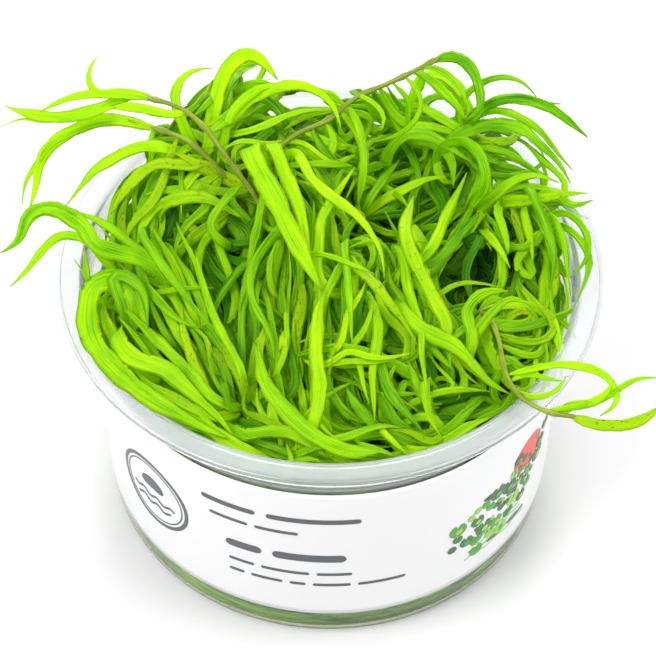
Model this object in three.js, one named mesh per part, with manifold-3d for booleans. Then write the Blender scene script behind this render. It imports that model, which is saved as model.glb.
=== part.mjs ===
// Guppy grass from tissue culture, growing out of its clear round cup.
// Millimetres, +Z up. The origin is the centre of the cup's flat underside, and the
// label's front faces -Y. Every plantlet is one body: a slender stem with its leaves.
import * as THREE from 'three';
import { mergeVertices } from 'three/addons/utils/BufferGeometryUtils.js';
import Module from 'manifold-3d';

// ---------------------------------------------------------------- driving dimensions
const RIM_RADIUS = 50;          // outside of the flange
const CUP_HEIGHT = 57.2;        // underside to the top of the rim
const FLANGE_THICKNESS = 0.8;
const MOUTH_RADIUS = 45.3;      // inside of the mouth
const BODY_TOP_RADIUS = 43.5;   // outside of the body under the step
const FLOOR_RADIUS = 39.6;      // flat part of the underside
const FLOOR_THICKNESS = 0.9;
const WALL = 0.85;
const CUP_SEGMENTS = 36;

const LABEL_BOTTOM = 7.6;       // lower edge of the wrap label over the underside
const LABEL_TOP = 43.8;
const LABEL_GAP = 0.32;         // air between the label's solid and the wall
const LABEL_THICKNESS = 0.35;
const LABEL_ARC_DEG = 344;      // the two ends meet short of each other at the back
const LABEL_SEGMENTS = 36;

const STEM_RADIUS = 0.62;       // at the base, thinning towards the tip
const LEAF_THICKNESS = 0.5;     // of the keel under a leaf's middle

const wasm = await Module();
wasm.setup();

// ---------------------------------------------------------------- finishes
const clear = () => new THREE.MeshStandardMaterial({ color: 0xe6efec, roughness: 0.18, metalness: 0, transparent: true, opacity: 0.45 });
const paper = () => new THREE.MeshStandardMaterial({ color: 0xf2f3f4, roughness: 0.45, metalness: 0 });
const leafy = (i) => {
  const c = new THREE.Color(0x7fd014);
  c.offsetHSL(0.012 * Math.sin(i * 2.4), 0, 0.05 * Math.sin(i * 1.7));
  return new THREE.MeshStandardMaterial({ color: c, roughness: 0.5, metalness: 0 });
};

const group = new THREE.Group();
const place = (name, geometry, material) => {
  const mesh = new THREE.Mesh(geometry, material);
  mesh.name = name;
  group.add(mesh);
};

// ---------------------------------------------------------------- cup
// The body: floor, small outer radius and tapered wall. The rim stands on it: step,
// wide collar, flat flange and a rounded inner lip.
const BODY_TOP = 47.0;
const bodyRadius = (z) => 41.6 + (BODY_TOP_RADIUS - 41.6) * (z - 2) / (BODY_TOP - 2);
const innerTop = BODY_TOP_RADIUS - WALL;
const turned = (points) => {
  const g = new THREE.LatheGeometry(points.map(([r, z]) => new THREE.Vector2(r, z)), CUP_SEGMENTS);
  g.rotateX(Math.PI / 2);
  return closed(g);
};
place('cup', turned([
  [0, 0], [FLOOR_RADIUS, 0], [41.0, 0.6], [41.6, 2.0], [BODY_TOP_RADIUS, BODY_TOP], [innerTop, BODY_TOP],
  [40.7, 2.6], [38.9, FLOOR_THICKNESS], [0, FLOOR_THICKNESS],
]), clear());
place('cup_rim', turned([
  [BODY_TOP_RADIUS, BODY_TOP], [45.2, 48.2], [45.7, CUP_HEIGHT - FLANGE_THICKNESS - 0.2],
  [RIM_RADIUS, CUP_HEIGHT - FLANGE_THICKNESS], [RIM_RADIUS, CUP_HEIGHT], [46.9, CUP_HEIGHT],
  [MOUTH_RADIUS, CUP_HEIGHT - 0.3], [44.7, 55.9], [44.4, 48.9], [innerTop, BODY_TOP],
  [BODY_TOP_RADIUS, BODY_TOP],
]), clear());

// ---------------------------------------------------------------- wrap label
// A thin band round the body, open at the back where its two ends meet.
{
  const r0 = (z) => bodyRadius(z) / Math.cos(0) + LABEL_GAP;
  const half = (LABEL_ARC_DEG / 2) * Math.PI / 180;
  const pos = [];
  const idx = [];
  for (let i = 0; i <= LABEL_SEGMENTS; i++) {
    const a = -Math.PI / 2 - half + (2 * half * i) / LABEL_SEGMENTS;
    for (const [dr, z] of [[0, LABEL_BOTTOM], [LABEL_THICKNESS, LABEL_BOTTOM], [LABEL_THICKNESS, LABEL_TOP], [0, LABEL_TOP]]) {
      const r = r0(z) + dr;
      pos.push(r * Math.cos(a), r * Math.sin(a), z);
    }
  }
  for (let i = 0; i < LABEL_SEGMENTS; i++) {
    const a = 4 * i, b = 4 * (i + 1);
    for (let k = 0; k < 4; k++) {
      const l = (k + 1) % 4;
      idx.push(a + k, b + k, b + l, a + k, b + l, a + l);
    }
  }
  const e = 4 * LABEL_SEGMENTS;
  idx.push(0, 1, 2, 0, 2, 3, e, e + 2, e + 1, e, e + 3, e + 2);
  const g = new THREE.BufferGeometry();
  g.setAttribute('position', new THREE.Float32BufferAttribute(pos, 3));
  g.setIndex(idx);
  place('wrap_label', g, paper());
}

// ---------------------------------------------------------------- plantlets
// linked: the leaves double back, and are made of wedges joined end to end.
// turn: how far the stem's three-sided section is turned, degrees.
// stem: points of the stem's middle line from the cup's floor upwards.
// leaves: [width, [x, y, z, then the direction across the leaf] ...] from base to tip.
const PLANTLETS = [
  { name: "plantlet_01", turn: 0,
    stem: [[-10.55,6.66,2.6],[-12.11,6.41,16.43],[-12.17,5.69,30.04],[-10.02,4.27,43.83],[-10.55,4.32,58.6],[-16.09,10.26,69.34],[-24.74,17.76,77.44],[-37.5,21.75,79.2]],
    leaves: [
      [1.76,[-33.92,20.63,78.71,-0.2,0.76,0.62],[-44.34,18.81,77.61,-0.14,0.75,0.65],[-53.08,20.69,74.6,0.13,0.79,0.6],[-60.31,25.5,72.2,0.35,0.78,0.51]],
      [0.73,[-33.92,20.63,78.71,-0.19,0.69,0.7],[-43.58,19.17,77.49,-0.21,0.65,0.73],[-52.58,20.85,73.14,-0.15,0.74,0.65],[-61.12,22.04,70.2,-0.19,0.57,0.8]],
      [1.17,[-32.78,20.27,78.55,0.25,0.67,0.7],[-39.35,20.03,81.1,0.09,0.66,0.74],[-46.42,19.28,81.16,-0.24,0.63,0.74],[-52.87,17.21,79.2,-0.4,0.57,0.72]],
      [1.17,[-31.35,19.83,78.35,0.36,0.74,0.56],[-37.43,22.03,79.36,0.22,0.78,0.59],[-44.06,21.22,81.23,0.72,0.6,0.34],[-42.59,24.4,86.2,0.96,0.0,-0.29]],
      [1.32,[-26.57,18.33,77.7,-0.0,0.76,0.65],[-30.32,17.12,79.12,0.15,0.65,0.74],[-35.67,18.7,79.16,0.07,0.65,0.76],[-40.7,19.37,78.2,-0.06,0.64,0.77]] ] },
  { name: "plantlet_02", turn: 0,
    stem: [[-12.56,10.63,2.6],[-15.07,10.75,17.07],[-15.93,10.18,31.7],[-14.74,8.91,46.28],[-15.69,9.93,60.74],[-23.84,14.94,71.8],[-37.18,19.3,75.2]],
    leaves: [
      [1.91,[-31.15,17.33,73.66,0.24,0.45,0.86],[-39.7,19.7,74.81,-0.04,0.46,0.89],[-47.54,20.1,71.43,-0.53,0.31,0.79],[-53.5,16.96,66.51,-0.81,0.01,0.58],[-55.64,10.78,60.2,-0.89,-0.13,0.43]],
      [0.73,[-33.44,18.08,74.25,-0.06,0.48,0.88],[-45.45,19.55,72.62,-0.32,0.41,0.86],[-53.44,17.43,67.14,-0.76,0.11,0.64],[-57.0,11.77,60.2,-0.86,-0.08,0.51]],
      [1.76,[-25.13,15.36,72.13,0.04,0.83,0.56],[-33.48,15.66,72.21,-0.19,0.88,0.43],[-42.1,12.71,69.87,-0.57,0.74,0.34],[-48.59,7.69,64.2,-0.72,0.64,0.27]],
      [2.2,[-15.6,9.83,59.28,0.59,-0.8,0.1],[-15.03,11.03,65.58,0.8,-0.21,0.55],[-21.65,12.39,69.04,0.46,0.52,0.72],[-28.85,14.21,72.2,0.45,0.53,0.72]],
      [1.76,[-22.46,14.09,69.93,-0.09,0.89,0.46],[-29.74,13.0,70.59,-0.24,0.85,0.46],[-36.18,11.75,67.2,-0.62,0.69,0.38],[-40.36,8.57,61.2,-0.8,0.54,0.27]] ] },
  { name: "plantlet_03", turn: 0,
    stem: [[-19.83,15.44,2.6],[-21.22,17.14,18.05],[-22.47,18.07,33.57],[-23.59,18.33,49.13],[-24.59,18.44,64.7]],
    leaves: [
      [2.2,[-24.31,18.41,60.34,0.96,-0.19,-0.18],[-22.16,19.14,71.13,0.98,0.01,-0.2],[-20.77,24.2,77.8,0.91,-0.17,-0.37],[-15.75,29.7,82.03,0.21,-0.61,-0.77],[-9.87,25.45,79.74,-0.62,-0.57,-0.53]],
      [1.76,[-24.31,18.41,60.34,0.98,-0.09,0.18],[-26.1,19.31,70.5,0.97,0.06,0.23],[-28.62,24.36,77.39,0.93,-0.35,-0.07],[-21.87,28.92,79.2,0.58,-0.66,-0.48]] ] },
  { name: "plantlet_04", turn: 0,
    stem: [[-14.83,14.24,2.6],[-16.96,15.68,18.52],[-18.61,16.49,34.53],[-19.81,16.77,50.1],[-20.62,16.95,66.08]],
    leaves: [
      [1.61,[-20.39,16.9,61.6,0.91,0.4,-0.03],[-20.64,18.32,72.85,0.9,-0.37,-0.22],[-13.69,23.78,77.09,0.48,-0.75,-0.47],[-4.35,25.84,77.47,-0.34,-0.8,-0.5],[1.75,20.21,72.2,-0.77,-0.59,-0.26]],
      [1.17,[-20.39,16.9,61.6,0.99,-0.08,-0.12],[-19.03,19.6,71.19,0.57,-0.79,-0.23],[-9.58,21.07,74.23,0.26,-0.89,-0.38],[0.51,24.25,73.42,0.23,-0.86,-0.45]],
      [1.32,[-20.39,16.9,61.6,0.9,0.43,-0.03],[-19.76,16.37,71.44,0.94,0.17,-0.3],[-16.27,22.24,77.49,0.58,-0.33,-0.74],[-7.67,25.09,77.03,0.05,-0.32,-0.95]] ] },
  { name: "plantlet_05", turn: 0,
    stem: [[-6.16,14.14,2.6],[-6.07,15.29,17.42],[-7.52,15.49,32.19],[-10.68,15.13,46.82],[-13.12,15.27,61.2],[-5.45,21.35,70.73],[6.76,28.8,73.79],[19.87,32.39,79.2]],
    leaves: [
      [1.61,[16.2,31.38,77.68,0.12,-0.56,-0.82],[24.51,31.14,79.03,-0.38,-0.59,-0.71],[27.21,25.88,76.32,-0.99,0.13,-0.09],[24.25,23.8,71.2,-0.71,0.7,0.13]],
      [1.32,[14.97,31.04,77.18,-0.4,-0.47,-0.79],[18.7,27.56,77.34,-0.57,-0.43,-0.7],[22.33,25.46,74.66,-0.77,-0.3,-0.56],[24.62,23.8,71.21,-0.86,-0.16,-0.49]],
      [0.88,[16.2,31.38,77.68,-0.22,-0.71,-0.67],[20.07,29.0,78.95,-0.5,-0.74,-0.44],[23.6,26.96,76.7,-0.81,-0.54,-0.24],[24.88,23.96,74.2,-0.93,-0.36,-0.05]],
      [0.73,[13.14,30.54,76.42,-0.86,-0.42,-0.29],[16.42,23.57,76.85,-0.99,-0.09,0.09],[13.71,20.28,72.44,-0.68,0.41,0.61],[7.49,20.13,69.2,-0.39,0.57,0.72]],
      [0.73,[5.14,27.81,73.38,-0.41,-0.66,-0.63],[7.16,26.0,73.94,-0.64,-0.66,-0.39],[9.34,24.03,72.84,-0.93,-0.36,-0.04],[8.95,21.74,70.2,-0.97,-0.08,0.21]],
      [1.17,[3.06,26.54,72.86,-0.93,-0.27,-0.25],[5.49,21.42,69.38,-0.98,-0.18,-0.13],[5.95,16.2,65.34,-1.0,0.01,0.05],[4.86,12.11,60.2,-0.99,0.1,0.13]] ] },
  { name: "plantlet_06", turn: 0, linked: true,
    stem: [[19.84,20.14,2.6],[22.94,22.82,17.14],[24.81,24.65,32.52],[25.44,25.64,48.1],[25.68,26.06,63.2]],
    leaves: [
      [1.03,[25.62,25.94,58.97,0.99,-0.02,0.16],[23.98,29.91,69.48,0.87,-0.48,-0.12],[30.66,30.69,75.69,0.0,-0.83,-0.56],[38.02,26.73,74.2,-0.5,-0.78,-0.39]],
      [1.61,[25.62,25.94,58.97,0.98,0.2,0.03],[25.43,25.46,68.76,0.82,-0.47,-0.33],[31.97,26.33,74.4,0.14,-0.81,-0.57],[40.45,24.2,74.22,-0.4,-0.73,-0.55],[47.36,21.71,69.2,-0.59,-0.64,-0.5]],
      [1.03,[25.61,25.93,58.67,0.96,0.24,-0.16],[26.79,27.54,68.09,0.89,-0.08,-0.44],[33.54,26.78,74.6,0.24,-0.48,-0.84],[42.32,26.48,73.2,-0.15,-0.49,-0.86]],
      [1.03,[25.59,25.89,57.16,0.89,0.44,0.14],[24.42,25.43,66.15,0.93,-0.1,-0.36],[31.06,26.52,71.17,0.1,-0.53,-0.84],[38.8,22.32,69.86,-0.59,-0.42,-0.69],[44.65,17.08,65.2,-0.74,-0.3,-0.6]],
      [2.06,[25.56,25.83,55.15,0.7,0.51,0.5],[21.58,23.09,63.61,0.98,0.08,-0.2],[28.63,24.45,69.28,0.27,-0.32,-0.91],[37.98,20.6,69.4,-0.53,-0.54,-0.65],[44.13,14.09,65.1,-0.77,-0.6,-0.19]] ] },
  { name: "plantlet_07", turn: 0,
    stem: [[16.59,13.71,2.6],[19.6,13.55,16.31],[21.4,13.68,30.22],[22.36,14.53,44.2]],
    leaves: [
      [1.91,[22.09,14.29,40.29,0.81,0.3,0.5],[15.7,17.86,48.48,0.82,0.27,0.5],[10.83,21.15,55.12,0.96,0.03,0.26],[11.29,23.78,63.84,0.72,-0.6,-0.35],[18.53,23.3,67.41,-0.24,-0.85,-0.47],[26.23,18.8,65.26,-0.54,-0.72,-0.44]],
      [1.76,[22.09,14.29,40.29,0.92,0.39,-0.01],[20.38,18.56,49.3,0.93,0.38,-0.01],[19.33,21.53,58.04,0.96,0.28,-0.07],[20.81,21.24,67.11,0.83,-0.25,-0.51],[26.26,15.65,72.18,0.84,0.55,0.01],[27.66,10.72,66.26,0.99,-0.15,-0.06],[24.76,11.41,57.57,0.75,-0.62,-0.23],[21.27,9.28,49.2,0.76,-0.62,-0.16]],
      [1.76,[22.05,14.26,39.71,1.0,-0.0,0.05],[21.6,11.51,49.49,0.78,-0.57,-0.25],[26.05,11.58,58.51,0.59,-0.74,-0.32],[32.36,13.19,65.46,0.31,-0.84,-0.44],[41.9,13.82,65.52,0.06,-0.88,-0.48]],
      [2.06,[21.95,14.16,38.21,0.97,0.23,-0.1],[22.84,14.43,47.03,0.97,0.08,-0.23],[25.89,14.16,54.72,0.8,-0.29,-0.53],[31.63,12.55,61.35,0.44,-0.52,-0.73],[38.62,10.19,65.11,0.17,-0.47,-0.87],[47.26,12.02,64.73,0.06,-0.46,-0.88]],
      [1.32,[21.78,14.01,35.71,0.46,0.68,0.57],[19.98,9.3,42.77,0.59,0.74,0.33],[22.59,7.05,49.77,-0.18,0.98,0.07],[26.36,9.39,57.2,-0.77,0.6,0.2]] ] },
  { name: "plantlet_08", turn: 0,
    stem: [[28.77,7.19,2.6],[33.91,7.29,21.03],[37.19,7.59,39.88],[39.12,8.34,58.9]],
    leaves: [
      [1.32,[38.58,8.13,53.57,0.98,0.05,0.17],[36.29,12.39,65.68,0.99,-0.08,-0.12],[39.47,3.21,64.26,0.98,0.15,0.11],[39.96,-6.05,58.2,0.99,0.1,-0.07]],
      [1.03,[38.58,8.13,53.57,0.95,-0.23,-0.19],[40.4,7.45,63.35,0.88,0.47,0.05],[42.77,-0.76,62.2,0.98,0.18,0.07],[43.61,-8.32,59.2,0.99,0.09,0.05]],
      [1.03,[38.58,8.13,53.57,0.93,0.01,-0.37],[42.11,9.14,62.47,0.48,-0.45,-0.75],[46.95,2.48,62.43,0.95,0.12,-0.27],[43.32,-5.11,60.2,0.91,-0.4,-0.13]],
      [1.03,[38.51,8.1,52.89,0.87,-0.27,-0.41],[42.11,6.9,61.22,0.25,-0.53,-0.81],[47.01,-1.16,61.51,-0.47,0.04,-0.88],[44.64,-9.74,59.2,-0.88,0.34,-0.35]],
      [1.17,[38.58,8.13,53.57,1.0,0.03,0.08],[37.8,13.63,61.41,0.89,-0.38,-0.26],[42.65,11.42,62.84,-0.04,-0.8,-0.59],[48.26,11.95,62.9,0.08,-0.8,-0.6]] ] },
  { name: "plantlet_09", turn: 0,
    stem: [[-9.46,12.92,2.6],[-11.16,12.95,19.08],[-11.85,13.03,35.62],[-11.46,12.57,51.32],[-10.87,14.23,68.17]],
    leaves: [
      [2.94,[-11.03,13.76,63.45,0.93,0.17,0.32],[-14.67,13.9,74.11,0.55,0.67,0.49],[-12.65,6.44,75.21,0.94,0.34,0.08],[-9.08,-1.47,74.25,0.9,0.42,0.05],[-5.54,-8.3,71.34,0.86,0.49,0.09],[-1.4,-13.3,65.56,0.83,0.54,0.13]],
      [2.06,[-11.03,13.76,63.45,0.99,0.11,-0.04],[-10.74,14.68,73.81,0.7,0.65,0.3],[-7.49,5.63,72.88,0.93,0.27,0.26],[-4.85,-3.04,71.06,0.96,0.24,0.14],[-2.44,-11.3,66.54,0.97,0.19,0.17]],
      [1.47,[-11.03,13.76,63.45,0.82,-0.48,-0.3],[-7.3,15.46,71.01,0.27,-0.73,-0.62],[-3.96,8.17,73.06,-0.65,-0.49,-0.59],[1.57,1.8,72.64,-0.71,-0.58,-0.41],[7.43,-3.97,70.48,-0.87,-0.44,-0.23],[9.7,-11.09,66.53,-0.96,-0.29,-0.03]] ] },
  { name: "plantlet_10", turn: 0,
    stem: [[10.41,-7.36,2.6],[11.11,-5.82,21.59],[11.7,-5.38,41.14],[12.15,-5.29,60.2]],
    leaves: [
      [2.06,[12.02,-5.32,54.86,0.98,-0.2,0.01],[13.84,3.82,59.68,0.98,-0.22,0.02],[15.03,9.22,65.93,0.98,-0.19,-0.03],[13.62,1.2,68.71,0.95,-0.07,-0.29],[14.68,-7.91,68.84,0.95,0.26,0.15],[18.66,-15.81,66.13,0.94,0.3,0.14],[20.7,-23.08,61.2,0.96,0.27,0.0]],
      [1.47,[12.02,-5.32,54.86,0.96,0.26,-0.11],[12.03,-1.23,64.28,0.99,-0.07,-0.14],[13.35,-9.04,65.91,0.89,0.2,0.41],[15.06,-16.94,65.21,0.87,0.02,0.5],[16.28,-24.65,61.58,0.93,-0.01,0.37],[17.27,-32.94,59.2,0.93,0.01,0.37]],
      [1.76,[12.02,-5.32,54.86,0.74,0.34,0.58],[5.52,-3.18,61.86,0.7,0.47,0.55],[5.65,-9.24,66.33,0.78,0.45,0.43],[10.74,-16.81,66.48,0.82,0.53,0.21],[15.7,-23.3,62.2,0.83,0.53,0.17]],
      [2.5,[12.01,-5.32,54.18,0.39,0.68,0.62],[11.61,-12.26,62.05,0.4,0.57,0.72],[15.88,-20.25,63.82,0.61,0.59,0.53],[24.33,-24.89,61.44,0.58,0.61,0.54],[32.4,-29.97,57.2,0.63,0.58,0.51]] ] },
  { name: "plantlet_11", turn: 0,
    stem: [[4.44,-6.31,2.6],[3.39,-7.32,21.63],[3.6,-7.64,41.21],[5.53,-7.71,60.2]],
    leaves: [
      [0.88,[4.99,-7.69,54.88,0.6,0.69,0.4],[-2.98,-5.47,62.81,0.71,0.64,0.28],[-0.33,-7.75,68.77,0.13,0.77,0.62],[8.17,-12.1,68.67,0.35,0.67,0.65]],
      [1.17,[4.99,-7.69,54.88,0.97,-0.07,0.22],[3.84,-0.3,62.11,0.98,0.02,0.18],[2.7,-6.61,67.25,1.0,-0.04,-0.08],[3.56,-16.44,67.31,0.98,0.08,-0.17],[3.98,-25.53,65.2,0.98,0.09,-0.18]],
      [0.73,[4.99,-7.69,54.88,-0.49,-0.83,-0.27],[12.51,-13.62,59.39,-0.02,-0.93,-0.37],[20.84,-12.06,64.89,0.22,-0.91,-0.36],[30.98,-11.24,64.53,0.06,-0.92,-0.4]] ] },
  { name: "plantlet_12", turn: 37,
    stem: [[20.04,-20.32,2.6],[24.21,-20.72,20.15],[25.29,-20.9,37.65],[25.47,-20.97,55.7]],
    leaves: [
      [1.76,[25.42,-20.95,50.65,0.74,0.67,0.03],[25.42,-21.36,61.05,1.0,0.07,-0.01],[25.16,-15.83,65.12,0.79,-0.3,-0.53],[31.76,-13.08,65.83,0.27,-0.43,-0.86]],
      [1.32,[25.42,-20.95,50.65,0.96,0.29,-0.05],[25.64,-20.02,60.62,0.95,-0.17,-0.25],[29.92,-15.72,64.53,0.48,-0.6,-0.64],[36.14,-14.28,63.2,-0.15,-0.23,-0.96]] ] },
  { name: "plantlet_13", turn: 0,
    stem: [[-25.88,-10.12,2.6],[-30.75,-11.42,19.93],[-34.26,-12.72,37.06],[-36.85,-14.09,54.87]],
    leaves: [
      [2.94,[-36.13,-13.71,49.88,0.98,-0.22,-0.03],[-35.21,-11.06,60.67,0.84,0.48,0.24],[-42.16,-8.95,61.4,0.63,-0.76,-0.14],[-43.06,-17.29,59.09,0.96,0.14,0.25],[-39.07,-24.64,58.4,0.69,0.47,0.55],[-32.95,-31.19,58.25,0.53,0.58,0.62],[-25.54,-36.15,57.7,0.42,0.62,0.66],[-17.53,-40.03,56.75,0.39,0.64,0.67]],
      [1.91,[-36.13,-13.71,49.88,0.99,-0.03,0.15],[-37.62,-11.56,60.23,0.99,0.04,-0.12],[-34.75,-9.35,62.56,0.73,0.62,0.29],[-32.37,-17.36,59.43,0.94,0.32,-0.09]],
      [2.64,[-36.13,-13.71,49.88,0.71,0.56,0.42],[-38.31,-16.65,57.58,0.48,0.62,0.62],[-35.58,-24.19,59.96,0.55,0.61,0.57],[-28.33,-27.7,59.79,0.52,0.65,0.56],[-21.95,-33.11,57.63,0.68,0.53,0.5],[-16.57,-38.84,55.61,0.73,0.53,0.44]] ] },
  { name: "plantlet_14", turn: 0,
    stem: [[-16.03,-24.81,2.6],[-15.56,-28.61,18.68],[-15.16,-29.32,35.67],[-14.84,-29.07,52.2]],
    leaves: [
      [2.2,[-14.93,-29.14,47.57,0.96,0.21,-0.2],[-14.96,-21.71,55.17,0.96,0.18,-0.22],[-12.76,-23.17,61.75,0.87,0.46,0.19],[-11.04,-31.59,61.19,0.79,0.28,0.55],[-5.75,-38.09,59.43,0.58,0.44,0.69],[1.9,-42.5,57.31,0.28,0.54,0.79],[10.48,-42.74,56.8,0.06,0.58,0.82]],
      [1.91,[-14.93,-29.14,47.57,-0.13,0.73,0.67],[-17.0,-35.87,54.58,0.51,0.77,0.39],[-8.01,-38.11,56.23,0.25,0.64,0.73],[0.31,-42.2,54.2,0.45,0.6,0.66]] ] },
  { name: "plantlet_15", turn: 0,
    stem: [[-27.32,-4.2,2.6],[-32.76,-4.35,19.92],[-36.23,-4.97,38.24],[-38.1,-6.81,56.2]],
    leaves: [
      [2.35,[-37.57,-6.3,51.17,0.33,-0.82,-0.47],[-29.99,-7.08,57.82,0.9,-0.36,-0.23],[-33.83,-5.49,64.55,0.67,0.12,0.73],[-42.0,-5.51,68.55,0.51,0.71,0.49],[-47.38,1.25,68.95,0.41,0.74,0.53],[-54.81,3.05,66.42,-0.5,0.56,0.66],[-59.91,-1.97,62.2,-0.79,0.45,0.42]],
      [1.47,[-37.57,-6.3,51.17,0.62,-0.71,-0.32],[-31.27,-4.95,60.25,1.0,-0.04,0.08],[-38.56,-0.56,66.5,0.56,0.66,0.51],[-48.25,1.67,70.19,0.39,0.72,0.57]],
      [1.17,[-37.57,-6.3,51.17,0.98,0.1,0.16],[-39.19,-5.05,60.37,0.89,0.34,0.31],[-44.46,-2.19,66.62,0.3,0.65,0.69],[-52.01,-3.65,64.66,-0.56,0.49,0.66],[-57.9,-7.51,59.2,-0.75,0.41,0.52]],
      [0.73,[-37.47,-6.2,50.21,0.42,0.73,0.54],[-39.0,-9.47,55.8,0.47,0.77,0.42],[-43.18,-7.9,59.67,0.75,0.62,0.22],[-46.51,-2.35,61.2,0.86,0.49,0.1]],
      [0.88,[-37.57,-6.3,51.17,-0.32,0.93,0.2],[-41.85,-9.25,58.14,0.45,0.86,0.24],[-43.94,-5.71,60.71,0.95,0.3,0.08],[-44.56,-2.1,64.2,0.98,0.18,-0.02]] ] },
  { name: "plantlet_16", turn: 0, linked: true,
    stem: [[-25.18,2.69,2.6],[-28.98,5.43,20.61],[-30.75,5.88,39.62],[-31.38,5.03,58.2]],
    leaves: [
      [1.17,[-31.2,5.27,53.0,0.96,0.25,-0.14],[-32.44,14.05,59.89,0.96,0.16,-0.24],[-30.35,19.49,65.91,0.8,-0.24,-0.55],[-27.36,12.89,67.78,0.98,0.2,0.07],[-27.21,4.13,65.16,0.98,-0.04,0.19]],
      [1.91,[-31.2,5.27,53.0,0.99,-0.11,0.04],[-31.3,7.78,63.81,0.72,-0.62,-0.31],[-23.31,6.94,68.12,-0.18,-0.88,-0.44],[-15.72,3.33,66.2,-0.47,-0.8,-0.36]],
      [1.32,[-31.2,5.27,53.0,0.67,0.66,0.34],[-34.3,3.39,62.82,0.47,0.7,0.53],[-32.63,-4.78,67.59,0.7,0.4,0.59],[-26.83,-12.42,64.79,0.71,0.36,0.61],[-20.36,-19.58,62.2,0.66,0.36,0.65]],
      [1.17,[-31.18,5.3,52.18,0.41,0.66,0.63],[-33.82,0.95,58.54,-0.29,0.59,0.76],[-33.59,-7.26,60.96,0.49,0.29,0.83],[-28.99,-14.4,61.01,0.62,0.64,0.46],[-22.06,-17.89,60.19,0.4,0.65,0.64]] ] },
  { name: "plantlet_17", turn: 0,
    stem: [[-9.31,7.37,2.6],[-9.42,6.45,17.47],[-9.6,6.43,33.07],[-10.43,6.74,47.43],[-9.44,6.85,62.33]],
    leaves: [
      [1.17,[-9.72,6.82,58.15,0.97,0.2,0.12],[-11.41,9.4,67.67,0.56,0.6,0.58],[-13.2,1.24,67.27,0.97,-0.2,0.14],[-14.55,-7.7,65.52,0.98,-0.2,0.06],[-16.38,-15.53,62.2,0.97,-0.23,0.02]],
      [1.32,[-9.72,6.82,58.15,0.81,-0.47,-0.36],[-7.26,5.2,65.81,0.91,-0.33,-0.24],[-10.76,-2.5,67.07,0.74,-0.34,-0.58],[-14.1,-9.86,65.84,0.96,-0.02,-0.27],[-12.06,-17.79,63.37,0.97,0.24,0.1],[-9.78,-24.92,60.16,0.95,0.31,-0.03]] ] },
  { name: "plantlet_18", turn: 0,
    stem: [[23.83,-12.43,2.6],[26.18,-15.71,17.58],[26.78,-15.28,32.53],[26.18,-12.34,47.25],[28.01,-14.79,61.06],[31.69,-29.68,60.28],[43.69,-37.66,60.7]],
    leaves: [
      [1.61,[40.33,-35.42,60.58,-0.31,-0.64,-0.71],[47.73,-39.71,61.2,-0.14,-0.66,-0.74],[53.79,-38.94,61.2,0.3,-0.68,-0.67],[58.47,-34.95,61.2,0.54,-0.64,-0.55]],
      [1.32,[40.33,-35.42,60.58,0.39,-0.27,-0.88],[43.58,-36.2,62.29,0.31,-0.62,-0.72],[47.3,-36.07,64.13,0.57,-0.49,-0.66],[49.71,-32.92,65.2,0.77,-0.42,-0.48]],
      [1.03,[31.32,-28.19,60.35,0.17,-0.83,-0.53],[39.69,-29.22,64.68,-0.05,-0.88,-0.47],[48.36,-31.14,64.03,-0.78,-0.54,-0.32],[47.21,-38.6,62.2,-0.9,0.03,0.44]],
      [1.03,[38.77,-34.39,60.53,0.14,-0.52,-0.84],[45.42,-36.43,62.9,0.25,-0.53,-0.81],[51.62,-32.25,63.03,0.27,-0.63,-0.73],[58.87,-29.86,62.2,0.05,-0.47,-0.88]],
      [0.73,[33.26,-30.72,60.33,-0.41,-0.56,-0.72],[35.68,-33.48,61.09,-0.07,-0.69,-0.72],[39.54,-33.3,62.24,0.52,-0.6,-0.61],[41.56,-30.46,63.2,0.81,-0.45,-0.37]],
      [0.73,[31.69,-29.68,60.28,0.5,-0.58,-0.64],[34.34,-29.13,61.86,0.18,-0.66,-0.73],[37.83,-30.09,62.21,-0.13,-0.68,-0.72],[40.91,-30.78,62.2,-0.15,-0.66,-0.73]] ] },
  { name: "plantlet_19", turn: 0,
    stem: [[5.09,32.4,2.4],[4.15,31.06,19.14],[3.12,29.46,35.35],[1.94,27.47,52.01]],
    leaves: [
      [1.52,[2.27,28.03,47.34,0.67,0.63,0.39],[0.25,23.98,57.52,0.2,0.84,0.5],[-3.49,20.32,62.51,-0.14,0.82,0.55],[-8.71,17.22,65.35,-0.24,0.85,0.48]],
      [1.39,[3.8,30.51,24.71,0.88,0.23,0.42],[1.08,31.65,29.72,0.8,0.33,0.5],[-3.23,33.32,33.99,0.56,0.5,0.66],[-8.46,35.3,35.15,0.38,0.56,0.74]],
      [1.61,[3.8,30.51,24.71,0.4,0.69,0.61],[1.1,25.98,31.59,0.09,0.76,0.64],[-1.79,20.42,37.59,-0.46,0.69,0.57],[-5.17,13.15,42.03,-0.81,0.48,0.33],[-8.5,5.28,43.17,-0.9,0.4,0.17]],
      [2.0,[4.77,31.95,7.98,-0.56,-0.46,-0.69],[6.59,26.45,10.15,-0.6,-0.44,-0.66],[8.33,20.38,12.46,-0.65,-0.41,-0.64],[9.75,14.71,14.56,-0.69,-0.4,-0.61]] ] },
  { name: "plantlet_20", turn: 0,
    stem: [[-14.72,-6.59,2.4],[-16.17,-8.45,20.33],[-18.52,-12.26,37.3],[-22.14,-19.18,53.61]],
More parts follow.
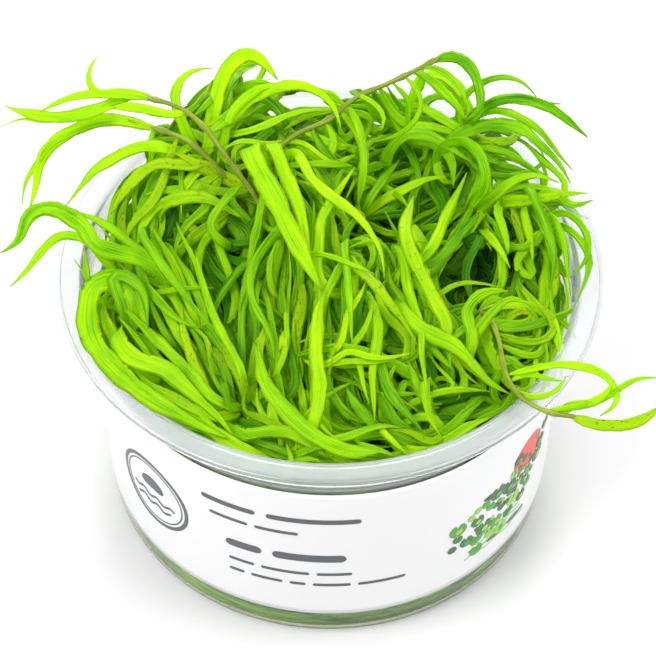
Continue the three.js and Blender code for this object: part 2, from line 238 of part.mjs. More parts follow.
    leaves: [
      [1.66,[-21.12,-17.24,49.05,-0.94,-0.29,-0.17],[-20.34,-23.93,56.17,-0.99,-0.15,0.07],[-18.67,-29.2,57.49,-0.92,-0.25,0.29],[-17.22,-34.66,56.94,-0.89,-0.27,0.35]],
      [1.48,[-15.23,-7.25,8.73,0.19,-0.39,-0.9],[-7.01,-11.17,12.19,0.03,-0.44,-0.9],[0.99,-16.48,13.85,-0.21,-0.4,-0.89],[8.61,-22.56,13.62,-0.33,-0.38,-0.87]],
      [1.68,[-18.02,-11.45,33.71,-0.14,0.73,0.67],[-21.84,-15.39,37.2,-0.3,0.7,0.65],[-25.81,-19.71,39.05,-0.56,0.58,0.59],[-30.2,-24.59,38.22,-0.68,0.53,0.5]],
      [1.61,[-19.37,-13.88,41.13,0.73,-0.5,-0.46],[-16.52,-15.29,47.14,0.52,-0.64,-0.57],[-12.64,-18.45,52.27,-0.24,-0.75,-0.62],[-8.08,-23.01,53.16,-0.62,-0.69,-0.37]] ] },
  { name: "plantlet_21", turn: 0,
    stem: [[-29.72,12.27,2.4],[-31.53,13.53,21.01],[-31.65,16.64,38.95],[-30.53,23.13,56.49]],
    leaves: [
      [1.39,[-30.84,21.31,51.58,0.92,0.13,-0.37],[-28.19,26.92,60.23,0.88,0.05,-0.47],[-25.05,31.36,63.5,0.74,-0.14,-0.66],[-21.74,35.65,65.62,0.69,-0.18,-0.7]],
      [1.28,[-31.33,13.39,18.94,0.88,-0.43,-0.18],[-28.56,17.49,22.72,0.9,-0.41,-0.17],[-25.99,22.36,25.78,0.92,-0.36,-0.14],[-23.69,27.99,27.41,0.93,-0.34,-0.14]],
      [1.7,[-31.37,18.26,43.33,0.63,-0.77,-0.13],[-25.95,21.68,49.09,0.54,-0.83,-0.16],[-19.23,24.37,52.89,0.3,-0.93,-0.22],[-10.85,25.83,52.32,0.14,-0.94,-0.3]],
      [1.93,[-31.57,14.6,27.16,0.78,-0.62,-0.05],[-28.71,17.6,34.11,0.69,-0.72,-0.07],[-23.32,21.26,39.02,0.53,-0.84,-0.13],[-16.06,24.77,39.31,0.43,-0.87,-0.26]] ] },
  { name: "plantlet_22", turn: 0,
    stem: [[-11.19,-16.88,2.4],[-9.46,-15.04,19.67],[-7.08,-15.19,36.44],[-3.8,-17.69,53.4]],
    leaves: [
      [1.46,[-4.72,-16.99,48.65,0.79,0.11,-0.6],[0.25,-14.51,55.69,0.55,-0.05,-0.84],[4.74,-10.67,54.45,-0.38,-0.35,-0.85],[7.24,-8.32,50.02,-0.88,0.06,-0.47]],
      [1.83,[-7.59,-15.16,32.89,0.78,-0.47,-0.41],[-6.45,-20.0,40.52,0.77,-0.41,-0.49],[-4.41,-25.75,46.7,0.96,0.21,-0.2],[-1.39,-32.6,51.07,0.84,0.49,0.23],[2.75,-40.62,52.52,0.87,0.47,0.13]],
      [2.08,[-5.06,-16.73,46.92,-0.05,-0.77,-0.64],[-1.11,-19.35,49.73,-0.38,-0.74,-0.55],[2.67,-23.97,51.22,-0.77,-0.53,-0.35],[5.2,-28.91,50.27,-0.89,-0.42,-0.19]],
      [2.07,[-10.58,-16.23,8.49,0.19,-0.88,-0.43],[-5.35,-18.54,15.58,0.08,-0.9,-0.43],[0.5,-22.02,22.57,-0.11,-0.9,-0.43],[6.4,-26.17,28.35,-0.28,-0.89,-0.36]] ] },
  { name: "plantlet_23", turn: 0,
    stem: [[1.46,3.94,2.4],[2.11,4.99,20.97],[3.45,7.27,39.39],[5.83,11.47,57.36]],
    leaves: [
      [2.02,[5.16,10.29,52.33,0.95,0.2,-0.24],[5.73,18.09,61.18,0.96,0.18,-0.23],[4.68,25.59,62.15,0.98,0.18,-0.13],[2.95,32.78,60.2,0.95,0.27,0.15]],
      [1.2,[4.97,9.95,50.87,-0.07,-0.84,-0.53],[9.99,6.82,55.17,-0.26,-0.84,-0.48],[15.09,2.61,58.16,-0.6,-0.72,-0.35],[19.77,-2.86,58.32,-0.75,-0.65,-0.13]],
      [1.66,[4.04,8.32,43.88,0.66,0.75,-0.09],[-1.77,13.96,48.1,0.62,0.78,-0.04],[-9.21,19.05,47.71,0.4,0.89,0.21],[-15.24,21.5,41.47,-0.17,0.85,0.5]],
      [1.98,[1.68,4.29,8.59,0.02,-0.85,-0.52],[5.72,2.25,12.09,-0.08,-0.87,-0.48],[10.27,0.14,14.81,-0.21,-0.87,-0.44],[15.2,-2.22,16.48,-0.29,-0.87,-0.39]] ] },
  { name: "plantlet_24", turn: 0,
    stem: [[14.67,29.31,2.4],[16.67,29.46,19.32],[19.58,29.42,36.62],[23.44,29.11,53.21]],
    leaves: [
      [1.44,[22.36,29.2,48.56,0.81,0.55,0.2],[19.21,30.81,56.78,0.7,0.63,0.34],[14.14,32.86,58.66,0.39,0.74,0.55],[8.78,35.04,58.45,0.28,0.75,0.6]],
      [1.96,[17.69,29.44,25.42,0.11,-0.97,-0.2],[20.92,28.77,30.63,0.26,-0.94,-0.21],[23.93,28.86,36.06,0.39,-0.91,-0.11],[26.98,30.1,41.3,0.46,-0.89,-0.05]],
      [1.41,[15.4,29.36,8.55,-0.98,0.19,0.09],[14.57,22.62,13.25,-0.98,-0.05,-0.17],[14.49,15.92,17.15,-0.93,-0.19,-0.3],[14.96,8.47,20.7,-0.89,-0.24,-0.38]],
      [2.03,[18.98,29.43,33.06,-0.96,0.24,0.15],[18.49,25.15,36.9,-0.95,0.27,0.13],[17.42,20.57,40.24,-0.57,0.54,0.63],[15.61,15.6,42.51,-0.56,0.5,0.66]] ] },
  { name: "plantlet_25", turn: 0,
    stem: [[-35.48,-7.11,2.4],[-36.28,-8.74,17.82],[-37.14,-11.22,33.11],[-38.07,-14.82,48.18]],
    leaves: [
      [1.66,[-37.81,-13.81,43.96,0.54,-0.5,-0.68],[-32.0,-19.8,52.92,-0.0,-0.6,-0.8],[-25.68,-26.33,53.34,-0.6,-0.27,-0.75],[-20.88,-32.36,48.49,-0.77,-0.1,-0.63]],
      [1.34,[-36.57,-9.57,22.91,-0.49,-0.68,-0.55],[-33.49,-16.6,28.8,-0.64,-0.61,-0.47],[-28.49,-24.98,31.76,-0.75,-0.52,-0.4],[-22.88,-32.58,29.78,-0.79,-0.49,-0.36]],
      [1.52,[-35.75,-7.66,7.54,-0.45,-0.64,-0.62],[-31.66,-14.21,11.36,-0.24,-0.64,-0.73],[-26.28,-20.34,15.64,-0.05,-0.64,-0.77],[-20.36,-25.24,19.72,0.05,-0.61,-0.79]],
      [1.74,[-35.75,-7.66,7.54,0.77,-0.47,-0.43],[-30.17,-6.87,16.69,0.76,-0.48,-0.44],[-25.09,-7.27,25.55,0.72,-0.51,-0.47],[-19.93,-9.06,34.77,0.65,-0.59,-0.48]] ] },
  { name: "plantlet_26", turn: 185,
    stem: [[-15.13,-33.22,2.4],[-13.05,-30.69,16.36],[-10.34,-28.39,29.7],[-6.62,-26.17,43.37]],
    leaves: [
      [1.93,[-7.66,-26.79,39.54,-0.59,-0.8,-0.09],[-3.28,-30.88,47.64,-0.78,-0.63,0.04],[0.29,-35.99,50.0,-0.82,-0.55,0.18],[4.41,-41.79,49.51,-0.77,-0.57,0.28]],
      [1.51,[-8.0,-26.99,38.31,0.55,0.71,0.43],[-7.1,-31.76,44.99,0.55,0.74,0.39],[-3.81,-36.75,50.71,-0.03,0.65,0.76],[1.98,-41.71,53.79,-0.15,0.39,0.91]],
      [1.74,[-10.86,-28.83,27.14,0.85,-0.22,0.47],[-12.24,-20.25,33.66,0.81,-0.07,0.58],[-16.24,-10.88,36.95,0.57,0.27,0.78],[-22.17,-2.32,34.75,0.1,0.31,0.94]],
      [2.05,[-12.11,-29.89,20.98,0.35,-0.93,-0.1],[-9.17,-29.33,25.91,0.42,-0.91,-0.06],[-5.85,-27.66,30.25,0.52,-0.85,0.08],[-1.9,-24.33,32.46,0.61,-0.79,0.1]] ] },
  { name: "plantlet_27", turn: 0,
    stem: [[27.27,-24.26,2.4],[26.41,-26.3,19.26],[24.39,-27.34,35.59],[20.19,-27.82,52.05]],
    leaves: [
      [1.75,[21.37,-27.68,47.44,0.8,0.11,0.59],[12.13,-25.65,59.55,0.61,0.3,0.74],[1.99,-23.62,61.86,-0.05,0.44,0.89],[-7.67,-22.22,56.71,-0.43,0.26,0.87]],
      [2.08,[24.83,-27.11,32.02,0.26,0.93,0.25],[23.21,-28.48,38.9,0.48,0.85,0.21],[22.03,-28.99,46.01,0.62,0.78,0.09],[21.41,-28.68,53.19,0.7,0.72,0.03]],
      [2.05,[26.98,-24.94,8.02,0.65,0.51,0.57],[22.83,-23.64,11.58,0.62,0.52,0.58],[18.37,-22.44,15.04,0.57,0.56,0.6],[13.66,-21.42,18.21,0.54,0.59,0.61]],
      [1.29,[26.51,-26.05,17.22,0.86,-0.51,0.01],[29.76,-20.41,23.61,0.87,-0.49,0.03],[32.56,-14.72,29.46,0.88,-0.46,0.05],[35.23,-8.67,34.99,0.9,-0.44,0.08],[37.94,-1.82,40.38,0.9,-0.43,0.09]] ] },
  { name: "plantlet_28", turn: 0,
    stem: [[-19.4,30.74,2.4],[-20.05,30.82,21.71],[-20.95,31.55,40.99],[-22.17,34.73,60.0]],
    leaves: [
      [1.85,[-21.83,33.84,54.68,0.93,0.08,-0.36],[-18.01,34.5,64.7,0.87,-0.03,-0.49],[-13.72,33.12,69.07,0.6,-0.16,-0.78],[-9.05,30.59,72.4,0.41,-0.35,-0.84]],
      [1.53,[-20.76,31.4,36.93,0.53,-0.76,-0.38],[-16.5,31.69,42.19,0.48,-0.8,-0.37],[-10.91,32.75,46.68,0.38,-0.85,-0.36],[-4.65,34.29,48.53,0.32,-0.87,-0.37]],
      [1.58,[-19.62,30.77,9.01,0.38,-0.67,-0.64],[-15.48,26.84,15.54,0.43,-0.64,-0.64],[-10.94,23.48,22.09,0.46,-0.62,-0.63],[-5.69,20.45,28.95,0.47,-0.61,-0.63],[-0.29,18.07,35.27,0.48,-0.61,-0.63]],
      [1.89,[-20.36,31.07,28.31,0.62,-0.78,-0.13],[-15.49,33.85,35.02,0.56,-0.82,-0.11],[-9.14,37.08,40.12,0.47,-0.87,-0.13],[-1.41,40.43,42.41,0.43,-0.89,-0.16]] ] },
  { name: "plantlet_29", turn: 0,
    stem: [[-5.0,-1.49,2.4],[-5.82,-3.18,19.24],[-5.6,-5.68,36.0],[-3.89,-9.21,52.48]],
    leaves: [
      [1.48,[-4.37,-8.22,47.87,0.98,0.12,-0.15],[-3.33,-5.43,56.8,0.98,0.07,-0.2],[-2.07,-2.1,61.33,0.94,-0.07,-0.34],[0.33,1.03,65.51,0.9,-0.17,-0.39]],
      [1.7,[-5.27,-2.05,8.01,0.09,-0.38,-0.92],[-0.01,-6.89,10.55,0.12,-0.35,-0.93],[5.84,-11.4,12.88,0.12,-0.31,-0.94],[12.12,-15.46,14.92,0.12,-0.29,-0.95]],
      [1.94,[-5.75,-4.01,24.83,0.63,0.75,0.2],[-7.35,-4.15,30.44,0.67,0.71,0.21],[-8.5,-4.71,36.1,0.7,0.68,0.22],[-9.37,-5.75,41.73,0.71,0.66,0.23]],
      [1.52,[-4.51,-7.92,46.49,0.35,0.51,0.79],[-8.77,-10.02,49.73,0.13,0.56,0.82],[-14.21,-12.5,51.14,-0.23,0.51,0.83],[-19.24,-14.48,49.63,-0.41,0.45,0.79]] ] },
  { name: "plantlet_30", turn: 0,
    stem: [[-35.02,1.16,2.4],[-33.74,-0.71,19.73],[-33.58,-2.96,37.06],[-34.12,-5.63,54.32]],
    leaves: [
      [1.78,[-33.97,-4.89,49.49,0.91,-0.08,-0.4],[-28.97,-1.57,60.18,0.83,-0.18,-0.53],[-23.04,2.89,63.82,0.54,-0.38,-0.75],[-16.0,8.01,64.68,0.4,-0.41,-0.82]],
      [1.89,[-33.69,-1.44,25.34,0.96,-0.16,0.24],[-35.08,-0.58,31.38,0.95,-0.11,0.28],[-36.82,0.21,36.8,0.94,-0.06,0.34],[-39.1,1.15,42.57,0.93,-0.01,0.37]],
      [1.32,[-33.69,-1.44,25.34,0.64,-0.48,-0.59],[-32.21,-5.29,30.09,0.62,-0.41,-0.67],[-30.73,-10.76,33.83,0.95,0.11,-0.29],[-29.43,-16.78,34.84,0.92,0.25,0.3]],
      [1.42,[-33.69,-1.44,25.34,0.37,-0.91,-0.18],[-28.16,-0.7,32.87,0.24,-0.96,-0.14],[-21.71,-0.46,38.8,0.08,-0.99,-0.12],[-13.46,-0.67,43.03,-0.0,-1.0,-0.05]] ] },
  { name: "plantlet_31", turn: 0,
    stem: [[21.24,3.84,2.4],[19.92,4.58,19.21],[18.17,6.05,36.44],[16.02,8.51,53.0]],
    leaves: [
      [1.97,[16.62,7.82,48.36,0.81,-0.38,0.45],[15.34,15.22,56.84,0.8,-0.28,0.53],[15.53,22.89,57.88,0.84,-0.02,0.54],[16.5,30.17,55.49,0.97,-0.05,0.24]],
      [1.21,[19.3,5.1,25.29,-0.94,-0.29,-0.19],[20.12,0.31,28.56,-0.98,-0.17,0.04],[21.32,-5.16,29.87,-0.96,-0.23,0.15],[22.72,-10.55,28.52,-0.94,-0.29,0.17]],
      [1.38,[20.76,4.11,8.51,0.94,-0.34,-0.09],[22.81,8.89,11.88,0.93,-0.35,-0.1],[25.04,13.7,15.18,0.92,-0.37,-0.12],[27.53,18.46,18.37,0.91,-0.39,-0.13]],
      [1.54,[16.8,7.62,46.98,0.76,0.54,0.36],[12.92,9.91,51.82,0.69,0.62,0.38],[7.51,14.23,53.22,0.5,0.71,0.5],[3.45,18.1,49.74,-0.04,0.65,0.76]] ] },
  { name: "plantlet_32", turn: 0,
    stem: [[11.04,-21.88,2.4],[10.14,-24.71,18.96],[10.02,-28.74,34.75],[10.33,-34.56,50.53]],
    leaves: [
      [1.57,[10.24,-32.93,46.11,0.88,-0.31,0.35],[7.77,-29.57,55.21,0.81,-0.13,0.57],[3.67,-24.65,57.23,0.28,0.34,0.9],[-1.62,-20.55,54.76,-0.31,0.16,0.94]],
      [1.36,[10.73,-22.85,8.09,-0.49,0.61,0.62],[9.07,-27.31,11.21,-0.8,0.44,0.42],[8.42,-32.47,13.75,-0.97,0.11,0.21],[8.74,-38.01,15.41,-1.0,-0.04,0.05]],
      [1.25,[10.05,-27.96,31.69,0.77,0.38,0.51],[3.64,-26.3,40.18,0.8,0.31,0.51],[-2.81,-22.81,48.64,0.8,0.29,0.52],[-9.13,-16.38,54.17,0.79,0.32,0.53]],
      [2.02,[10.25,-24.36,16.89,0.88,0.47,-0.01],[9.46,-22.66,24.98,0.95,0.28,-0.12],[10.46,-18.68,32.12,0.92,0.02,-0.38],[13.59,-12.07,35.63,0.84,-0.12,-0.52]] ] },
  { name: "plantlet_33", turn: 0,
    stem: [[-12.04,32.51,2.4],[-11.45,29.98,21.1],[-9.64,26.34,40.06],[-5.47,21.66,57.85]],
    leaves: [
      [1.41,[-6.64,22.97,52.87,-0.76,-0.59,-0.28],[-4.37,15.76,61.9,-0.6,-0.65,-0.48],[-2.93,9.93,65.93,-0.6,-0.53,-0.6],[-1.02,3.78,69.2,-0.67,-0.5,-0.55]],
      [1.56,[-10.03,27.13,35.96,0.59,-0.41,-0.69],[-5.55,23.23,42.12,0.44,-0.5,-0.75],[-0.27,18.64,47.3,0.19,-0.53,-0.83],[5.62,13.4,50.95,-0.01,-0.58,-0.82]],
      [1.96,[-10.81,28.7,27.76,0.49,0.42,0.76],[-16.91,27.27,32.47,0.31,0.51,0.81],[-23.07,24.69,34.95,-0.16,0.49,0.85],[-29.58,21.12,33.58,-0.41,0.45,0.79]],
      [1.97,[-11.51,30.26,19.02,0.77,-0.18,-0.61],[-7.12,29.66,24.82,0.81,-0.11,-0.58],[-3.47,29.13,30.54,0.86,-0.06,-0.51],[0.06,28.66,36.95,0.88,-0.01,-0.48]] ] },
  { name: "plantlet_34", turn: 0,
    stem: [[4.41,-34.59,2.4],[6.22,-35.4,16.71],[7.96,-36.73,31.52],[9.52,-38.61,45.76]],
    leaves: [
      [1.48,[9.08,-38.08,41.77,0.49,0.86,-0.17],[3.0,-32.81,51.06,0.54,0.8,-0.24],[-4.16,-26.45,50.62,0.68,0.73,-0.06],[-9.62,-21.61,43.63,0.23,0.87,0.43]],
      [1.48,[8.9,-37.87,40.17,0.7,0.12,-0.7],[12.22,-34.9,43.99,0.71,0.13,-0.69],[15.47,-32.15,47.97,0.71,0.13,-0.69],[18.85,-29.41,51.86,0.71,0.11,-0.7]],
      [1.74,[8.29,-37.13,34.57,0.87,-0.21,0.45],[5.61,-37.23,39.69,0.8,0.05,0.6],[1.23,-38.12,44.11,0.51,0.27,0.82],[-3.87,-39.57,46.37,0.29,0.37,0.88]],
      [1.55,[6.02,-35.32,15.18,0.52,0.64,0.56],[2.22,-36.9,20.55,0.36,0.73,0.59],[-2.96,-37.86,23.84,0.07,0.78,0.63],[-9.57,-38.14,23.36,-0.08,0.78,0.63]] ] },
  { name: "plantlet_35", turn: 0,
    stem: [[-24.5,-24.63,2.4],[-24.83,-24.51,18.63],[-25.14,-23.92,34.85],[-25.44,-21.78,50.94]],
    leaves: [
      [1.33,[-25.35,-22.38,46.43,0.73,-0.66,0.17],[-22.22,-15.66,59.03,0.71,-0.67,0.22],[-17.0,-7.8,63.69,0.78,-0.59,0.21],[-10.83,0.16,61.12,0.72,-0.64,-0.26]],
      [1.55,[-25.33,-22.58,44.9,0.86,0.43,-0.28],[-26.8,-17.23,48.52,0.87,0.33,-0.36],[-27.17,-10.58,51.22,0.85,0.08,-0.52],[-26.2,-4.0,51.44,0.71,-0.08,-0.7]],
      [1.52,[-25.07,-24.05,31.3,0.81,-0.04,-0.59],[-21.12,-24.06,36.72,0.69,-0.19,-0.69],[-16.04,-23.38,40.15,0.35,-0.33,-0.87],[-9.57,-22.06,40.64,0.15,-0.38,-0.92]],
      [1.68,[-25.07,-24.05,31.3,0.69,-0.17,-0.7],[-20.25,-22.4,35.68,0.68,-0.14,-0.72],[-15.47,-19.46,39.39,0.58,-0.21,-0.79],[-10.68,-15.03,40.78,0.49,-0.27,-0.83]] ] },
  { name: "plantlet_36", turn: 0,
    stem: [[18.32,-5.64,2.4],[18.43,-9.01,19.41],[17.98,-12.94,36.28],[15.46,-17.43,52.83]],
    leaves: [
      [1.48,[16.17,-16.17,48.2,-0.07,0.98,0.2],[9.13,-18.67,57.94,-0.15,0.98,0.13],[1.2,-20.12,61.2,-0.17,0.98,0.0],[-6.75,-21.47,60.22,-0.17,0.99,-0.0]],
      [2.02,[16.38,-15.79,46.81,0.71,0.6,0.37],[12.03,-13.46,51.33,0.62,0.66,0.42],[6.56,-12.37,55.96,0.41,0.76,0.5],[0.84,-12.82,59.45,0.23,0.84,0.49]],
      [1.21,[18.08,-12.11,32.7,-0.42,0.77,0.49],[13.87,-16.98,36.74,-0.6,0.72,0.35],[9.13,-23.05,39.66,-0.75,0.63,0.23],[4.76,-29.32,40.81,-0.8,0.58,0.13]],
      [1.55,[18.42,-8.6,17.35,0.54,-0.71,-0.46],[20.35,-13.6,27.29,0.78,-0.51,-0.36],[21.28,-18.22,37.01,0.91,-0.35,-0.22],[21.53,-23.07,47.22,0.93,-0.32,-0.18]] ] },
  { name: "plantlet_37", turn: 0,
    stem: [[32.13,16.01,2.4],[32.4,15.04,19.73],[33.45,14.95,37.55],[36.39,15.53,54.64]],
    leaves: [
      [1.97,[35.57,15.36,49.86,0.93,-0.19,0.32],[33.87,21.13,58.32,0.84,0.0,0.55],[29.81,26.95,58.58,0.24,0.49,0.84],[25.66,31.21,54.69,-0.46,0.31,0.83]],
      [1.54,[33.21,14.97,33.48,0.21,0.8,0.56],[30.77,11.7,39.05,-0.45,0.82,0.34],[26.74,7.95,41.86,-0.62,0.77,-0.18],[21.69,4.47,39.46,-0.5,0.85,-0.18]],
      [1.89,[32.76,15.0,25.84,0.99,0.1,-0.12],[33.34,16.33,31.89,0.99,0.06,-0.15],[34.4,17.69,37.91,0.98,0.01,-0.21],[35.84,19.03,43.84,0.97,-0.04,-0.23]],
      [2.0,[33.21,14.97,33.48,0.85,-0.3,0.43],[31.07,16.46,38.75,0.83,-0.18,0.53],[27.91,18.72,43.04,0.62,0.07,0.78],[23.32,21.78,44.41,0.38,0.16,0.91]] ] },
  { name: "plantlet_38", turn: 0,
    stem: [[7.63,9.0,2.4],[9.99,9.4,20.04],[14.73,11.15,37.63],[22.18,15.71,53.12]],
    leaves: [
      [1.97,[20.1,14.43,48.78,0.66,-0.75,-0.02],[25.2,18.71,57.25,0.71,-0.7,0.03],[27.72,22.59,60.64,0.83,-0.52,0.2],[29.6,27.68,62.38,0.87,-0.41,0.28]],
      [1.54,[9.77,9.36,18.43,0.69,0.69,0.23],[6.88,9.6,26.17,0.53,0.8,0.27],[2.98,9.07,32.83,0.25,0.9,0.35],[-2.82,7.58,38.47,0.0,0.97,0.26]],
      [1.44,[8.49,9.14,8.81,-0.17,0.96,0.23],[-0.88,6.49,12.99,-0.29,0.94,0.2],[-9.1,1.93,17.23,-0.49,0.85,0.18],[-16.23,-4.25,21.42,-0.61,0.78,0.11]],
      [2.03,[13.76,10.79,34.02,0.82,0.24,0.52],[10.31,13.73,38.01,0.76,0.33,0.56],[6.13,15.8,41.39,0.57,0.47,0.67],[0.99,16.95,43.72,0.44,0.54,0.71]] ] },
  { name: "plantlet_39", turn: 0,
    stem: [[-0.86,-12.21,2.4],[-1.07,-10.89,18.7],[-1.68,-10.7,35.55],[-3.03,-11.23,51.85]],
    leaves: [
      [1.27,[-2.65,-11.08,47.28,0.78,0.47,0.42],[-6.83,-12.12,56.12,0.6,0.57,0.57],[-11.22,-14.08,59.28,-0.06,0.59,0.81],[-15.92,-17.22,59.17,-0.41,0.58,0.7]],
      [1.3,[-1.05,-11.01,17.17,0.99,0.12,0.06],[-0.92,-16.89,26.72,0.99,0.16,0.0],[1.17,-24.75,33.61,0.88,0.42,0.23],[5.66,-34.69,33.98,0.9,0.41,0.12]],
      [1.98,[-1.05,-11.01,17.17,0.42,-0.51,-0.75],[2.81,-13.12,20.76,0.16,-0.59,-0.79],[7.16,-16.16,22.66,-0.36,-0.5,-0.79],[11.2,-19.6,21.01,-0.61,-0.39,-0.69]],
      [1.22,[-1.55,-10.74,31.98,0.97,-0.23,-0.04],[-0.32,-6.36,36.27,0.97,-0.23,-0.04],[0.81,-2.2,39.97,0.97,-0.23,-0.04],[2.14,2.72,43.51,0.97,-0.23,-0.05]] ] },
  { name: "plantlet_40", turn: 0,
    stem: [[-5.25,-30.15,2.4],[-5.47,-30.71,18.32],[-6.28,-33.02,33.47],[-8.48,-39.67,47.75]],
    leaves: [
      [1.59,[-7.86,-37.8,43.75,0.82,-0.53,0.2],[-8.18,-34.68,53.6,0.85,-0.4,0.35],[-9.03,-28.14,57.47,0.77,-0.01,0.63],[-11.05,-20.84,57.27,0.57,0.18,0.81]],
      [1.77,[-5.44,-30.64,16.2,0.8,-0.33,0.51],[-5.07,-25.09,19.18,0.79,-0.16,0.59],[-5.13,-18.38,19.05,0.75,0.23,0.62],[-5.49,-13.37,15.38,0.67,0.47,0.58]],
      [1.3,[-6.11,-32.54,30.35,0.79,-0.21,-0.58],[-0.71,-31.41,37.31,0.74,-0.26,-0.62],[5.6,-29.99,43.15,0.62,-0.33,-0.72],[12.88,-27.92,47.42,0.55,-0.37,-0.75]],
      [1.39,[-6.79,-34.57,36.79,0.22,0.97,-0.1],[-13.42,-32.6,41.29,0.2,0.97,-0.13],[-21.15,-30.79,43.07,0.23,0.97,-0.13],[-28.57,-29.19,40.35,0.19,0.98,0.06]] ] }
];

function closed(geometry) {
  const g = geometry.clone();
  g.deleteAttribute('normal');
  g.deleteAttribute('uv');
  return mergeVertices(g, 1e-4);
}

// A lofted body: rings of the same number of points, a cap on the first ring and a point at the last.
function loft(rings, tip) {
  const n = rings[0].length;
  const pos = [];
  const idx = [];
  for (const ring of rings) for (const p of ring) pos.push(p.x, p.y, p.z);
  pos.push(tip.x, tip.y, tip.z);
  for (let i = 0; i + 1 < rings.length; i++) {
    for (let k = 0; k < n; k++) {
      const l = (k + 1) % n;
      const a = i * n + k, b = i * n + l, c = (i + 1) * n + l, d = (i + 1) * n + k;
      idx.push(a, b, c, a, c, d);
    }
  }
  const last = (rings.length - 1) * n, t = rings.length * n;
  for (let k = 0; k < n; k++) idx.push(last + k, last + ((k + 1) % n), t);
  for (let k = 1; k + 1 < n; k++) idx.push(0, k + 1, k);
  const g = new THREE.BufferGeometry();
  g.setAttribute('position', new THREE.Float32BufferAttribute(pos, 3));
  g.setIndex(idx);
  return g;
}

function stemBody(points, turn = 0) {
  const P = points.map((p) => new THREE.Vector3(...p));
  const rings = [];
  const ref = new THREE.Vector3(0.12, 0.99, 0.07).normalize();
  for (let i = 0; i < P.length - 1; i++) {
    const t = new THREE.Vector3().subVectors(P[Math.min(i + 1, P.length - 1)], P[Math.max(i - 1, 0)]).normalize();
    const u = new THREE.Vector3().crossVectors(t, ref).normalize();
    const v = new THREE.Vector3().crossVectors(t, u).normalize();
    const r = STEM_RADIUS * (1 - 0.35 * i / (P.length - 1));
    rings.push([0, 1, 2].map((k) => {
      const a = k * 2 * Math.PI / 3 + turn * Math.PI / 180;
      return P[i].clone().addScaledVector(u, r * Math.cos(a)).addScaledVector(v, r * Math.sin(a));
    }));
  }
  return loft(rings, P[P.length - 1]);
}

function leafSections(row) {
  const width = row[0];
  const st = row.slice(1);
  const P = st.map((s) => new THREE.Vector3(s[0], s[1], s[2]));
  const rings = [];
  const n = P.length;
  for (let i = 0; i < n - 1; i++) {
    const t = new THREE.Vector3().subVectors(P[Math.min(i + 1, n - 1)], P[Math.max(i - 1, 0)]).normalize();
    const w = new THREE.Vector3(st[i][3], st[i][4], st[i][5]);
    w.addScaledVector(t, -w.dot(t)).normalize();
    const m = new THREE.Vector3().crossVectors(w, t).normalize();
    const s = i / (n - 1);
    const half = 0.5 * width * Math.min(0.42 + s * 3.2, 1) * Math.min(Math.sqrt((1 - s) * 2.2), 1);
    const keel = LEAF_THICKNESS * (1 - 0.35 * s);
    rings.push([
      P[i].clone().addScaledVector(w, half).addScaledVector(m, keel * 0.5),
      P[i].clone().addScaledVector(w, -half).addScaledVector(m, keel * 0.5),
      P[i].clone().addScaledVector(m, -keel * 0.5),
    ]);
  }
  return { rings, tip: P[n - 1] };
}

function leafBody(row) {
  const { rings, tip } = leafSections(row);
  return solid(loft(rings, tip));
}

// a leaf that doubles back sharply: each stretch between two sections is a convex wedge, and the wedges are joined
function linkedLeaf(row) {
  const { rings, tip } = leafSections(row);
  let body = null;
  rings.forEach((ring, i) => {
    const next = i + 1 < rings.length ? rings[i + 1] : [tip];
    const wedge = wasm.Manifold.hull([...ring, ...next].map((p) => [p.x, p.y, p.z]));
    body = body ? body.add(wedge) : wedge;
  });
  return body;
}

function solid(geometry) {
  const g = mergeVertices(geometry, 1e-5);
  const pos = g.attributes.position.array;
  const tri = Array.from(g.index.array);
  // faces point out: a body whose signed volume is negative has its triangles turned round
  let volume = 0;
  const a = new THREE.Vector3(), b = new THREE.Vector3(), c = new THREE.Vector3();
  for (let i = 0; i < tri.length; i += 3) {
    a.fromArray(pos, 3 * tri[i]); b.fromArray(pos, 3 * tri[i + 1]); c.fromArray(pos, 3 * tri[i + 2]);
    volume += a.dot(b.cross(c)) / 6;
  }
  if (volume < 0) for (let i = 0; i < tri.length; i += 3) [tri[i + 1], tri[i + 2]] = [tri[i + 2], tri[i + 1]];
  return new wasm.Manifold(new wasm.Mesh({
    numProp: 3,
    vertProperties: new Float32Array(pos),
    triVerts: new Uint32Array(tri),
  }));
}

function geometryOf(m) {
  const out = m.getMesh();
  const g = new THREE.BufferGeometry();
  const np = out.numProp;
  const count = out.vertProperties.length / np;
  const pos = new Float32Array(count * 3);
  for (let i = 0; i < count; i++) for (let k = 0; k < 3; k++) pos[3 * i + k] = out.vertProperties[np * i + k];
  g.setAttribute('position', new THREE.BufferAttribute(pos, 3));
  g.setIndex(Array.from(out.triVerts));
  return mergeVertices(g, 1e-5);
}

PLANTLETS.forEach((row, i) => {
  let body = solid(stemBody(row.stem, row.turn));
  for (const leaf of row.leaves) body = body.add(row.linked ? linkedLeaf(leaf) : leafBody(leaf));
  const parts = body.decompose();
  parts.sort((a, b) => b.volume() - a.volume());
  if (parts.length > 1) console.error(row.name, 'has', parts.length, 'pieces', parts.map((p) => p.volume().toFixed(2)).join(' '));
  place(row.name, geometryOf(parts[0].simplify(0.03)), leafy(i));
});

export default group;
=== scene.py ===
"""Looks of a potted bunch of guppy grass: bright narrow leaves spill out of a clear round culture cup with a
flanged rim and a white wrap label. Metres, Z up, origin at the middle of the cup's underside."""

import math
import bpy
import numpy as np
from mathutils import Matrix


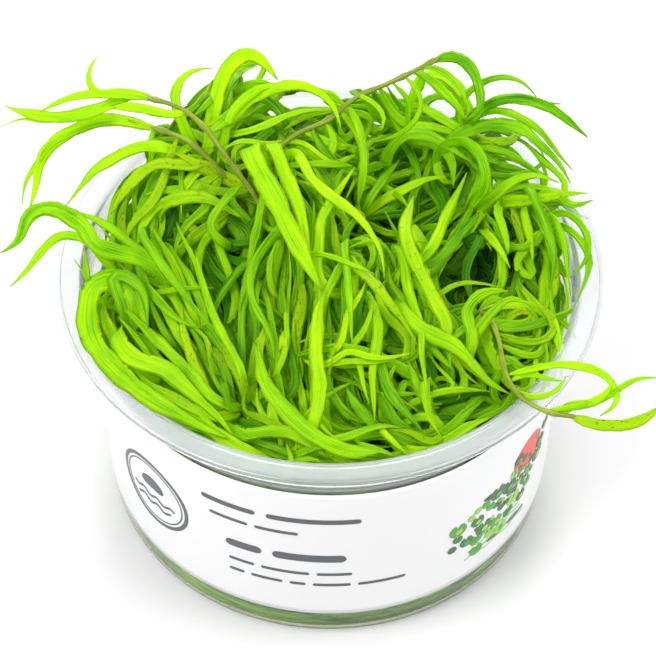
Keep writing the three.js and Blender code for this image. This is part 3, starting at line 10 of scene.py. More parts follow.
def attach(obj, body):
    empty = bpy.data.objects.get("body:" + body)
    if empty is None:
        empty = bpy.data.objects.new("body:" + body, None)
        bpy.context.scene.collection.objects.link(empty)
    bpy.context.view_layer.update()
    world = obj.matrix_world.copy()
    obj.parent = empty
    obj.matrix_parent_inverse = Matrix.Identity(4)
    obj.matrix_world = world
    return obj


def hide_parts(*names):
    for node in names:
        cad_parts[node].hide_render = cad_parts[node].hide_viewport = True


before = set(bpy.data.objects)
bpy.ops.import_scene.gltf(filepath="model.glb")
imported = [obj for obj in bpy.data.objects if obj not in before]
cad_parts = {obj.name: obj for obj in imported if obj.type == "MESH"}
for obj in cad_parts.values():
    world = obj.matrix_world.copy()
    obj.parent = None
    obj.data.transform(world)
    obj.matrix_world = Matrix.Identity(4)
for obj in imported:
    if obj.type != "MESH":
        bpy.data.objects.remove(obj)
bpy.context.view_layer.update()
MM = 0.001

# ---------------------------------------------------------------- camera
ELEV, DIST, TURN = math.radians(49.459), 600.0, math.radians(-0.577)
AIM = np.array([-0.269, 0.0, 39.89])
BACK = np.array([0.0, -math.cos(ELEV), math.sin(ELEV)])
RIGHT = np.array([1.0, 0.0, 0.0])
UP = np.array([0.0, math.sin(ELEV), math.cos(ELEV)])


def make_camera():
    c, s = math.cos(TURN), math.sin(TURN)
    x, y = c * RIGHT - s * UP, s * RIGHT + c * UP
    place = (AIM + BACK * DIST) * MM
    data = bpy.data.cameras.new("camera")
    data.sensor_fit = "HORIZONTAL"
    data.sensor_width = 36.0
    data.lens = 3206.893 * 36.0 / 656.0
    data.clip_start, data.clip_end = 0.01, 50.0
    ob = bpy.data.objects.new("camera", data)
    m = Matrix.Identity(4)
    for r in range(3):
        m[r][0], m[r][1], m[r][2], m[r][3] = x[r], y[r], BACK[r], place[r]
    ob.matrix_world = m
    bpy.context.scene.collection.objects.link(ob)
    bpy.context.scene.camera = ob


make_camera()


# ---------------------------------------------------------------- node helpers
class Shader:
    """A material's node tree, built from the surface back to its inputs."""

    def __init__(self, name):
        self.mat = bpy.data.materials.new(name)
        self.mat.use_nodes = True
        self.t = self.mat.node_tree
        self.t.nodes.clear()
        self.out = self.t.nodes.new("ShaderNodeOutputMaterial")

    def node(self, kind, **inputs):
        n = self.t.nodes.new("ShaderNode" + kind)
        for key, value in inputs.items():
            if key.startswith("_"):
                setattr(n, key[1:], value)
        for key, value in inputs.items():
            if key.startswith("_"):
                continue
            socket = n.inputs[int(key[1:])] if key[0] == "i" and key[1:].isdigit() else n.inputs[key.replace("_", " ")]
            self.put(socket, value)
        return n

    def put(self, socket, value):
        if isinstance(value, bpy.types.NodeSocket):
            self.t.links.new(value, socket)
        elif isinstance(value, bpy.types.Node):
            self.t.links.new(value.outputs[0], socket)
        else:
            socket.default_value = value

    def math(self, op, a, b=0.0, c=0.0, clamp=False):
        return self.node("Math", _operation=op, _use_clamp=clamp, i0=a, i1=b, i2=c).outputs[0]

    def ramp(self, fac, stops, mode="LINEAR"):
        n = self.node("ValToRGB", Fac=fac)
        n.color_ramp.interpolation = mode
        e = n.color_ramp.elements
        while len(e) < len(stops):
            e.new(0.5)
        for i, (p, c) in enumerate(stops):
            e[i].position = p
            e[i].color = tuple(c) + (1.0,) if len(c) == 3 else c
        return n.outputs[0]

    def mix(self, fac, a, b, blend="MIX"):
        n = self.t.nodes.new("ShaderNodeMix")
        n.data_type, n.blend_type = "RGBA", blend
        self.put(n.inputs[0], fac)
        for socket, v in ((n.inputs[6], a), (n.inputs[7], b)):
            self.put(socket, v if not isinstance(v, (tuple, list)) else tuple(v) + ((1.0,) if len(v) == 3 else ()))
        return n.outputs[2]

    def noise(self, vector, scale, detail=2.0, rough=0.5, distortion=0.0):
        return self.node("TexNoise", Vector=vector, Scale=scale, Detail=detail, Roughness=rough, Distortion=distortion).outputs[0]

    def smooth(self, value, lo, hi, a=0.0, b=1.0):
        n = self.node("MapRange", _interpolation_type="SMOOTHSTEP", Value=value)
        n.inputs[1].default_value, n.inputs[2].default_value = lo, hi
        n.inputs[3].default_value, n.inputs[4].default_value = a, b
        return n.outputs[0]

    def finish(self, surface):
        self.put(self.out.inputs["Surface"], surface)
        return self.mat


def srgb(r, g, b):
    f = lambda v: (v / 255 / 12.92) if v <= 10.3 else ((v / 255 + 0.055) / 1.055) ** 2.4
    return (f(r), f(g), f(b))


# ---------------------------------------------------------------- materials
def leaf_material():
    s = Shader("guppy_leaf")
    at = s.node("Attribute", _attribute_name="leaf")           # across -1..1, along in mm, random 0..1
    sep = s.node("SeparateXYZ", Vector=at.outputs["Vector"])
    u, v, rnd = sep.outputs[0], sep.outputs[1], sep.outputs[2]
    tn = s.node("Attribute", _attribute_name="tone")           # tone 0..1 (the leaf's own green, also set lighter or darker per leaf as painted light and shade), along 0..1, length
    sep2 = s.node("SeparateXYZ", Vector=tn.outputs["Vector"])
    tone, t = sep2.outputs[0], sep2.outputs[1]
    # every leaf reads its own stretch of the noises
    off = s.math("MULTIPLY", rnd, 91.0)
    fine = s.node("CombineXYZ", X=s.math("MULTIPLY", u, 9.5), Y=s.math("MULTIPLY", v, 0.08), Z=off).outputs[0]
    wide = s.node("CombineXYZ", X=s.math("MULTIPLY", u, 1.2), Y=s.math("MULTIPLY", v, 0.16), Z=off).outputs[0]
    spot = s.node("CombineXYZ", X=s.math("MULTIPLY", u, 1.5), Y=s.math("MULTIPLY", v, 0.9), Z=off).outputs[0]
    veins = s.noise(fine, 1.0, 3.0, 0.62)
    patch = s.noise(wide, 1.0, 2.0, 0.5)
    speck = s.noise(spot, 1.15, 2.0, 0.55)
    cell = s.node("TexNoise", Vector=s.node("CombineXYZ", X=s.math("MULTIPLY", u, 9.0), Y=s.math("MULTIPLY", v, 2.6), Z=off).outputs[0], Scale=1.0, Detail=1.0).outputs[0]
    au = s.math("ABSOLUTE", u)
    rib = s.smooth(au, 0.0, 0.22, 1.0, 0.0)
    # painted highlight: rim marks the leaf's edges, where the colour is lifted lighter as if lit through
    rim = s.smooth(au, 0.66, 1.0)
    # colour: tone of the leaf (its own green plus painted light and shade set per leaf), pushed about by patches and
    # veins
    k = s.math("ADD", s.math("MULTIPLY", tone, 0.78), s.math("MULTIPLY", s.math("SUBTRACT", patch, 0.5), 0.62))
    k = s.math("ADD", k, s.math("MULTIPLY", s.math("SUBTRACT", veins, 0.5), 1.15))
    k = s.math("ADD", k, s.math("MULTIPLY", s.math("SUBTRACT", rnd, 0.5), 0.22))
    k = s.math("ADD", k, s.math("MULTIPLY", rim, 0.10), clamp=True)
    col = s.ramp(k, [(0.0, srgb(22, 100, 4)), (0.28, srgb(74, 160, 0)), (0.50, srgb(146, 210, 0)), (0.75, srgb(188, 236, 0)), (1.0, srgb(222, 248, 4))])
    col = s.mix(s.math("MULTIPLY", rib, 0.22), col, srgb(184, 226, 40))
    # a few leaves are olive and speckled, and some tips brown
    olive = s.smooth(rnd, 0.86, 0.93)
    col = s.mix(s.math("MULTIPLY", olive, 0.30), col, srgb(140, 160, 10))
    # painted highlight: a thin band along each leaf's edges is mixed towards bright yellow-green, as if lit through
    col = s.mix(s.math("MULTIPLY", s.smooth(au, 0.78, 0.97), 0.45), col, srgb(206, 248, 52))
    brown = s.math("MULTIPLY", s.smooth(speck, 0.60, 0.72), s.math("ADD", s.math("MULTIPLY", olive, 0.65), 0.14))
    col = s.mix(brown, col, srgb(120, 62, 10))
    tip = s.math("MULTIPLY", s.smooth(t, 0.93, 1.0), 0.35)
    col = s.mix(tip, col, srgb(150, 170, 40))
    base = s.math("MULTIPLY", s.smooth(t, 0.0, 0.10, 1.0, 0.0), 0.30)
    col = s.mix(base, col, srgb(176, 214, 60))
    bump = s.node("Bump", Strength=0.55, Distance=0.00016,
                  Height=s.math("ADD", s.math("MULTIPLY", veins, 1.0), s.math("ADD", s.math("MULTIPLY", cell, 0.35), s.math("MULTIPLY", rib, -0.5))))
    rough = s.smooth(veins, 0.2, 0.8, 0.36, 0.54)
    skin = s.node("BsdfPrincipled", Base_Color=col, Roughness=rough, Normal=bump)
    skin.inputs["Specular IOR Level"].default_value = 0.24
    skin.inputs["IOR"].default_value = 1.42
    glow = s.node("BsdfTranslucent", Color=s.mix(0.45, col, srgb(214, 252, 0)), Normal=bump)
    return s.finish(s.node("MixShader", Fac=0.56, i1=skin, i2=glow))


def stem_material():
    s = Shader("guppy_stem")
    at = s.node("Attribute", _attribute_name="leaf")
    sep = s.node("SeparateXYZ", Vector=at.outputs["Vector"])
    u, v, rnd = sep.outputs[0], sep.outputs[1], sep.outputs[2]
    vec = s.node("CombineXYZ", X=s.math("MULTIPLY", u, 3.0), Y=s.math("MULTIPLY", v, 0.22), Z=s.math("MULTIPLY", rnd, 57.0)).outputs[0]
    n = s.noise(vec, 1.0, 3.0, 0.6)
    streak = s.noise(s.node("CombineXYZ", X=s.math("MULTIPLY", u, 14.0), Y=s.math("MULTIPLY", v, 0.12), Z=rnd).outputs[0], 1.0, 2.0, 0.5)
    col = s.ramp(n, [(0.25, srgb(84, 100, 12)), (0.5, srgb(122, 138, 18)), (0.7, srgb(138, 170, 22)), (0.9, srgb(128, 92, 30))])
    col = s.mix(s.math("MULTIPLY", s.smooth(streak, 0.45, 0.7), 0.4), col, srgb(92, 62, 20))
    young = s.ramp(n, [(0.25, srgb(92, 150, 6)), (0.55, srgb(134, 186, 10)), (0.85, srgb(158, 200, 20))])
    ripe = s.node("SeparateXYZ", Vector=s.node("Attribute", _attribute_name="tone").outputs["Vector"]).outputs[0]
    col = s.mix(ripe, young, col)
    bump = s.node("Bump", Strength=0.4, Distance=0.00012, Height=streak)
    b = s.node("BsdfPrincipled", Base_Color=col, Roughness=s.smooth(n, 0.2, 0.8, 0.32, 0.5), Normal=bump)
    b.inputs["Specular IOR Level"].default_value = 0.45
    return s.finish(b)


def plastic_material():
    s = Shader("clear_cup")
    co = s.node("TexCoord").outputs["Object"]
    sep = s.node("SeparateXYZ", Vector=co)
    z = s.math("MULTIPLY", sep.outputs[2], 1000.0)
    ang = s.node("Math", _operation="ARCTAN2", i0=sep.outputs[1], i1=sep.outputs[0]).outputs[0]
    radius = s.math("MULTIPLY", s.math("SQRT", s.math("ADD", s.math("MULTIPLY", sep.outputs[0], sep.outputs[0]), s.math("MULTIPLY", sep.outputs[1], sep.outputs[1]))), 1000.0)
    flow = s.noise(s.node("CombineXYZ", X=s.math("MULTIPLY", ang, 6.0), Y=s.math("MULTIPLY", z, 0.05), Z=0.0).outputs[0], 1.0, 3.0, 0.5)
    grain = s.noise(co, 900.0, 3.0, 0.6)
    scuff = s.noise(s.node("CombineXYZ", X=s.math("MULTIPLY", ang, 40.0), Y=s.math("MULTIPLY", z, 0.35), Z=3.0).outputs[0], 1.0, 4.0, 0.65)
    top = s.smooth(z, 55.2, 56.6)
    rough = s.math("ADD", s.math("MULTIPLY", top, 0.16), s.math("ADD", 0.045, s.math("MULTIPLY", s.smooth(scuff, 0.5, 0.8), 0.10)))
    bump = s.node("Bump", Strength=0.22, Distance=0.0003, Height=s.math("ADD", s.math("MULTIPLY", flow, 1.0), s.math("MULTIPLY", grain, 0.10)))
    painted_green_foot = s.math("MULTIPLY", s.smooth(z, 0.8, 5.6, 1.0, 0.0), 0.80)   # the thick foot's tint is painted green: a stand-in for the plants seen through the clear plastic
    tint = s.mix(painted_green_foot, s.mix(top, (0.95, 0.958, 0.948), (0.80, 0.812, 0.808)), (0.40, 0.48, 0.19))
    b = s.node("BsdfPrincipled", Base_Color=tint, Roughness=rough, Normal=bump)
    b.inputs["Transmission Weight"].default_value = 1.0
    b.inputs["IOR"].default_value = 1.36
    b.inputs["Specular IOR Level"].default_value = 0.5
    lp = s.node("LightPath")
    clear = s.node("BsdfTransparent", Color=(0.94, 0.95, 0.94, 1.0))
    haze = s.node("BsdfPrincipled", Base_Color=(0.63, 0.665, 0.685, 1.0), Roughness=0.5)
    share = s.math("ADD", s.math("MULTIPLY", s.smooth(z, 45.0, 48.0), 0.13), s.math("ADD", 0.02, s.math("MULTIPLY", top, 0.08)))
    neck = s.math("SUBTRACT", s.smooth(z, 44.8, 45.6), s.smooth(z, 47.4, 48.8))
    share = s.math("ADD", share, s.math("MULTIPLY", neck, 0.16))       # the step under the flange is a little cloudy
    lip = s.smooth(radius, 49.0, 49.6)                                  # the flange's edge stays glassy
    milky = s.node("MixShader", Fac=s.math("MULTIPLY", share, s.math("SUBTRACT", 1.0, s.math("MULTIPLY", lip, 0.85))), i1=b, i2=haze)
    return s.finish(s.node("MixShader", Fac=lp.outputs["Is Shadow Ray"], i1=milky, i2=clear))


def paper_material(name, color, vary=0.03, rough=0.34, coat=0.25):
    s = Shader(name)
    co = s.node("TexCoord").outputs["Object"]
    fibre = s.noise(co, 1400.0, 4.0, 0.65)
    cloud = s.noise(co, 60.0, 2.0, 0.5)
    c = tuple(color)
    dark = tuple(max(v * (1 - vary * 2.5), 0) for v in c)
    light = tuple(min(v * (1 + vary), 1) for v in c)
    col = s.ramp(s.math("ADD", s.math("MULTIPLY", fibre, 0.6), s.math("MULTIPLY", cloud, 0.4)), [(0.30, dark), (0.5, c), (0.75, light)])
    bump = s.node("Bump", Strength=0.12, Distance=0.0001, Height=s.math("ADD", fibre, s.math("MULTIPLY", cloud, 2.0)))
    b = s.node("BsdfPrincipled", Base_Color=col, Roughness=s.smooth(cloud, 0.3, 0.7, rough, rough + 0.1), Normal=bump)
    b.inputs["Coat Weight"].default_value = coat
    b.inputs["Coat Roughness"].default_value = 0.22
    return s.finish(b)


def floor_material():
    s = Shader("studio_floor")
    co = s.node("TexCoord").outputs["Object"]
    n = s.noise(co, 12.0, 2.0, 0.5)
    b = s.node("BsdfPrincipled", Base_Color=s.ramp(n, [(0.3, (0.655, 0.655, 0.655)), (0.7, (0.67, 0.67, 0.67))]), Roughness=0.7)
    b.inputs["Specular IOR Level"].default_value = 0.1
    return s.finish(b)


LEAF, STEM, PLASTIC = leaf_material(), stem_material(), plastic_material()
PAPER = paper_material("label_white", srgb(219, 219, 220), 0.008)
ORANGE = paper_material("label_orange", srgb(206, 52, 18), 0.06)
GREY = paper_material("label_grey", srgb(68, 72, 78), 0.05)
PALE = paper_material("label_pale_green", srgb(206, 224, 160), 0.06)
GREENS = [paper_material("label_green_%d" % i, srgb(*c), 0.10) for i, c in enumerate([(24, 96, 20), (58, 146, 10), (128, 192, 18), (12, 70, 36)])]


# ---------------------------------------------------------------- mesh helpers
def new_object(name, verts, faces, mats, index=None, attrs=None, smooth=True):
    me = bpy.data.meshes.new(name)
    verts = np.asarray(verts, np.float32) * MM
    nf = len(faces)
    sizes = np.array([len(f) for f in faces], np.int32) if not isinstance(faces, np.ndarray) else np.full(nf, faces.shape[1], np.int32)
    flat = faces.reshape(-1).astype(np.int32) if isinstance(faces, np.ndarray) else np.array([i for f in faces for i in f], np.int32)
    me.vertices.add(len(verts))
    me.vertices.foreach_set("co", verts.reshape(-1))
    me.loops.add(len(flat))
    me.loops.foreach_set("vertex_index", flat)
    me.polygons.add(nf)
    me.polygons.foreach_set("loop_start", np.r_[0, np.cumsum(sizes)[:-1]].astype(np.int32))
    me.polygons.foreach_set("loop_total", sizes)
    if index is not None:
        me.polygons.foreach_set("material_index", np.asarray(index, np.int32))
    me.update(calc_edges=True)
    me.polygons.foreach_set("use_smooth", np.full(nf, smooth))
    for key, value in (attrs or {}).items():
        a = me.attributes.new(key, "FLOAT_VECTOR", "POINT")
        a.data.foreach_set("vector", np.asarray(value, np.float32).reshape(-1))
    for m in mats:
        me.materials.append(m)
    me.validate(clean_customdata=False)
    ob = bpy.data.objects.new(name, me)
    bpy.context.scene.collection.objects.link(ob)
    return ob


def spline(points, step):
    """Natural cubic through the points, at even steps along it."""
    p = np.asarray(points, float)
    keep = np.r_[True, np.linalg.norm(np.diff(p, axis=0), axis=1) > 0.02]
    p = p[keep]
    if len(p) < 2:
        return np.repeat(p, 2, axis=0)
    s = np.r_[0, np.cumsum(np.linalg.norm(np.diff(p, axis=0), axis=1) ** 0.75)]
    n = len(p)
    if n == 2:
        k = max(3, int(np.linalg.norm(p[1] - p[0]) / step) + 1)
        return p[0] + (p[1] - p[0]) * np.linspace(0, 1, k)[:, None]
    h = np.diff(s)
    A = np.zeros((n, n))
    B = np.zeros((n, 3))
    A[0, 0] = A[-1, -1] = 1
    for i in range(1, n - 1):
        A[i, i - 1], A[i, i], A[i, i + 1] = h[i - 1], 2 * (h[i - 1] + h[i]), h[i]
        B[i] = 6 * ((p[i + 1] - p[i]) / h[i] - (p[i] - p[i - 1]) / h[i - 1])
    M = np.linalg.solve(A, B)

    def at(t):
        i = np.clip(np.searchsorted(s, t, side="right") - 1, 0, n - 2)
        a, b, hh = (s[i + 1] - t)[:, None], (t - s[i])[:, None], h[i][:, None]
        return M[i] * a**3 / (6 * hh) + M[i + 1] * b**3 / (6 * hh) + (p[i] / hh - M[i] * hh / 6) * a + (p[i + 1] / hh - M[i + 1] * hh / 6) * b

    t = np.linspace(0, s[-1], 6 * n)
    q = at(t)
    a = np.r_[0, np.cumsum(np.linalg.norm(np.diff(q, axis=0), axis=1))]
    k = max(4, int(a[-1] / step) + 1)
    return at(np.interp(np.linspace(0, a[-1], k), a, t))


def directions(P, face):
    """Unit tangent, width and normal directions along a leaf. face: 0 to the viewer's side, 1 outwards, 2 up."""
    T = np.gradient(P, axis=0)
    T /= np.linalg.norm(T, axis=1)[:, None] + 1e-12
    if face == 0:
        V = np.tile(BACK, (len(P), 1))
    elif face == 1:
        V = np.stack([P[:, 0], P[:, 1], np.full(len(P), 2.0)], 1)
        V /= np.linalg.norm(V, axis=1)[:, None]
    else:
        V = np.tile(np.array([0.05, -0.22, 0.97]), (len(P), 1))
    W = np.cross(T, V)
    size = np.linalg.norm(W, axis=1)
    W /= size[:, None] + 1e-9
    for i in range(1, len(W)):
        if W[i] @ W[i - 1] < 0:
            W[i] *= -1
        f = min(1.0, size[i] * 1.6)
        w = W[i] * f + W[i - 1] * (1 - f) * 1.0 + W[i - 1] * 0.55
        w -= T[i] * (w @ T[i])
        W[i] = w / (np.linalg.norm(w) + 1e-9)
    return T, W, np.cross(W, T)


U5 = np.array([-1.0, -0.55, 0.0, 0.55, 1.0])
SECT_U = np.r_[U5, U5[3:0:-1]]
TOP = np.array([1, 1, 1, 1, 1, 0, 0, 0], bool)


def bore(z):
    """Radius of the cup's inside."""
    return np.interp(z, [0.7, 1.25, 2.4, 47.5, 48.9, 55.8, 57.2], [39.7, 40.55, 40.97, 42.8, 44.3, 44.8, 45.4])


def pressed(V, soft=0.6):
    """Points that would reach into the plastic lie flat against it, in their own order."""
    V = V.copy()
    r = np.hypot(V[..., 0], V[..., 1])
    start = bore(V[..., 2]) - 0.10 - soft
    x = np.maximum(r - start, 0)
    scale = np.where(x > 0, (start + soft * x / (x + soft)) / np.maximum(r, 1e-6), 1.0)
    V[..., 0] *= scale
    V[..., 1] *= scale
    low = np.interp(r, [36.7, 37.9], [0.98, 0.74]) + soft
    x = np.maximum(low - V[..., 2], 0)
    V[..., 2] = np.where(x > 0, low - soft * x / (x + soft), V[..., 2])
    return V


def leaf_mesh(row, rng, step=1.32):
    """One leaf: a closed thin strap, folded along its midrib, wavy and finely toothed at the edges."""
    face, w, roll, tone = row[0], row[1] / 10.0, math.radians(row[2]), row[3] / 10.0
    P = spline(np.array(row[4:], float).reshape(-1, 3) / 10.0, step)
    n = len(P)
    L = np.linalg.norm(np.diff(P, axis=0), axis=1).sum()
    t = np.linspace(0, 1, n)
    T, W, N = directions(P, face)
    turn = roll + (t - 0.4) * rng.uniform(-0.5, 0.5) + 0.16 * np.sin(t * rng.uniform(5, 12) + rng.uniform(0, 6.28))
    c, s = np.cos(turn)[:, None], np.sin(turn)[:, None]
    W, N = c * W + s * N, c * N - s * W
    # width along the leaf: clasping base, even strap, drawn-out tip
    peak = rng.uniform(0.35, 0.6)
    hw = 0.5 * w * np.minimum(0.22 + t * 6.5, 1.0) * (0.86 + 0.14 * np.cos((t - peak) * 3.4))
    end = np.clip((1 - t) / rng.uniform(0.20, 0.42), 0, 1)
    hw = hw * np.clip(end**0.7, 0.06, 1)
    hw = hw * (1 + 0.07 * np.sin(t * L * 0.55 + rng.uniform(0, 6.28)) + 0.05 * np.sin(t * L * 1.3 + rng.uniform(0, 6.28)))
    hw = np.maximum(hw, 0.09)
    fold = rng.uniform(0.05, 0.28) * (0.6 + 0.4 * np.sin(t * 3.14)) * (1 if rng.random() < 0.72 else -0.7)
    wave = rng.uniform(0.03, 0.14) * np.clip(t * 4, 0, 1)
    f1, f2 = rng.uniform(0.35, 0.8), rng.uniform(0.35, 0.8)
    p1, p2 = rng.uniform(0, 6.28, 2)
    left, right = wave * np.sin(t * L * f1 + p1), wave * np.sin(t * L * f2 + p2)
    tooth = 0.075 * rng.uniform(-1, 1, (n, 2))
    th = 0.10 * np.clip(hw / 0.8, 0.45, 1.1)
    V = np.zeros((n, 8, 3))
    for k in range(8):
        u = SECT_U[k]
        a = abs(u)
        edge = left if u < 0 else right
        out = hw * u + (tooth[:, 0 if u < 0 else 1] * (1 if a == 1 else 0)) * np.sign(u) * np.minimum(hw, 1)
        lift = hw * (fold * (a**1.35) + edge * a)
        thick = th * (1.0 - 0.8 * a**2) * (0.5 if TOP[k] else -0.5)
        ridge = 0.04 * (1 if k == 2 else 0) * -1.0 * np.minimum(hw, 1)
        V[:, k] = P + W * out[:, None] + N * (lift + thick + ridge)[:, None]
    inside = (np.hypot(P[:, 0], P[:, 1]) < bore(P[:, 2])) & (P[:, 2] < 55.0)
    V[inside] = pressed(V[inside])
    verts = V.reshape(-1, 3)
    i = np.arange(n - 1)[:, None] * 8
    k = np.arange(8)[None, :]
    k2 = (k + 1) % 8
    quads = np.stack([i + k, i + k2, i + 8 + k2, i + 8 + k], -1).reshape(-1, 4)
    caps = [list(range(7, -1, -1)), [(n - 1) * 8 + j for j in range(8)]]
    rnd = rng.random()
    lc = np.stack([np.tile(SECT_U, n), np.repeat(t * L, 8), np.full(n * 8, rnd)], 1)
    tc = np.stack([np.full(n * 8, tone), np.repeat(t, 8), np.full(n * 8, L / 50)], 1)
    return verts, quads, caps, lc, tc


def stem_mesh(points, rng, ripe, r0=0.62, r1=0.42, sides=8):
    P = spline(np.array(points, float).reshape(-1, 3) / 10.0, 1.1)
    n = len(P)
    T = np.gradient(P, axis=0)
    T /= np.linalg.norm(T, axis=1)[:, None]
    ref = np.array([0.12, 0.99, 0.07])
    A = np.cross(T, ref)
    A /= np.linalg.norm(A, axis=1)[:, None] + 1e-9
    B = np.cross(T, A)
    t = np.linspace(0, 1, n)
    L = np.linalg.norm(np.diff(P, axis=0), axis=1).sum()
    knots = np.cumsum(rng.uniform(6, 11, 20))
    r = r0 + (r1 - r0) * t
    s = t * L
    for q in knots[knots < L]:
        r = r + 0.22 * np.exp(-(((s - q) / 0.9) ** 2))
    r[0] *= 0.6
    r[-1] *= 0.45
    a = np.linspace(0, 2 * math.pi, sides, endpoint=False)
    V = P[:, None] + r[:, None, None] * (np.cos(a)[None, :, None] * A[:, None] + np.sin(a)[None, :, None] * B[:, None])
    i = np.arange(n - 1)[:, None] * sides
    k = np.arange(sides)[None, :]
    k2 = (k + 1) % sides
    quads = np.stack([i + k, i + k2, i + sides + k2, i + sides + k], -1).reshape(-1, 4)
    caps = [list(range(sides - 1, -1, -1)), [(n - 1) * sides + j for j in range(sides)]]
    lc = np.stack([np.tile(np.cos(a), n), np.repeat(s, sides), np.full(n * sides, rng.random())], 1)
    tc = np.stack([np.full(n * sides, ripe), np.repeat(t, sides), np.zeros(n * sides)], 1)
    return V.reshape(-1, 3), quads, caps, lc, tc
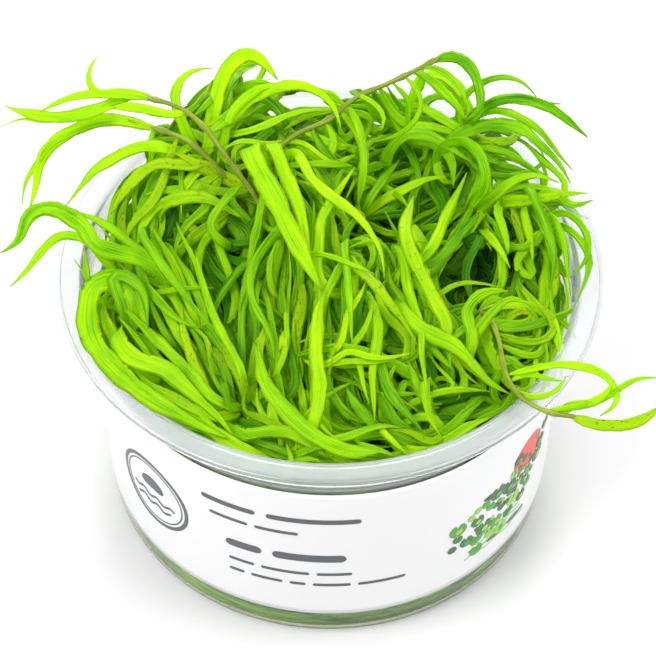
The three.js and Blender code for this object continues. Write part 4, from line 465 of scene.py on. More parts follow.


# ---------------------------------------------------------------- plantlets
# Each row: node name, the stem's points, the leaves. A leaf is [side it faces, width, turn in degrees, tone, x, y, z,
# ...];
# lengths are tenths of a millimetre. The tone (0..10) is the leaf's own green and also painted light and shade, set
# lighter or darker leaf by leaf.
ROWS = [
("plantlet_01",
[-106,67,26,-136,38,83,-120,62,134,-122,64,189,-123,62,243,-122,58,291,-118,53,347,-109,45,403,-98,43,453,-96,42,510,-102,42,570,-114,53,619,-135,82,662,-167,107,701,-196,129,736,-230,162,765,-273,191,784,-320,206,792,-375,217,792],
[[0,23,-6,10,-360,216,792,-401,198,787,-443,188,776,-490,192,759,-531,207,746,-569,228,734,-603,255,722],
[0,10,0,10,-345,214,792,-384,202,792,-427,193,779,-463,192,762,-499,199,744,-535,212,728,-574,230,713,-611,220,702],
[0,16,4,10,-325,208,792,-364,203,804,-409,200,812,-449,197,812,-493,183,808,-529,172,792],
[0,16,-6,10,-311,203,791,-349,217,792,-389,219,796,-427,208,807,-442,230,829,-426,244,862],
[0,18,5,10,-264,187,781,-291,175,786,-330,179,793,-371,188,791,-407,194,782],
[0,13,12,9,-106,67,26,-102,42,56,-100,27,91,-106,39,131,-115,75,136],
[0,17,-6,8,-158,101,690,-178,65,701,-199,29,701,-217,7,672,-198,-10,649,-177,9,611,-167,33,577,-159,58,544,-138,77,513],
[0,17,11,8,-123,68,644,-97,61,669,-76,79,691,-70,119,699,-73,156,702],
[0,17,6,7,-146,91,676,-186,82,681,-226,91,680,-263,119,671,-303,131,669],
[0,17,8,8,-98,42,543,-130,15,548,-167,18,561,-202,10,589,-235,-2,613],
[0,15,0,4,-112,49,610,-119,20,623,-148,2,634,-182,7,625,-212,18,629],
[0,15,0,7,-116,55,624,-129,6,649,-137,-44,657,-149,-96,641,-156,-148,620,-156,-201,601,-154,-245,578,-158,-295,567],
[0,11,13,10,-199,131,739,-162,165,729,-116,176,711,-75,200,694,-37,175,702,0,155,685,31,188,663,54,225,635,85,262,620],
[0,18,-26,5,-130,76,655,-164,101,658,-201,120,663,-223,139,684,-248,162,706],
[0,26,-8,6,-117,57,628,-152,47,631,-186,52,635,-220,71,641,-254,83,642],
[0,13,3,4,-112,49,610,-155,56,628,-196,75,642,-244,96,648,-260,129,671,-220,142,679],
[0,26,-23,5,-117,57,628,-158,51,626,-198,61,629,-233,82,635,-272,73,639],
[0,15,-10,8,-230,162,765,-195,205,752,-166,249,735,-132,293,727,-114,331,700,-95,372,666,-54,394,647,-5,367,644],
[0,11,4,2,-112,49,610,-130,28,617,-153,15,622,-180,32,624,-194,55,630],
[0,22,-17,4,-110,47,606,-150,11,621,-181,52,633,-225,68,628,-271,64,625,-253,108,650],
[0,13,-13,7,-110,47,606,-95,9,620,-89,0,660,-120,20,659,-124,60,676],
[0,17,-5,9,-178,115,715,-202,163,696,-234,209,685,-260,254,661,-287,297,634],
[0,17,-18,5,-112,49,610,-138,44,629,-159,52,650,-176,63,668,-178,86,687],
[0,22,-5,9,-113,50,615,-94,-2,641,-100,-51,631,-109,-97,604,-101,-158,601],
[0,13,-18,6,-107,44,591,-88,-1,612,-99,15,652,-120,70,660,-144,113,680],
[0,11,-18,9,-217,149,756,-197,195,731,-193,248,716,-194,302,705,-186,357,680,-176,406,655,-161,452,628,-138,493,597],
[0,15,-20,6,-251,180,776,-224,224,770,-200,272,755,-187,315,730,-179,361,698,-174,402,666,-167,446,632,-152,487,605],
[0,26,11,7,-223,156,760,-191,195,750,-166,235,729,-131,271,722,-104,315,700,-91,353,669,-72,391,639],
[0,13,-13,4,-108,45,596,-145,40,631,-182,75,641,-231,104,654,-225,146,669,-258,182,688],
[0,17,16,4,-123,68,644,-141,43,634,-153,18,618,-186,6,613,-216,16,621],
[0,18,-9,5,-130,76,655,-98,33,640,-83,-20,628,-83,-69,614,-81,-123,600,-78,-179,590],
[0,17,-10,4,-107,44,591,-130,27,607,-145,36,630,-135,71,645,-138,100,660],
[0,22,-24,6,-112,49,610,-91,46,648,-95,78,666,-116,115,669,-133,151,684],
[0,13,-13,4,-107,44,591,-62,23,608,-32,45,643,-38,98,659,-75,122,686],
[0,17,-12,2,-122,65,640,-141,40,632,-149,11,620,-160,-16,606,-190,-12,607],
[0,22,-13,5,-135,82,662,-155,106,657,-184,117,660,-209,114,652,-240,118,649],
[0,17,3,5,-181,117,719,-164,154,709,-133,188,709,-101,222,712,-69,248,715],
[0,13,21,2,-122,65,640,-128,83,650,-140,103,662,-150,124,675,-141,139,687],
[0,14,-11,7,-123,68,644,-157,105,658,-183,141,675,-208,178,688,-249,206,705],
[0,11,24,10,-251,180,776,-228,223,760,-209,269,735,-194,313,715,-181,363,693,-174,404,663,-167,448,629,-154,489,602],
[0,12,17,10,-173,111,708,-170,166,714,-134,170,696,-164,144,681,-206,177,692],
[0,25,-28,4,-108,45,596,-85,11,604,-56,-26,607,-28,-64,607,-6,-99,607],
[0,28,10,0,-95,43,489,-122,-2,484,-142,-22,453,-153,9,406,-160,36,362,-169,46,317,-171,0,340,-171,-46,373,-169,-88,404,-165,-129,436],
[0,25,24,5,-116,51,362,-163,29,364,-198,-13,373,-198,-58,395,-183,-95,427,-170,-140,459,-154,-176,440],
[0,29,-25,5,-95,43,484,-120,-3,480,-138,-40,457,-144,-15,406,-148,-2,371,-153,-47,396,-158,-98,422,-172,-123,386,-180,-170,394],
[0,28,-11,4,-106,44,413,-146,18,426,-154,-26,442,-152,-27,399,-143,-65,389,-142,-96,426,-142,-122,468],
[0,16,15,2,-96,42,510,-115,-7,504,-115,-54,523,-93,-87,515,-81,-132,510,-77,-127,459,-77,-105,412,-80,-72,371],
[2,19,11,5,-100,42,559,-139,67,591,-184,100,596,-227,134,568,-253,157,523],
[2,21,10,5,-114,49,377,-82,91,398,-47,141,405,-17,187,393,10,232,360,28,263,317],
[2,16,-35,3,-123,62,248,-159,94,288,-201,122,322,-248,143,347,-305,161,361],
[2,26,-49,6,-127,50,99,-129,92,106,-140,131,98,-155,158,78,-173,176,45],
[2,17,-29,8,-119,54,331,-154,30,349,-197,11,349,-238,1,329,-271,-3,297],
[2,15,-46,7,-120,62,134,-71,61,147,-25,56,149,23,47,135,58,37,106,82,27,63],
[2,30,8,10,-123,64,199,-85,101,221,-40,137,226,5,165,206,38,179,162],
[2,29,43,4,-141,32,78,-186,44,85,-231,55,82,-273,65,62,-303,71,27],
[2,16,59,6,-122,64,184,-131,15,195,-140,-33,208,-151,-81,224,-164,-131,244,-177,-176,265,-192,-220,288,-207,-262,312],
[2,25,22,1,-98,43,448,-77,8,455,-59,-31,439,-50,-60,404,-47,-75,366],
[2,23,6,8,-122,64,179,-156,92,205,-191,125,220,-226,162,222,-258,199,208,-285,233,181,-305,261,144],
[2,23,-58,8,-123,64,219,-120,114,230,-118,165,239,-115,222,244,-114,274,243],
[2,20,-55,7,-112,47,388,-71,63,414,-19,81,417,28,95,391,58,103,351],
[2,29,-9,5,-95,43,479,-151,35,483,-205,25,470,-250,14,438,-283,4,393],
[2,29,60,5,-121,56,315,-74,72,330,-30,97,329,7,128,313,36,158,283,57,186,245],
[2,16,64,8,-120,63,144,-154,38,150,-188,12,151,-218,-9,146,-252,-32,133],
[2,27,14,9,-123,64,219,-72,80,237,-27,101,247,21,131,247,62,166,232,92,199,206,113,232,165],
[2,28,6,5,-118,53,347,-79,66,378,-34,64,404,13,49,420,58,24,422],
[2,23,-8,4,-196,1,26,-227,23,30,-248,50,33,-261,88,36,-270,140,39],
[2,17,-21,4,-119,10,33,-87,-24,34,-47,-61,36,-3,-96,38,54,-135,39,110,-172,41],
[2,30,9,5,-109,39,22,-115,-5,26,-123,-47,30,-130,-82,34,-140,-119,38]]),
("plantlet_02",
[-126,106,26,-137,107,86,-146,108,141,-154,107,201,-159,105,256,-159,102,317,-155,96,377,-150,91,433,-146,88,493,-146,89,549,-157,99,607,-182,118,660,-217,136,701,-262,161,731,-314,180,741,-372,193,752],
[[0,25,19,10,-309,178,740,-353,185,750,-397,197,748,-435,202,736,-475,201,714,-512,193,688,-535,170,665,-543,135,636,-556,108,602],
[0,10,17,10,-357,191,749,-402,195,742,-440,196,732,-481,192,712,-515,185,692,-542,168,660,-563,151,630,-570,118,602],
[0,23,-18,10,-250,156,725,-278,158,708,-320,155,723,-359,153,719,-400,136,709,-433,122,691,-462,97,667,-486,77,642],
[0,29,11,10,-153,96,593,-130,100,630,-163,114,663,-204,122,682,-247,130,707,-289,142,722],
[0,23,-14,10,-220,138,704,-263,126,704,-312,130,704,-350,122,681,-383,102,648,-404,86,612],
[0,19,-3,6,-156,107,216,-169,83,254,-180,61,287,-189,38,327,-193,14,367,-194,-8,402,-193,-34,440,-191,-59,474,-190,-88,510,-190,-117,546,-193,-135,583,-205,-105,613],
[0,17,8,9,-280,168,736,-296,141,701,-310,107,672,-332,75,649,-363,50,626,-372,6,616],
[0,19,-13,9,-220,138,704,-255,115,682,-281,88,664,-320,78,641,-344,52,620,-350,7,616],
[0,17,10,8,-197,125,680,-213,87,681,-229,50,671,-259,33,649,-279,6,625,-283,-34,615],
[0,17,6,7,-170,110,639,-188,72,642,-205,36,638,-231,-2,632,-236,-43,632,-230,-84,627],
[0,19,-10,8,-200,127,684,-236,103,680,-271,98,669,-306,105,660,-345,107,644],
[0,22,3,6,-228,143,710,-276,147,691,-320,132,665,-340,98,633,-360,48,615,-345,1,601],
[0,13,-3,9,-228,143,710,-204,188,710,-171,226,736,-143,273,730,-122,316,711,-101,356,685,-76,394,651],
[0,15,6,5,-188,121,668,-196,87,644,-178,57,635,-151,31,638,-148,-6,623],
[0,11,15,10,-323,183,743,-331,192,697,-335,175,649,-360,147,623,-360,102,599,-360,59,581],
[0,18,1,7,-254,158,728,-290,160,690,-335,149,667,-373,133,644,-401,106,610],
[0,15,9,5,-280,168,736,-259,168,706,-237,153,681,-244,128,659,-242,100,640],
[0,17,-4,9,-188,121,668,-235,110,649,-268,82,627,-245,40,610,-243,-6,602,-235,-57,604,-220,-104,596],
[0,18,17,5,-160,102,617,-195,56,616,-203,0,611,-179,-45,604,-170,-100,596],
[0,17,-24,8,-210,132,694,-199,180,703,-189,234,715,-192,289,721,-191,336,703,-186,381,680,-178,428,650,-164,471,618,-138,504,590],
[0,11,-18,7,-194,123,676,-234,156,672,-289,165,673,-316,134,649,-336,91,621,-355,48,601],
[0,11,-11,3,-182,118,660,-186,83,646,-165,55,634,-166,17,615,-201,14,620],
[0,12,-5,2,-180,116,656,-207,87,640,-214,45,625,-176,17,618,-143,30,633],
[0,10,2,6,-242,152,721,-262,189,700,-298,213,682,-334,236,652,-367,255,623],
[0,10,10,7,-235,147,715,-205,188,704,-175,228,715,-123,240,712,-73,248,709,-27,271,704],
[0,11,-6,7,-213,134,697,-246,158,685,-285,170,679,-320,167,668,-354,164,643],
[0,23,-21,3,-220,138,704,-256,118,671,-270,99,630,-268,86,585,-259,66,537],
[0,20,1,2,-154,97,598,-193,84,591,-230,72,580,-265,65,566,-292,37,582],
[2,18,-53,7,-158,106,251,-214,100,262,-268,97,274,-319,96,285,-374,97,291],
[2,21,-33,5,-146,88,493,-181,44,496,-217,2,486,-255,-39,460,-286,-69,424,-310,-91,378],
[2,18,-46,8,-159,101,332,-177,66,345,-196,27,361,-215,-13,378,-231,-48,392],
[2,21,-39,6,-140,107,101,-174,85,140,-212,54,167,-249,18,172,-281,-21,147,-298,-47,100],
[2,19,-9,6,-151,92,423,-163,64,451,-179,37,479,-202,5,504,-230,-24,515],
[2,29,9,5,-159,102,312,-120,116,311,-82,124,295,-50,124,261,-34,120,223],
[2,24,26,7,-148,89,458,-188,96,470,-228,106,469,-260,116,453,-284,125,420],
[2,30,-29,6,-148,91,564,-140,135,588,-126,184,611,-105,228,625,-77,271,626,-41,311,611,-8,336,581],
[2,19,-3,6,-155,107,211,-133,153,216,-105,201,213,-77,241,198,-46,277,167,-21,299,128,1,311,78,15,313,29],
[2,29,27,5,-137,107,86,-101,102,105,-60,100,109,-21,99,96,11,100,70],
[2,19,-56,7,-153,107,186,-146,53,215,-138,-7,224,-131,-62,211,-126,-112,176],
[2,25,54,7,-153,94,402,-125,51,409,-98,7,408,-77,-33,400,-56,-76,381,-38,-116,353],
[2,22,46,10,-133,107,66,-166,118,89,-201,128,110,-238,138,127,-277,146,139],
[2,19,13,5,-152,93,412,-151,146,431,-142,201,422,-132,237,387,-121,255,334],
[2,18,21,6,-146,95,24,-177,55,30,-210,16,36,-240,-19,41,-277,-57,47,-314,-95,53],
[2,23,-10,4,-131,108,23,-90,65,25,-60,24,27,-45,-10,29,-38,-48,31]]),
("plantlet_03",
[-198,154,26,-204,162,86,-210,169,151,-215,174,210,-220,178,276,-225,181,336,-229,182,396,-234,183,461,-238,184,521,-242,184,587,-246,184,647],
[[0,29,-6,9,-245,184,632,-230,181,674,-222,191,711,-216,218,747,-208,242,778,-191,272,807,-157,297,820,-126,274,824,-99,255,797],
[0,23,14,9,-244,184,617,-248,183,662,-261,193,705,-278,212,743,-286,244,774,-262,276,792,-219,289,792],
[0,12,-17,9,-246,184,647,-267,231,657,-281,286,657,-256,326,654,-237,375,644,-228,423,626],
[0,24,-2,5,-244,184,612,-234,234,605,-191,247,583,-154,258,547,-130,219,571],
[0,26,-5,5,-243,184,592,-249,133,592,-242,82,594,-220,30,592,-200,-17,588,-185,-65,598],
[0,22,27,4,-246,184,647,-297,160,646,-314,131,608,-330,88,580,-350,59,543,-370,12,536],
[0,27,20,3,-246,184,647,-264,145,619,-236,115,588,-223,126,542,-218,156,498,-213,179,458,-200,160,452,-194,121,487,-189,83,522],
[0,22,-27,4,-238,184,516,-245,128,516,-235,73,523,-227,13,532,-223,-40,531,-222,-91,554],
[0,20,-2,4,-239,184,536,-239,234,542,-203,267,548,-157,287,568,-120,294,602,-85,327,618],
[2,20,47,9,-214,174,205,-214,143,253,-217,116,296,-223,87,344,-231,61,387,-244,32,433,-259,5,474,-280,-26,516],
[2,28,10,7,-208,167,136,-206,116,160,-199,62,173,-186,1,172,-172,-51,156,-156,-96,127,-141,-134,88],
[2,18,25,4,-205,163,96,-233,185,126,-248,207,165,-252,225,202,-248,244,245],
[2,25,11,3,-269,232,52,-245,250,51,-216,269,49,-186,285,47,-160,297,45]]),
("plantlet_04",
[-148,142,26,-157,148,86,-164,153,140,-171,158,200,-178,161,255,-183,164,315,-188,165,370,-193,167,431,-197,167,486,-201,168,546,-204,169,601,-206,170,661],
[[0,21,12,10,-206,169,646,-228,162,686,-217,175,720,-187,201,745,-154,227,766,-119,247,774,-74,260,779,-29,255,770,2,234,752,18,202,722],
[0,16,20,10,-205,169,631,-219,200,661,-201,200,701,-167,185,729,-121,193,741,-82,217,743,-37,229,745,5,243,734],
[0,18,-17,10,-205,169,616,-205,162,655,-200,160,700,-195,177,735,-180,208,763,-152,232,779,-115,256,780,-77,251,770],
[0,11,0,7,-206,170,661,-173,189,701,-122,168,712,-91,126,698,-85,71,683,-64,21,665],
[0,10,19,8,-206,170,661,-200,187,686,-185,207,705,-169,225,716,-145,240,730],
[0,28,-10,5,-201,168,541,-199,197,498,-191,224,455,-177,251,414,-151,271,375,-132,235,404,-124,199,440,-116,163,476,-103,126,510,-84,91,541,-59,56,570],
[0,18,-15,4,-206,170,661,-172,199,652,-148,190,616,-133,169,577,-126,154,533],
[0,19,-23,5,-204,169,606,-178,213,601,-145,221,569,-128,186,538,-120,199,489,-103,154,477,-95,116,489,-86,130,440,-79,146,391],
[2,25,-58,7,-182,164,300,-211,147,347,-237,124,392,-260,91,432,-280,45,459],
[2,19,-62,8,-180,162,275,-159,190,298,-130,218,321,-94,244,339,-59,263,349],
[2,29,58,8,-164,153,140,-157,102,145,-141,48,142,-117,-1,125,-93,-38,98],
[2,19,54,7,-168,156,175,-192,122,182,-214,86,179,-234,48,160,-245,21,129],
[2,17,20,8,-189,166,375,-198,195,411,-217,226,441,-248,261,464,-284,291,470],
[2,16,-29,8,-157,149,91,-130,184,125,-105,225,154,-83,268,171,-61,320,174,-45,371,157],
[2,17,1,5,-135,211,21,-111,171,21,-92,127,22,-82,72,22,-82,14,22,-88,-47,23],
[2,17,0,4,-140,214,44,-107,212,51,-68,212,58,-22,211,65,29,212,72]]),
("plantlet_05",
[-62,141,26,-61,147,87,-60,151,149,-62,155,210,-68,156,271,-77,155,332,-89,152,392,-103,151,453,-119,153,515,-130,150,569,-130,157,626,-108,179,677,-63,208,705,-8,237,711,37,275,725,91,290,748,146,300,775,199,324,792],
[[0,21,-7,5,182,313,787,219,327,791,252,304,789,270,267,770,270,238,741,243,238,712],
[0,18,-10,8,150,301,777,179,281,776,206,264,761,230,251,740,246,238,712],
[0,12,14,8,164,304,781,191,294,792,218,283,780,241,263,762,249,240,742],
[0,10,11,8,132,297,769,153,263,773,164,227,764,144,205,731,112,199,708,75,201,692],
[0,10,15,8,49,283,730,62,265,742,84,252,734,96,232,723,90,217,702],
[0,16,2,8,30,269,721,47,236,705,58,201,686,60,173,664,56,145,634,49,121,602],
[0,25,9,8,-62,154,195,-78,169,234,-78,179,279,-78,177,325,-76,164,369,-74,142,416,-73,119,455,-72,93,493,-72,65,530],
[0,15,-9,6,-62,154,200,-89,167,222,-94,191,250,-96,200,280,-99,213,315],
[0,13,-3,9,-60,150,128,-59,176,159,-56,179,203,-55,163,240,-53,141,280,-52,119,314,-51,93,351,-50,69,385,-49,46,418,-48,20,455,-47,-4,488,-46,-30,525,-45,-53,559,-43,-75,599,-40,-92,636],
[0,13,-1,6,-62,143,41,-58,173,77,-54,185,120,-50,171,159,-47,144,196,-45,115,232,-42,90,265,-40,64,304,-38,40,343,-37,16,382,-36,-10,421,-35,-35,454,-34,-66,489,-33,-97,523,-33,-124,554,-31,-140,597,-27,-112,631],
[0,13,3,9,-90,151,397,-98,134,433,-106,107,469,-111,76,496,-115,40,522,-118,7,547,-121,-23,574,-125,-58,604,-128,-92,625,-130,-136,636,-120,-175,629],
[0,15,6,9,-54,214,707,-24,204,699,5,195,688,25,206,673,45,226,658],
[0,15,-6,8,-8,237,711,14,219,673,51,224,646,72,257,631,113,279,634],
[0,19,7,8,87,290,746,106,283,704,137,270,671,185,257,676,229,245,670,267,219,661],
[0,25,-8,8,87,290,746,104,290,708,122,278,673,146,252,653,185,239,656,216,216,647,225,176,647,225,134,647],
[0,17,-12,6,72,289,740,87,303,704,105,308,661,121,286,630,143,253,618,158,214,615,162,168,619,157,126,625],
[0,19,13,6,-36,223,710,-20,187,696,10,159,675,43,162,653,67,189,632,94,220,610,131,233,599],
[0,11,-8,7,109,293,757,143,280,712,145,261,658,177,243,628,144,228,592],
[0,22,23,5,63,287,736,77,290,685,111,294,647,153,311,643,184,335,672,235,327,673],
[0,15,17,8,-71,203,703,-29,231,675,16,248,645,44,288,644,10,329,656],
[0,18,15,10,26,266,720,-3,308,705,-12,335,670,28,323,648,74,300,647,62,262,627,92,245,622],
[0,11,24,8,30,269,721,-2,269,703,-34,253,709,-61,230,719,-87,203,720],
[0,18,15,10,-13,234,711,5,195,691,-21,165,676,-60,198,685,-106,192,689],
[0,17,-6,4,-101,184,684,-48,200,676,-5,197,651,28,241,636,57,284,633,88,287,617],
[0,17,-5,7,-76,201,701,-51,226,688,-22,245,680,11,261,677,4,292,685],
[0,13,8,10,-98,186,687,-130,158,688,-121,120,677,-106,86,677,-90,47,674],
[0,13,3,6,77,289,742,97,301,689,138,308,650,199,305,647,236,297,646],
[0,15,18,4,-87,193,695,-65,221,690,-44,250,682,-20,282,669,6,304,656],
[0,11,12,5,-91,191,693,-105,163,692,-89,136,687,-78,107,680,-69,82,661],
[0,15,-8,5,49,283,730,39,325,700,49,363,659,90,363,633,141,344,652,161,311,630],
[0,18,-21,4,-71,203,703,-97,241,729,-135,263,745,-177,249,738,-188,211,713,-197,170,685],
[0,18,21,9,16,256,716,46,241,676,61,206,642,45,159,635,27,110,633],
[0,15,25,3,-41,221,709,-23,239,670,10,252,640,21,291,636,52,308,618],
[0,18,6,8,-13,234,711,-2,209,685,-18,184,664,-48,197,678,-84,191,684],
[0,12,6,5,100,291,753,122,289,707,156,289,670,204,287,641,253,282,631,301,294,632,350,294,609,386,258,610,423,228,595],
[0,11,8,10,9,249,714,14,263,658,52,263,617,97,289,613,147,279,597,190,249,605],
[0,10,13,10,-98,186,687,-51,221,684,-4,211,661,34,210,627,72,253,619],
[0,12,8,5,-17,232,711,-56,260,695,-100,278,711,-98,325,693,-85,370,659,-56,403,633],
[0,10,-16,7,-63,208,705,-87,218,713,-112,228,718,-143,237,722,-168,233,717],
[0,8,-10,6,72,289,740,83,298,695,114,305,653,156,314,638,191,334,669,236,328,666],
[0,24,-10,7,164,304,781,170,336,742,167,361,697,155,366,649,142,361,605,125,362,557,101,354,512],
[0,26,-21,4,-118,171,661,-81,209,643,-40,248,635,-9,286,622,20,329,600,41,373,571,74,413,552],
[0,15,5,8,12,253,715,-20,293,681,-73,295,672,-103,252,696,-142,211,721],
[0,15,22,3,-79,198,699,-121,219,723,-126,213,679,-112,224,631,-116,258,590,-119,295,551,-118,334,506,-109,339,460,-99,287,456,-93,238,476,-92,195,516,-93,161,558],
[0,17,-27,7,-132,151,603,-106,134,595,-78,124,583,-46,108,571,-21,94,558],
[0,17,-21,3,5,246,713,8,254,656,25,252,603,51,224,559,81,216,511],
[0,23,-7,6,16,256,716,-5,290,676,-42,311,648,-92,311,623,-147,304,611,-198,302,607,-254,310,604],
[2,16,-49,5,-74,155,312,-71,120,333,-67,83,352,-63,45,367,-57,5,377],
[2,30,-10,7,-63,155,215,-90,170,257,-121,196,289,-151,231,295,-175,266,267],
[2,27,-9,5,-89,152,392,-54,183,412,-17,216,426,22,248,433,62,280,431,102,310,421,140,338,401],
[2,27,26,7,-77,155,332,-30,188,354,25,215,360,77,234,350,130,249,323],
[2,25,12,5,-102,150,447,-118,96,450,-128,47,442,-135,-5,421,-136,-46,390,-132,-80,346,-125,-102,300,-116,-116,247],
[2,17,-38,4,-60,152,164,-51,104,178,-42,61,168,-35,24,140,-30,-5,99],
[2,22,24,8,-60,150,133,-49,108,161,-26,65,177,4,30,178,43,-1,163,81,-19,133],
[2,25,34,5,-61,145,51,-74,95,75,-87,41,87,-100,-18,75,-108,-61,39],
[2,23,56,5,-61,147,82,-20,160,120,20,182,154,61,217,184,96,259,202],
[2,18,1,6,-50,226,32,-13,208,34,25,192,36,59,179,37,100,165,39],
[2,21,22,5,-8,188,16,5,234,19,14,283,22,13,329,25,7,367,28],
[2,24,-14,5,-78,207,19,-56,162,22,-36,121,24,-13,75,27,9,28,30,28,-15,33,50,-63,36]]),
("plantlet_06",
[198,201,26,212,213,84,224,223,142,235,233,206,243,241,265,248,246,325,251,251,385,253,254,446,255,258,511,256,260,572,257,261,632],
[[0,14,13,5,257,261,617,239,281,653,240,299,695,266,303,737,307,307,757,349,293,761,380,267,742],
[0,21,9,4,257,260,602,246,253,644,254,255,688,281,262,723,320,263,744,362,253,752,404,242,742,441,227,721,474,217,692],
[0,14,-18,5,257,260,587,257,268,627,263,274,667,280,276,703,314,273,734,349,263,750,388,253,749,423,265,732],
[0,14,-10,7,256,260,572,245,255,616,244,254,661,268,263,699,311,265,712,352,245,713,388,223,699,417,198,673,447,171,652],
[0,27,17,6,256,259,551,230,244,585,216,233,626,229,234,667,267,246,686,311,242,699,353,227,701,387,199,690,418,173,672,441,141,651],
[0,17,-6,9,257,261,632,244,255,666,216,256,689,189,270,697,157,289,693],
[0,15,-3,6,257,261,632,286,234,648,323,215,653,355,202,642,387,196,615],
[0,11,1,6,257,261,632,257,214,637,285,179,637,332,172,636,373,191,627],
[0,17,-9,8,257,261,632,284,242,656,322,238,658,340,266,637,348,298,614,356,335,586,361,366,560,365,396,532,367,425,503,369,453,474],
[0,11,-24,0,256,259,546,276,211,547,276,160,548,271,119,518,266,68,512,261,19,524,221,-13,527],
[0,13,9,9,257,261,632,217,273,671,170,298,688,119,321,664,74,355,653],
[0,11,15,6,257,261,632,277,238,642,298,215,636,325,200,631,357,194,631],
[0,17,-7,8,257,261,627,200,255,629,145,271,630,166,304,654,130,333,653,80,357,645,25,353,641],
[0,17,3,4,257,260,582,286,217,580,299,169,567,276,155,526,265,119,502,269,71,492,251,26,496,212,-3,515],
[0,17,-24,7,257,261,632,212,245,629,198,205,615,219,184,601,247,211,625],
[0,17,-11,8,257,261,622,216,268,621,177,281,630,138,289,636,107,306,654],
[0,13,-15,9,257,260,587,210,235,588,160,233,597,136,270,616,90,277,624],
[0,11,-10,6,257,261,632,272,250,654,303,244,646,329,235,644,355,216,638],
[0,26,-17,3,257,260,597,272,211,598,292,165,585,271,141,550,289,140,502,288,92,478,307,46,475,338,34,510,355,67,543],
[0,22,22,9,257,261,632,238,277,646,268,264,647,298,256,640,329,262,636],
[0,22,1,4,257,260,592,227,232,555,207,180,546,181,137,545,144,98,559],
[0,17,24,7,257,260,612,214,288,613,170,302,614,127,325,626,82,347,632,37,352,632,-10,343,650],
[0,18,6,10,257,261,632,262,311,655,247,360,654,224,409,644,194,446,625,156,474,595],
[0,15,4,7,257,261,627,215,292,627,178,274,613,192,231,600,164,186,589],
[0,17,-12,7,257,261,632,234,277,636,224,299,641,241,313,644,255,337,648],
[0,15,-10,0,256,259,556,232,220,549,207,176,539,172,146,543,143,107,556,144,61,553],
[0,18,10,8,257,260,597,260,236,618,237,242,633,214,256,640,192,276,652],
[0,26,7,3,257,260,582,231,208,582,228,191,598,195,199,599,207,143,608,200,88,616,156,54,615],
[0,13,-7,8,257,261,632,243,310,638,251,355,626,253,404,611,245,448,595,229,494,577],
[0,11,-17,7,257,261,632,298,252,632,335,232,629,370,216,614,405,218,589],
[0,10,12,8,257,260,607,264,209,607,267,157,608,244,113,604,210,75,613,187,38,609,228,33,607,251,79,601,280,122,599],
[0,12,23,10,257,261,617,213,276,619,164,295,617,134,327,625,96,359,625,55,380,620],
[0,8,-2,8,257,261,632,279,246,631,300,234,623,326,229,622,350,216,623],
[0,14,7,7,257,261,632,244,308,648,238,353,650,224,401,638,200,436,620,171,471,596],
[0,14,8,10,257,260,592,256,237,613,228,248,626,203,274,637,181,295,644],
[0,14,3,4,257,261,632,215,306,637,162,318,633,112,306,610,61,274,612],
[0,19,8,1,257,260,582,268,204,582,283,155,561,282,133,526,290,111,479,308,63,461,341,60,500],
[0,17,13,6,256,260,561,279,214,561,285,171,546,269,134,516,255,92,490,255,53,472,300,32,479],
[0,12,24,3,256,260,577,270,210,575,283,160,556,266,133,517,274,92,480,296,50,467,339,39,497,357,74,526],
[0,12,-6,1,257,260,582,285,217,581,297,171,565,271,144,533,266,115,498,271,68,480,236,32,480,200,3,502],
[0,8,11,7,257,261,632,283,214,636,331,207,628,371,214,604,398,256,600,372,301,596],
[0,26,8,2,255,257,496,296,248,494,322,216,494,338,178,496,353,138,496],
[0,22,-25,4,256,260,577,279,209,564,265,191,516,250,216,467,246,248,419,238,272,373,215,273,332,204,228,367,198,187,406],
[0,15,23,5,257,260,592,305,246,587,317,196,569,325,199,513,329,167,498,328,121,523,327,69,547],
[0,22,28,7,254,256,466,291,238,473,319,208,482,338,177,489,362,143,494],
[0,15,12,2,256,259,546,251,208,543,253,154,527,262,109,504,262,60,476,255,17,449],
[0,23,-27,7,254,256,481,253,205,487,256,149,497,273,102,478,299,73,449,318,85,403,326,118,358],
[0,17,2,2,256,260,577,307,250,577,349,228,557,362,183,538,369,134,532,378,144,478,384,110,462,385,62,480,385,18,507],
[0,13,5,2,256,258,521,280,213,524,275,158,530,254,105,536,225,64,543],
[0,18,12,4,255,257,491,290,298,490,281,334,510,250,303,530,199,287,533],
[0,30,6,1,256,259,551,278,239,539,260,218,526,229,197,520,208,173,519],
[0,16,-6,6,257,261,632,254,285,603,262,273,573,274,242,555,285,207,543],
[0,18,-13,0,256,260,572,224,223,554,204,175,546,189,152,503,185,175,456],
[0,17,-3,2,255,258,511,265,207,499,277,156,505,296,143,471,310,162,423],
[0,14,12,6,253,253,426,216,216,432,174,186,436,147,149,458,111,127,462,81,147,425,52,127,435,41,91,471],
[0,26,5,4,257,261,632,276,271,612,284,244,596,293,234,566,300,230,534],
[2,22,46,8,246,244,300,208,273,320,167,303,330,120,334,326,79,360,308,42,383,279],
[2,21,48,8,222,222,132,201,178,151,183,132,162,168,88,162,155,42,145],
[2,29,-29,5,234,232,196,195,261,224,150,289,240,100,315,241,53,335,221,13,346,183,-14,350,135],
[2,18,-50,6,207,209,65,164,222,106,122,228,143,76,230,176,23,227,206],
[2,24,45,4,240,238,240,205,262,270,173,293,295,143,331,310,119,377,309],
[2,29,18,6,249,248,350,209,275,378,163,304,407,120,330,432,70,358,454,22,383,469],
[2,26,27,10,202,204,40,191,160,50,175,117,57,159,80,59,137,39,57],
[1,37,-13,6,294,254,45,335,215,58,362,170,70,383,117,84,398,62,100,404,10,115,405,-48,133],
[1,37,-10,7,265,282,215,224,311,230,176,337,245,131,358,258,81,377,271,31,391,282],
[1,24,-17,6,294,247,207,259,292,193,215,328,183,161,358,180,107,378,184,51,391,192],
[1,36,5,5,299,264,84,329,219,89,353,172,90,376,124,85,397,73,77],
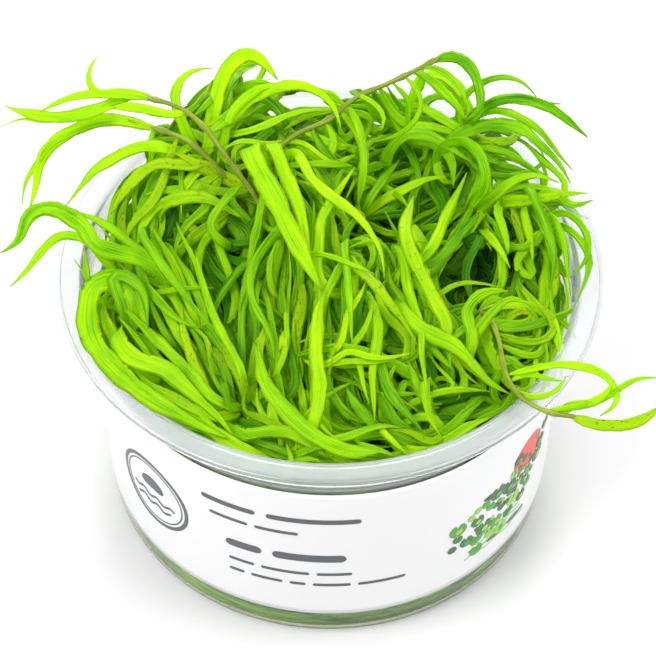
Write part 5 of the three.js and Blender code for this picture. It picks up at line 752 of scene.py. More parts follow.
[1,27,-16,7,255,307,346,283,279,344,310,250,345,334,224,351,363,194,361],
[1,30,-16,4,278,273,416,252,309,385,217,336,358,179,358,334,134,378,314,91,392,301,48,402,290],
[1,34,-8,6,270,300,479,298,259,468,325,220,459,351,181,452,377,139,447],
[1,32,-3,10,331,241,462,375,205,490,397,159,515,414,112,542,427,58,560,432,2,560,431,-49,560],
[1,38,20,8,286,236,58,265,279,73,228,316,85,189,343,89,142,367,86,97,383,79],
[2,26,28,8,281,269,16,313,240,18,338,206,20,354,171,22,364,130,24],
[2,28,-23,9,284,268,12,241,300,13,197,328,13,147,359,14,99,383,14],
[2,37,-16,7,269,279,20,232,319,20,190,356,19,140,380,19,87,395,19],
[1,37,27,6,276,297,20,231,322,18,184,338,15,133,352,13,87,361,11],
[2,38,2,9,262,253,36,288,205,39,308,156,42,328,103,45,342,53,48],
[1,28,12,8,276,220,39,234,246,35,187,268,31,140,285,27,98,295,24],
[1,34,18,7,263,290,44,296,262,42,325,231,39,352,196,37,374,158,34],
[2,19,-5,5,152,215,41,194,173,43,230,137,45,266,100,47,295,69,49,324,36,51]]),
("plantlet_07",
[166,137,26,180,136,84,192,136,143,202,135,203,210,136,262,216,138,322,221,141,382,224,145,442],
[[0,25,12,6,223,144,427,189,161,455,157,179,485,131,194,514,108,212,551,100,227,595,113,238,638,145,242,671,185,233,674,223,205,671,262,188,653],
[0,23,-18,7,222,143,412,214,162,448,205,183,488,198,200,526,194,213,570,194,218,611,203,216,657,220,203,692,246,176,719,272,145,718,283,109,692,274,110,653,259,119,610,246,113,571,229,105,528,213,93,492],
[0,23,16,9,222,142,397,215,129,441,214,117,485,225,110,524,246,113,564,272,117,602,301,121,637,332,136,659,375,147,665,419,138,655],
[0,27,-19,9,221,141,382,223,143,424,228,144,470,240,144,510,259,142,547,287,137,584,316,126,614,348,109,636,386,102,651,432,111,654,473,120,647],
[0,18,5,9,219,139,357,207,117,389,200,93,428,205,74,463,226,71,498,249,82,535,264,94,572],
[0,15,2,6,222,142,397,223,158,441,234,143,483,248,129,519,281,121,551],
[0,17,-6,2,223,145,432,254,110,436,241,81,450,202,62,458,193,17,482,198,-26,499],
[0,11,-7,2,224,145,442,251,131,471,275,101,483,284,69,468,308,39,482],
[0,17,-3,0,223,145,437,246,94,445,236,76,442,213,36,448,262,33,470,317,32,482],
[0,26,-14,3,222,142,402,194,118,438,170,91,475,154,59,512,146,23,548,138,-19,578,120,-64,594,90,-105,588],
[0,24,-1,1,223,144,427,189,112,459,170,74,488,174,24,513,187,-25,509,214,-68,483],
[0,28,-8,8,224,145,442,246,100,451,251,50,458,234,2,458,218,-45,471,197,-92,476,171,-134,463],
[0,23,-26,3,224,145,442,226,109,445,246,80,451,275,52,463,305,34,469],
[2,23,-32,7,194,136,153,153,143,153,115,154,140,80,168,111,60,180,77],
[2,19,-39,7,207,135,242,233,160,272,261,180,304,294,197,339,326,208,370],
[2,30,31,6,194,136,153,162,180,164,131,227,172,102,274,172,75,322,161,52,367,135],
[2,20,-3,6,214,137,307,222,108,337,233,78,363,246,48,379,265,11,378],
[2,16,40,7,199,135,183,196,84,186,195,38,183,196,-11,169,199,-55,142,203,-86,109,207,-111,64],
[2,19,60,5,199,135,178,209,180,186,219,229,176,226,266,148,230,292,104,232,304,59],
[2,27,-48,7,219,140,362,226,98,391,229,53,416,227,11,432,221,-39,440,209,-88,431],
[2,16,-9,6,204,135,213,148,139,218,92,139,222,31,137,223,-24,131,216,-77,123,201,-126,113,175],
[2,23,36,6,207,135,237,157,146,244,109,158,234,65,171,201,41,180,157],
[2,17,-56,6,209,136,252,166,163,259,119,184,265,70,198,271,19,206,274],
[2,17,-10,7,206,135,232,243,114,231,276,96,215,304,83,178,316,79,138],
[2,16,39,7,223,144,427,182,114,432,145,81,421,121,53,393,109,33,348],
[2,17,67,6,189,136,129,162,167,148,130,199,156,92,232,147,61,255,121],
[2,23,10,6,129,123,35,92,165,38,61,202,41,34,239,44,8,280,48],
[2,16,14,6,184,129,19,133,117,19,83,106,19,27,96,19,-25,87,19,-76,78,19]]),
("plantlet_08",
[288,72,26,304,72,79,321,72,137,334,73,191,348,73,250,358,74,304,366,75,359,375,76,419,381,78,474,387,81,534,391,83,589],
[[0,18,8,7,390,83,574,377,117,597,365,135,632,363,116,665,375,76,668,391,41,648,403,12,627,407,-22,601,400,-61,582],
[0,14,6,7,389,82,559,392,88,599,404,75,633,420,37,629,428,-8,622,431,-47,611,436,-83,592],
[0,14,-15,7,388,81,544,398,94,587,421,91,625,451,66,632,470,25,624,463,-19,616,433,-51,602],
[0,14,-4,7,387,81,529,400,81,573,421,69,612,453,30,622,470,-12,615,463,-56,606,446,-97,592],
[0,16,3,7,391,83,589,377,124,606,401,139,629,440,108,630,483,120,629],
[0,17,9,8,391,83,589,364,36,598,343,-4,578,368,-14,566,354,39,581,357,96,594],
[0,13,-25,1,389,82,554,373,34,552,336,10,531,298,17,503,275,60,489,264,110,501,274,157,518,305,175,548],
[0,13,-1,6,391,83,589,372,35,599,325,25,607,303,74,607,279,118,601],
[0,17,-17,5,379,78,454,336,58,461,296,73,478,269,110,492,271,150,508],
[0,17,0,5,379,78,454,345,37,456,301,18,473,259,43,482,249,90,488,272,132,512],
[0,18,17,4,380,78,459,352,39,461,308,24,479,265,40,475,248,88,478,261,118,511],
[0,22,15,4,385,80,509,413,73,525,425,86,539,420,111,547,418,142,558],
[0,15,-8,3,379,78,454,323,72,460,284,40,469,242,9,476,237,-40,489,244,-97,499],
[0,13,-1,3,386,80,519,349,50,498,308,49,468,288,101,476,298,139,495,342,114,509],
[0,17,-13,5,382,79,479,389,27,480,355,12,479,305,4,479,283,-41,491,264,-88,495,276,-123,455],
[0,17,12,4,389,82,549,337,83,545,329,59,506,300,32,475,270,-9,486],
[0,15,-13,4,378,77,449,344,37,451,300,26,474,258,60,463,242,105,470,260,120,516],
[0,11,-22,4,378,77,449,348,50,455,311,59,465,291,95,472,294,134,488],
[0,15,6,0,378,77,449,372,28,458,331,40,476,280,37,472,248,75,483,260,119,507,276,135,551],
[0,22,-20,0,378,77,449,341,34,454,290,34,475,251,69,477,271,115,504],
[0,13,-14,4,378,77,449,351,38,461,297,35,478,258,61,459,243,103,471,272,125,512,281,158,550],
[0,18,20,0,375,76,419,338,57,427,303,57,449,276,88,471,261,114,500],
[0,11,12,7,389,82,549,350,91,581,344,134,597,381,107,587,404,57,569,406,8,553],
[0,15,-21,4,378,77,449,352,37,461,309,33,478,265,42,476,245,88,483,265,125,509,275,129,554],
[0,15,-23,1,379,78,454,335,60,460,291,46,466,247,28,464,203,20,469],
[0,13,-2,2,377,77,434,350,42,449,341,46,482,345,67,518,312,64,547],
[0,26,25,7,378,77,444,340,40,447,289,40,469,251,78,455,256,114,492],
[0,18,17,5,378,77,449,340,35,452,289,36,474,252,70,476,264,118,506],
[0,17,-9,3,380,78,459,348,32,469,302,34,480,255,63,468,244,107,485,268,128,534],
[0,26,-15,4,377,77,439,342,47,446,302,55,465,276,86,471,269,120,502],
[0,18,-12,9,390,83,574,358,55,578,319,45,584,293,71,592,281,110,598],
[0,15,11,4,384,79,499,359,28,500,310,33,484,284,77,467,290,130,488],
[0,15,-15,2,387,81,529,353,51,503,317,39,477,272,44,472,254,88,485,273,127,512,279,145,555],
[0,18,-4,1,379,78,454,348,36,459,303,36,479,263,53,469,252,98,491,278,136,516],
[0,22,-7,7,389,82,559,364,49,561,353,4,557,380,-28,542,405,-59,531],
[0,12,12,0,376,77,429,338,60,437,296,62,457,279,96,481,259,121,505],
[0,10,23,1,380,78,459,351,40,463,310,24,475,264,46,474,241,86,476,253,120,504],
[0,8,-17,0,388,81,539,338,76,532,342,62,502,311,56,465,292,99,473,335,119,501,343,141,539],
[0,12,-19,1,379,78,454,350,35,461,306,35,482,257,44,475,254,91,496,273,130,522,275,133,573],
[0,8,6,10,391,83,589,360,82,571,347,125,587,387,154,583,417,138,551],
[0,10,-7,5,376,77,429,376,29,434,366,10,471,337,30,485,353,59,521],
[0,14,-15,9,387,81,534,368,66,555,360,85,571,353,115,578,356,146,586],
[0,17,-16,9,388,81,544,391,89,569,384,115,574,378,146,581,355,157,586],
[0,14,-16,3,378,77,444,337,36,447,289,26,471,248,70,479,268,116,505],
[0,10,19,4,380,78,464,351,36,470,304,39,481,278,74,475,268,116,502],
[0,10,3,3,385,80,504,364,33,507,320,29,492,275,42,472,256,85,485,276,125,510,282,162,545],
[0,14,-12,5,379,78,454,343,33,459,290,35,475,254,66,474,266,115,502],
[0,14,26,8,386,80,524,402,25,517,396,-29,530,376,-76,551,377,-124,537,333,-150,545,332,-109,574,373,-108,551],
[0,10,18,1,378,77,444,342,54,448,302,47,460,278,67,477,266,103,495],
[0,14,-6,0,382,79,479,360,31,483,313,25,494,272,37,474,255,82,483,270,123,512],
[0,19,19,2,380,78,459,346,40,467,304,51,468,279,87,468,291,132,492],
[0,14,7,2,386,80,519,340,62,490,305,64,465,298,115,477,341,129,499,334,143,553],
[0,14,-19,3,385,80,509,361,30,511,315,29,486,259,50,472,259,101,495,280,133,532,294,164,564],
[0,17,-11,7,386,80,524,397,28,520,403,7,556,402,60,561,381,108,567,353,149,579,402,161,585],
[0,11,-18,3,380,78,459,346,32,464,295,28,482,254,67,475,272,113,504],
[0,11,-5,2,379,78,454,350,34,458,303,27,483,257,45,480,254,98,499,272,143,519],
[0,19,16,4,376,77,429,329,70,446,299,60,462,289,103,476,327,105,495,347,59,494,345,12,483,373,-32,492],
[0,8,2,4,380,78,464,375,22,470,332,24,489,278,34,476,260,81,486,272,125,517,273,130,571],
[0,11,10,5,388,81,544,364,100,532,341,103,517,323,106,497,297,112,480],
[0,18,21,4,391,83,579,361,53,575,375,21,554,408,-7,534,432,-35,512],
[0,24,11,5,385,80,504,342,48,492,343,6,468,339,-50,476,335,-99,503,330,-145,527,322,-201,537],
[0,26,28,4,369,75,379,395,31,373,403,-18,384,361,-50,380,337,-87,406,316,-127,433],
[0,27,-13,6,416,-62,457,399,-59,426,380,-41,379,360,-57,379,327,-113,424,294,-148,451,263,-136,427],
[0,28,5,3,387,81,534,364,37,519,335,38,479,298,15,462,270,-17,458,253,-62,479],
[0,19,-8,5,389,82,559,409,31,548,410,-12,520,404,-57,494,399,-49,443,380,-67,398],
[0,17,-8,2,378,77,444,357,98,400,338,85,349,329,38,381,327,4,421,324,-30,462,318,-73,501,309,-124,528,301,-173,546],
[0,17,-6,3,380,78,459,374,22,467,345,-27,468,318,-76,472,286,-121,458],
[0,26,28,7,382,79,479,400,30,478,401,-26,480,385,-73,493,369,-70,452,362,-47,407,345,-74,418,336,-110,454,323,-150,492,307,-187,524],
[0,30,27,3,380,78,464,405,32,464,409,-24,466,383,-69,469,356,-106,483,340,-143,514,304,-145,494,280,-120,457],
[0,18,1,2,383,79,489,420,42,489,433,-1,479,394,-20,477,349,-1,459,302,-1,459,252,4,447],
[0,13,28,3,383,79,489,412,49,481,415,16,458,399,-13,424,375,-37,399],
[0,26,-19,8,391,83,589,372,99,537,373,117,478,377,76,457,371,17,472,359,-33,447],
[0,30,-9,4,376,77,429,404,29,428,391,-26,446,375,-69,477,358,-118,510,334,-166,512],
[2,20,47,6,301,72,69,279,36,88,258,-5,100,240,-53,95,230,-91,71],
[2,23,-12,6,374,76,414,335,67,426,294,59,432,248,51,426,210,45,410],
[2,24,-37,6,308,72,93,264,45,114,215,21,126,167,2,127,115,-13,113,68,-22,84,31,-26,42],
[2,26,-39,4,358,74,304,313,86,316,268,100,322,228,114,321,185,130,311],
[2,17,-10,5,307,72,89,290,110,91,274,154,84,266,195,63,264,224,33],
[2,27,13,6,315,72,118,322,113,139,316,158,153,301,201,158,277,241,153],
[2,17,-6,9,325,72,152,299,105,155,276,139,150,258,170,130,250,192,95],
[2,24,13,7,375,77,424,350,35,443,323,-9,449,298,-52,434,279,-87,400],
[1,33,4,5,391,52,30,387,100,29,372,152,29,351,197,31,325,238,36,290,280,44,254,313,53],
[1,29,-13,6,361,-60,205,366,-99,206,358,-141,203,342,-181,194,323,-214,183],
[1,34,-5,7,393,73,39,392,23,54,389,-25,61,386,-78,58,381,-127,46],
[1,27,-16,7,364,51,57,362,104,67,346,156,79,322,203,92,291,248,109,254,288,128,212,322,149],
[1,38,-11,10,405,59,444,410,2,415,406,-50,393,395,-105,375,380,-155,364,357,-208,356],
[1,30,15,5,366,40,33,368,94,39,356,141,48,335,190,66,310,233,88,277,276,117],
[1,23,-20,6,370,8,41,382,65,36,372,121,33,351,174,34,323,224,39,289,270,49,248,311,60],
[1,38,-10,9,412,34,480,401,79,448,390,119,424,373,162,403,355,199,391,331,238,381],
[1,23,10,10,397,-4,393,394,48,395,384,94,401,369,144,412,352,189,428,329,237,448],
[1,34,8,7,363,6,226,376,-33,272,374,-72,315,367,-115,354,359,-154,384,348,-194,410],
[1,23,-19,7,400,-63,390,395,-116,399,379,-167,411,357,-212,425,328,-257,443,292,-298,463],
[1,29,-2,8,409,45,457,394,99,430,375,146,406,350,194,384,321,240,364,290,280,348,252,320,332],
[1,30,-6,6,408,80,497,421,35,496,424,-11,493,421,-58,486,408,-103,476],
[1,25,13,7,386,108,430,400,61,418,405,16,405,403,-34,386,395,-83,362,384,-127,336,365,-173,305],
[1,28,1,7,385,86,453,372,129,435,352,175,415,327,217,395,300,253,377,269,286,360,231,317,341],
[1,27,18,4,380,99,84,368,142,110,350,183,133,331,225,150,310,267,163],
[1,33,20,10,401,42,475,421,-8,491,418,-60,499,411,-112,498,402,-165,490],
[1,23,-8,9,362,76,29,355,127,30,336,175,31,308,224,34,277,265,38],
[1,33,0,8,400,40,165,407,-8,188,405,-52,217,400,-97,254,389,-145,303],
[1,34,11,8,347,80,58,368,38,48,374,-8,45,374,-51,50,368,-97,60],
[1,35,10,7,384,15,27,387,58,27,381,101,27,369,148,26,354,190,25],
[1,24,17,6,409,-34,352,412,16,356,406,71,358,393,119,358,374,171,353,351,215,345,321,261,333,288,300,320],
[1,25,18,4,402,-22,290,398,-76,286,385,-123,284,365,-173,282,341,-216,282,310,-261,283,278,-298,284,237,-334,287],
[2,39,-25,9,391,59,42,407,6,42,404,-55,42,391,-115,41,371,-167,41],
[2,32,7,5,385,30,29,379,-7,32,369,-43,36,360,-72,39,346,-105,42],
[1,26,22,6,400,25,11,397,64,13,390,102,14,379,139,16,364,176,17],
[2,37,14,7,388,19,66,393,-35,70,386,-89,75,369,-135,79,340,-180,83],
[2,26,-18,7,337,-42,50,341,-81,54,340,-121,57,333,-161,60,321,-201,64],
[1,29,9,5,407,10,32,404,49,31,398,87,30,386,130,29,372,166,28],
[2,25,21,6,349,-15,43,328,-64,50,301,-108,56,267,-149,63,232,-180,69],
[1,37,12,7,384,58,17,375,10,13,364,-35,10,353,-73,10,340,-115,10],
[1,32,24,7,353,-1,11,358,-49,17,358,-100,23,354,-148,28,345,-203,34],
[1,26,-9,5,400,-3,11,396,-51,10,387,-99,10,370,-150,10,349,-194,10,323,-234,10],
[2,24,-27,6,346,-36,61,350,-91,63,343,-147,66,324,-201,69,294,-250,72],
[1,24,18,7,392,-45,63,394,-2,66,396,42,69,398,81,72,389,125,76],
[1,26,-14,7,392,-57,13,385,-106,11,369,-152,10,348,-196,10,321,-238,10,289,-275,10],
[2,39,-24,6,395,-8,51,383,-46,51,372,-82,52,365,-113,52,355,-150,53],
[1,39,-14,6,391,31,22,396,92,22,378,149,23,354,199,23,321,249,23],
[2,38,-1,7,378,86,52,376,47,53,371,10,53,362,-26,53,351,-60,53],
[2,26,-24,8,404,35,30,407,-5,30,404,-45,29,399,-79,28,390,-117,27],
[1,30,-13,3,363,83,34,343,129,37,320,168,40,293,202,44,258,236,47],
[1,26,0,6,407,26,40,406,-30,43,397,-91,45,379,-150,48,355,-200,50],
[1,34,5,6,367,-52,27,355,-106,27,337,-158,27,316,-205,27,286,-253,27],
[2,37,-24,9,359,51,13,362,17,13,358,-18,13,346,-55,14,328,-85,14],
[1,26,-16,4,380,96,49,363,134,51,340,176,52,315,214,54,289,246,55],
[2,29,11,5,393,73,31,368,122,32,338,166,33,306,206,34,271,242,36],
[1,36,-16,7,381,95,43,383,47,41,379,-1,38,366,-46,36,347,-88,34],
[1,36,14,8,402,-25,43,400,24,41,395,73,40,386,122,38,370,169,37],
[1,30,-1,8,402,-11,13,388,-69,15,361,-121,17,327,-167,18,286,-205,20],
[1,38,-3,4,396,-13,61,384,-66,59,362,-120,58,330,-169,56,295,-206,55],
[2,27,0,7,406,-34,56,398,-73,56,390,-112,57,381,-145,57,365,-182,58],
[1,24,14,7,392,-42,14,387,-80,12,375,-117,10,356,-150,10,332,-179,10],
[1,24,-3,7,352,28,22,346,-15,20,333,-56,19,318,-89,18,295,-124,16],
[2,28,24,9,402,-46,53,408,-7,55,407,32,56,403,66,57,395,104,59],
[2,35,-18,5,355,0,13,347,48,11,331,93,10,307,128,10,274,161,10],
[2,37,5,5,351,67,38,345,116,36,331,163,33,308,208,30,278,249,28],
[2,27,-24,6,392,33,42,379,-5,43,367,-41,43,359,-70,44,349,-104,44],
[2,26,20,8,401,-19,59,400,-81,59,383,-140,59,361,-191,60,328,-244,60],
[1,35,-17,8,386,29,23,368,84,23,344,136,23,312,188,22,278,230,22],
[2,38,7,7,342,17,66,340,-34,69,331,-84,71,313,-136,74,288,-180,76],
[2,26,-14,4,331,25,33,334,-18,34,337,-66,35,338,-113,35,340,-155,36],
[2,20,13,1,330,5,43,281,-5,45,230,-11,47,173,-12,50,112,-6,52,47,3,55],
[2,16,1,3,307,-28,23,279,5,27,259,39,31,248,67,35,241,100,39]]),
("plantlet_09",
[-95,129,26,-102,129,86,-108,129,146,-113,130,206,-116,130,266,-118,130,326,-119,131,381,-119,130,441,-116,126,499,-112,130,559,-111,138,621,-109,142,682],
[[0,39,15,10,-109,141,667,-129,149,702,-147,139,741,-143,102,756,-127,64,752,-108,22,749,-91,-15,742,-74,-50,729,-55,-83,713,-34,-112,685,-14,-133,656],
[0,27,1,10,-110,140,652,-115,153,690,-111,155,733,-97,118,742,-84,80,734,-67,37,726,-55,-1,719,-47,-40,707,-38,-81,688,-24,-113,665],
[0,19,9,10,-111,139,636,-94,150,671,-73,155,710,-54,119,728,-40,82,731,-18,48,731,16,18,726,50,-10,717,74,-40,705,91,-72,688,97,-111,665],
[0,13,6,9,-109,142,682,-74,130,702,-29,132,705,11,148,686,42,166,665],
[0,17,7,8,-113,127,533,-139,97,548,-167,80,574,-184,63,608,-217,54,631],
[0,8,-9,8,-110,141,662,-99,142,681,-101,155,696,-115,172,702,-135,181,705],
[0,20,-14,8,-112,129,549,-92,93,538,-94,51,537,-105,11,530,-122,-21,508],
[0,23,20,3,-111,138,616,-95,94,613,-97,51,599,-104,0,602,-114,-45,607],
[0,19,29,5,-112,130,554,-65,149,546,-26,156,521,-24,190,482,-17,222,441,14,236,404,29,193,439,64,168,435,100,133,434,110,93,466,108,58,505],
[2,25,7,5,-106,129,131,-130,151,171,-149,174,213,-163,197,257,-172,218,297,-176,243,342,-176,268,386],
[2,23,42,7,-118,130,341,-102,173,365,-91,221,381,-86,267,389,-86,319,389,-90,370,382],
[2,24,54,6,-98,129,56,-130,144,78,-162,157,110,-189,164,148,-208,166,185],
[2,22,-63,5,-118,130,306,-168,137,321,-219,145,326,-269,153,317,-313,161,290],
[2,30,-66,3,-103,129,101,-60,139,115,-15,151,114,29,165,90,56,175,53],
[2,21,-44,6,-109,129,161,-80,161,189,-51,196,198,-21,234,185,0,261,154,14,281,109],
[2,20,22,6,-116,130,256,-69,121,276,-20,108,278,26,93,259,62,79,225,86,67,181],
[2,27,47,5,-103,129,96,-104,164,119,-108,205,126,-116,243,109,-123,266,75],
[2,20,32,8,-118,129,461,-157,114,462,-199,99,448,-232,90,416,-250,85,379],
[2,23,-16,5,-112,131,565,-76,103,590,-43,72,615,-9,34,639,20,-6,653],
[2,27,-34,7,-104,129,111,-119,177,139,-123,230,159,-113,286,155,-93,328,122],
[2,23,-11,5,-114,130,226,-145,90,235,-176,49,233,-205,9,218,-227,-22,193,-246,-49,153,-258,-66,107],
[2,23,-12,7,-110,129,176,-93,173,208,-67,214,236,-36,249,255,9,283,264],
[2,19,49,6,-104,129,106,-61,141,131,-12,159,149,34,180,153,77,203,142,112,227,114,137,249,69,149,264,22],
[2,28,28,7,-108,129,146,-133,175,169,-164,220,184,-196,260,190,-235,301,186],
[2,18,-17,2,-91,107,19,-117,65,22,-146,22,24,-181,-22,26,-222,-67,28,-267,-113,31]]),
("plantlet_10",
[104,-74,26,106,-68,86,108,-63,141,110,-59,196,112,-56,256,114,-55,316,116,-54,371,117,-54,426,119,-53,487,120,-53,547,122,-53,602],
[[0,27,9,9,207,-231,612,207,-193,639,189,-162,659,168,-125,678,151,-89,687,137,-44,692,135,2,689,142,42,683,150,86,673],
[0,19,-17,9,121,-53,572,118,-24,601,120,-12,643,128,-45,661,134,-90,659,139,-131,659,151,-169,652,162,-210,634,163,-247,616,170,-290,601,173,-329,592],
[0,23,13,9,121,-53,557,88,-40,587,55,-32,619,35,-55,649,57,-92,663,82,-130,671,107,-168,665,135,-199,644,157,-233,622],
[0,33,0,9,120,-53,542,116,-82,579,115,-111,610,121,-149,638,143,-189,643,176,-214,634,219,-232,626,254,-258,607,283,-281,587,324,-300,572],
[0,11,-10,8,122,-53,602,131,-13,612,132,27,601,116,52,620,99,65,653],
[0,6,9,8,122,-53,602,113,-27,627,91,-12,652,58,-20,662,27,-40,662],
[0,21,7,9,122,-53,602,151,-48,631,180,-28,652,197,8,656,210,53,652,222,92,645,235,131,639,251,169,648],
[0,8,-5,8,122,-53,602,126,-24,617,146,-3,639,182,-8,643,194,-36,643],
[0,15,-24,1,120,-53,522,168,-36,522,210,-6,526,259,6,520,299,-6,555,308,37,565,293,81,543,276,128,531],
[0,17,18,8,122,-53,602,140,-45,652,157,-93,642,176,-144,614,167,-196,595,172,-250,581],
[0,13,6,9,122,-53,602,163,-58,598,195,-72,591,213,-100,576,239,-130,563],
[0,15,9,5,120,-53,542,153,-14,542,146,36,549,130,79,556,88,107,549,50,133,568],
[0,17,14,6,122,-53,602,165,-53,630,207,-26,641,236,17,646,258,61,630,274,106,609],
[0,22,-8,6,122,-53,602,175,-59,619,211,-12,630,235,40,627,252,97,609,273,142,622],
[0,17,-25,5,122,-53,602,165,-43,616,208,-15,620,231,25,616,259,68,605,279,110,600],
[0,13,19,9,122,-53,602,94,-94,619,100,-138,607,91,-185,589,51,-213,582,24,-186,609],
[0,17,8,10,122,-53,602,153,-88,626,183,-123,633,212,-158,618,241,-196,598],
[0,11,8,7,121,-53,562,150,-11,560,143,43,557,141,89,575,174,130,573,209,165,565,230,216,575,263,247,579],
[0,17,-14,0,119,-53,492,177,-30,489,214,14,494,258,47,481,261,105,497],
[0,26,11,5,122,-53,602,92,-39,630,78,1,643,28,2,629,1,35,645],
[0,13,-13,6,122,-53,602,153,-15,617,180,27,624,211,68,630,235,106,619,256,151,610,272,197,624],
[0,18,-17,0,121,-53,562,150,-10,559,176,-8,529,212,7,500,249,44,476,269,89,479,271,132,508,282,161,548],
[0,17,-9,2,120,-53,552,158,-14,541,145,41,548,130,90,543,96,130,524,55,157,543,17,180,577],
[0,17,23,4,120,-53,532,149,-11,535,143,42,546,129,91,545,101,128,523,65,159,532,37,196,557,54,242,568],
[0,17,4,3,120,-53,547,138,-5,545,143,46,543,128,95,541,110,138,520,93,184,503,110,225,517,137,190,538,136,140,545],
[0,11,21,1,119,-53,477,167,-33,475,200,6,482,242,33,481,268,73,487,260,120,506],
[0,15,-22,8,122,-53,602,156,-86,622,190,-125,621,216,-163,602,216,-205,583,250,-240,571,288,-257,542],
[0,17,23,1,121,-53,577,159,-12,569,176,-4,523,210,19,487,249,49,473,261,100,488,275,133,522,283,142,574],
[0,11,24,6,122,-53,602,84,-68,610,71,-106,612,64,-142,608,52,-179,594],
[0,13,13,1,119,-53,472,157,-27,471,192,11,472,199,55,456,230,94,454,254,109,490],
[0,17,-8,1,119,-53,502,170,-41,498,212,-11,500,247,31,490,274,69,471,264,110,498],
[0,13,3,2,120,-53,522,151,-7,531,143,46,544,125,94,545,78,123,538,39,162,550,6,193,580],
[0,11,0,10,122,-53,602,153,-78,613,178,-111,614,194,-145,596,205,-183,582],
[0,13,-6,0,120,-53,547,139,0,545,139,56,542,114,111,535,90,151,503,76,203,498,93,239,527],
[0,17,17,2,120,-53,517,159,-20,527,152,29,541,134,76,556,143,125,571],
[0,17,0,4,121,-53,562,138,-4,559,142,51,550,127,104,535,106,143,508,91,188,491,108,235,509,143,197,513,137,151,536],
[0,10,-20,1,119,-53,497,166,-22,498,205,10,500,254,36,489,268,80,500,269,132,521],
[0,8,-20,3,119,-53,492,172,-33,488,212,7,496,252,42,479,264,94,488,275,137,524],
[0,19,13,0,118,-53,452,163,-27,450,205,-6,454,232,29,465,283,38,473],
[0,14,-10,0,118,-53,452,164,-30,453,208,-8,460,232,33,464,282,39,470,332,30,484],
[0,10,8,7,122,-53,602,171,-77,612,200,-122,596,217,-169,591,231,-218,572,277,-242,551,313,-262,513],
[0,12,-18,0,118,-53,447,163,-28,447,207,-3,452,232,33,463,283,41,468],
[0,14,-15,5,121,-53,587,99,-5,592,90,50,575,49,61,567,18,32,598],
[0,14,12,5,121,-53,572,143,-7,570,139,44,563,129,91,546,108,126,526,74,162,522,65,210,534],
[0,19,11,2,121,-53,557,146,-2,556,142,58,546,123,108,529,72,135,535,31,168,557],
[0,11,8,4,122,-53,602,85,-88,605,77,-137,592,59,-179,581,78,-220,572,122,-233,595],
[0,18,-8,7,119,-53,487,144,-87,479,156,-127,473,164,-168,467,166,-211,464],
[0,18,10,5,120,-53,537,156,-90,541,141,-137,543,126,-162,502,117,-214,498],
[0,19,-6,8,120,-53,527,138,-102,525,153,-141,513,166,-139,468,173,-185,486,174,-228,516],
[0,26,2,1,121,-53,577,97,-60,537,103,-89,501,120,-113,464,141,-139,429],
[0,14,6,3,120,-53,537,151,-51,525,159,-79,505,168,-116,503,178,-147,507],
[0,31,6,6,120,-53,542,160,-85,536,174,-119,504,178,-93,460,179,-61,419,180,-37,372,180,-43,327,177,-83,360,173,-121,395,166,-162,427,155,-208,448],
[0,22,16,6,120,-53,537,157,-91,519,155,-124,474,156,-155,428,162,-199,394],
[0,28,-18,2,120,-53,552,159,-36,550,192,-59,542,177,-103,536,162,-142,531],
[0,30,-2,4,121,-53,587,128,-109,583,143,-149,551,148,-148,489,168,-189,466,201,-230,454],
[0,22,-3,3,120,-53,532,171,-52,528,204,-42,492,209,-68,453,211,-51,399,212,-30,351,212,-11,303],
[0,25,-8,5,119,-53,477,151,-99,469,171,-149,457,185,-203,452,206,-212,399],
[0,25,12,7,122,-53,602,114,-4,579,106,-40,545,108,-87,511,123,-129,475],
[2,20,-7,3,116,-54,361,66,-44,371,18,-28,361,-17,-13,335,-46,2,295],
[2,23,-38,7,110,-59,196,151,-60,209,191,-68,215,235,-86,211,267,-106,194],
[2,29,-13,6,107,-68,91,152,-57,110,203,-39,126,248,-17,133,291,10,128,332,41,108,363,69,78],
[2,19,-52,7,112,-57,236,129,-13,256,145,32,276,158,78,293,170,126,306,180,175,316,188,226,320],
[2,16,32,6,108,-63,141,144,-30,157,183,10,164,218,48,158,252,86,134,277,116,101],
[2,20,-34,6,120,-53,517,80,-24,533,37,3,539,-13,29,531,-55,47,509,-91,60,474],
[2,16,-4,2,70,-139,28,89,-118,33,118,-104,37,154,-98,41,205,-98,45],
[2,25,12,5,143,-61,22,88,-95,24,30,-128,27,-20,-155,30,-71,-181,33,-116,-202,36],
[2,28,-14,1,92,-143,40,93,-78,44,90,-11,48,82,45,52,67,99,56,49,145,60]]),
("plantlet_11",
[44,-63,26,39,-67,86,36,-70,141,34,-72,196,33,-74,256,33,-76,317,34,-76,372,37,-76,427,42,-77,487,48,-77,547,55,-77,602],
[[0,12,-3,8,53,-77,587,11,-67,606,-30,-55,628,-38,-58,666,-3,-78,688,39,-99,689,82,-121,687],
[0,16,13,8,51,-77,572,48,-38,586,41,-7,612,27,-9,654,25,-45,670,29,-87,674,33,-128,675,36,-175,672,38,-215,664,40,-255,652],
[0,10,19,8,49,-77,557,76,-109,576,112,-132,588,151,-141,608,186,-135,636,222,-114,653,266,-111,656,310,-112,645],
[0,19,-3,9,55,-77,602,68,-117,621,80,-159,635,86,-204,639,82,-242,623,76,-284,606,78,-329,599,81,-373,586],
[0,21,3,10,55,-77,602,29,-105,618,-4,-120,645,-23,-96,668,-22,-50,677,-20,-10,688,-9,36,685,8,73,685,30,114,688,44,152,678],
[0,19,-2,10,55,-77,602,45,-112,614,39,-128,644,46,-94,650,57,-58,653],
[0,17,-10,8,55,-77,602,31,-57,630,11,-21,651,5,25,657,-3,66,665],
[0,13,-9,6,55,-77,602,37,-47,634,27,-6,651,36,34,645,48,74,624,49,117,605,54,160,616],
[0,11,23,6,55,-77,602,28,-76,644,25,-128,642,29,-183,629,36,-231,609,80,-251,599,135,-238,596],
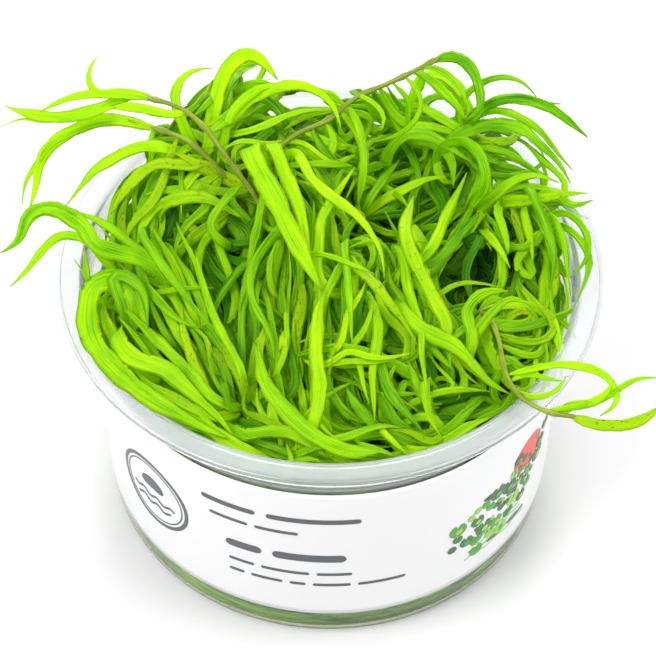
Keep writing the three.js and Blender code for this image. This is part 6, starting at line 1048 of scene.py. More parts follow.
[0,11,-22,9,55,-77,602,5,-82,629,-35,-53,654,-42,8,655,-57,59,674,-79,108,693],
[0,11,9,7,55,-77,602,69,-115,613,80,-155,610,69,-186,596,77,-217,581],
[0,22,20,7,55,-77,602,51,-36,633,3,-23,636,-5,25,651,1,70,660,10,121,670,31,168,670],
[0,15,23,8,55,-77,602,6,-98,615,-6,-148,599,-6,-196,581,-12,-250,566,-18,-306,560],
[0,13,-23,9,55,-77,602,66,-52,619,78,-31,639,62,0,648,33,4,636],
[0,15,-11,8,55,-77,602,95,-120,609,122,-168,595,146,-210,574,90,-235,578],
[0,15,8,9,55,-77,602,7,-41,620,-32,-4,639,-37,48,662,-71,92,685],
[0,15,-5,5,55,-77,602,86,-112,605,94,-155,588,118,-192,574,161,-200,581],
[0,17,18,8,55,-77,602,0,-71,610,-33,-37,625,-31,16,642,-18,71,651,-35,109,675,-82,133,694],
[0,15,13,9,55,-77,602,7,-65,615,-16,-26,627,15,1,624,28,49,636,2,90,648,6,141,646,25,188,637],
[0,22,16,4,55,-77,602,79,-112,596,98,-148,587,126,-184,576,166,-191,581],
[0,13,-21,10,55,-77,602,35,-41,607,20,-4,621,6,32,639,3,67,660],
[0,11,5,9,55,-77,602,34,-35,621,9,-62,617,-5,-110,601,2,-154,588,11,-205,583,-6,-251,565,-17,-299,549],
[0,14,-8,6,55,-77,602,14,-100,620,19,-141,596,28,-195,579,64,-230,576,114,-222,571],
[0,8,-13,6,55,-77,602,24,-56,620,-5,-28,622,-33,-52,616,-25,-91,604],
[0,17,-9,10,55,-77,602,23,-47,630,33,-21,636,68,-45,613,75,-1,631,30,12,628,0,46,647],
[0,8,-11,3,53,-77,582,24,-34,590,15,15,579,21,64,591,54,86,562,59,132,546],
[0,11,-16,8,55,-77,602,99,-120,600,128,-165,583,138,-211,570,82,-236,579],
[0,11,-17,9,55,-77,602,38,-111,642,35,-161,623,43,-208,583,86,-241,588],
[0,11,8,4,55,-77,602,49,-49,616,31,-26,626,-3,-13,629,-15,12,642],
[0,10,19,7,53,-77,587,54,-130,588,49,-182,582,19,-215,572,-5,-257,554],
[0,27,-27,8,55,-77,597,40,-127,600,37,-176,586,57,-204,556,75,-228,514,86,-275,496],
[0,16,-28,5,53,-77,587,44,-26,582,75,-28,559,107,-60,543,152,-83,527],
[0,31,-25,8,55,-77,597,56,-58,566,79,-47,541,108,-43,520,136,-43,496],
[0,13,-14,5,46,-77,527,20,-99,503,11,-136,485,8,-179,465,9,-218,450],
[0,18,26,3,51,-77,572,50,-27,565,85,-22,536,127,-44,504,162,-66,472,193,-92,439],
[0,20,-13,5,33,-76,322,2,-112,353,-15,-150,384,-20,-194,419,-26,-239,444,-43,-293,450],
[2,17,-45,5,34,-73,221,-1,-70,245,-40,-67,261,-82,-66,263,-121,-66,250],
[2,16,2,7,34,-76,372,-5,-91,403,-53,-100,422,-104,-101,418,-148,-97,389],
[2,20,-36,6,36,-76,407,20,-41,441,14,8,455,20,56,441,30,92,405],
[2,22,-52,4,35,-71,171,25,-26,195,13,29,201,1,75,171,-4,95,123],
[2,21,-56,7,33,-75,277,-1,-37,282,-28,1,277,-49,43,257,-62,82,226,-66,111,191,-65,137,146],
[2,26,-32,5,53,-77,587,30,-34,602,6,11,610,-20,61,607,-42,104,592,-62,143,565],
[2,24,-12,5,34,-74,226,18,-113,254,0,-154,280,-19,-198,298,-41,-243,303,-62,-287,288],
[2,15,-47,6,36,-70,146,42,-18,166,52,38,169,65,93,147,77,132,108,88,158,59],
[2,16,61,7,48,-77,542,2,-71,542,-42,-65,528,-77,-59,499,-100,-55,459],
[2,28,37,4,34,-73,216,-3,-73,253,-44,-69,285,-85,-61,308,-133,-48,322],
[2,18,-59,9,33,-76,337,50,-31,354,69,20,367,88,72,370,106,119,359,122,161,336,136,197,297],
[2,17,-53,8,37,-69,121,82,-57,153,129,-50,183,174,-48,208,225,-51,231,278,-59,247,332,-72,257],
[2,24,-67,5,33,-75,297,63,-104,303,91,-138,290,108,-164,256,112,-177,216],
[2,28,24,6,34,-76,362,21,-48,391,8,-23,428,-3,-4,469,-11,7,509],
[2,18,55,8,36,-76,407,76,-54,429,114,-21,435,149,21,420,169,56,389],
[2,26,-29,6,47,-77,532,9,-96,552,-41,-111,550,-80,-117,526,-111,-117,485,-129,-113,442],
[2,15,-36,6,39,-77,452,-6,-47,471,-58,-24,477,-112,-12,466,-160,-10,435],
[2,20,18,4,72,-57,39,18,-88,43,-30,-117,47,-68,-144,50,-101,-168,54],
[2,20,-21,5,5,-31,43,37,-79,46,68,-127,50,98,-175,54,127,-223,57,156,-271,61]]),
("plantlet_12",
[200,-203,26,216,-205,84,231,-206,142,242,-207,201,249,-208,261,252,-209,316,253,-209,376,254,-209,437,254,-210,497,255,-210,557],
[[0,23,-14,7,255,-210,542,248,-226,585,254,-201,620,245,-170,643,273,-138,659,318,-131,658],
[0,18,-10,7,255,-210,527,249,-210,573,263,-194,619,289,-169,645,326,-134,641,361,-143,632],
[0,18,-6,5,255,-210,537,274,-247,536,257,-287,530,212,-296,525,185,-323,521],
[0,18,3,5,255,-210,557,246,-201,587,243,-179,602,225,-161,611,204,-139,623],
[0,14,-2,3,255,-210,532,310,-204,535,351,-166,542,387,-130,544,391,-75,546,360,-33,562],
[0,14,-3,6,255,-210,527,304,-221,530,352,-205,526,385,-165,527,345,-151,541],
[0,17,-26,10,255,-210,537,294,-208,552,283,-180,571,288,-145,578,315,-112,573],
[0,28,-15,2,255,-210,517,304,-198,509,307,-193,468,284,-176,425,259,-170,392,237,-208,419,221,-246,452],
[2,19,5,5,252,-209,356,237,-167,382,209,-130,402,174,-102,412,128,-80,412,81,-68,397],
[1,33,4,8,296,-247,446,327,-218,465,356,-186,481,383,-155,493,399,-114,504],
[2,27,23,8,182,-300,31,212,-262,33,237,-218,36,256,-173,39,267,-132,41],
[2,28,-8,2,161,-240,35,115,-244,36,67,-248,36,11,-252,37,-43,-254,38,-99,-257,39],
[2,26,16,3,169,-152,29,155,-118,31,140,-85,33,126,-57,34,107,-26,36],
[2,20,-8,3,171,-216,44,153,-196,45,128,-175,45,95,-152,46,55,-128,46],
[2,22,10,3,169,-201,31,185,-148,34,201,-97,37,215,-53,39,231,-5,42,247,41,45],
[2,27,5,4,169,-164,20,186,-124,27,211,-88,33,249,-57,40,296,-28,46],
[2,29,-8,2,219,-216,33,226,-179,37,233,-143,41,237,-101,45,240,-65,48]]),
("plantlet_13",
[-259,-101,26,-276,-105,83,-293,-110,141,-308,-114,199,-321,-119,258,-332,-123,312,-343,-127,371,-353,-132,430,-361,-136,489,-369,-141,549],
[[0,39,-9,9,-367,-140,534,-348,-137,574,-352,-111,607,-382,-80,615,-422,-89,614,-435,-130,603,-431,-173,591,-416,-210,587,-391,-246,584,-361,-280,583,-330,-312,583,-294,-339,582,-255,-362,577,-216,-382,571,-175,-400,567],
[0,25,11,6,-365,-139,519,-367,-137,565,-376,-116,602,-389,-77,626,-348,-93,626,-330,-133,615,-324,-174,594],
[0,35,-3,9,-363,-137,504,-377,-148,546,-383,-175,582,-371,-216,596,-343,-251,601,-296,-269,600,-261,-297,592,-227,-325,579,-194,-354,567,-166,-388,556],
[0,22,-11,7,-369,-141,549,-333,-176,559,-303,-217,550,-265,-243,549,-223,-274,542],
[0,22,-1,5,-369,-141,549,-369,-125,564,-377,-107,576,-379,-87,593,-359,-84,595],
[0,22,2,2,-364,-138,509,-329,-132,473,-328,-127,422,-328,-110,373,-324,-124,347,-318,-169,371],
[0,20,-5,3,-346,-129,390,-327,-93,351,-301,-103,352,-289,-145,388,-280,-184,428,-272,-221,469,-262,-257,505,-248,-297,541],
[0,24,-25,0,-354,-132,440,-304,-143,445,-261,-161,444,-240,-143,402,-229,-116,359,-196,-143,366,-179,-177,394,-172,-212,432],
[2,21,-41,8,-282,-107,103,-239,-91,125,-194,-68,131,-149,-39,115,-118,-14,82],
[2,30,54,4,-317,-117,238,-297,-77,274,-277,-30,298,-259,17,306,-240,70,298,-224,117,273],
[2,28,16,10,-335,-124,326,-275,-123,342,-223,-116,323,-187,-107,280,-169,-97,221],
[1,28,-9,9,-340,-180,408,-321,-219,408,-296,-253,405,-266,-291,396,-237,-324,384],
[1,37,18,9,-343,-185,434,-326,-234,410,-299,-272,391,-262,-308,373,-226,-338,360,-182,-366,347],
[1,25,-19,6,-341,-168,431,-331,-206,449,-313,-241,468,-298,-287,493,-269,-316,516],
[1,37,-14,6,-337,-188,64,-306,-225,62,-269,-254,60,-222,-277,57,-177,-288,55],
[2,20,-6,3,-222,-105,21,-229,-98,26,-243,-78,30,-269,-38,34,-308,25,38]]),
("plantlet_14",
[-160,-248,26,-159,-264,84,-157,-279,147,-155,-289,212,-153,-293,272,-152,-293,332,-151,-293,397,-149,-292,462,-148,-291,522],
[[0,29,-16,9,90,-428,569,44,-429,568,0,-419,578,-39,-397,588,-72,-368,600,-98,-338,611,-117,-297,611,-125,-252,614,-134,-209,609],
[0,25,-9,9,-149,-292,492,-170,-314,519,-174,-350,543,-149,-379,552,-110,-379,559,-71,-385,563,-31,-407,557,3,-422,542],
[0,17,1,8,-148,-291,522,-165,-314,552,-204,-325,557,-212,-307,523,-193,-282,487,-174,-261,457,-156,-235,421,-144,-212,389,-137,-184,352,-135,-159,318,-138,-134,285,-144,-105,248,-150,-80,215,-156,-52,178,-159,-26,145,-157,2,107,-147,26,74,-122,48,41,-89,60,19],
[0,21,-8,8,-148,-291,522,-168,-319,553,-203,-320,579,-235,-287,589,-266,-253,598,-296,-219,602,-321,-181,591,-350,-145,591,-382,-111,590],
[0,17,-12,10,-148,-291,522,-173,-317,543,-203,-319,568,-223,-288,585,-241,-253,597,-254,-215,605,-263,-175,603,-266,-137,617],
[0,15,-3,9,-148,-291,522,-149,-292,563,-156,-272,603,-176,-233,615,-195,-197,622,-211,-161,632,-224,-118,641,-235,-74,645,-243,-34,651],
[0,17,-2,8,-148,-291,522,-148,-299,563,-158,-281,593,-177,-251,604,-192,-213,613],
[0,17,14,9,-148,-291,522,-157,-247,536,-162,-207,533,-164,-171,506,-164,-145,474,-164,-114,440,-165,-84,412,-166,-49,382,-167,-21,352,-168,7,316,-169,40,283,-169,75,263,-170,99,276,-170,76,310,-170,49,347,-170,26,381,-170,2,420],
[0,23,1,7,-148,-291,522,-154,-258,498,-159,-222,470,-163,-191,444,-167,-157,413,-168,-129,383,-168,-101,353,-168,-70,319,-166,-42,289,-165,-13,260,-163,20,228,-161,50,201,-159,82,175,-149,119,166,-139,114,205,-130,101,249,-124,89,287],
[0,21,-4,9,-148,-291,522,-168,-323,540,-205,-343,558,-247,-327,566,-283,-307,569,-317,-283,569,-348,-248,570],
[0,8,6,6,-148,-291,522,-171,-306,555,-197,-289,578,-210,-256,586,-212,-216,600],
[0,8,1,6,-149,-292,477,-168,-282,500,-182,-279,528,-194,-278,563,-197,-255,582],
[0,11,8,6,-148,-291,522,-108,-283,561,-90,-242,592,-101,-190,612,-110,-135,619,-119,-80,614,-92,-53,656],
[0,11,-7,9,-148,-291,522,-113,-278,558,-88,-256,591,-76,-213,615,-77,-162,608,-75,-111,607,-71,-86,644,-75,-50,679],
[0,11,-11,9,-148,-291,522,-175,-271,555,-206,-244,577,-219,-198,594,-253,-166,601],
[0,17,-10,4,-148,-291,522,-103,-306,544,-62,-292,571,-63,-245,587,-68,-195,600],
[0,26,19,8,-148,-291,522,-95,-289,539,-57,-256,559,-63,-205,581,-55,-153,602,-49,-98,611,-57,-52,633],
[0,18,8,7,-148,-291,522,-183,-275,557,-211,-240,573,-231,-199,584,-259,-157,597],
[0,22,-7,5,-148,-291,522,-159,-268,571,-188,-218,591,-216,-169,596,-254,-131,579,-292,-84,580,-326,-39,581],
[0,13,25,7,-148,-291,522,-183,-331,535,-145,-367,528,-89,-389,527,-38,-412,522,19,-419,523],
[0,26,-7,5,-148,-291,522,-164,-250,557,-192,-200,577,-223,-154,580,-264,-116,578,-285,-60,587,-317,-13,586],
[0,17,11,6,-148,-291,522,-158,-247,557,-169,-197,580,-179,-142,586,-195,-89,593,-218,-37,598],
[0,17,17,7,-148,-291,522,-160,-331,516,-141,-361,514,-113,-385,515,-77,-405,512],
[0,26,-11,4,-148,-291,522,-185,-323,537,-234,-324,545,-267,-286,547,-295,-244,535,-333,-210,529,-375,-185,542,-403,-144,555],
[0,11,-9,8,-148,-291,522,-163,-251,552,-185,-207,569,-205,-165,576,-239,-136,600],
[0,17,4,7,-148,-291,517,-146,-338,519,-114,-372,517,-79,-394,511,-34,-406,516],
[0,13,19,5,-148,-291,522,-154,-251,554,-136,-208,575,-130,-174,612,-142,-130,618,-146,-81,628,-134,-40,658],
[0,13,-9,5,-148,-291,522,-200,-279,542,-230,-259,584,-248,-212,587,-265,-158,588,-289,-108,581,-317,-59,576],
[0,15,1,9,-148,-291,522,-141,-263,560,-111,-276,578,-89,-319,556,-60,-353,541],
[0,13,6,4,-149,-291,497,-189,-323,498,-239,-333,503,-280,-312,506,-320,-280,510,-358,-246,519],
[0,22,17,7,-148,-291,522,-96,-281,541,-46,-284,548,-17,-326,525,35,-345,520,84,-334,530,138,-343,539],
[0,17,-14,5,-148,-291,522,-154,-248,551,-144,-207,570,-140,-163,597,-144,-118,608,-142,-76,636],
[0,18,18,5,-148,-291,522,-191,-319,527,-236,-318,529,-276,-287,530,-320,-262,525,-351,-228,518,-385,-192,526],
[0,17,10,7,-149,-291,512,-192,-277,540,-224,-235,563,-254,-182,576,-277,-130,579],
[0,18,3,8,-148,-291,522,-113,-262,547,-95,-219,568,-103,-176,584,-115,-127,592,-128,-78,603],
[0,22,24,3,-148,-291,522,-148,-253,542,-147,-215,561,-143,-173,582,-141,-135,601],
[0,14,22,10,-148,-291,522,-105,-270,540,-86,-228,559,-89,-181,579,-90,-131,591,-94,-81,603],
[0,11,-7,4,-148,-291,522,-195,-312,527,-248,-300,531,-285,-257,527,-326,-229,536,-361,-192,527,-398,-155,546],
[0,10,-3,8,-148,-291,522,-110,-290,540,-74,-311,540,-41,-345,537,-6,-367,530],
[0,12,19,8,-149,-291,502,-192,-335,504,-251,-331,506,-297,-298,507,-344,-258,511],
[0,10,-3,5,-149,-291,497,-173,-320,498,-205,-340,500,-247,-339,503,-278,-319,505],
[0,11,-11,3,-148,-291,522,-187,-331,525,-235,-311,529,-280,-270,523,-329,-249,537,-364,-210,535,-396,-165,542],
[0,26,-18,2,-150,-292,447,-103,-292,442,-59,-291,424,-20,-290,409,23,-285,392],
[2,22,68,8,-152,-293,327,-175,-248,334,-200,-203,335,-224,-165,325,-248,-129,298,-267,-107,256],
[2,28,45,6,-159,-257,60,-125,-230,86,-81,-200,107,-36,-176,112,10,-156,100,53,-143,66,80,-140,23],
[1,24,-9,10,-183,-383,488,-136,-405,497,-80,-419,505,-24,-425,510,28,-427,511,80,-424,510,137,-414,506],
[1,22,-16,10,-206,-351,405,-247,-326,396,-286,-290,385,-321,-250,371,-348,-211,356,-373,-169,339,-394,-121,319],
[1,33,7,6,-238,-359,489,-190,-374,481,-145,-388,470,-99,-401,455,-48,-410,433,-1,-413,409,46,-411,382],
[1,31,-15,10,-243,-334,425,-276,-310,422,-306,-281,419,-333,-250,414,-358,-216,409],
[1,31,-17,3,-219,-337,310,-257,-304,310,-288,-273,309,-318,-240,308,-350,-202,306],
[2,24,-8,3,-114,-229,23,-84,-240,24,-51,-250,26,-14,-259,27,27,-266,28],
[2,24,15,5,-181,-241,29,-147,-195,35,-111,-155,41,-66,-122,48,-23,-100,54]]),
("plantlet_15",
[-273,-42,26,-293,-42,83,-311,-43,141,-328,-43,199,-341,-45,258,-353,-46,323,-362,-50,382,-370,-55,442,-377,-61,502,-381,-68,562],
[[0,31,-3,8,-380,-67,552,-335,-70,558,-300,-71,578,-306,-63,621,-338,-55,646,-380,-57,666,-420,-55,686,-442,-21,691,-474,13,689,-508,34,683,-548,31,664,-563,-1,643,-599,-20,622],
[0,19,-2,9,-379,-65,532,-341,-69,556,-314,-58,590,-328,-31,621,-364,-12,644,-397,-3,675,-438,6,695,-483,17,702],
[0,16,3,9,-378,-63,517,-381,-59,561,-392,-50,604,-414,-41,641,-445,-22,666,-486,-19,669,-520,-36,647,-548,-58,619,-579,-75,592],
[0,10,-9,9,-377,-61,502,-382,-83,536,-398,-99,571,-424,-92,592,-443,-57,602,-465,-24,612],
[0,12,-3,9,-381,-68,562,-410,-92,575,-434,-79,596,-441,-49,613,-446,-21,642],
[0,17,-2,8,-381,-68,562,-396,-42,583,-403,-8,596,-400,28,603,-395,64,605],
[0,19,6,7,-381,-68,562,-366,-33,589,-370,6,599,-381,51,602,-384,93,604,-372,135,620],
[0,22,21,4,-381,-68,562,-335,-85,580,-308,-128,574,-285,-173,564,-259,-218,569],
[0,14,-3,7,-381,-68,562,-366,-80,588,-346,-111,591,-333,-146,588,-324,-177,579],
[0,14,-9,4,-379,-65,532,-417,-83,526,-414,-126,521,-391,-167,528,-366,-201,524],
[0,26,-22,2,-375,-59,487,-396,-10,476,-367,-18,464,-326,-56,472,-282,-62,447,-268,-34,405,-244,-7,361],
[0,27,-12,1,-372,-56,452,-338,-101,445,-322,-90,405,-315,-54,361,-294,-31,321,-270,-64,348,-264,-101,391,-258,-135,430,-248,-173,472,-231,-207,507,-203,-244,541],
[0,26,-1,3,-343,-45,268,-313,-83,284,-290,-122,306,-271,-162,333,-259,-194,364,-246,-228,400,-225,-261,433,-192,-286,463],
[0,30,18,5,-353,-46,323,-311,-85,334,-293,-121,365,-282,-161,403,-242,-170,380,-202,-167,359,-172,-198,388,-162,-233,432],
[0,15,18,3,-379,-64,527,-408,-21,530,-387,19,536,-333,33,530,-286,21,551],
[0,26,-27,4,-370,-55,442,-373,-3,422,-332,-21,403,-314,-5,350,-292,-25,301],
[0,23,12,1,-330,-44,209,-287,-75,228,-254,-110,249,-235,-149,286,-224,-186,328,-206,-225,365,-172,-256,387,-148,-232,344],
[0,23,-12,4,-369,-53,427,-323,-36,415,-311,-13,370,-283,-45,360,-267,-90,392,-260,-129,425,-241,-175,440],
[2,21,-44,5,-307,-43,126,-281,-23,166,-258,-1,205,-237,23,245,-220,47,280,-202,77,318,-186,110,352,-171,148,383],
[2,20,-14,8,-325,-43,189,-276,-43,217,-220,-52,240,-168,-71,249,-119,-99,243,-76,-134,217,-49,-166,179],
[2,19,-53,4,-339,-44,248,-354,-1,281,-359,41,311,-354,89,340,-338,138,361,-313,183,371,-278,227,366],
[2,15,-66,7,-285,-42,59,-234,-19,86,-186,-2,111,-135,10,134,-76,18,147],
[2,27,-35,7,-301,-42,107,-248,-20,129,-196,2,132,-148,22,112,-108,38,68],
[1,20,-16,5,-373,-11,409,-382,-67,398,-371,-123,390,-350,-176,384,-321,-225,381,-287,-271,380,-247,-313,382],
[1,40,9,10,-374,-70,422,-393,-30,429,-399,14,436,-398,58,444,-390,102,453]]),
("plantlet_16",
[-252,27,26,-266,38,84,-279,47,147,-290,54,206,-298,59,271,-303,59,331,-307,59,396,-311,58,456,-313,55,522,-314,50,582],
[[0,16,-14,8,-314,52,567,-320,96,581,-324,141,599,-322,176,621,-303,195,659,-278,171,681,-274,129,678,-273,82,676,-272,41,652],
[0,25,18,8,-314,53,552,-321,67,595,-313,78,638,-277,73,672,-233,69,681,-195,46,682,-157,33,662],
[0,18,-16,8,-313,54,537,-329,53,576,-342,40,619,-344,12,651,-335,-29,673,-315,-66,673,-288,-101,657,-262,-132,645,-234,-169,635,-204,-196,622],
[0,16,-2,8,-313,55,522,-326,35,555,-338,9,585,-345,-32,605,-336,-73,610,-316,-107,610,-290,-144,610,-260,-170,609,-221,-179,602],
[0,13,-12,4,-314,50,582,-265,46,610,-231,4,608,-205,-52,611,-171,-97,610,-170,-152,595],
[0,11,-19,8,-314,50,582,-350,72,602,-341,106,631,-327,135,658,-292,153,681],
[0,11,-12,4,-314,51,572,-281,23,569,-246,6,584,-233,18,610,-234,43,642],
[0,13,-23,6,-314,51,572,-350,44,574,-377,64,584,-373,94,593,-366,128,605],
[0,11,-5,3,-314,51,577,-362,51,578,-387,15,578,-346,-10,577,-304,-36,577],
[0,13,-21,7,-314,50,582,-302,-4,586,-278,-56,588,-239,-102,598,-207,-142,579],
[0,17,-11,8,-314,52,562,-366,46,564,-402,77,588,-393,126,615,-361,159,641],
[0,15,-3,4,-314,50,582,-311,19,582,-304,-12,581,-286,-44,581,-275,-74,581],
[0,22,-18,8,-314,51,572,-278,47,594,-276,84,620,-247,110,644,-212,92,636],
[0,19,4,4,-314,51,577,-358,34,578,-388,66,589,-389,111,600,-371,150,622],
[0,14,-1,8,-314,53,552,-363,70,556,-383,106,585,-365,149,618,-328,159,654],
[0,10,-1,4,-314,50,582,-305,82,607,-307,114,624,-313,143,646,-292,163,673],
[0,12,-19,5,-314,52,567,-335,50,583,-348,64,600,-337,91,613,-319,109,624],
[0,11,25,2,-314,52,567,-345,79,573,-357,114,592,-347,152,618,-321,172,645],
[0,29,8,4,-303,59,326,-254,32,329,-218,-12,349,-197,-63,357,-182,-113,375,-176,-158,408,-170,-205,447,-165,-248,482],
[0,31,11,6,-311,58,456,-360,42,452,-369,7,431,-352,-30,425,-345,-72,455,-333,-120,472,-316,-169,450],
[0,15,-26,2,-308,59,406,-334,27,444,-303,-15,465,-270,-57,484,-233,-104,502],
[0,28,-5,6,-313,54,542,-368,38,536,-399,21,500,-390,9,446,-384,12,394,-366,-15,349],
[0,20,-8,3,-312,56,497,-284,98,510,-244,126,501,-211,126,471,-207,161,432,-204,197,394,-189,229,355,-165,215,366,-156,181,405,-150,147,444],
[0,18,-20,5,-313,55,527,-358,24,507,-360,20,452,-346,-17,429,-339,-57,472],
[0,19,-25,2,-314,53,552,-317,-4,537,-317,-39,493,-325,-55,432,-335,-107,433],
[0,25,6,7,-314,51,572,-352,94,586,-401,118,572,-387,88,560,-351,50,535,-332,2,506],
[0,27,-7,5,-313,54,537,-264,25,535,-228,-9,521,-191,-33,499,-185,-9,454,-181,23,406,-169,16,374,-157,-35,396,-152,-78,425,-151,-119,465],
[0,22,-1,5,-310,58,451,-284,93,421,-272,119,383,-281,130,332,-288,96,345,-286,60,384,-283,29,421,-280,-6,461,-279,-41,493,-282,-85,524],
[0,17,-22,4,-314,50,582,-276,23,602,-230,2,581,-211,-17,542,-196,-7,494,-182,6,446,-164,21,395,-134,14,354],
[0,21,-25,4,-313,56,507,-334,26,487,-306,-2,476,-272,-34,468,-240,-59,457],
[0,22,24,3,-313,55,527,-358,81,528,-367,46,527,-340,-3,518,-321,-51,528,-299,-99,532],
[0,16,-8,5,-313,55,527,-355,52,528,-392,24,530,-420,-13,535,-427,-54,537],
[0,31,4,6,-314,50,582,-284,88,602,-240,116,588,-203,128,552,-199,164,515,-198,201,477,-195,239,435,-186,277,392,-157,273,394,-135,242,431,-104,214,471],
[0,21,0,6,-308,59,401,-364,69,395,-412,40,404,-399,-8,385,-384,-59,406,-366,-111,418],
[0,18,-20,5,-304,59,341,-268,17,348,-223,-20,361,-189,-58,375,-176,-100,410,-163,-146,448,-154,-188,485],
[0,26,5,5,-309,58,426,-351,57,422,-384,43,402,-384,17,370,-372,-10,340],
[0,14,-8,3,-310,58,441,-288,11,449,-261,-36,466,-231,-38,432,-211,-47,422,-195,-89,457,-180,-128,488],
[0,24,-7,4,-312,57,487,-352,18,484,-327,-24,465,-293,-74,460,-270,-123,480],
[0,18,-20,4,-305,59,356,-356,48,352,-377,9,344,-362,-33,368,-352,-69,406,-334,-114,418,-322,-110,379,-312,-106,330],
[2,23,-35,7,-308,59,401,-310,89,431,-319,126,450,-331,160,451,-347,192,429],
[2,27,-2,7,-303,59,331,-300,96,352,-298,135,368,-297,172,375,-295,214,375],
[2,17,34,7,-309,58,421,-275,96,424,-239,125,417,-198,149,401,-161,165,378,-123,176,346],
[2,19,-43,8,-312,57,487,-272,77,513,-229,97,533,-178,120,541,-131,139,531,-90,154,504],
[2,16,-10,7,-310,58,441,-249,62,439,-196,66,421,-152,70,387,-116,73,338],
[1,29,-4,8,-405,68,428,-388,122,401,-365,169,379,-336,216,358,-304,262,342,-271,301,331,-229,340,321],
[1,35,3,6,-373,46,327,-381,-14,343,-375,-74,355,-364,-129,360,-347,-188,361],
[2,16,-11,5,-256,80,44,-257,105,47,-255,137,50,-248,177,53,-239,224,56],
[2,28,18,5,-250,70,40,-191,73,46,-137,76,51,-92,79,56,-46,82,61]]),
("plantlet_17",
[-93,74,26,-64,103,75,-91,71,124,-94,65,175,-95,62,226,-96,62,279,-96,64,331,-97,66,375,-102,70,424,-104,67,474,-101,69,523,-97,69,572,-94,68,623],
[[0,16,-12,8,-95,69,608,-99,99,641,-114,94,677,-126,52,680,-132,12,673,-139,-33,667,-146,-77,655,-153,-115,641,-164,-155,622],
[0,18,9,8,-95,69,593,-78,77,627,-73,52,658,-86,10,671,-108,-25,671,-128,-60,667,-141,-99,658,-140,-138,647,-121,-178,634,-104,-212,619,-98,-249,602],
[0,17,9,7,-81,87,31,-70,129,25,-94,144,55,-104,131,93,-113,113,136,-125,99,179],
[0,15,4,8,-69,100,37,-57,145,30,-59,169,68,-62,173,111,-68,179,158],
[0,19,7,9,-95,69,608,-121,95,627,-136,120,649,-144,129,682,-162,132,719],
[0,19,-7,9,-94,68,623,-93,95,639,-107,129,639,-118,165,636,-128,191,652],
[0,13,-12,8,-94,68,623,-63,30,638,-17,37,649,-7,87,657,-2,138,657,19,185,649,46,224,629,80,261,616],
[0,17,4,9,-94,68,623,-54,43,641,-12,64,647,2,113,652,22,164,642,40,209,623,66,251,610],
[0,15,18,7,-94,68,623,-74,75,646,-78,101,670,-89,130,691,-105,153,705],
[0,10,-21,6,-94,68,623,-50,42,625,-26,-3,624,1,-51,615,-15,-99,609],
[0,12,-7,9,-94,68,623,-60,38,634,-21,12,638,22,-3,629,66,-13,615],
[0,23,-22,3,-95,69,603,-39,61,600,6,38,598,35,-10,600,68,-56,602,108,-85,591,144,-125,606],
[0,26,8,1,-100,69,542,-59,41,573,-17,42,557,-14,84,508,19,71,486],
[2,16,-59,8,-96,65,345,-95,104,386,-89,145,424,-81,186,454,-67,235,476,-48,288,483],
[2,17,62,5,-96,64,326,-111,101,336,-129,139,336,-148,177,320,-163,204,293],
[2,17,43,8,-95,62,226,-108,17,232,-128,-22,216,-151,-50,179,-167,-61,136],
[2,20,21,8,-81,84,94,-113,110,132,-155,135,160,-205,158,173,-257,178,165,-304,191,137],
[2,28,64,7,-96,63,289,-72,34,318,-46,-1,336,-16,-42,329,1,-69,296],
[2,25,61,3,-69,97,80,-36,135,91,4,168,94,49,194,87,94,212,69],
[2,27,-5,4,-96,69,583,-112,33,595,-133,-3,597,-158,-34,586,-181,-59,563],
[2,24,-29,9,-96,63,295,-123,22,312,-155,-23,322,-185,-65,321,-217,-109,306,-243,-143,279],
[2,22,-19,7,-102,70,429,-48,85,437,6,104,438,52,125,429,94,151,402],
[2,23,-49,8,-89,74,114,-113,120,138,-142,168,139,-167,207,116,-188,235,72],
[2,22,-15,3,20,161,18,79,190,22,131,214,26,171,228,30,209,239,34],
[2,19,-15,4,-55,57,37,-99,64,41,-145,77,45,-187,97,49,-221,119,53],
[2,26,-9,4,-37,95,32,-62,56,35,-85,23,38,-103,0,40,-121,-21,43]]),
("plantlet_18",
[238,-124,26,249,-140,85,258,-153,145,264,-159,202,268,-159,264,268,-153,325,266,-141,386,263,-128,447,261,-118,503,263,-116,565,280,-148,611,301,-206,612,309,-267,608,331,-318,602,378,-359,602,437,-377,607],
[[0,21,-8,9,422,-374,605,462,-395,612,508,-397,612,551,-381,612,585,-349,612],
[0,18,-14,9,402,-369,603,426,-360,619,455,-364,631,481,-355,645,497,-329,652],
[0,14,13,9,312,-282,605,350,-289,629,397,-292,647,442,-299,651,484,-311,640,502,-353,627,472,-386,622],
[0,14,-19,9,378,-359,602,420,-366,619,469,-360,632,506,-334,632,544,-302,623,589,-299,622],
[0,10,-8,9,328,-314,602,352,-333,610,376,-339,617,399,-330,624,416,-305,632],
[0,10,-7,9,317,-297,603,339,-291,616,363,-295,622,383,-302,622,409,-308,622],
[0,13,-13,7,289,-167,613,255,-180,620,226,-203,622,212,-236,615,217,-269,600],
[0,13,3,7,267,-149,346,260,-149,389,247,-179,414,236,-211,445,227,-236,476,215,-266,509,203,-293,538,175,-318,564],
[0,30,4,6,268,-155,310,277,-144,349,293,-167,386,299,-197,428,308,-224,465,316,-250,502,342,-269,531],
[0,11,10,7,311,-277,606,291,-252,579,277,-217,551,276,-175,528,272,-139,507],
[0,13,14,6,287,-162,613,305,-174,596,326,-182,585,349,-172,574,370,-156,566],
[0,13,13,7,308,-262,609,325,-232,587,348,-201,571,368,-172,562,379,-133,567,360,-106,590],
[0,15,-14,8,298,-191,612,340,-189,590,380,-172,571,405,-132,565,380,-104,587,349,-76,609],
[0,17,9,7,293,-176,612,327,-163,594,361,-145,579,397,-119,567,429,-95,558,458,-67,555],
[0,15,2,6,264,-118,575,301,-99,572,346,-86,568,386,-96,563,427,-113,550,445,-147,543],
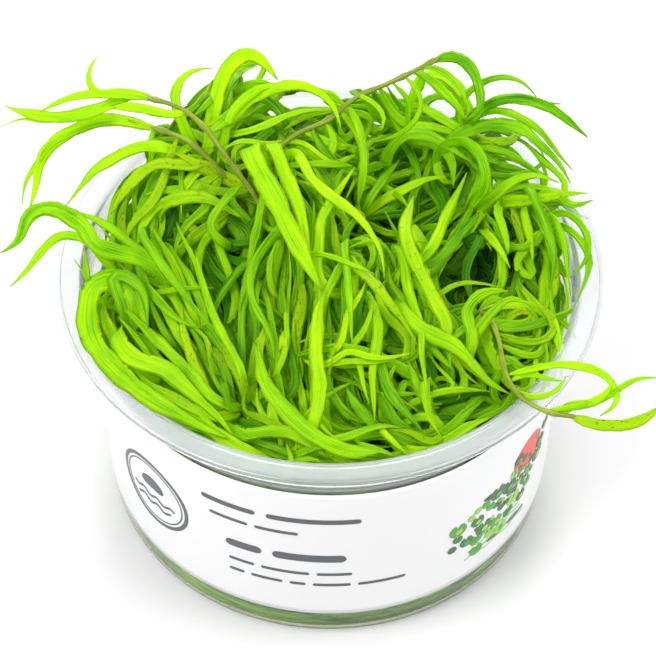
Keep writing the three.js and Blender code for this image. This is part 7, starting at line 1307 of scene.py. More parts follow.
[0,19,5,9,270,-128,598,312,-108,592,352,-100,584,395,-113,572,411,-153,559,417,-193,550,416,-239,543],
[0,13,-7,8,338,-326,602,360,-308,572,377,-279,549,386,-244,544,392,-204,553,388,-164,564],
[0,13,4,8,325,-310,602,348,-291,573,362,-257,554,370,-216,555,368,-175,557],
[0,15,-11,8,303,-216,612,337,-215,587,369,-201,565,390,-166,554,401,-126,553,404,-85,560,397,-45,570],
[0,26,-23,10,274,-135,605,278,-175,592,289,-208,580,306,-237,564,326,-268,544],
[0,11,5,6,325,-310,602,306,-318,554,266,-334,541,229,-362,534,186,-368,557],
[0,13,2,4,274,-135,605,296,-162,591,306,-194,577,309,-233,558,323,-263,541],
[0,15,11,9,261,-119,498,314,-128,494,358,-146,511,373,-150,554,361,-111,578,323,-132,579,338,-166,554,380,-136,560],
[0,13,-1,6,261,-118,508,268,-67,498,279,-12,504,259,31,495,250,79,495,276,127,511,278,161,548],
[0,15,13,5,272,-131,602,225,-155,604,177,-184,605,150,-229,588,102,-249,592],
[0,15,-1,2,261,-115,539,294,-69,536,306,-9,532,297,44,515,273,96,495,273,148,515],
[0,15,5,7,309,-267,608,297,-271,585,291,-276,559,302,-280,530,322,-274,514],
[0,15,3,2,266,-121,585,249,-77,610,252,-27,626,271,29,632,247,28,607,277,32,597,270,90,597,293,135,593,332,111,589],
[0,18,13,7,261,-118,503,282,-78,528,307,-38,525,324,4,516,326,45,543],
[0,17,-10,6,303,-216,612,311,-221,565,352,-219,545,388,-182,542,365,-147,550],
[0,17,-15,2,263,-130,437,249,-125,486,243,-94,516,233,-44,511,243,2,493,280,25,486,328,24,503],
[0,18,4,9,262,-115,550,318,-108,546,370,-86,545,403,-48,551,413,5,566,412,60,580],
[0,15,-12,9,265,-119,580,318,-91,580,366,-113,561,349,-103,581,315,-144,563,363,-152,549],
[0,17,-10,7,266,-121,585,303,-92,590,314,-111,579,304,-155,565,300,-202,564,312,-244,547],
[0,26,13,9,262,-115,550,314,-116,545,359,-104,545,390,-70,551,394,-18,556,397,32,570,373,69,580],
[0,22,-5,9,265,-119,580,295,-138,565,330,-138,557,360,-125,560,379,-142,537],
[0,22,5,2,261,-118,508,261,-77,514,276,-39,511,292,-3,495,315,30,485],
[0,17,-10,6,319,-301,602,338,-285,556,316,-278,512,272,-274,535,245,-312,539,206,-339,533,179,-304,555],
[0,18,-8,8,274,-135,605,263,-167,591,269,-196,570,292,-224,548,318,-246,535],
[0,18,4,2,263,-127,452,246,-85,477,237,-40,476,242,11,469,278,35,476,326,28,495],
[0,26,4,2,263,-128,447,247,-94,467,252,-56,484,263,-51,517,270,-57,559],
[0,22,5,6,263,-116,565,308,-90,562,359,-89,556,371,-129,545,339,-163,543,311,-206,548,322,-254,538],
[0,22,13,5,263,-115,560,301,-80,559,336,-41,558,353,7,568,382,43,568],
[0,18,-16,9,261,-116,529,319,-123,522,371,-117,521,421,-89,527,435,-45,540,424,8,559],
[0,11,-17,3,262,-124,467,274,-109,484,281,-88,495,297,-78,505,318,-63,513],
[0,11,22,6,276,-139,607,293,-148,582,305,-162,557,338,-160,543,365,-144,545],
[0,13,9,0,261,-116,524,236,-65,519,224,-10,515,253,24,496,276,70,476,268,119,500],
[0,17,-5,7,306,-242,612,336,-235,575,350,-244,532,317,-269,512,280,-298,520,237,-318,521],
[0,17,-8,1,261,-117,513,218,-87,507,201,-38,501,194,13,477,197,60,455,239,88,452,274,52,465,320,30,486],
[0,18,-10,8,261,-115,539,313,-110,534,361,-93,533,393,-54,540,404,-10,552,403,39,567,382,83,584],
[0,15,24,8,263,-116,565,316,-115,560,352,-142,545,396,-150,543,393,-195,524],
[0,18,1,1,262,-125,462,246,-65,465,244,-9,455,261,40,468,321,33,477],
[0,26,24,1,263,-127,452,249,-78,460,246,-27,455,255,28,457,299,41,470,342,46,493],
[0,22,16,2,262,-123,473,261,-65,464,297,-28,479,339,4,468,346,-48,476,308,-75,498],
[0,18,-23,8,287,-162,613,331,-148,588,367,-116,570,368,-72,563,345,-28,563,351,23,569],
[0,18,2,5,262,-115,555,304,-85,553,335,-44,557,350,6,563,363,56,570,359,103,589],
[0,13,-25,7,300,-201,612,345,-192,578,379,-158,552,380,-104,553,348,-57,560,345,-7,570,358,47,565,362,101,579],
[0,17,-25,7,265,-119,580,299,-81,587,313,-33,596,315,17,595,347,60,576,338,108,578,302,141,592,260,119,595],
[0,11,-19,6,261,-117,513,241,-70,506,228,-20,505,243,25,497,267,67,486,260,115,504],
[0,14,-22,8,264,-117,570,296,-132,560,331,-127,555,366,-127,545,356,-155,532],
[0,11,12,9,261,-116,529,312,-97,526,361,-93,524,404,-122,527,384,-148,536,361,-188,534,322,-212,545],
[0,8,12,4,270,-128,598,313,-101,594,333,-60,588,343,-11,576,346,35,572,351,86,577],
[0,12,4,9,261,-116,529,307,-106,525,353,-83,525,378,-45,534,371,2,553,359,42,570],
[0,17,13,6,267,-123,590,237,-120,600,209,-143,602,228,-171,586,238,-200,578],
[0,8,-24,8,264,-118,575,291,-68,583,307,-14,587,304,37,594,284,90,597,306,131,594],
[0,12,6,3,262,-124,467,245,-72,463,257,-17,453,277,30,454,322,56,476,327,108,490,284,100,478],
[0,10,-11,0,261,-121,488,242,-68,478,241,-15,458,263,34,465,312,26,488,350,45,517],
[0,12,4,4,301,-206,612,329,-202,574,352,-173,541,375,-134,535,380,-85,543,360,-46,557],
[0,12,-10,8,263,-115,560,312,-79,557,341,-30,560,351,25,567,361,85,580],
[0,12,-22,8,270,-128,598,302,-150,560,337,-121,557,375,-110,548,362,-152,533],
[0,13,-6,4,261,-115,534,281,-76,532,298,-52,502,295,-83,481,280,-117,463],
[0,18,-6,3,261,-121,488,282,-76,490,288,-44,460,273,-85,464,251,-129,464],
[0,14,15,4,398,-87,429,385,-127,440,373,-112,387,354,-92,329,326,-116,334],
[0,13,4,4,272,-131,602,223,-146,601,204,-160,565,220,-192,530,233,-186,481,244,-169,439,256,-150,392],
[0,26,-2,4,262,-124,467,303,-128,443,328,-115,405,348,-92,362,379,-78,330],
[0,25,-6,6,261,-122,483,257,-124,451,264,-128,421,273,-131,385,283,-135,355],
[0,30,18,7,261,-117,513,314,-96,516,359,-79,490,368,-67,432,363,-53,378,338,-84,337],
[0,14,20,5,268,-154,315,266,-163,365,245,-190,402,222,-223,434,201,-252,471,174,-279,505],
[0,14,-24,6,262,-124,467,221,-118,466,181,-117,470,145,-118,473,107,-121,462],
[0,30,-21,3,263,-127,452,281,-131,403,250,-106,363,237,-78,321,203,-97,323,178,-136,358,162,-175,396],
[0,24,-14,3,261,-116,529,281,-73,528,304,-42,503,309,-75,473,301,-115,450,282,-154,430],
[0,20,-3,3,261,-118,503,268,-66,485,290,-75,462,316,-118,445,328,-96,393,344,-85,340],
[2,21,1,7,253,-146,110,279,-153,160,302,-164,212,324,-182,266,344,-209,313],
[2,30,25,3,247,-138,75,268,-88,90,283,-40,98,295,15,99,301,65,89,302,116,66],
[2,20,33,7,266,-141,386,234,-133,420,196,-135,448,159,-147,462,117,-167,463],
[2,21,20,7,264,-159,202,208,-138,213,150,-119,206,104,-106,177,72,-100,125],
[2,24,40,6,247,-138,75,217,-117,112,200,-90,152,198,-62,189,212,-27,225],
[2,29,-58,6,268,-157,289,298,-117,301,323,-72,300,340,-28,279,346,5,241,344,25,194],
[2,23,-48,7,244,-133,55,212,-156,69,176,-177,73,137,-198,60,109,-209,31],
[2,17,-60,6,261,-116,529,227,-84,553,186,-52,575,139,-21,588,94,5,586],
[2,20,61,8,265,-160,217,233,-121,222,206,-79,213,185,-39,190,171,-1,151,165,25,108,164,45,61],
[2,28,-46,7,255,-148,120,256,-102,140,257,-49,158,256,0,171,254,50,179,251,101,178,247,155,168,242,202,148],
[2,17,-66,6,266,-141,386,294,-98,392,317,-52,396,336,-3,396,351,46,392],
[1,31,17,10,363,-159,375,335,-210,382,303,-253,386,263,-295,386,221,-328,381,171,-358,374],
[1,39,-12,8,346,-136,343,375,-95,381,389,-48,415,395,-3,441,395,47,466],
[1,22,-10,6,356,-169,437,378,-122,413,389,-71,388,394,-19,362,393,32,335,388,84,307,377,135,279],
[1,26,12,8,368,-150,454,347,-193,448,316,-236,441,281,-275,434,247,-308,427,210,-338,420,165,-368,412],
[1,27,-16,6,352,-156,372,336,-201,341,310,-241,313,282,-274,291,247,-307,272,209,-336,256],
[1,29,17,6,353,-103,57,375,-57,75,382,-6,90,381,45,99,374,95,101,361,145,100],
[1,38,17,6,371,-75,32,368,-131,44,346,-188,57,315,-241,70,279,-286,82],
[1,31,-1,6,357,-136,282,383,-97,307,397,-52,328,403,-1,344,402,47,352,397,94,355],
[1,38,-5,4,391,-64,52,395,-18,68,394,33,85,389,84,100,381,131,113],
[1,34,-11,10,349,-175,442,335,-212,458,315,-245,471,296,-274,477,274,-309,482],
[1,25,0,2,359,-75,238,378,-22,235,380,34,233,373,95,233,358,150,233],
[1,32,15,9,383,-90,473,382,-141,478,362,-191,475,336,-239,460,306,-279,438],
[1,38,-7,5,362,-123,151,380,-77,166,388,-27,183,390,23,202,386,73,224],
[1,20,15,7,355,-94,61,349,-129,83,337,-162,99,328,-193,105,316,-229,106],
[1,38,8,9,356,-100,11,337,-146,11,315,-191,12,288,-240,13,259,-284,14],
[1,30,-18,6,329,-109,21,333,-66,22,333,-24,22,331,13,23,325,53,24],
[1,29,-20,9,361,-59,53,356,-109,55,345,-159,56,324,-213,57,298,-259,58],
[1,29,-8,8,374,-121,57,387,-74,55,391,-27,53,386,21,51,372,66,49],
[1,39,-28,7,382,-118,11,392,-76,14,394,-38,17,393,0,20,388,42,24],
[1,40,-26,4,328,-109,50,337,-58,46,338,-7,42,332,48,38,319,96,35],
[2,24,-9,3,373,-72,19,360,-122,16,341,-164,13,313,-201,10,276,-235,10],
[1,25,-7,8,379,-78,13,395,-26,13,401,29,13,395,78,13,380,131,13],
[1,26,7,6,350,-118,30,378,-78,29,397,-32,27,405,23,25,400,73,24],
[1,30,-7,9,397,-87,50,386,-125,49,368,-160,49,338,-194,49,307,-218,48],
[1,30,27,8,338,-159,13,302,-208,17,266,-249,20,227,-287,24,179,-324,28],
[2,35,-22,6,348,-152,63,328,-189,68,307,-218,72,282,-244,76,250,-271,81],
[2,34,13,7,358,-150,24,382,-113,25,402,-65,26,407,-15,27,406,31,28],
[2,34,-3,8,374,-95,12,376,-63,12,377,-27,12,378,9,12,378,40,12],
[1,36,8,9,363,-105,45,353,-146,49,337,-184,53,309,-222,57,279,-251,60],
[1,37,-24,6,380,-67,55,360,-115,54,337,-161,53,309,-210,52,282,-253,51],
[1,31,22,5,384,-80,58,396,-33,64,401,16,69,395,71,75,380,117,81,357,160,85],
[2,25,21,6,376,-138,48,345,-190,46,306,-233,44,264,-265,42,213,-290,40],
[1,24,-24,8,372,-150,60,392,-104,57,404,-56,54,408,-11,52,406,39,49,396,89,45],
[2,23,19,9,366,-104,15,382,-49,13,385,8,12,375,59,10,354,111,10],
[2,24,14,5,364,-132,27,357,-164,28,344,-200,28,327,-235,29,308,-263,29],
[1,28,-19,7,351,-51,24,358,-2,26,359,43,28,355,88,30,346,139,33],
[2,36,-12,9,388,-121,37,370,-150,37,346,-180,36,319,-208,36,295,-228,36],
[2,31,12,7,396,-66,45,389,-110,49,377,-153,53,356,-199,57,331,-237,61],
[1,34,23,9,377,-103,51,362,-149,50,341,-193,50,312,-239,49,280,-276,49],
[1,36,29,9,355,-70,40,347,-115,40,334,-158,41,316,-195,41,290,-234,42],
[2,25,-18,5,246,-151,24,229,-113,28,210,-79,31,192,-54,34,169,-29,37],
[2,18,18,3,270,-108,36,241,-60,36,214,-8,37,198,35,38,189,81,39,186,121,39],
[2,18,0,3,182,-118,21,152,-54,23,124,1,25,100,41,27,74,77,29],
[2,21,13,4,185,-116,18,157,-147,24,128,-174,30,99,-191,36,69,-204,43]]),
("plantlet_19",
[51,324,24,48,320,85,44,315,146,40,309,212,36,303,272,33,297,333,28,290,399,24,282,460,19,275,520],
[[0,20,-15,6,19,275,520,8,248,563,-14,221,602,-46,196,634,-87,172,654],
[0,18,9,6,38,305,247,19,313,284,-9,324,321,-46,338,347,-85,353,351],
[0,21,-8,6,38,305,247,22,280,288,6,251,327,-11,218,363,-27,185,391,-46,145,415,-65,100,429,-85,53,432],
[0,27,-23,6,48,320,80,62,278,96,74,237,112,87,190,130,97,147,146],
[0,11,11,8,19,275,520,45,244,534,88,232,550,132,244,545,168,265,551],
[0,15,-10,3,19,275,520,54,251,525,100,244,532,141,265,536,180,280,540],
[0,17,12,7,19,275,520,49,277,569,85,280,605,136,296,622,167,330,654,216,338,673,240,301,659,195,281,653],
[0,18,-7,0,19,275,520,70,259,521,115,250,524,157,269,531,171,232,533],
[0,22,-19,5,19,275,520,46,265,564,39,262,611,41,307,624,4,295,653,-26,258,677],
[0,13,-2,5,19,275,520,57,244,538,104,252,532,151,271,530,193,280,561],
[0,22,5,2,19,275,520,48,236,517,96,232,517,115,207,496,127,241,511],
[0,17,-21,8,19,275,520,25,324,537,24,369,563,4,390,605,-39,398,630,-80,382,651,-102,344,680,-128,305,702],
[0,17,10,5,21,278,495,40,239,492,66,213,490,100,211,496,136,208,498],
[0,18,5,3,19,275,520,52,240,540,95,240,544,130,266,528,175,287,536],
[0,15,-1,2,19,275,520,43,311,558,41,320,613,1,316,652,-33,282,684,-68,242,706],
[0,8,9,8,19,275,520,56,279,558,69,269,606,37,239,630,2,203,646,-40,195,673],
[0,14,-13,6,19,275,520,35,237,542,82,235,545,119,258,530,166,279,533,196,312,539],
[0,21,-1,8,19,275,520,40,258,566,17,226,573,-3,190,592,-17,148,622],
[0,25,-7,3,22,279,490,71,262,492,100,216,493,76,172,493,44,124,495,13,83,491],
[0,19,-7,1,23,281,470,-21,257,469,-29,266,434,-30,266,397,-30,227,433,-29,185,465,-26,134,481],
[0,15,-10,2,21,277,500,43,312,506,79,307,513,94,262,519,116,227,510],
[0,20,-12,2,19,275,520,3,323,531,10,370,558,51,403,565,98,417,566,140,401,591,184,378,620],
[0,16,-1,4,29,291,389,54,241,383,70,190,401,98,143,400,109,93,434,113,51,471,120,8,506,132,-38,536],
[0,18,4,3,21,277,500,45,226,498,72,176,508,99,122,521,128,76,511,141,25,532],
[0,31,27,4,89,422,549,61,418,563,36,399,586,17,375,609,3,354,629],
[0,15,-2,3,22,279,490,54,239,487,82,198,494,114,155,502,128,112,526,140,68,551],
[0,30,27,5,112,401,525,138,379,509,162,351,502,182,326,498,205,296,495],
[0,29,28,3,20,276,510,29,305,540,7,298,569,-25,285,594,-63,296,604],
[0,13,-8,3,19,275,520,16,327,521,-2,376,541,-20,358,567,-19,300,572,-19,248,573,-18,197,572,-17,204,516,-17,234,473],
[0,28,-8,4,85,399,590,106,410,582,126,407,582,142,401,585,163,391,584],
[0,19,-16,3,19,275,520,60,242,516,81,199,497,90,149,511,92,121,474,89,147,428],
[0,16,-11,8,19,275,520,-12,320,538,-18,364,571,20,390,585,52,411,548,103,401,547,135,365,579,160,327,614],
[0,17,-25,2,20,275,515,-24,314,516,-72,325,500,-108,320,475,-113,277,514,-146,238,509,-164,255,465,-164,293,421],
[0,19,17,8,19,275,520,69,286,530,97,319,505,139,323,498,176,300,517,218,274,531,258,242,544],
[0,27,-7,3,19,275,520,34,293,567,20,311,613,-25,305,637,-75,316,628,-119,300,647],
[0,17,27,4,32,295,348,5,246,343,-5,193,358,-2,146,388,5,104,425,9,58,465,12,14,500,17,-34,530,31,-87,537],
[0,18,-15,3,26,287,424,-21,301,429,-38,284,421,-26,246,417,-25,203,445,-23,160,475,-22,113,508,-24,69,536,-26,23,560],
[0,19,-21,5,19,275,520,-13,291,565,-42,264,605,-52,228,643,-96,220,650,-129,237,623,-147,195,659],
[0,25,-22,4,19,275,520,-19,267,561,-66,260,591,-122,270,603,-170,288,611,-208,274,651],
[0,25,0,5,26,285,434,-20,264,440,-36,223,464,-43,177,497,-55,134,522,-74,89,532],
[0,15,24,2,19,275,520,45,238,545,62,186,534,67,156,495,58,146,445],
[0,22,-2,6,20,276,510,32,227,508,18,180,485,8,132,498,-1,81,522,-18,33,520],
[0,25,-27,5,22,279,485,62,320,494,81,338,535,71,300,573,26,300,553,4,264,584,-11,224,623],
[0,19,5,6,20,275,515,65,298,521,104,275,513,126,235,504,132,183,502],
[0,23,-11,6,20,276,510,70,285,515,108,257,524,122,216,495,130,167,504,134,122,530,140,75,551,149,25,561],
[0,30,14,4,23,282,465,52,329,460,87,361,482,83,325,499,54,280,508],
[0,29,20,3,117,393,554,139,362,562,158,345,553,178,349,514,189,294,539,196,235,567],
[0,26,6,6,22,279,490,30,228,485,26,178,487,19,126,494,8,120,447,3,145,402,-4,107,424,-9,62,459,-16,21,488,-27,-23,513],
[0,24,6,6,103,391,516,83,398,519,59,405,527,36,414,536,18,423,545],
[0,15,-1,7,22,279,485,26,332,482,45,384,494,69,375,520,62,323,527,58,271,533,51,213,533,39,170,506],
[0,27,-17,3,20,276,510,68,296,516,119,301,514,174,285,510,224,274,502,274,271,489],
[2,20,-66,7,50,322,49,48,272,63,44,226,67,39,181,59,31,135,36],
[2,22,-69,9,41,310,196,53,263,227,67,211,241,82,155,223,92,122,178],
[2,17,40,8,37,303,267,-9,306,291,-62,308,309,-113,307,315,-164,305,310,-216,301,289,-257,296,257],
[2,24,27,7,49,322,54,11,329,96,-34,331,129,-82,327,147,-137,318,146,-185,304,120],
[2,19,44,6,32,296,343,-3,263,364,-38,228,376,-71,195,374,-103,160,354,-128,133,317],
[2,28,40,5,25,285,439,56,297,465,97,306,486,143,311,489,181,311,473],
[1,20,15,10,81,367,39,130,358,57,177,339,74,224,311,89,263,280,100,299,244,109,329,203,116],
[1,32,-20,6,1,375,25,50,378,47,99,368,67,150,353,84,197,335,94,243,312,102],
[1,30,-12,5,78,363,127,47,382,174,12,390,216,-23,393,252,-59,392,280,-95,388,303],
[1,32,-19,6,105,359,41,161,352,60,212,329,77,255,300,89,298,262,100],
[1,37,-2,4,87,357,26,37,383,41,-14,389,54,-69,385,66,-120,375,75,-174,358,85],
[1,38,13,7,112,382,416,146,367,435,180,351,456,224,342,484,264,330,514],
[1,38,-9,9,105,365,56,153,360,72,201,341,88,241,316,97,278,285,102,313,246,102,341,207,100],
[1,32,-6,10,48,389,423,97,392,400,150,379,381,200,359,371,244,334,368],
[1,26,10,6,81,398,486,25,394,461,-25,393,440,-79,385,420,-132,370,403,-178,351,390,-225,324,377],
[1,27,-12,10,74,392,469,120,392,442,164,379,416,205,359,394,244,334,375,280,305,359,312,273,345],
[1,26,-3,6,27,401,46,84,388,38,139,369,38,193,348,46,246,322,61],
[1,24,8,8,71,396,144,18,397,141,-34,392,135,-85,384,122,-136,373,104,-187,356,82],
[1,35,-15,5,47,395,123,92,391,135,135,379,153,182,363,184,224,345,218],
[1,39,-2,7,-34,389,33,8,391,45,51,388,58,93,385,71,137,380,84],
[1,39,2,2,-15,382,20,-71,384,36,-131,370,50,-187,346,58,-236,318,61],
[1,21,11,7,-3,398,363,-39,396,346,-74,391,328,-109,385,311,-144,378,293],
[1,28,-18,8,0,374,433,46,389,460,99,392,481,153,388,491,198,369,493],
[1,24,0,8,106,369,406,147,357,417,182,341,433,218,326,458,268,318,492],
[1,36,17,7,-17,406,225,-73,400,211,-128,385,196,-176,365,179,-225,337,157,-270,302,133],
[2,34,-9,7,-1,405,48,-60,396,44,-117,376,40,-163,349,36,-207,311,32],
[1,35,-2,5,-32,372,55,-78,371,57,-125,366,60,-178,355,63,-227,340,65,-266,310,68],
[1,23,-15,5,-4,400,11,-48,396,10,-97,387,10,-144,372,10,-184,354,10],
[2,26,23,7,104,357,44,131,340,43,156,325,42,188,310,40,215,297,39],
[1,24,-25,7,79,399,28,35,405,25,-5,406,23,-44,403,20,-87,392,18],
[1,38,17,6,4,406,54,52,396,57,98,381,60,147,361,64,189,338,67],
[1,25,-18,9,23,393,41,-20,403,40,-65,402,39,-103,394,39,-145,381,38],
[1,36,19,8,85,398,31,133,385,33,179,365,35,228,338,38,268,307,40],
[2,28,4,6,76,387,19,116,387,18,154,374,17,190,356,16,224,336,15],
[1,35,-28,6,1,398,31,-59,401,32,-118,390,33,-170,370,33,-223,341,34],
[2,24,5,7,9,340,20,42,342,20,75,336,21,102,324,21,129,304,21],
[1,35,-20,8,-30,395,16,13,388,16,49,380,16,84,370,17,123,356,17],
[1,30,-11,6,3,403,14,-41,400,13,-84,391,11,-121,380,10,-162,365,10],
[2,26,11,9,-2,395,14,-56,391,14,-104,382,14,-151,369,14,-202,348,14],
[2,39,-28,5,-8,404,41,-53,404,42,-92,397,44,-130,386,45,-172,370,46],
[1,29,-17,7,9,361,18,48,363,18,89,363,18,127,363,18,172,360,18],
[1,37,-26,7,108,344,55,139,328,57,168,308,60,197,282,63,218,256,66],
[2,33,-9,5,-34,372,11,-73,358,14,-110,343,17,-147,330,20,-185,316,24],
[1,36,13,7,98,340,66,59,343,65,25,340,64,-8,333,62,-43,319,61],
[2,40,-22,7,-29,401,35,31,395,37,87,378,38,142,347,40,185,311,42],
[2,23,12,9,96,369,11,143,345,10,186,318,10,228,289,10,267,256,10],
[1,34,1,6,45,388,25,-13,381,32,-68,367,39,-116,350,45,-165,326,51],
[2,28,-5,6,6,394,21,49,400,23,98,395,25,146,380,28,186,362,30],
[2,33,23,8,112,390,22,164,371,21,204,342,19,237,304,18,263,256,17],
[1,36,14,8,-28,406,27,-86,386,25,-138,356,23,-182,320,22,-219,278,20],
[2,26,-16,7,-23,407,48,17,404,49,56,394,51,86,378,52,118,353,53],
[2,25,-16,8,36,389,62,67,378,66,97,367,69,132,354,74,162,344,77],
[1,36,-22,9,1,399,54,-43,397,55,-81,391,57,-120,384,59,-163,372,61],
[2,17,21,5,72,224,34,27,205,37,-24,187,41,-82,171,44,-144,156,47],
[2,17,21,2,39,250,43,80,225,48,120,197,53,158,162,58,195,121,63,231,75,68],
[2,28,2,5,6,320,40,-37,284,44,-81,252,48,-120,228,51,-163,206,55],
[2,17,-8,3,18,335,40,-26,292,45,-67,253,49,-111,216,54,-161,177,59],
[2,23,21,3,42,251,29,-8,248,33,-54,245,37,-105,241,42,-152,238,46,-204,235,51],
[2,19,3,3,28,327,34,-5,346,34,-40,355,35,-78,350,35,-119,334,35],
[2,29,-5,4,11,311,24,-19,279,25,-50,243,27,-87,195,28,-122,146,30]]),
("plantlet_20",
[-147,-66,24,-151,-69,82,-155,-75,140,-162,-84,203,-168,-95,261,-176,-106,317,-185,-123,373,-197,-144,432,-209,-167,485,-221,-192,536],
[[0,22,29,6,-221,-192,536,-208,-226,556,-196,-263,570,-182,-307,576,-172,-347,569],
[0,20,-31,6,-151,-69,88,-104,-92,109,-53,-122,127,-7,-153,137,43,-190,140,86,-226,136],
[0,22,4,6,-179,-112,338,-209,-144,365,-238,-175,384,-268,-209,392,-302,-246,382],
[0,21,2,6,-193,-137,412,-172,-148,458,-148,-166,500,-116,-194,529,-81,-230,532],
[0,19,12,9,-221,-192,536,-242,-211,573,-269,-185,594,-294,-140,601,-316,-98,603],
[0,17,-12,9,-221,-192,536,-232,-178,573,-255,-158,601,-274,-124,608,-289,-87,597,-318,-60,592,-357,-54,604,-387,-28,613],
[0,17,1,8,-221,-192,536,-231,-173,572,-245,-146,606,-260,-113,624,-273,-75,627,-288,-36,627,-309,5,630,-327,41,637],
[0,15,1,8,-221,-192,536,-221,-174,574,-226,-149,606,-239,-114,624,-257,-70,626,-276,-33,625,-295,4,627],
[0,13,14,8,-221,-192,536,-218,-165,574,-220,-133,608,-230,-93,630,-244,-49,637,-263,-7,643,-281,36,649],
[0,17,-10,8,-221,-192,536,-196,-174,563,-174,-147,593,-169,-112,613,-179,-73,620,-192,-34,626,-208,8,636,-221,46,645],
[0,17,5,5,-221,-192,536,-217,-204,582,-194,-241,588,-178,-276,572,-166,-311,542],
[0,17,12,7,-221,-192,536,-241,-156,574,-264,-112,587,-294,-65,591,-338,-30,586,-379,1,580,-411,47,588],
[0,18,3,4,-221,-192,536,-185,-165,578,-184,-115,601,-209,-64,599,-235,-13,613],
[0,17,-8,9,-221,-192,536,-222,-155,573,-231,-112,599,-256,-68,607,-281,-29,606,-298,20,604,-335,26,581],
[0,13,1,4,-221,-192,536,-210,-216,555,-197,-244,561,-181,-273,542,-169,-301,531],
[0,17,-1,6,-221,-192,536,-178,-176,568,-146,-146,594,-139,-93,610,-117,-45,625,-93,-3,638,-108,49,651],
[0,15,-2,5,-221,-192,536,-188,-162,562,-167,-122,586,-173,-75,602,-199,-25,605,-228,17,608,-232,60,630],
[0,18,4,3,-221,-192,536,-213,-154,578,-216,-102,600,-235,-51,613,-242,5,608],
[0,22,14,4,-221,-192,536,-185,-160,565,-154,-120,590,-135,-76,607,-116,-26,625,-97,25,637],
[0,11,7,1,-221,-192,536,-188,-188,562,-161,-170,590,-150,-129,610,-146,-92,629],
[0,17,17,3,-221,-192,536,-178,-180,570,-171,-130,593,-183,-71,601,-217,-25,600,-240,26,610],
[0,17,8,4,-221,-192,536,-190,-162,565,-173,-119,590,-166,-70,605,-180,-25,613],
[0,12,-11,5,-221,-192,536,-178,-182,563,-141,-156,586,-140,-104,603,-128,-55,609,-102,-16,628],
[0,14,-19,4,-221,-192,536,-206,-159,572,-215,-112,589,-237,-66,598,-250,-21,617,-250,30,612,-225,70,626],
[0,14,-13,9,-221,-192,536,-232,-150,563,-261,-104,578,-284,-59,582,-324,-21,575,-366,8,569,-400,51,577,-433,84,597],
[0,11,19,5,-221,-192,536,-179,-171,570,-126,-181,585,-111,-223,562,-81,-268,543],
[0,13,21,5,-179,-112,338,-183,-118,372,-176,-154,380,-174,-190,385,-180,-227,384],
[0,31,11,1,-221,-192,536,-182,-199,562,-141,-201,542,-103,-211,515,-64,-230,495],
[0,18,-13,2,-185,-123,373,-176,-110,381,-175,-162,403,-174,-205,433,-174,-250,469],
[0,16,-6,4,-221,-192,536,-197,-144,545,-192,-117,500,-195,-94,448,-197,-66,397,-205,-73,349,-217,-123,348,-235,-176,361],
[0,17,-20,4,-215,-180,513,-222,-127,534,-202,-92,562,-199,-79,522,-212,-62,469,-211,-41,415,-211,-47,367,-207,-95,399,-202,-138,437,-197,-179,470,-191,-226,503],
[2,21,61,6,-180,-113,343,-168,-69,344,-156,-20,333,-148,20,309,-142,54,271,-140,75,230],
[2,21,69,7,-164,-88,224,-168,-43,237,-176,3,243,-187,49,239,-201,91,224],
[2,15,-65,6,-155,-75,140,-173,-115,158,-189,-159,165,-205,-206,151,-214,-239,119],
[2,16,-50,5,-157,-77,156,-151,-36,160,-145,5,163,-139,41,163,-133,81,159],
[2,18,-43,5,-218,-185,522,-186,-141,539,-165,-89,539,-156,-31,520,-160,16,489],
[2,24,-21,4,-158,-79,167,-186,-48,170,-216,-20,174,-254,8,175,-289,29,174],
[2,25,68,4,-192,-135,408,-153,-158,431,-111,-182,448,-71,-203,457,-25,-225,456,20,-246,443],
[2,16,-20,5,-183,-118,358,-150,-135,394,-112,-164,414,-76,-200,410,-48,-233,382,-32,-258,340],
[2,18,16,5,-178,-110,333,-156,-73,347,-132,-34,357,-111,1,359,-87,41,355],
[2,17,55,8,-170,-97,271,-140,-54,268,-114,-15,248,-92,18,207,-80,39,162,-72,53,112],
[2,15,13,6,-172,-100,287,-193,-74,326,-220,-53,370,-254,-37,412,-293,-28,444],
[2,21,-46,5,-172,-101,292,-184,-58,317,-194,-11,333,-202,39,335,-207,83,323,-210,125,295,-210,157,256,-209,180,211],
[2,26,-29,6,-151,-69,82,-98,-50,90,-42,-40,97,9,-38,100,65,-44,96,119,-58,83],
[2,24,0,5,-89,-96,19,-116,-35,23,-139,25,28,-157,84,32,-166,133,36,-172,180,41],
[2,20,5,4,-202,-83,16,-168,-65,23,-133,-51,31,-103,-43,38,-68,-38,45],
[2,28,-12,2,-210,-61,27,-164,-70,29,-120,-79,31,-72,-88,33,-16,-100,35]]),
("plantlet_21",
[-297,123,24,-305,124,86,-311,129,148,-315,135,210,-317,143,272,-318,152,329,-317,166,390,-314,185,449,-311,207,508,-305,231,565],
[[0,18,-20,6,-305,231,565,-289,259,593,-267,291,620,-242,325,642,-217,356,656],
[0,17,10,6,-314,133,189,-292,164,218,-272,198,244,-254,237,264,-237,280,274],
[0,22,29,6,-315,180,434,-284,203,468,-248,222,500,-206,239,524,-158,252,534,-108,258,523],
[0,26,29,6,-317,143,272,-301,163,317,-279,183,353,-245,205,384,-207,227,398,-161,248,393],
[0,26,25,5,-311,207,508,-314,211,469,-314,190,440,-310,149,452,-307,124,482],
[0,30,9,0,-305,231,565,-318,196,566,-336,193,538,-353,170,524,-369,135,523],
[0,26,-19,4,-307,223,546,-286,194,508,-285,194,457,-287,207,406,-285,215,354],
[0,25,25,0,-305,231,565,-253,241,586,-207,253,564,-158,262,556,-140,225,599],
[0,20,21,3,-305,231,565,-354,218,591,-391,187,573,-410,159,537,-419,105,521],
[0,18,-24,3,-305,231,565,-344,270,582,-326,309,585,-278,286,586,-233,266,582,-185,264,549],
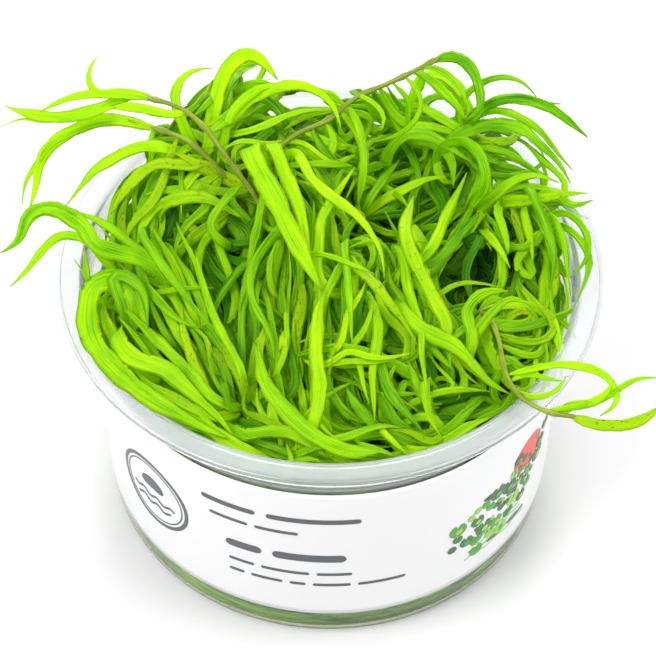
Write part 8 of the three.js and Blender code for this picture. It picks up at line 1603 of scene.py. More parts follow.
[0,30,3,3,-310,211,517,-330,187,557,-305,156,589,-279,132,619,-234,133,636],
[0,14,13,0,-305,231,565,-345,208,556,-369,182,525,-391,142,516,-420,108,502],
[0,22,20,6,-305,231,565,-334,274,577,-322,320,592,-280,294,606,-228,285,606,-176,295,603],
[0,20,-8,2,-305,231,565,-289,185,577,-250,193,552,-231,222,520,-219,255,481,-212,289,442,-193,320,406,-157,299,422,-134,266,455,-124,231,492],
[0,13,-11,1,-310,213,522,-287,186,513,-281,152,526,-271,118,536,-251,94,519],
[0,15,-13,3,-315,179,429,-315,129,445,-297,96,454,-298,136,414,-293,172,377,-267,189,347,-256,152,381,-249,115,417,-242,75,457,-234,36,490,-226,-5,521],
[0,14,-3,4,-317,155,344,-287,113,357,-268,69,379,-257,28,412,-248,-11,447,-226,-49,447,-203,-83,432,-197,-124,466],
[0,29,-13,4,-310,213,522,-343,188,526,-354,154,520,-345,120,506,-338,81,491],
[0,29,10,4,-306,229,560,-352,233,555,-358,197,532,-348,153,516,-341,103,529,-336,58,543],
[0,22,-21,5,-314,185,449,-273,161,455,-263,123,489,-226,92,501,-203,118,461,-200,154,423,-190,188,384,-171,219,347],
[2,16,52,8,-302,123,65,-255,136,94,-210,149,124,-165,164,155,-121,179,187,-77,195,219,-34,212,251],
[2,22,69,5,-308,126,112,-267,158,136,-221,189,143,-178,213,129,-140,229,90,-118,233,38],
[2,18,0,9,-318,151,324,-285,121,348,-251,87,366,-217,51,375,-183,13,371,-153,-24,354,-128,-56,324],
[2,16,37,10,-317,161,369,-303,196,404,-274,235,434,-231,270,445,-187,292,431],
[2,18,-11,7,-313,131,169,-279,170,175,-242,206,175,-208,237,167,-170,264,146,-137,284,111],
[2,25,52,7,-315,134,200,-272,144,227,-230,158,253,-183,181,276,-140,206,289,-98,236,293],
[1,35,-1,5,-328,202,91,-348,167,133,-364,130,173,-377,88,214,-387,48,247,-393,8,278,-396,-34,308],
[1,22,-19,6,-356,156,47,-339,200,66,-311,243,85,-281,279,97,-243,315,105,-205,344,111],
[1,33,6,3,-355,141,47,-371,93,68,-380,43,85,-383,-2,95,-381,-53,100,-374,-104,102],
[1,23,3,7,-342,222,262,-367,177,254,-387,124,240,-399,74,222,-407,18,195,-408,-33,166],
[1,34,-18,6,-307,271,407,-336,231,381,-360,189,355,-377,148,332,-392,102,308,-402,54,284,-406,5,260],
[1,23,13,9,-339,183,462,-368,144,461,-384,99,462,-394,52,466,-400,-1,475,-413,-52,486,-414,-104,499],
[1,33,15,9,-344,199,451,-316,234,470,-293,281,495,-260,314,524,-222,349,560,-183,377,560],
[1,22,8,9,-345,121,46,-369,71,38,-377,17,31,-375,-38,26,-366,-97,25,-351,-151,26,-329,-202,28],
[1,21,-10,6,-306,235,42,-341,195,42,-366,149,45,-386,94,56,-397,42,70],
[1,31,-15,8,-327,216,243,-302,251,277,-274,282,306,-248,310,328,-216,339,347],
[1,20,19,7,-366,133,235,-346,186,231,-313,237,224,-276,280,215,-229,319,203,-180,348,190],
[1,32,17,7,-356,105,86,-354,139,109,-344,172,135,-334,202,162,-321,236,196],
[1,30,4,9,-377,131,326,-397,76,328,-405,23,335,-407,-32,349,-404,-91,370],
[1,25,-2,7,-372,152,26,-349,196,24,-322,236,25,-290,274,31,-256,309,40,-217,341,53],
[1,39,-8,5,-332,175,41,-362,133,65,-379,90,84,-389,40,96,-392,-7,101,-388,-58,102],
[1,39,-14,7,-330,151,36,-360,110,40,-373,67,44,-379,17,51,-381,-33,59,-378,-79,68,-370,-130,79],
[1,30,16,10,-288,250,432,-259,286,430,-219,319,426,-176,349,419,-135,375,410],
[1,27,-11,9,-358,203,449,-340,239,450,-317,272,443,-286,305,424,-255,330,400],
[1,23,14,3,-324,189,28,-296,226,23,-261,263,20,-225,299,20,-190,331,23],
[1,25,17,7,-365,135,310,-387,99,274,-396,62,242,-401,21,205,-403,-16,170,-402,-58,131],
[1,21,11,6,-373,108,38,-386,63,62,-391,16,80,-392,-35,88,-388,-82,88],
[1,31,5,7,-331,199,362,-315,234,372,-293,265,382,-268,294,390,-241,322,398],
[1,23,18,8,-344,161,368,-330,202,397,-307,239,421,-281,274,439,-252,307,452],
[1,30,-3,7,-379,125,32,-371,164,36,-355,201,39,-330,232,43,-300,258,47],
[1,22,-21,7,-323,177,35,-304,213,40,-278,244,45,-245,269,49,-207,286,54],
[1,25,12,6,-348,185,65,-362,133,67,-367,80,69,-360,28,72,-344,-21,74],
[2,24,20,8,-280,222,44,-300,188,47,-318,154,50,-335,114,53,-349,77,56],
[2,32,15,9,-385,128,22,-365,174,19,-340,218,16,-313,253,13,-276,288,10],
[2,35,28,4,-384,125,28,-387,70,31,-384,17,35,-375,-30,38,-358,-78,41],
[2,33,25,6,-390,98,23,-375,151,26,-356,198,29,-329,240,32,-293,283,35],
[1,27,6,2,-346,97,11,-358,64,10,-365,29,10,-368,-11,10,-367,-46,10],
[1,23,-22,6,-336,202,44,-361,166,49,-378,126,53,-385,88,57,-385,44,62],
[1,31,-27,8,-366,136,28,-350,188,26,-326,231,25,-293,267,23,-249,299,21],
[2,31,-2,6,-373,165,49,-384,117,46,-387,68,43,-382,16,40,-372,-30,38,-356,-73,35],
[2,29,-21,3,-332,140,15,-317,171,17,-298,200,19,-269,227,22,-241,246,24],
[2,36,-26,7,-321,240,12,-350,199,15,-373,155,17,-390,108,20,-402,60,23],
[1,26,11,9,-376,143,32,-395,97,31,-404,48,30,-407,-2,30,-404,-52,29],
[1,29,-22,7,-326,231,41,-338,198,39,-346,166,38,-353,129,37,-356,97,36],
[1,37,-18,9,-393,108,49,-403,64,50,-408,14,50,-406,-37,50,-400,-81,50],
[1,38,0,7,-389,92,66,-404,39,63,-408,-11,61,-404,-60,58,-392,-114,56],
[1,33,24,6,-366,170,22,-373,104,26,-371,46,30,-362,-9,34,-344,-65,39],
[2,40,-8,8,-375,143,19,-375,103,20,-375,64,21,-375,26,21,-375,-11,22],
[2,31,-21,7,-372,114,19,-371,61,22,-367,15,24,-361,-29,26,-352,-77,29],
[1,26,26,3,-338,182,66,-309,219,71,-279,254,77,-245,292,83,-212,327,85],
[1,23,23,7,-364,174,16,-342,212,12,-311,251,10,-277,287,10,-238,307,10],
[2,39,-7,8,-334,101,21,-339,67,18,-338,33,16,-330,-1,14,-316,-32,12],
[1,32,-24,6,-367,167,31,-347,212,35,-319,253,39,-283,294,43,-245,326,47,-204,353,51],
[2,39,17,5,-369,119,11,-382,89,10,-392,53,10,-397,15,10,-396,-18,10],
[2,23,-22,6,-306,161,53,-285,198,51,-257,231,49,-225,258,47,-189,280,45],
[1,28,18,8,-328,233,28,-344,186,34,-357,140,39,-370,94,45,-380,48,50],
[1,26,9,5,-342,213,58,-321,252,58,-288,290,59,-250,323,60,-213,347,61],
[1,38,-10,4,-367,96,38,-379,61,40,-388,25,41,-394,-18,42,-395,-57,43],
[1,37,-20,7,-324,237,12,-291,281,17,-251,319,22,-210,348,27,-161,374,32],
[1,35,-24,7,-382,103,29,-361,136,27,-341,168,26,-319,204,24,-300,236,22],
[1,30,-9,6,-346,148,65,-315,188,69,-282,225,74,-248,260,78,-211,291,83],
[1,22,-4,7,-324,239,23,-352,204,23,-372,163,23,-390,116,23,-400,72,24],
[1,35,-13,6,-365,141,11,-344,172,10,-324,203,10,-308,230,10,-288,262,10],
[1,33,-8,6,-375,122,26,-365,154,28,-352,189,31,-336,225,34,-318,254,37],
[1,27,-26,9,-386,109,66,-378,143,68,-365,181,71,-346,217,73,-327,246,75],
[1,29,-18,7,-335,141,46,-330,185,51,-317,227,55,-295,265,60,-267,299,65],
[1,30,6,8,-367,170,18,-377,137,19,-383,98,22,-390,59,24,-397,26,26],
[2,37,-9,7,-337,198,11,-358,161,12,-375,116,12,-382,68,12,-381,25,13],
[2,38,-22,8,-355,202,54,-370,172,55,-385,136,57,-396,98,59,-403,65,60],
[1,33,-16,7,-335,99,46,-321,135,43,-298,171,39,-267,202,36,-235,223,32],
[2,30,4,4,-275,186,30,-288,166,34,-306,140,38,-330,106,42,-360,66,46]]),
("plantlet_22",
[-112,-169,24,-107,-160,80,-102,-154,136,-95,-150,197,-87,-149,253,-80,-149,309,-71,-152,364,-60,-158,425,-49,-167,480,-38,-177,534],
[[0,19,-38,6,-38,-177,534,-9,-155,553,26,-125,557,56,-99,535,72,-83,500],
[0,24,13,6,-77,-150,329,-71,-176,372,-63,-206,413,-51,-239,450,-36,-277,482,-18,-317,507,4,-361,522,27,-406,525],
[0,27,4,6,-51,-165,470,-22,-184,491,9,-215,508,35,-253,512,52,-289,503],
[0,27,20,6,-107,-160,85,-74,-175,129,-41,-192,171,-8,-212,212,28,-235,249,64,-262,283],
[0,25,-6,10,-38,-177,534,-76,-177,600,-82,-225,615,-82,-188,548,-82,-147,483,-81,-104,419,-81,-63,360,-81,-16,299,-81,31,238,-82,77,176,-81,121,114,-71,142,56,-56,80,100,-45,22,149,-37,-34,200,-31,-88,255,-28,-139,313,-28,-183,369,-30,-229,431,-32,-274,493,-26,-328,547,-1,-393,577,62,-429,560],
[0,13,-6,10,-38,-177,534,-44,-208,561,-34,-244,590,-3,-263,609,32,-248,624,69,-265,632,115,-261,628,150,-241,617],
[0,13,10,10,-38,-177,534,-38,-209,561,-28,-236,584,0,-258,604,42,-257,610,77,-265,617,118,-260,621],
[0,13,12,10,-38,-177,534,-27,-213,563,-7,-237,597,21,-231,632,30,-189,649,51,-148,656,66,-103,657],
[0,8,-6,8,-38,-177,534,-34,-217,548,-23,-250,570,1,-256,609,15,-220,626,27,-183,641],
[0,13,11,9,-38,-177,534,-12,-207,560,15,-224,587,48,-219,620,68,-188,638,79,-143,650],
[0,15,2,9,-38,-177,534,-7,-189,567,24,-211,594,49,-248,606,59,-293,598,71,-338,589],
[0,17,-11,8,-38,-177,534,-28,-164,571,-21,-137,608,-20,-104,632,-23,-66,656,-28,-27,667,-30,18,679,-31,57,688],
[0,17,11,9,-38,-177,534,-31,-178,580,-21,-163,623,-7,-134,647,12,-93,658,23,-49,666],
[0,17,11,6,-38,-177,534,-63,-171,567,-79,-151,593,-85,-120,610,-87,-81,626],
[0,26,12,2,-38,-177,534,-69,-164,575,-107,-145,604,-145,-113,619,-147,-58,632,-180,-23,615,-218,10,621],
[0,13,-14,5,-38,-177,534,-59,-186,558,-70,-216,571,-60,-250,557,-50,-280,547],
[0,15,22,9,-38,-177,534,-69,-156,577,-85,-189,592,-76,-239,561,-54,-290,545,-29,-341,540],
[0,15,-6,3,-38,-177,534,3,-194,577,27,-167,616,24,-114,638,15,-53,643],
[0,18,-8,10,-38,-177,534,-77,-199,557,-73,-250,551,-52,-300,535,-23,-343,526],
[0,18,6,8,-38,-177,534,-36,-232,549,-7,-281,556,2,-328,530,53,-348,531],
[0,22,18,7,-38,-177,534,-30,-222,556,-20,-201,587,-17,-152,605,-5,-104,619,13,-61,623,-10,-21,631],
[0,11,16,6,-38,-177,534,-70,-154,569,-99,-173,610,-93,-218,589,-81,-259,558,-66,-313,563,-43,-360,565],
[0,11,-12,6,-38,-177,534,-36,-233,536,-11,-283,540,30,-329,542,82,-350,545],
[0,13,-24,6,-38,-177,534,-21,-181,583,13,-212,614,2,-244,584,-1,-282,549,28,-321,533,79,-343,537,129,-348,550],
[0,13,9,9,-38,-177,534,-71,-160,570,-99,-165,605,-118,-207,618,-122,-254,599,-101,-299,585,-79,-338,571,-40,-371,560],
[0,15,-15,10,-38,-177,534,-74,-173,574,-102,-203,595,-93,-237,564,-76,-281,539],
[0,15,12,9,-38,-177,534,-20,-214,573,23,-246,587,84,-253,594,115,-291,568,156,-330,565],
[0,15,10,5,-38,-177,534,-5,-212,553,34,-223,583,50,-193,609,54,-145,629,71,-100,649],
[0,13,-21,9,-38,-177,534,-46,-218,537,-46,-226,565,-41,-192,580,-33,-172,614],
[0,22,-24,5,-38,-177,534,-30,-168,584,-26,-122,602,-25,-72,612,-52,-38,629,-72,2,655,-90,34,690],
[0,17,24,5,-38,-177,534,5,-191,559,48,-217,572,100,-226,573,145,-238,569,163,-284,553],
[0,17,16,7,-38,-177,534,-29,-161,586,-22,-112,601,-7,-64,629,-37,-50,620,-23,-105,612],
[0,15,23,9,-38,-177,534,-1,-201,551,30,-237,557,23,-274,546,31,-315,531],
[0,22,21,10,-38,-177,534,-81,-164,569,-117,-189,590,-136,-235,563,-134,-283,545,-105,-329,530],
[0,22,-20,6,-38,-177,534,6,-188,559,46,-220,567,44,-270,548,70,-313,534],
[0,15,-21,8,-38,-177,534,-12,-205,568,2,-251,557,3,-298,537,36,-340,522,86,-333,528],
[0,11,14,7,-38,-177,534,-15,-226,549,22,-263,550,1,-306,533,37,-340,523,92,-333,530],
[0,15,3,5,-38,-177,534,-34,-154,569,-22,-122,593,-3,-83,609,14,-46,618],
[0,22,-3,10,-38,-177,534,-76,-153,560,-99,-110,589,-98,-58,610,-85,-10,624],
[0,26,-7,6,-38,-177,534,-54,-173,562,-64,-160,583,-64,-135,591,-58,-106,604],
[0,13,-23,5,-38,-177,534,-15,-227,549,21,-210,581,16,-162,596,-4,-109,606,12,-56,620],
[0,15,-7,5,-38,-177,534,10,-200,554,52,-238,556,32,-261,551,0,-289,539,31,-332,524,86,-333,526,139,-343,534],
[0,10,19,7,-38,-177,534,-10,-200,569,-10,-248,558,-19,-291,543,-8,-338,527],
[0,11,-22,10,-38,-177,534,-78,-193,562,-99,-163,586,-100,-111,596,-101,-66,608,-91,-16,622],
[0,11,11,7,-38,-177,534,-55,-189,582,-46,-140,595,-37,-84,605,-53,-39,620,-79,4,647],
[0,8,12,8,-38,-177,534,6,-208,554,50,-193,581,67,-147,597,75,-91,604,67,-37,615],
[0,11,-19,8,-38,-177,534,-70,-211,554,-86,-178,580,-91,-127,591,-96,-77,605],
[0,12,-23,6,-38,-177,534,2,-193,572,47,-223,590,103,-233,583,151,-235,563,166,-285,539],
[0,12,-21,6,-38,-177,534,6,-199,563,46,-230,560,33,-281,548,51,-327,535,104,-340,538],
[0,12,-9,6,-38,-177,534,-11,-220,549,14,-265,548,3,-311,530,43,-342,525],
[0,12,5,8,-38,-177,534,-72,-165,578,-69,-113,597,-59,-58,613,-75,-6,628],
[0,17,9,4,-38,-177,534,-28,-219,539,-2,-236,563,18,-199,572,17,-158,586],
[0,12,-18,9,-38,-177,534,-2,-208,554,43,-239,567,88,-264,563,138,-279,545,176,-302,527],
[0,14,-8,7,-38,-177,534,-67,-177,570,-72,-137,590,-62,-87,604,-61,-43,622],
[0,11,-12,6,-38,-177,534,-26,-220,559,2,-245,559,26,-237,559,68,-238,581],
[0,10,16,7,-38,-177,534,-40,-198,564,-41,-232,559,-37,-267,547,-31,-302,537],
[0,8,-7,5,-38,-177,534,-45,-157,576,-44,-117,596,-41,-66,609,-64,-30,624],
[0,23,6,4,-60,-158,425,-69,-199,422,-68,-241,423,-61,-277,420,-53,-318,419],
[0,24,1,2,-41,-174,519,-88,-156,522,-102,-133,483,-91,-108,440,-86,-81,397,-76,-59,357,-63,-89,374,-54,-127,408,-44,-165,441],
[0,27,23,4,-38,-177,534,-87,-188,547,-131,-185,525,-140,-173,476,-143,-151,429,-166,-137,387,-207,-130,357],
[0,25,4,2,-70,-152,369,-70,-203,369,-101,-207,356,-138,-213,357,-159,-246,391,-193,-275,414],
[0,28,9,6,-46,-169,495,-5,-175,491,34,-188,486,79,-197,475,119,-204,466],
[2,20,-47,5,-51,-165,470,-77,-129,496,-103,-93,520,-133,-49,538,-162,-8,539,-188,30,517],
[2,23,-43,8,-88,-149,248,-48,-136,252,-7,-131,249,38,-135,234,69,-147,209],
[2,20,-35,6,-107,-160,85,-66,-181,117,-23,-206,143,22,-233,162,69,-262,173,116,-292,176,162,-323,171],
[2,17,42,7,-100,-154,146,-68,-125,172,-28,-93,196,11,-65,212,52,-36,219,95,-9,216,141,18,199,180,39,174],
[2,29,40,4,-109,-162,64,-143,-161,87,-184,-156,92,-220,-150,73,-240,-144,38],
[2,19,11,6,-55,-162,450,-94,-131,462,-133,-102,477,-172,-74,494,-208,-50,509,-248,-24,528,-289,0,546,-330,23,565],
[2,24,60,6,-108,-162,70,-58,-156,95,-11,-143,123,30,-125,150,73,-101,178,114,-73,204],
[2,19,-45,6,-83,-149,283,-29,-151,300,26,-147,312,81,-135,318,134,-116,314,183,-92,299],
[2,27,-49,8,-96,-151,186,-49,-133,202,-3,-109,207,41,-82,199,77,-54,174],
[2,27,5,3,-90,-188,41,-51,-213,42,-11,-241,43,24,-269,44,53,-295,45],
[2,17,-6,3,-47,-205,16,-66,-179,23,-93,-151,30,-130,-124,36,-174,-95,43]]),
("plantlet_23",
[15,39,24,16,41,86,18,45,148,21,50,210,25,56,271,29,63,333,34,73,394,41,85,454,49,99,514,58,115,574],
[[0,27,-19,6,58,115,574,59,162,604,53,216,620,43,276,619,29,328,602],
[0,16,19,6,49,98,509,85,78,540,125,49,569,165,11,586,198,-29,583],
[0,22,-34,6,40,82,439,7,117,468,-33,152,485,-75,181,484,-119,204,458,-152,215,415],
[0,26,14,6,16,41,86,45,28,112,77,13,134,116,-5,154,152,-22,165],
[0,17,-13,9,58,115,574,64,87,604,61,62,637,40,49,670,2,64,690,-33,82,702,-72,82,715],
[0,19,5,9,58,115,574,92,135,601,133,146,622,175,162,634,214,166,639],
[0,13,-11,9,58,115,574,90,86,579,117,64,592,155,61,603,183,53,624,220,49,643],
[0,17,14,6,58,115,574,71,125,618,91,158,628,107,195,617,129,237,608],
[0,17,16,5,58,115,574,49,165,582,72,207,576,105,227,541,150,243,531,150,273,555,102,252,549],
[0,11,-6,7,58,115,574,96,132,569,134,149,569,168,163,570,204,178,574],
[0,17,8,7,56,111,559,72,144,559,80,179,559,93,219,555,62,230,559],
[0,11,7,10,58,115,574,44,82,605,16,63,644,-8,84,675,-30,125,699,-65,156,709],
[0,15,-24,6,58,115,574,75,162,589,71,201,616,36,208,636,0,196,651,-35,206,683],
[0,18,-22,4,58,113,569,58,163,556,84,201,536,111,215,522,117,228,525],
[0,15,24,8,58,115,574,52,153,613,92,179,605,127,220,587,177,240,597,160,274,613,109,297,614],
[0,22,-13,5,58,115,574,108,128,586,142,159,581,182,161,553,210,199,559,190,240,541],
[0,18,-4,5,58,115,574,41,87,614,4,79,649,-5,122,662,-30,167,664,-71,173,683,-117,173,703,-164,164,715],
[0,15,9,7,58,115,574,21,117,609,-12,142,647,-43,176,670,-91,188,687,-79,228,714,-36,264,712,6,276,689],
[0,18,1,3,58,115,574,106,109,593,148,115,584,153,111,536,202,133,536,240,165,547,270,188,584,283,237,596],
[0,15,8,3,52,104,534,82,140,526,88,184,513,101,233,516,77,203,520],
[0,18,6,3,58,115,574,50,157,591,73,202,600,99,240,594,134,277,598,170,256,591],
[0,26,-8,1,49,99,514,47,154,501,74,208,502,108,250,516,164,272,520,198,303,553],
[0,15,-16,6,54,107,544,60,153,550,58,199,549,86,236,529,125,254,510],
[0,14,24,2,57,112,564,78,119,543,104,106,528,130,102,532,138,115,561],
[0,12,-2,7,58,115,574,33,87,617,-9,92,652,-52,117,667,-92,149,690],
[0,17,4,2,55,108,549,65,149,545,62,185,542,62,222,538,93,243,547],
[0,20,27,4,28,61,318,21,31,359,15,-3,404,12,-36,443,10,-78,481,9,-119,512,4,-169,534,-10,-197,495],
[0,25,-8,4,52,103,529,77,63,530,77,17,527,76,-35,521,87,-80,512],
[0,30,24,2,58,115,574,92,159,557,133,156,531,141,100,531,159,58,505,182,9,487],
[0,22,17,3,58,115,574,64,139,552,77,135,533,95,109,527,116,84,530],
[0,21,-1,2,56,111,559,71,130,538,93,125,526,116,110,528,140,90,538],
[0,17,-1,5,58,113,569,13,88,577,8,40,577,24,-3,585,41,-36,553],
[0,16,-5,8,54,107,544,105,123,534,127,73,550,127,23,577,143,-31,603,180,-68,593],
[2,18,-21,6,49,98,509,57,43,514,66,-16,500,73,-64,472,77,-101,431,80,-130,377,82,-146,323],
[2,27,-68,8,33,71,384,-19,81,403,-73,92,418,-132,104,428,-188,116,430,-243,128,423],
[2,17,4,6,15,40,55,15,-4,98,11,-38,149,3,-59,201,-11,-68,260],
[2,22,-49,5,17,42,112,29,87,134,47,137,150,67,184,156,89,230,153,115,278,139,139,318,119],
[2,19,-54,8,17,43,122,31,80,155,52,117,185,76,152,206,108,190,216,145,226,209],
[2,25,66,8,23,52,235,57,89,245,99,126,242,136,156,225,170,179,194,200,195,150,219,202,103],
[2,25,-45,5,21,49,199,6,92,222,-10,143,240,-26,192,243,-40,239,230,-53,282,197,-61,309,155],
[2,28,-21,7,19,46,169,61,70,188,106,92,204,148,110,210,197,128,203],
[2,29,-47,8,43,88,469,33,47,472,19,8,467,4,-25,455,-14,-57,434],
[2,29,55,6,26,58,292,43,110,305,61,162,314,77,210,315,93,262,305,109,311,282,122,352,247],
[2,28,58,3,17,42,112,60,47,140,103,61,165,152,82,186,195,107,198],
[2,20,13,7,54,107,544,53,68,560,39,24,568,15,-16,563,-11,-45,548],
[2,28,42,7,21,49,205,42,84,236,62,120,274,79,157,313,91,190,350,102,224,387,111,262,428],
[2,30,-11,5,8,57,25,-7,106,31,-21,155,39,-31,196,47,-38,228,54],
[2,26,15,2,13,18,36,64,0,42,113,-17,48,166,-37,54,213,-56,60,259,-74,66],
[2,22,11,4,22,33,25,7,-10,26,-8,-47,27,-23,-76,29,-38,-99,30]]),
("plantlet_24",
[147,293,24,152,294,81,159,294,137,167,295,193,175,295,249,185,295,310,196,294,366,208,293,422,221,292,477,234,291,532],
[[0,19,-8,6,234,291,532,205,303,559,170,317,579,127,335,588,88,350,584],
[0,26,38,6,176,295,254,201,289,293,224,287,333,247,290,374,270,301,413],
[0,19,-14,6,153,294,86,147,244,121,145,191,154,146,141,181,150,85,207],
[0,27,22,6,189,295,331,187,263,359,181,231,385,170,193,410,156,156,425],
[0,18,18,5,234,291,532,186,262,545,178,208,551,147,162,546,160,114,531,211,132,539,253,170,546],
[0,15,23,2,234,291,532,223,333,562,183,364,583,189,346,578,210,309,551,183,280,519,157,233,513,145,183,540,132,132,544],
[0,17,25,4,233,291,527,208,259,530,177,238,520,165,205,531,151,170,550],
[0,8,-8,7,234,291,532,263,341,525,286,387,534,290,413,581,273,362,604,255,315,620,211,288,641],
[0,12,-25,0,222,292,482,173,293,497,141,261,505,99,231,506,81,186,500,93,144,514,116,102,534],
[0,20,0,2,224,292,492,174,299,507,133,330,512,93,351,527,63,337,567],
[0,23,-12,2,234,291,532,270,334,547,318,340,571,315,298,596,294,247,581,280,191,582,268,134,582],
[0,22,19,3,234,291,532,234,345,549,275,330,539,315,282,526,353,244,505],
[0,16,2,1,234,291,532,204,325,557,163,323,575,139,340,537,106,335,509,88,293,535,68,255,554,40,214,567],
[0,18,-6,2,217,293,462,168,302,474,133,270,497,142,218,516,146,170,537,148,120,550,145,64,560],
[0,25,0,5,234,291,532,190,256,540,165,213,552,160,170,518,160,175,472,155,150,431,151,104,450,149,65,492,146,24,525,140,-27,549],
[0,25,-23,3,152,426,589,174,381,599,202,343,597,233,308,593,269,270,593],
[0,22,-20,3,233,291,527,184,318,543,195,335,579,243,313,584,301,311,587],
[0,20,20,3,221,292,477,176,324,491,130,315,510,84,283,518,60,246,545,28,207,572],
[0,22,-6,0,130,384,551,117,376,522,105,363,502,95,339,497,85,308,499],
[0,19,9,5,219,292,472,188,339,480,141,331,491,131,282,502,107,232,500,76,185,501,36,150,494],
[0,28,10,2,234,291,532,201,322,541,167,350,516,131,342,492,99,304,506,75,267,522],
[0,24,27,8,209,293,427,183,244,422,169,197,435,155,147,446,150,105,475,143,58,505,137,13,528,130,-41,542],
[0,29,18,6,219,292,472,247,270,494,239,231,507,225,193,521,206,158,537],
[0,20,11,5,224,292,492,213,343,493,183,384,502,140,386,511,103,350,513,82,307,534],
[0,30,-13,3,219,292,472,204,342,476,169,369,486,139,335,493,127,294,512,105,249,516,78,213,509,49,172,512],
[0,27,-26,2,234,291,532,187,310,544,142,301,554,108,283,533,94,252,515,78,209,503,61,162,488],
[0,21,19,4,219,292,472,174,267,492,121,262,504,70,267,524,47,242,569,19,231,616],
[0,25,-24,6,209,293,427,165,329,438,144,353,481,171,323,525,200,291,564,249,287,581],
[2,29,25,7,207,293,417,151,295,420,95,296,413,47,295,397,0,294,367,-38,292,325,-64,290,276],
[2,20,63,5,176,295,254,163,248,283,151,201,313,139,156,344,127,109,374,116,62,403,104,12,427],
[2,15,-42,7,156,294,116,114,277,121,72,261,110,41,251,85,16,244,47],
[2,22,-60,6,177,295,260,144,319,267,111,344,267,83,366,260,55,390,241],
[2,24,-44,9,189,295,331,145,279,364,95,266,388,45,257,398,-11,250,395],
[2,18,-17,10,172,295,229,116,301,235,66,309,237,10,318,232,-38,327,219,-87,338,193,-124,347,159,-156,356,113],
[1,36,-2,6,191,319,91,161,354,115,122,376,137,79,390,158,30,398,177,-15,400,192,-61,397,206],
[1,25,-5,7,157,330,39,114,354,49,71,366,54,21,374,54,-24,376,47,-75,373,36],
[1,39,-14,6,138,359,22,189,335,23,236,304,23,279,267,23,317,226,22],
[1,22,16,5,210,340,331,251,320,364,284,295,394,316,263,426,342,231,454,376,197,485,400,160,512,417,115,542],
[1,27,-7,4,128,348,57,165,338,49,200,322,44,231,307,44,267,289,47],
[1,33,0,8,149,336,36,202,319,47,247,287,54,284,252,54,320,209,48,350,161,38],
[1,38,9,9,187,351,370,222,325,368,255,298,375,292,268,394,326,240,421],
[1,27,18,4,185,331,17,151,359,16,111,379,20,69,394,30,25,404,45],
[1,32,-17,5,128,359,397,77,378,387,28,384,377,-26,383,363,-80,377,347,-129,366,330,-182,349,310],
[1,28,-2,5,211,359,374,165,379,343,118,394,314,65,405,286,15,410,265,-34,411,245],
[1,21,1,8,167,376,403,118,389,418,69,398,436,24,403,454,-25,406,478,-79,419,505,-131,413,533],
[1,29,15,6,177,313,51,153,341,70,122,361,85,93,373,92,57,383,95],
[1,37,-6,6,124,367,362,74,385,367,27,393,371,-27,393,373,-75,388,373,-127,375,373],
[1,26,9,5,162,353,298,204,338,272,240,314,244,273,285,213,302,252,180,328,217,143,350,180,105],
[1,30,18,7,133,355,384,178,351,401,215,335,417,253,312,438,284,286,461,327,263,487],
[1,31,9,5,181,328,361,231,311,326,272,279,295,310,238,269,341,196,249],
[1,34,0,6,187,356,371,153,374,386,118,388,399,82,400,410,44,410,420],
[1,25,0,7,223,325,13,178,355,10,129,378,10,81,391,10,28,398,10],
[1,39,-21,4,146,340,13,194,320,19,232,294,23,265,261,28,293,218,33],
[2,36,22,6,169,323,23,128,339,22,84,348,21,40,348,20,-3,339,19],
[1,32,28,9,162,359,53,126,369,57,88,375,61,51,376,66,14,374,70],
[1,30,3,9,128,356,28,72,366,33,16,365,37,-43,351,41,-92,329,45],
[1,32,-10,6,181,346,42,208,328,45,237,302,48,262,273,51,279,246,54],
[1,24,15,8,214,343,17,162,362,21,108,371,25,50,368,29,-1,355,33],
[2,38,-15,9,218,344,29,178,366,27,142,381,24,104,393,22,59,401,20],
[1,34,20,6,217,333,43,261,300,44,305,258,46,342,210,47,371,163,48],
[1,31,-7,9,183,340,31,217,306,32,247,271,32,277,238,32,306,204,33],
[2,33,-2,7,252,321,66,293,284,64,329,242,61,356,200,59,379,150,56],
[2,39,28,5,118,353,59,60,373,59,4,384,60,-55,388,60,-120,385,60],
[2,30,15,7,212,323,26,257,295,27,297,260,29,332,219,30,361,173,31],
[2,38,-20,5,205,352,62,163,371,59,119,382,56,80,383,54,35,376,51],
[1,31,-21,3,209,326,61,166,358,61,119,387,60,60,404,60,4,408,59],
[1,32,-9,6,210,331,19,182,348,17,152,362,16,116,372,14,83,376,13],
[2,28,-28,6,118,370,51,63,366,51,17,359,50,-27,349,50,-73,335,49],
[2,36,-27,3,187,348,23,235,330,21,274,298,18,308,261,16,337,220,13],
[1,38,-18,8,170,329,47,216,316,48,261,295,49,302,267,50,336,231,51,362,188,52],
[2,30,28,5,218,283,34,183,320,38,140,352,41,97,372,45,45,386,48],
[1,23,7,7,229,283,17,196,305,17,157,325,17,115,338,17,76,344,17],
[2,27,15,3,200,294,17,162,324,21,115,354,25,64,381,29,12,403,33],
[2,24,27,4,141,370,13,91,391,12,36,398,11,-19,399,10,-73,393,10],
[1,26,-5,7,161,358,38,207,351,38,249,322,37,287,289,36,317,255,36],
[1,29,-14,8,172,360,45,135,371,43,97,376,41,59,374,39,23,367,37],
[1,29,-23,7,157,361,12,103,383,12,45,395,11,-9,396,11,-67,387,10],
[2,28,17,7,122,384,66,62,389,64,4,385,61,-56,372,59,-108,352,56],
[2,34,6,6,214,341,13,168,360,17,121,372,22,74,378,26,26,378,30],
[2,24,-16,5,141,259,35,145,203,36,149,149,37,152,97,38,156,48,39,159,0,40]]),
("plantlet_25",
[-355,-71,24,-358,-76,81,-361,-82,137,-364,-90,199,-367,-99,255,-370,-108,311,-374,-121,372,-377,-134,427,-381,-148,482],
[[0,22,-27,6,-381,-148,482,-345,-176,515,-306,-212,535,-270,-248,537,-235,-289,520,-209,-324,485],
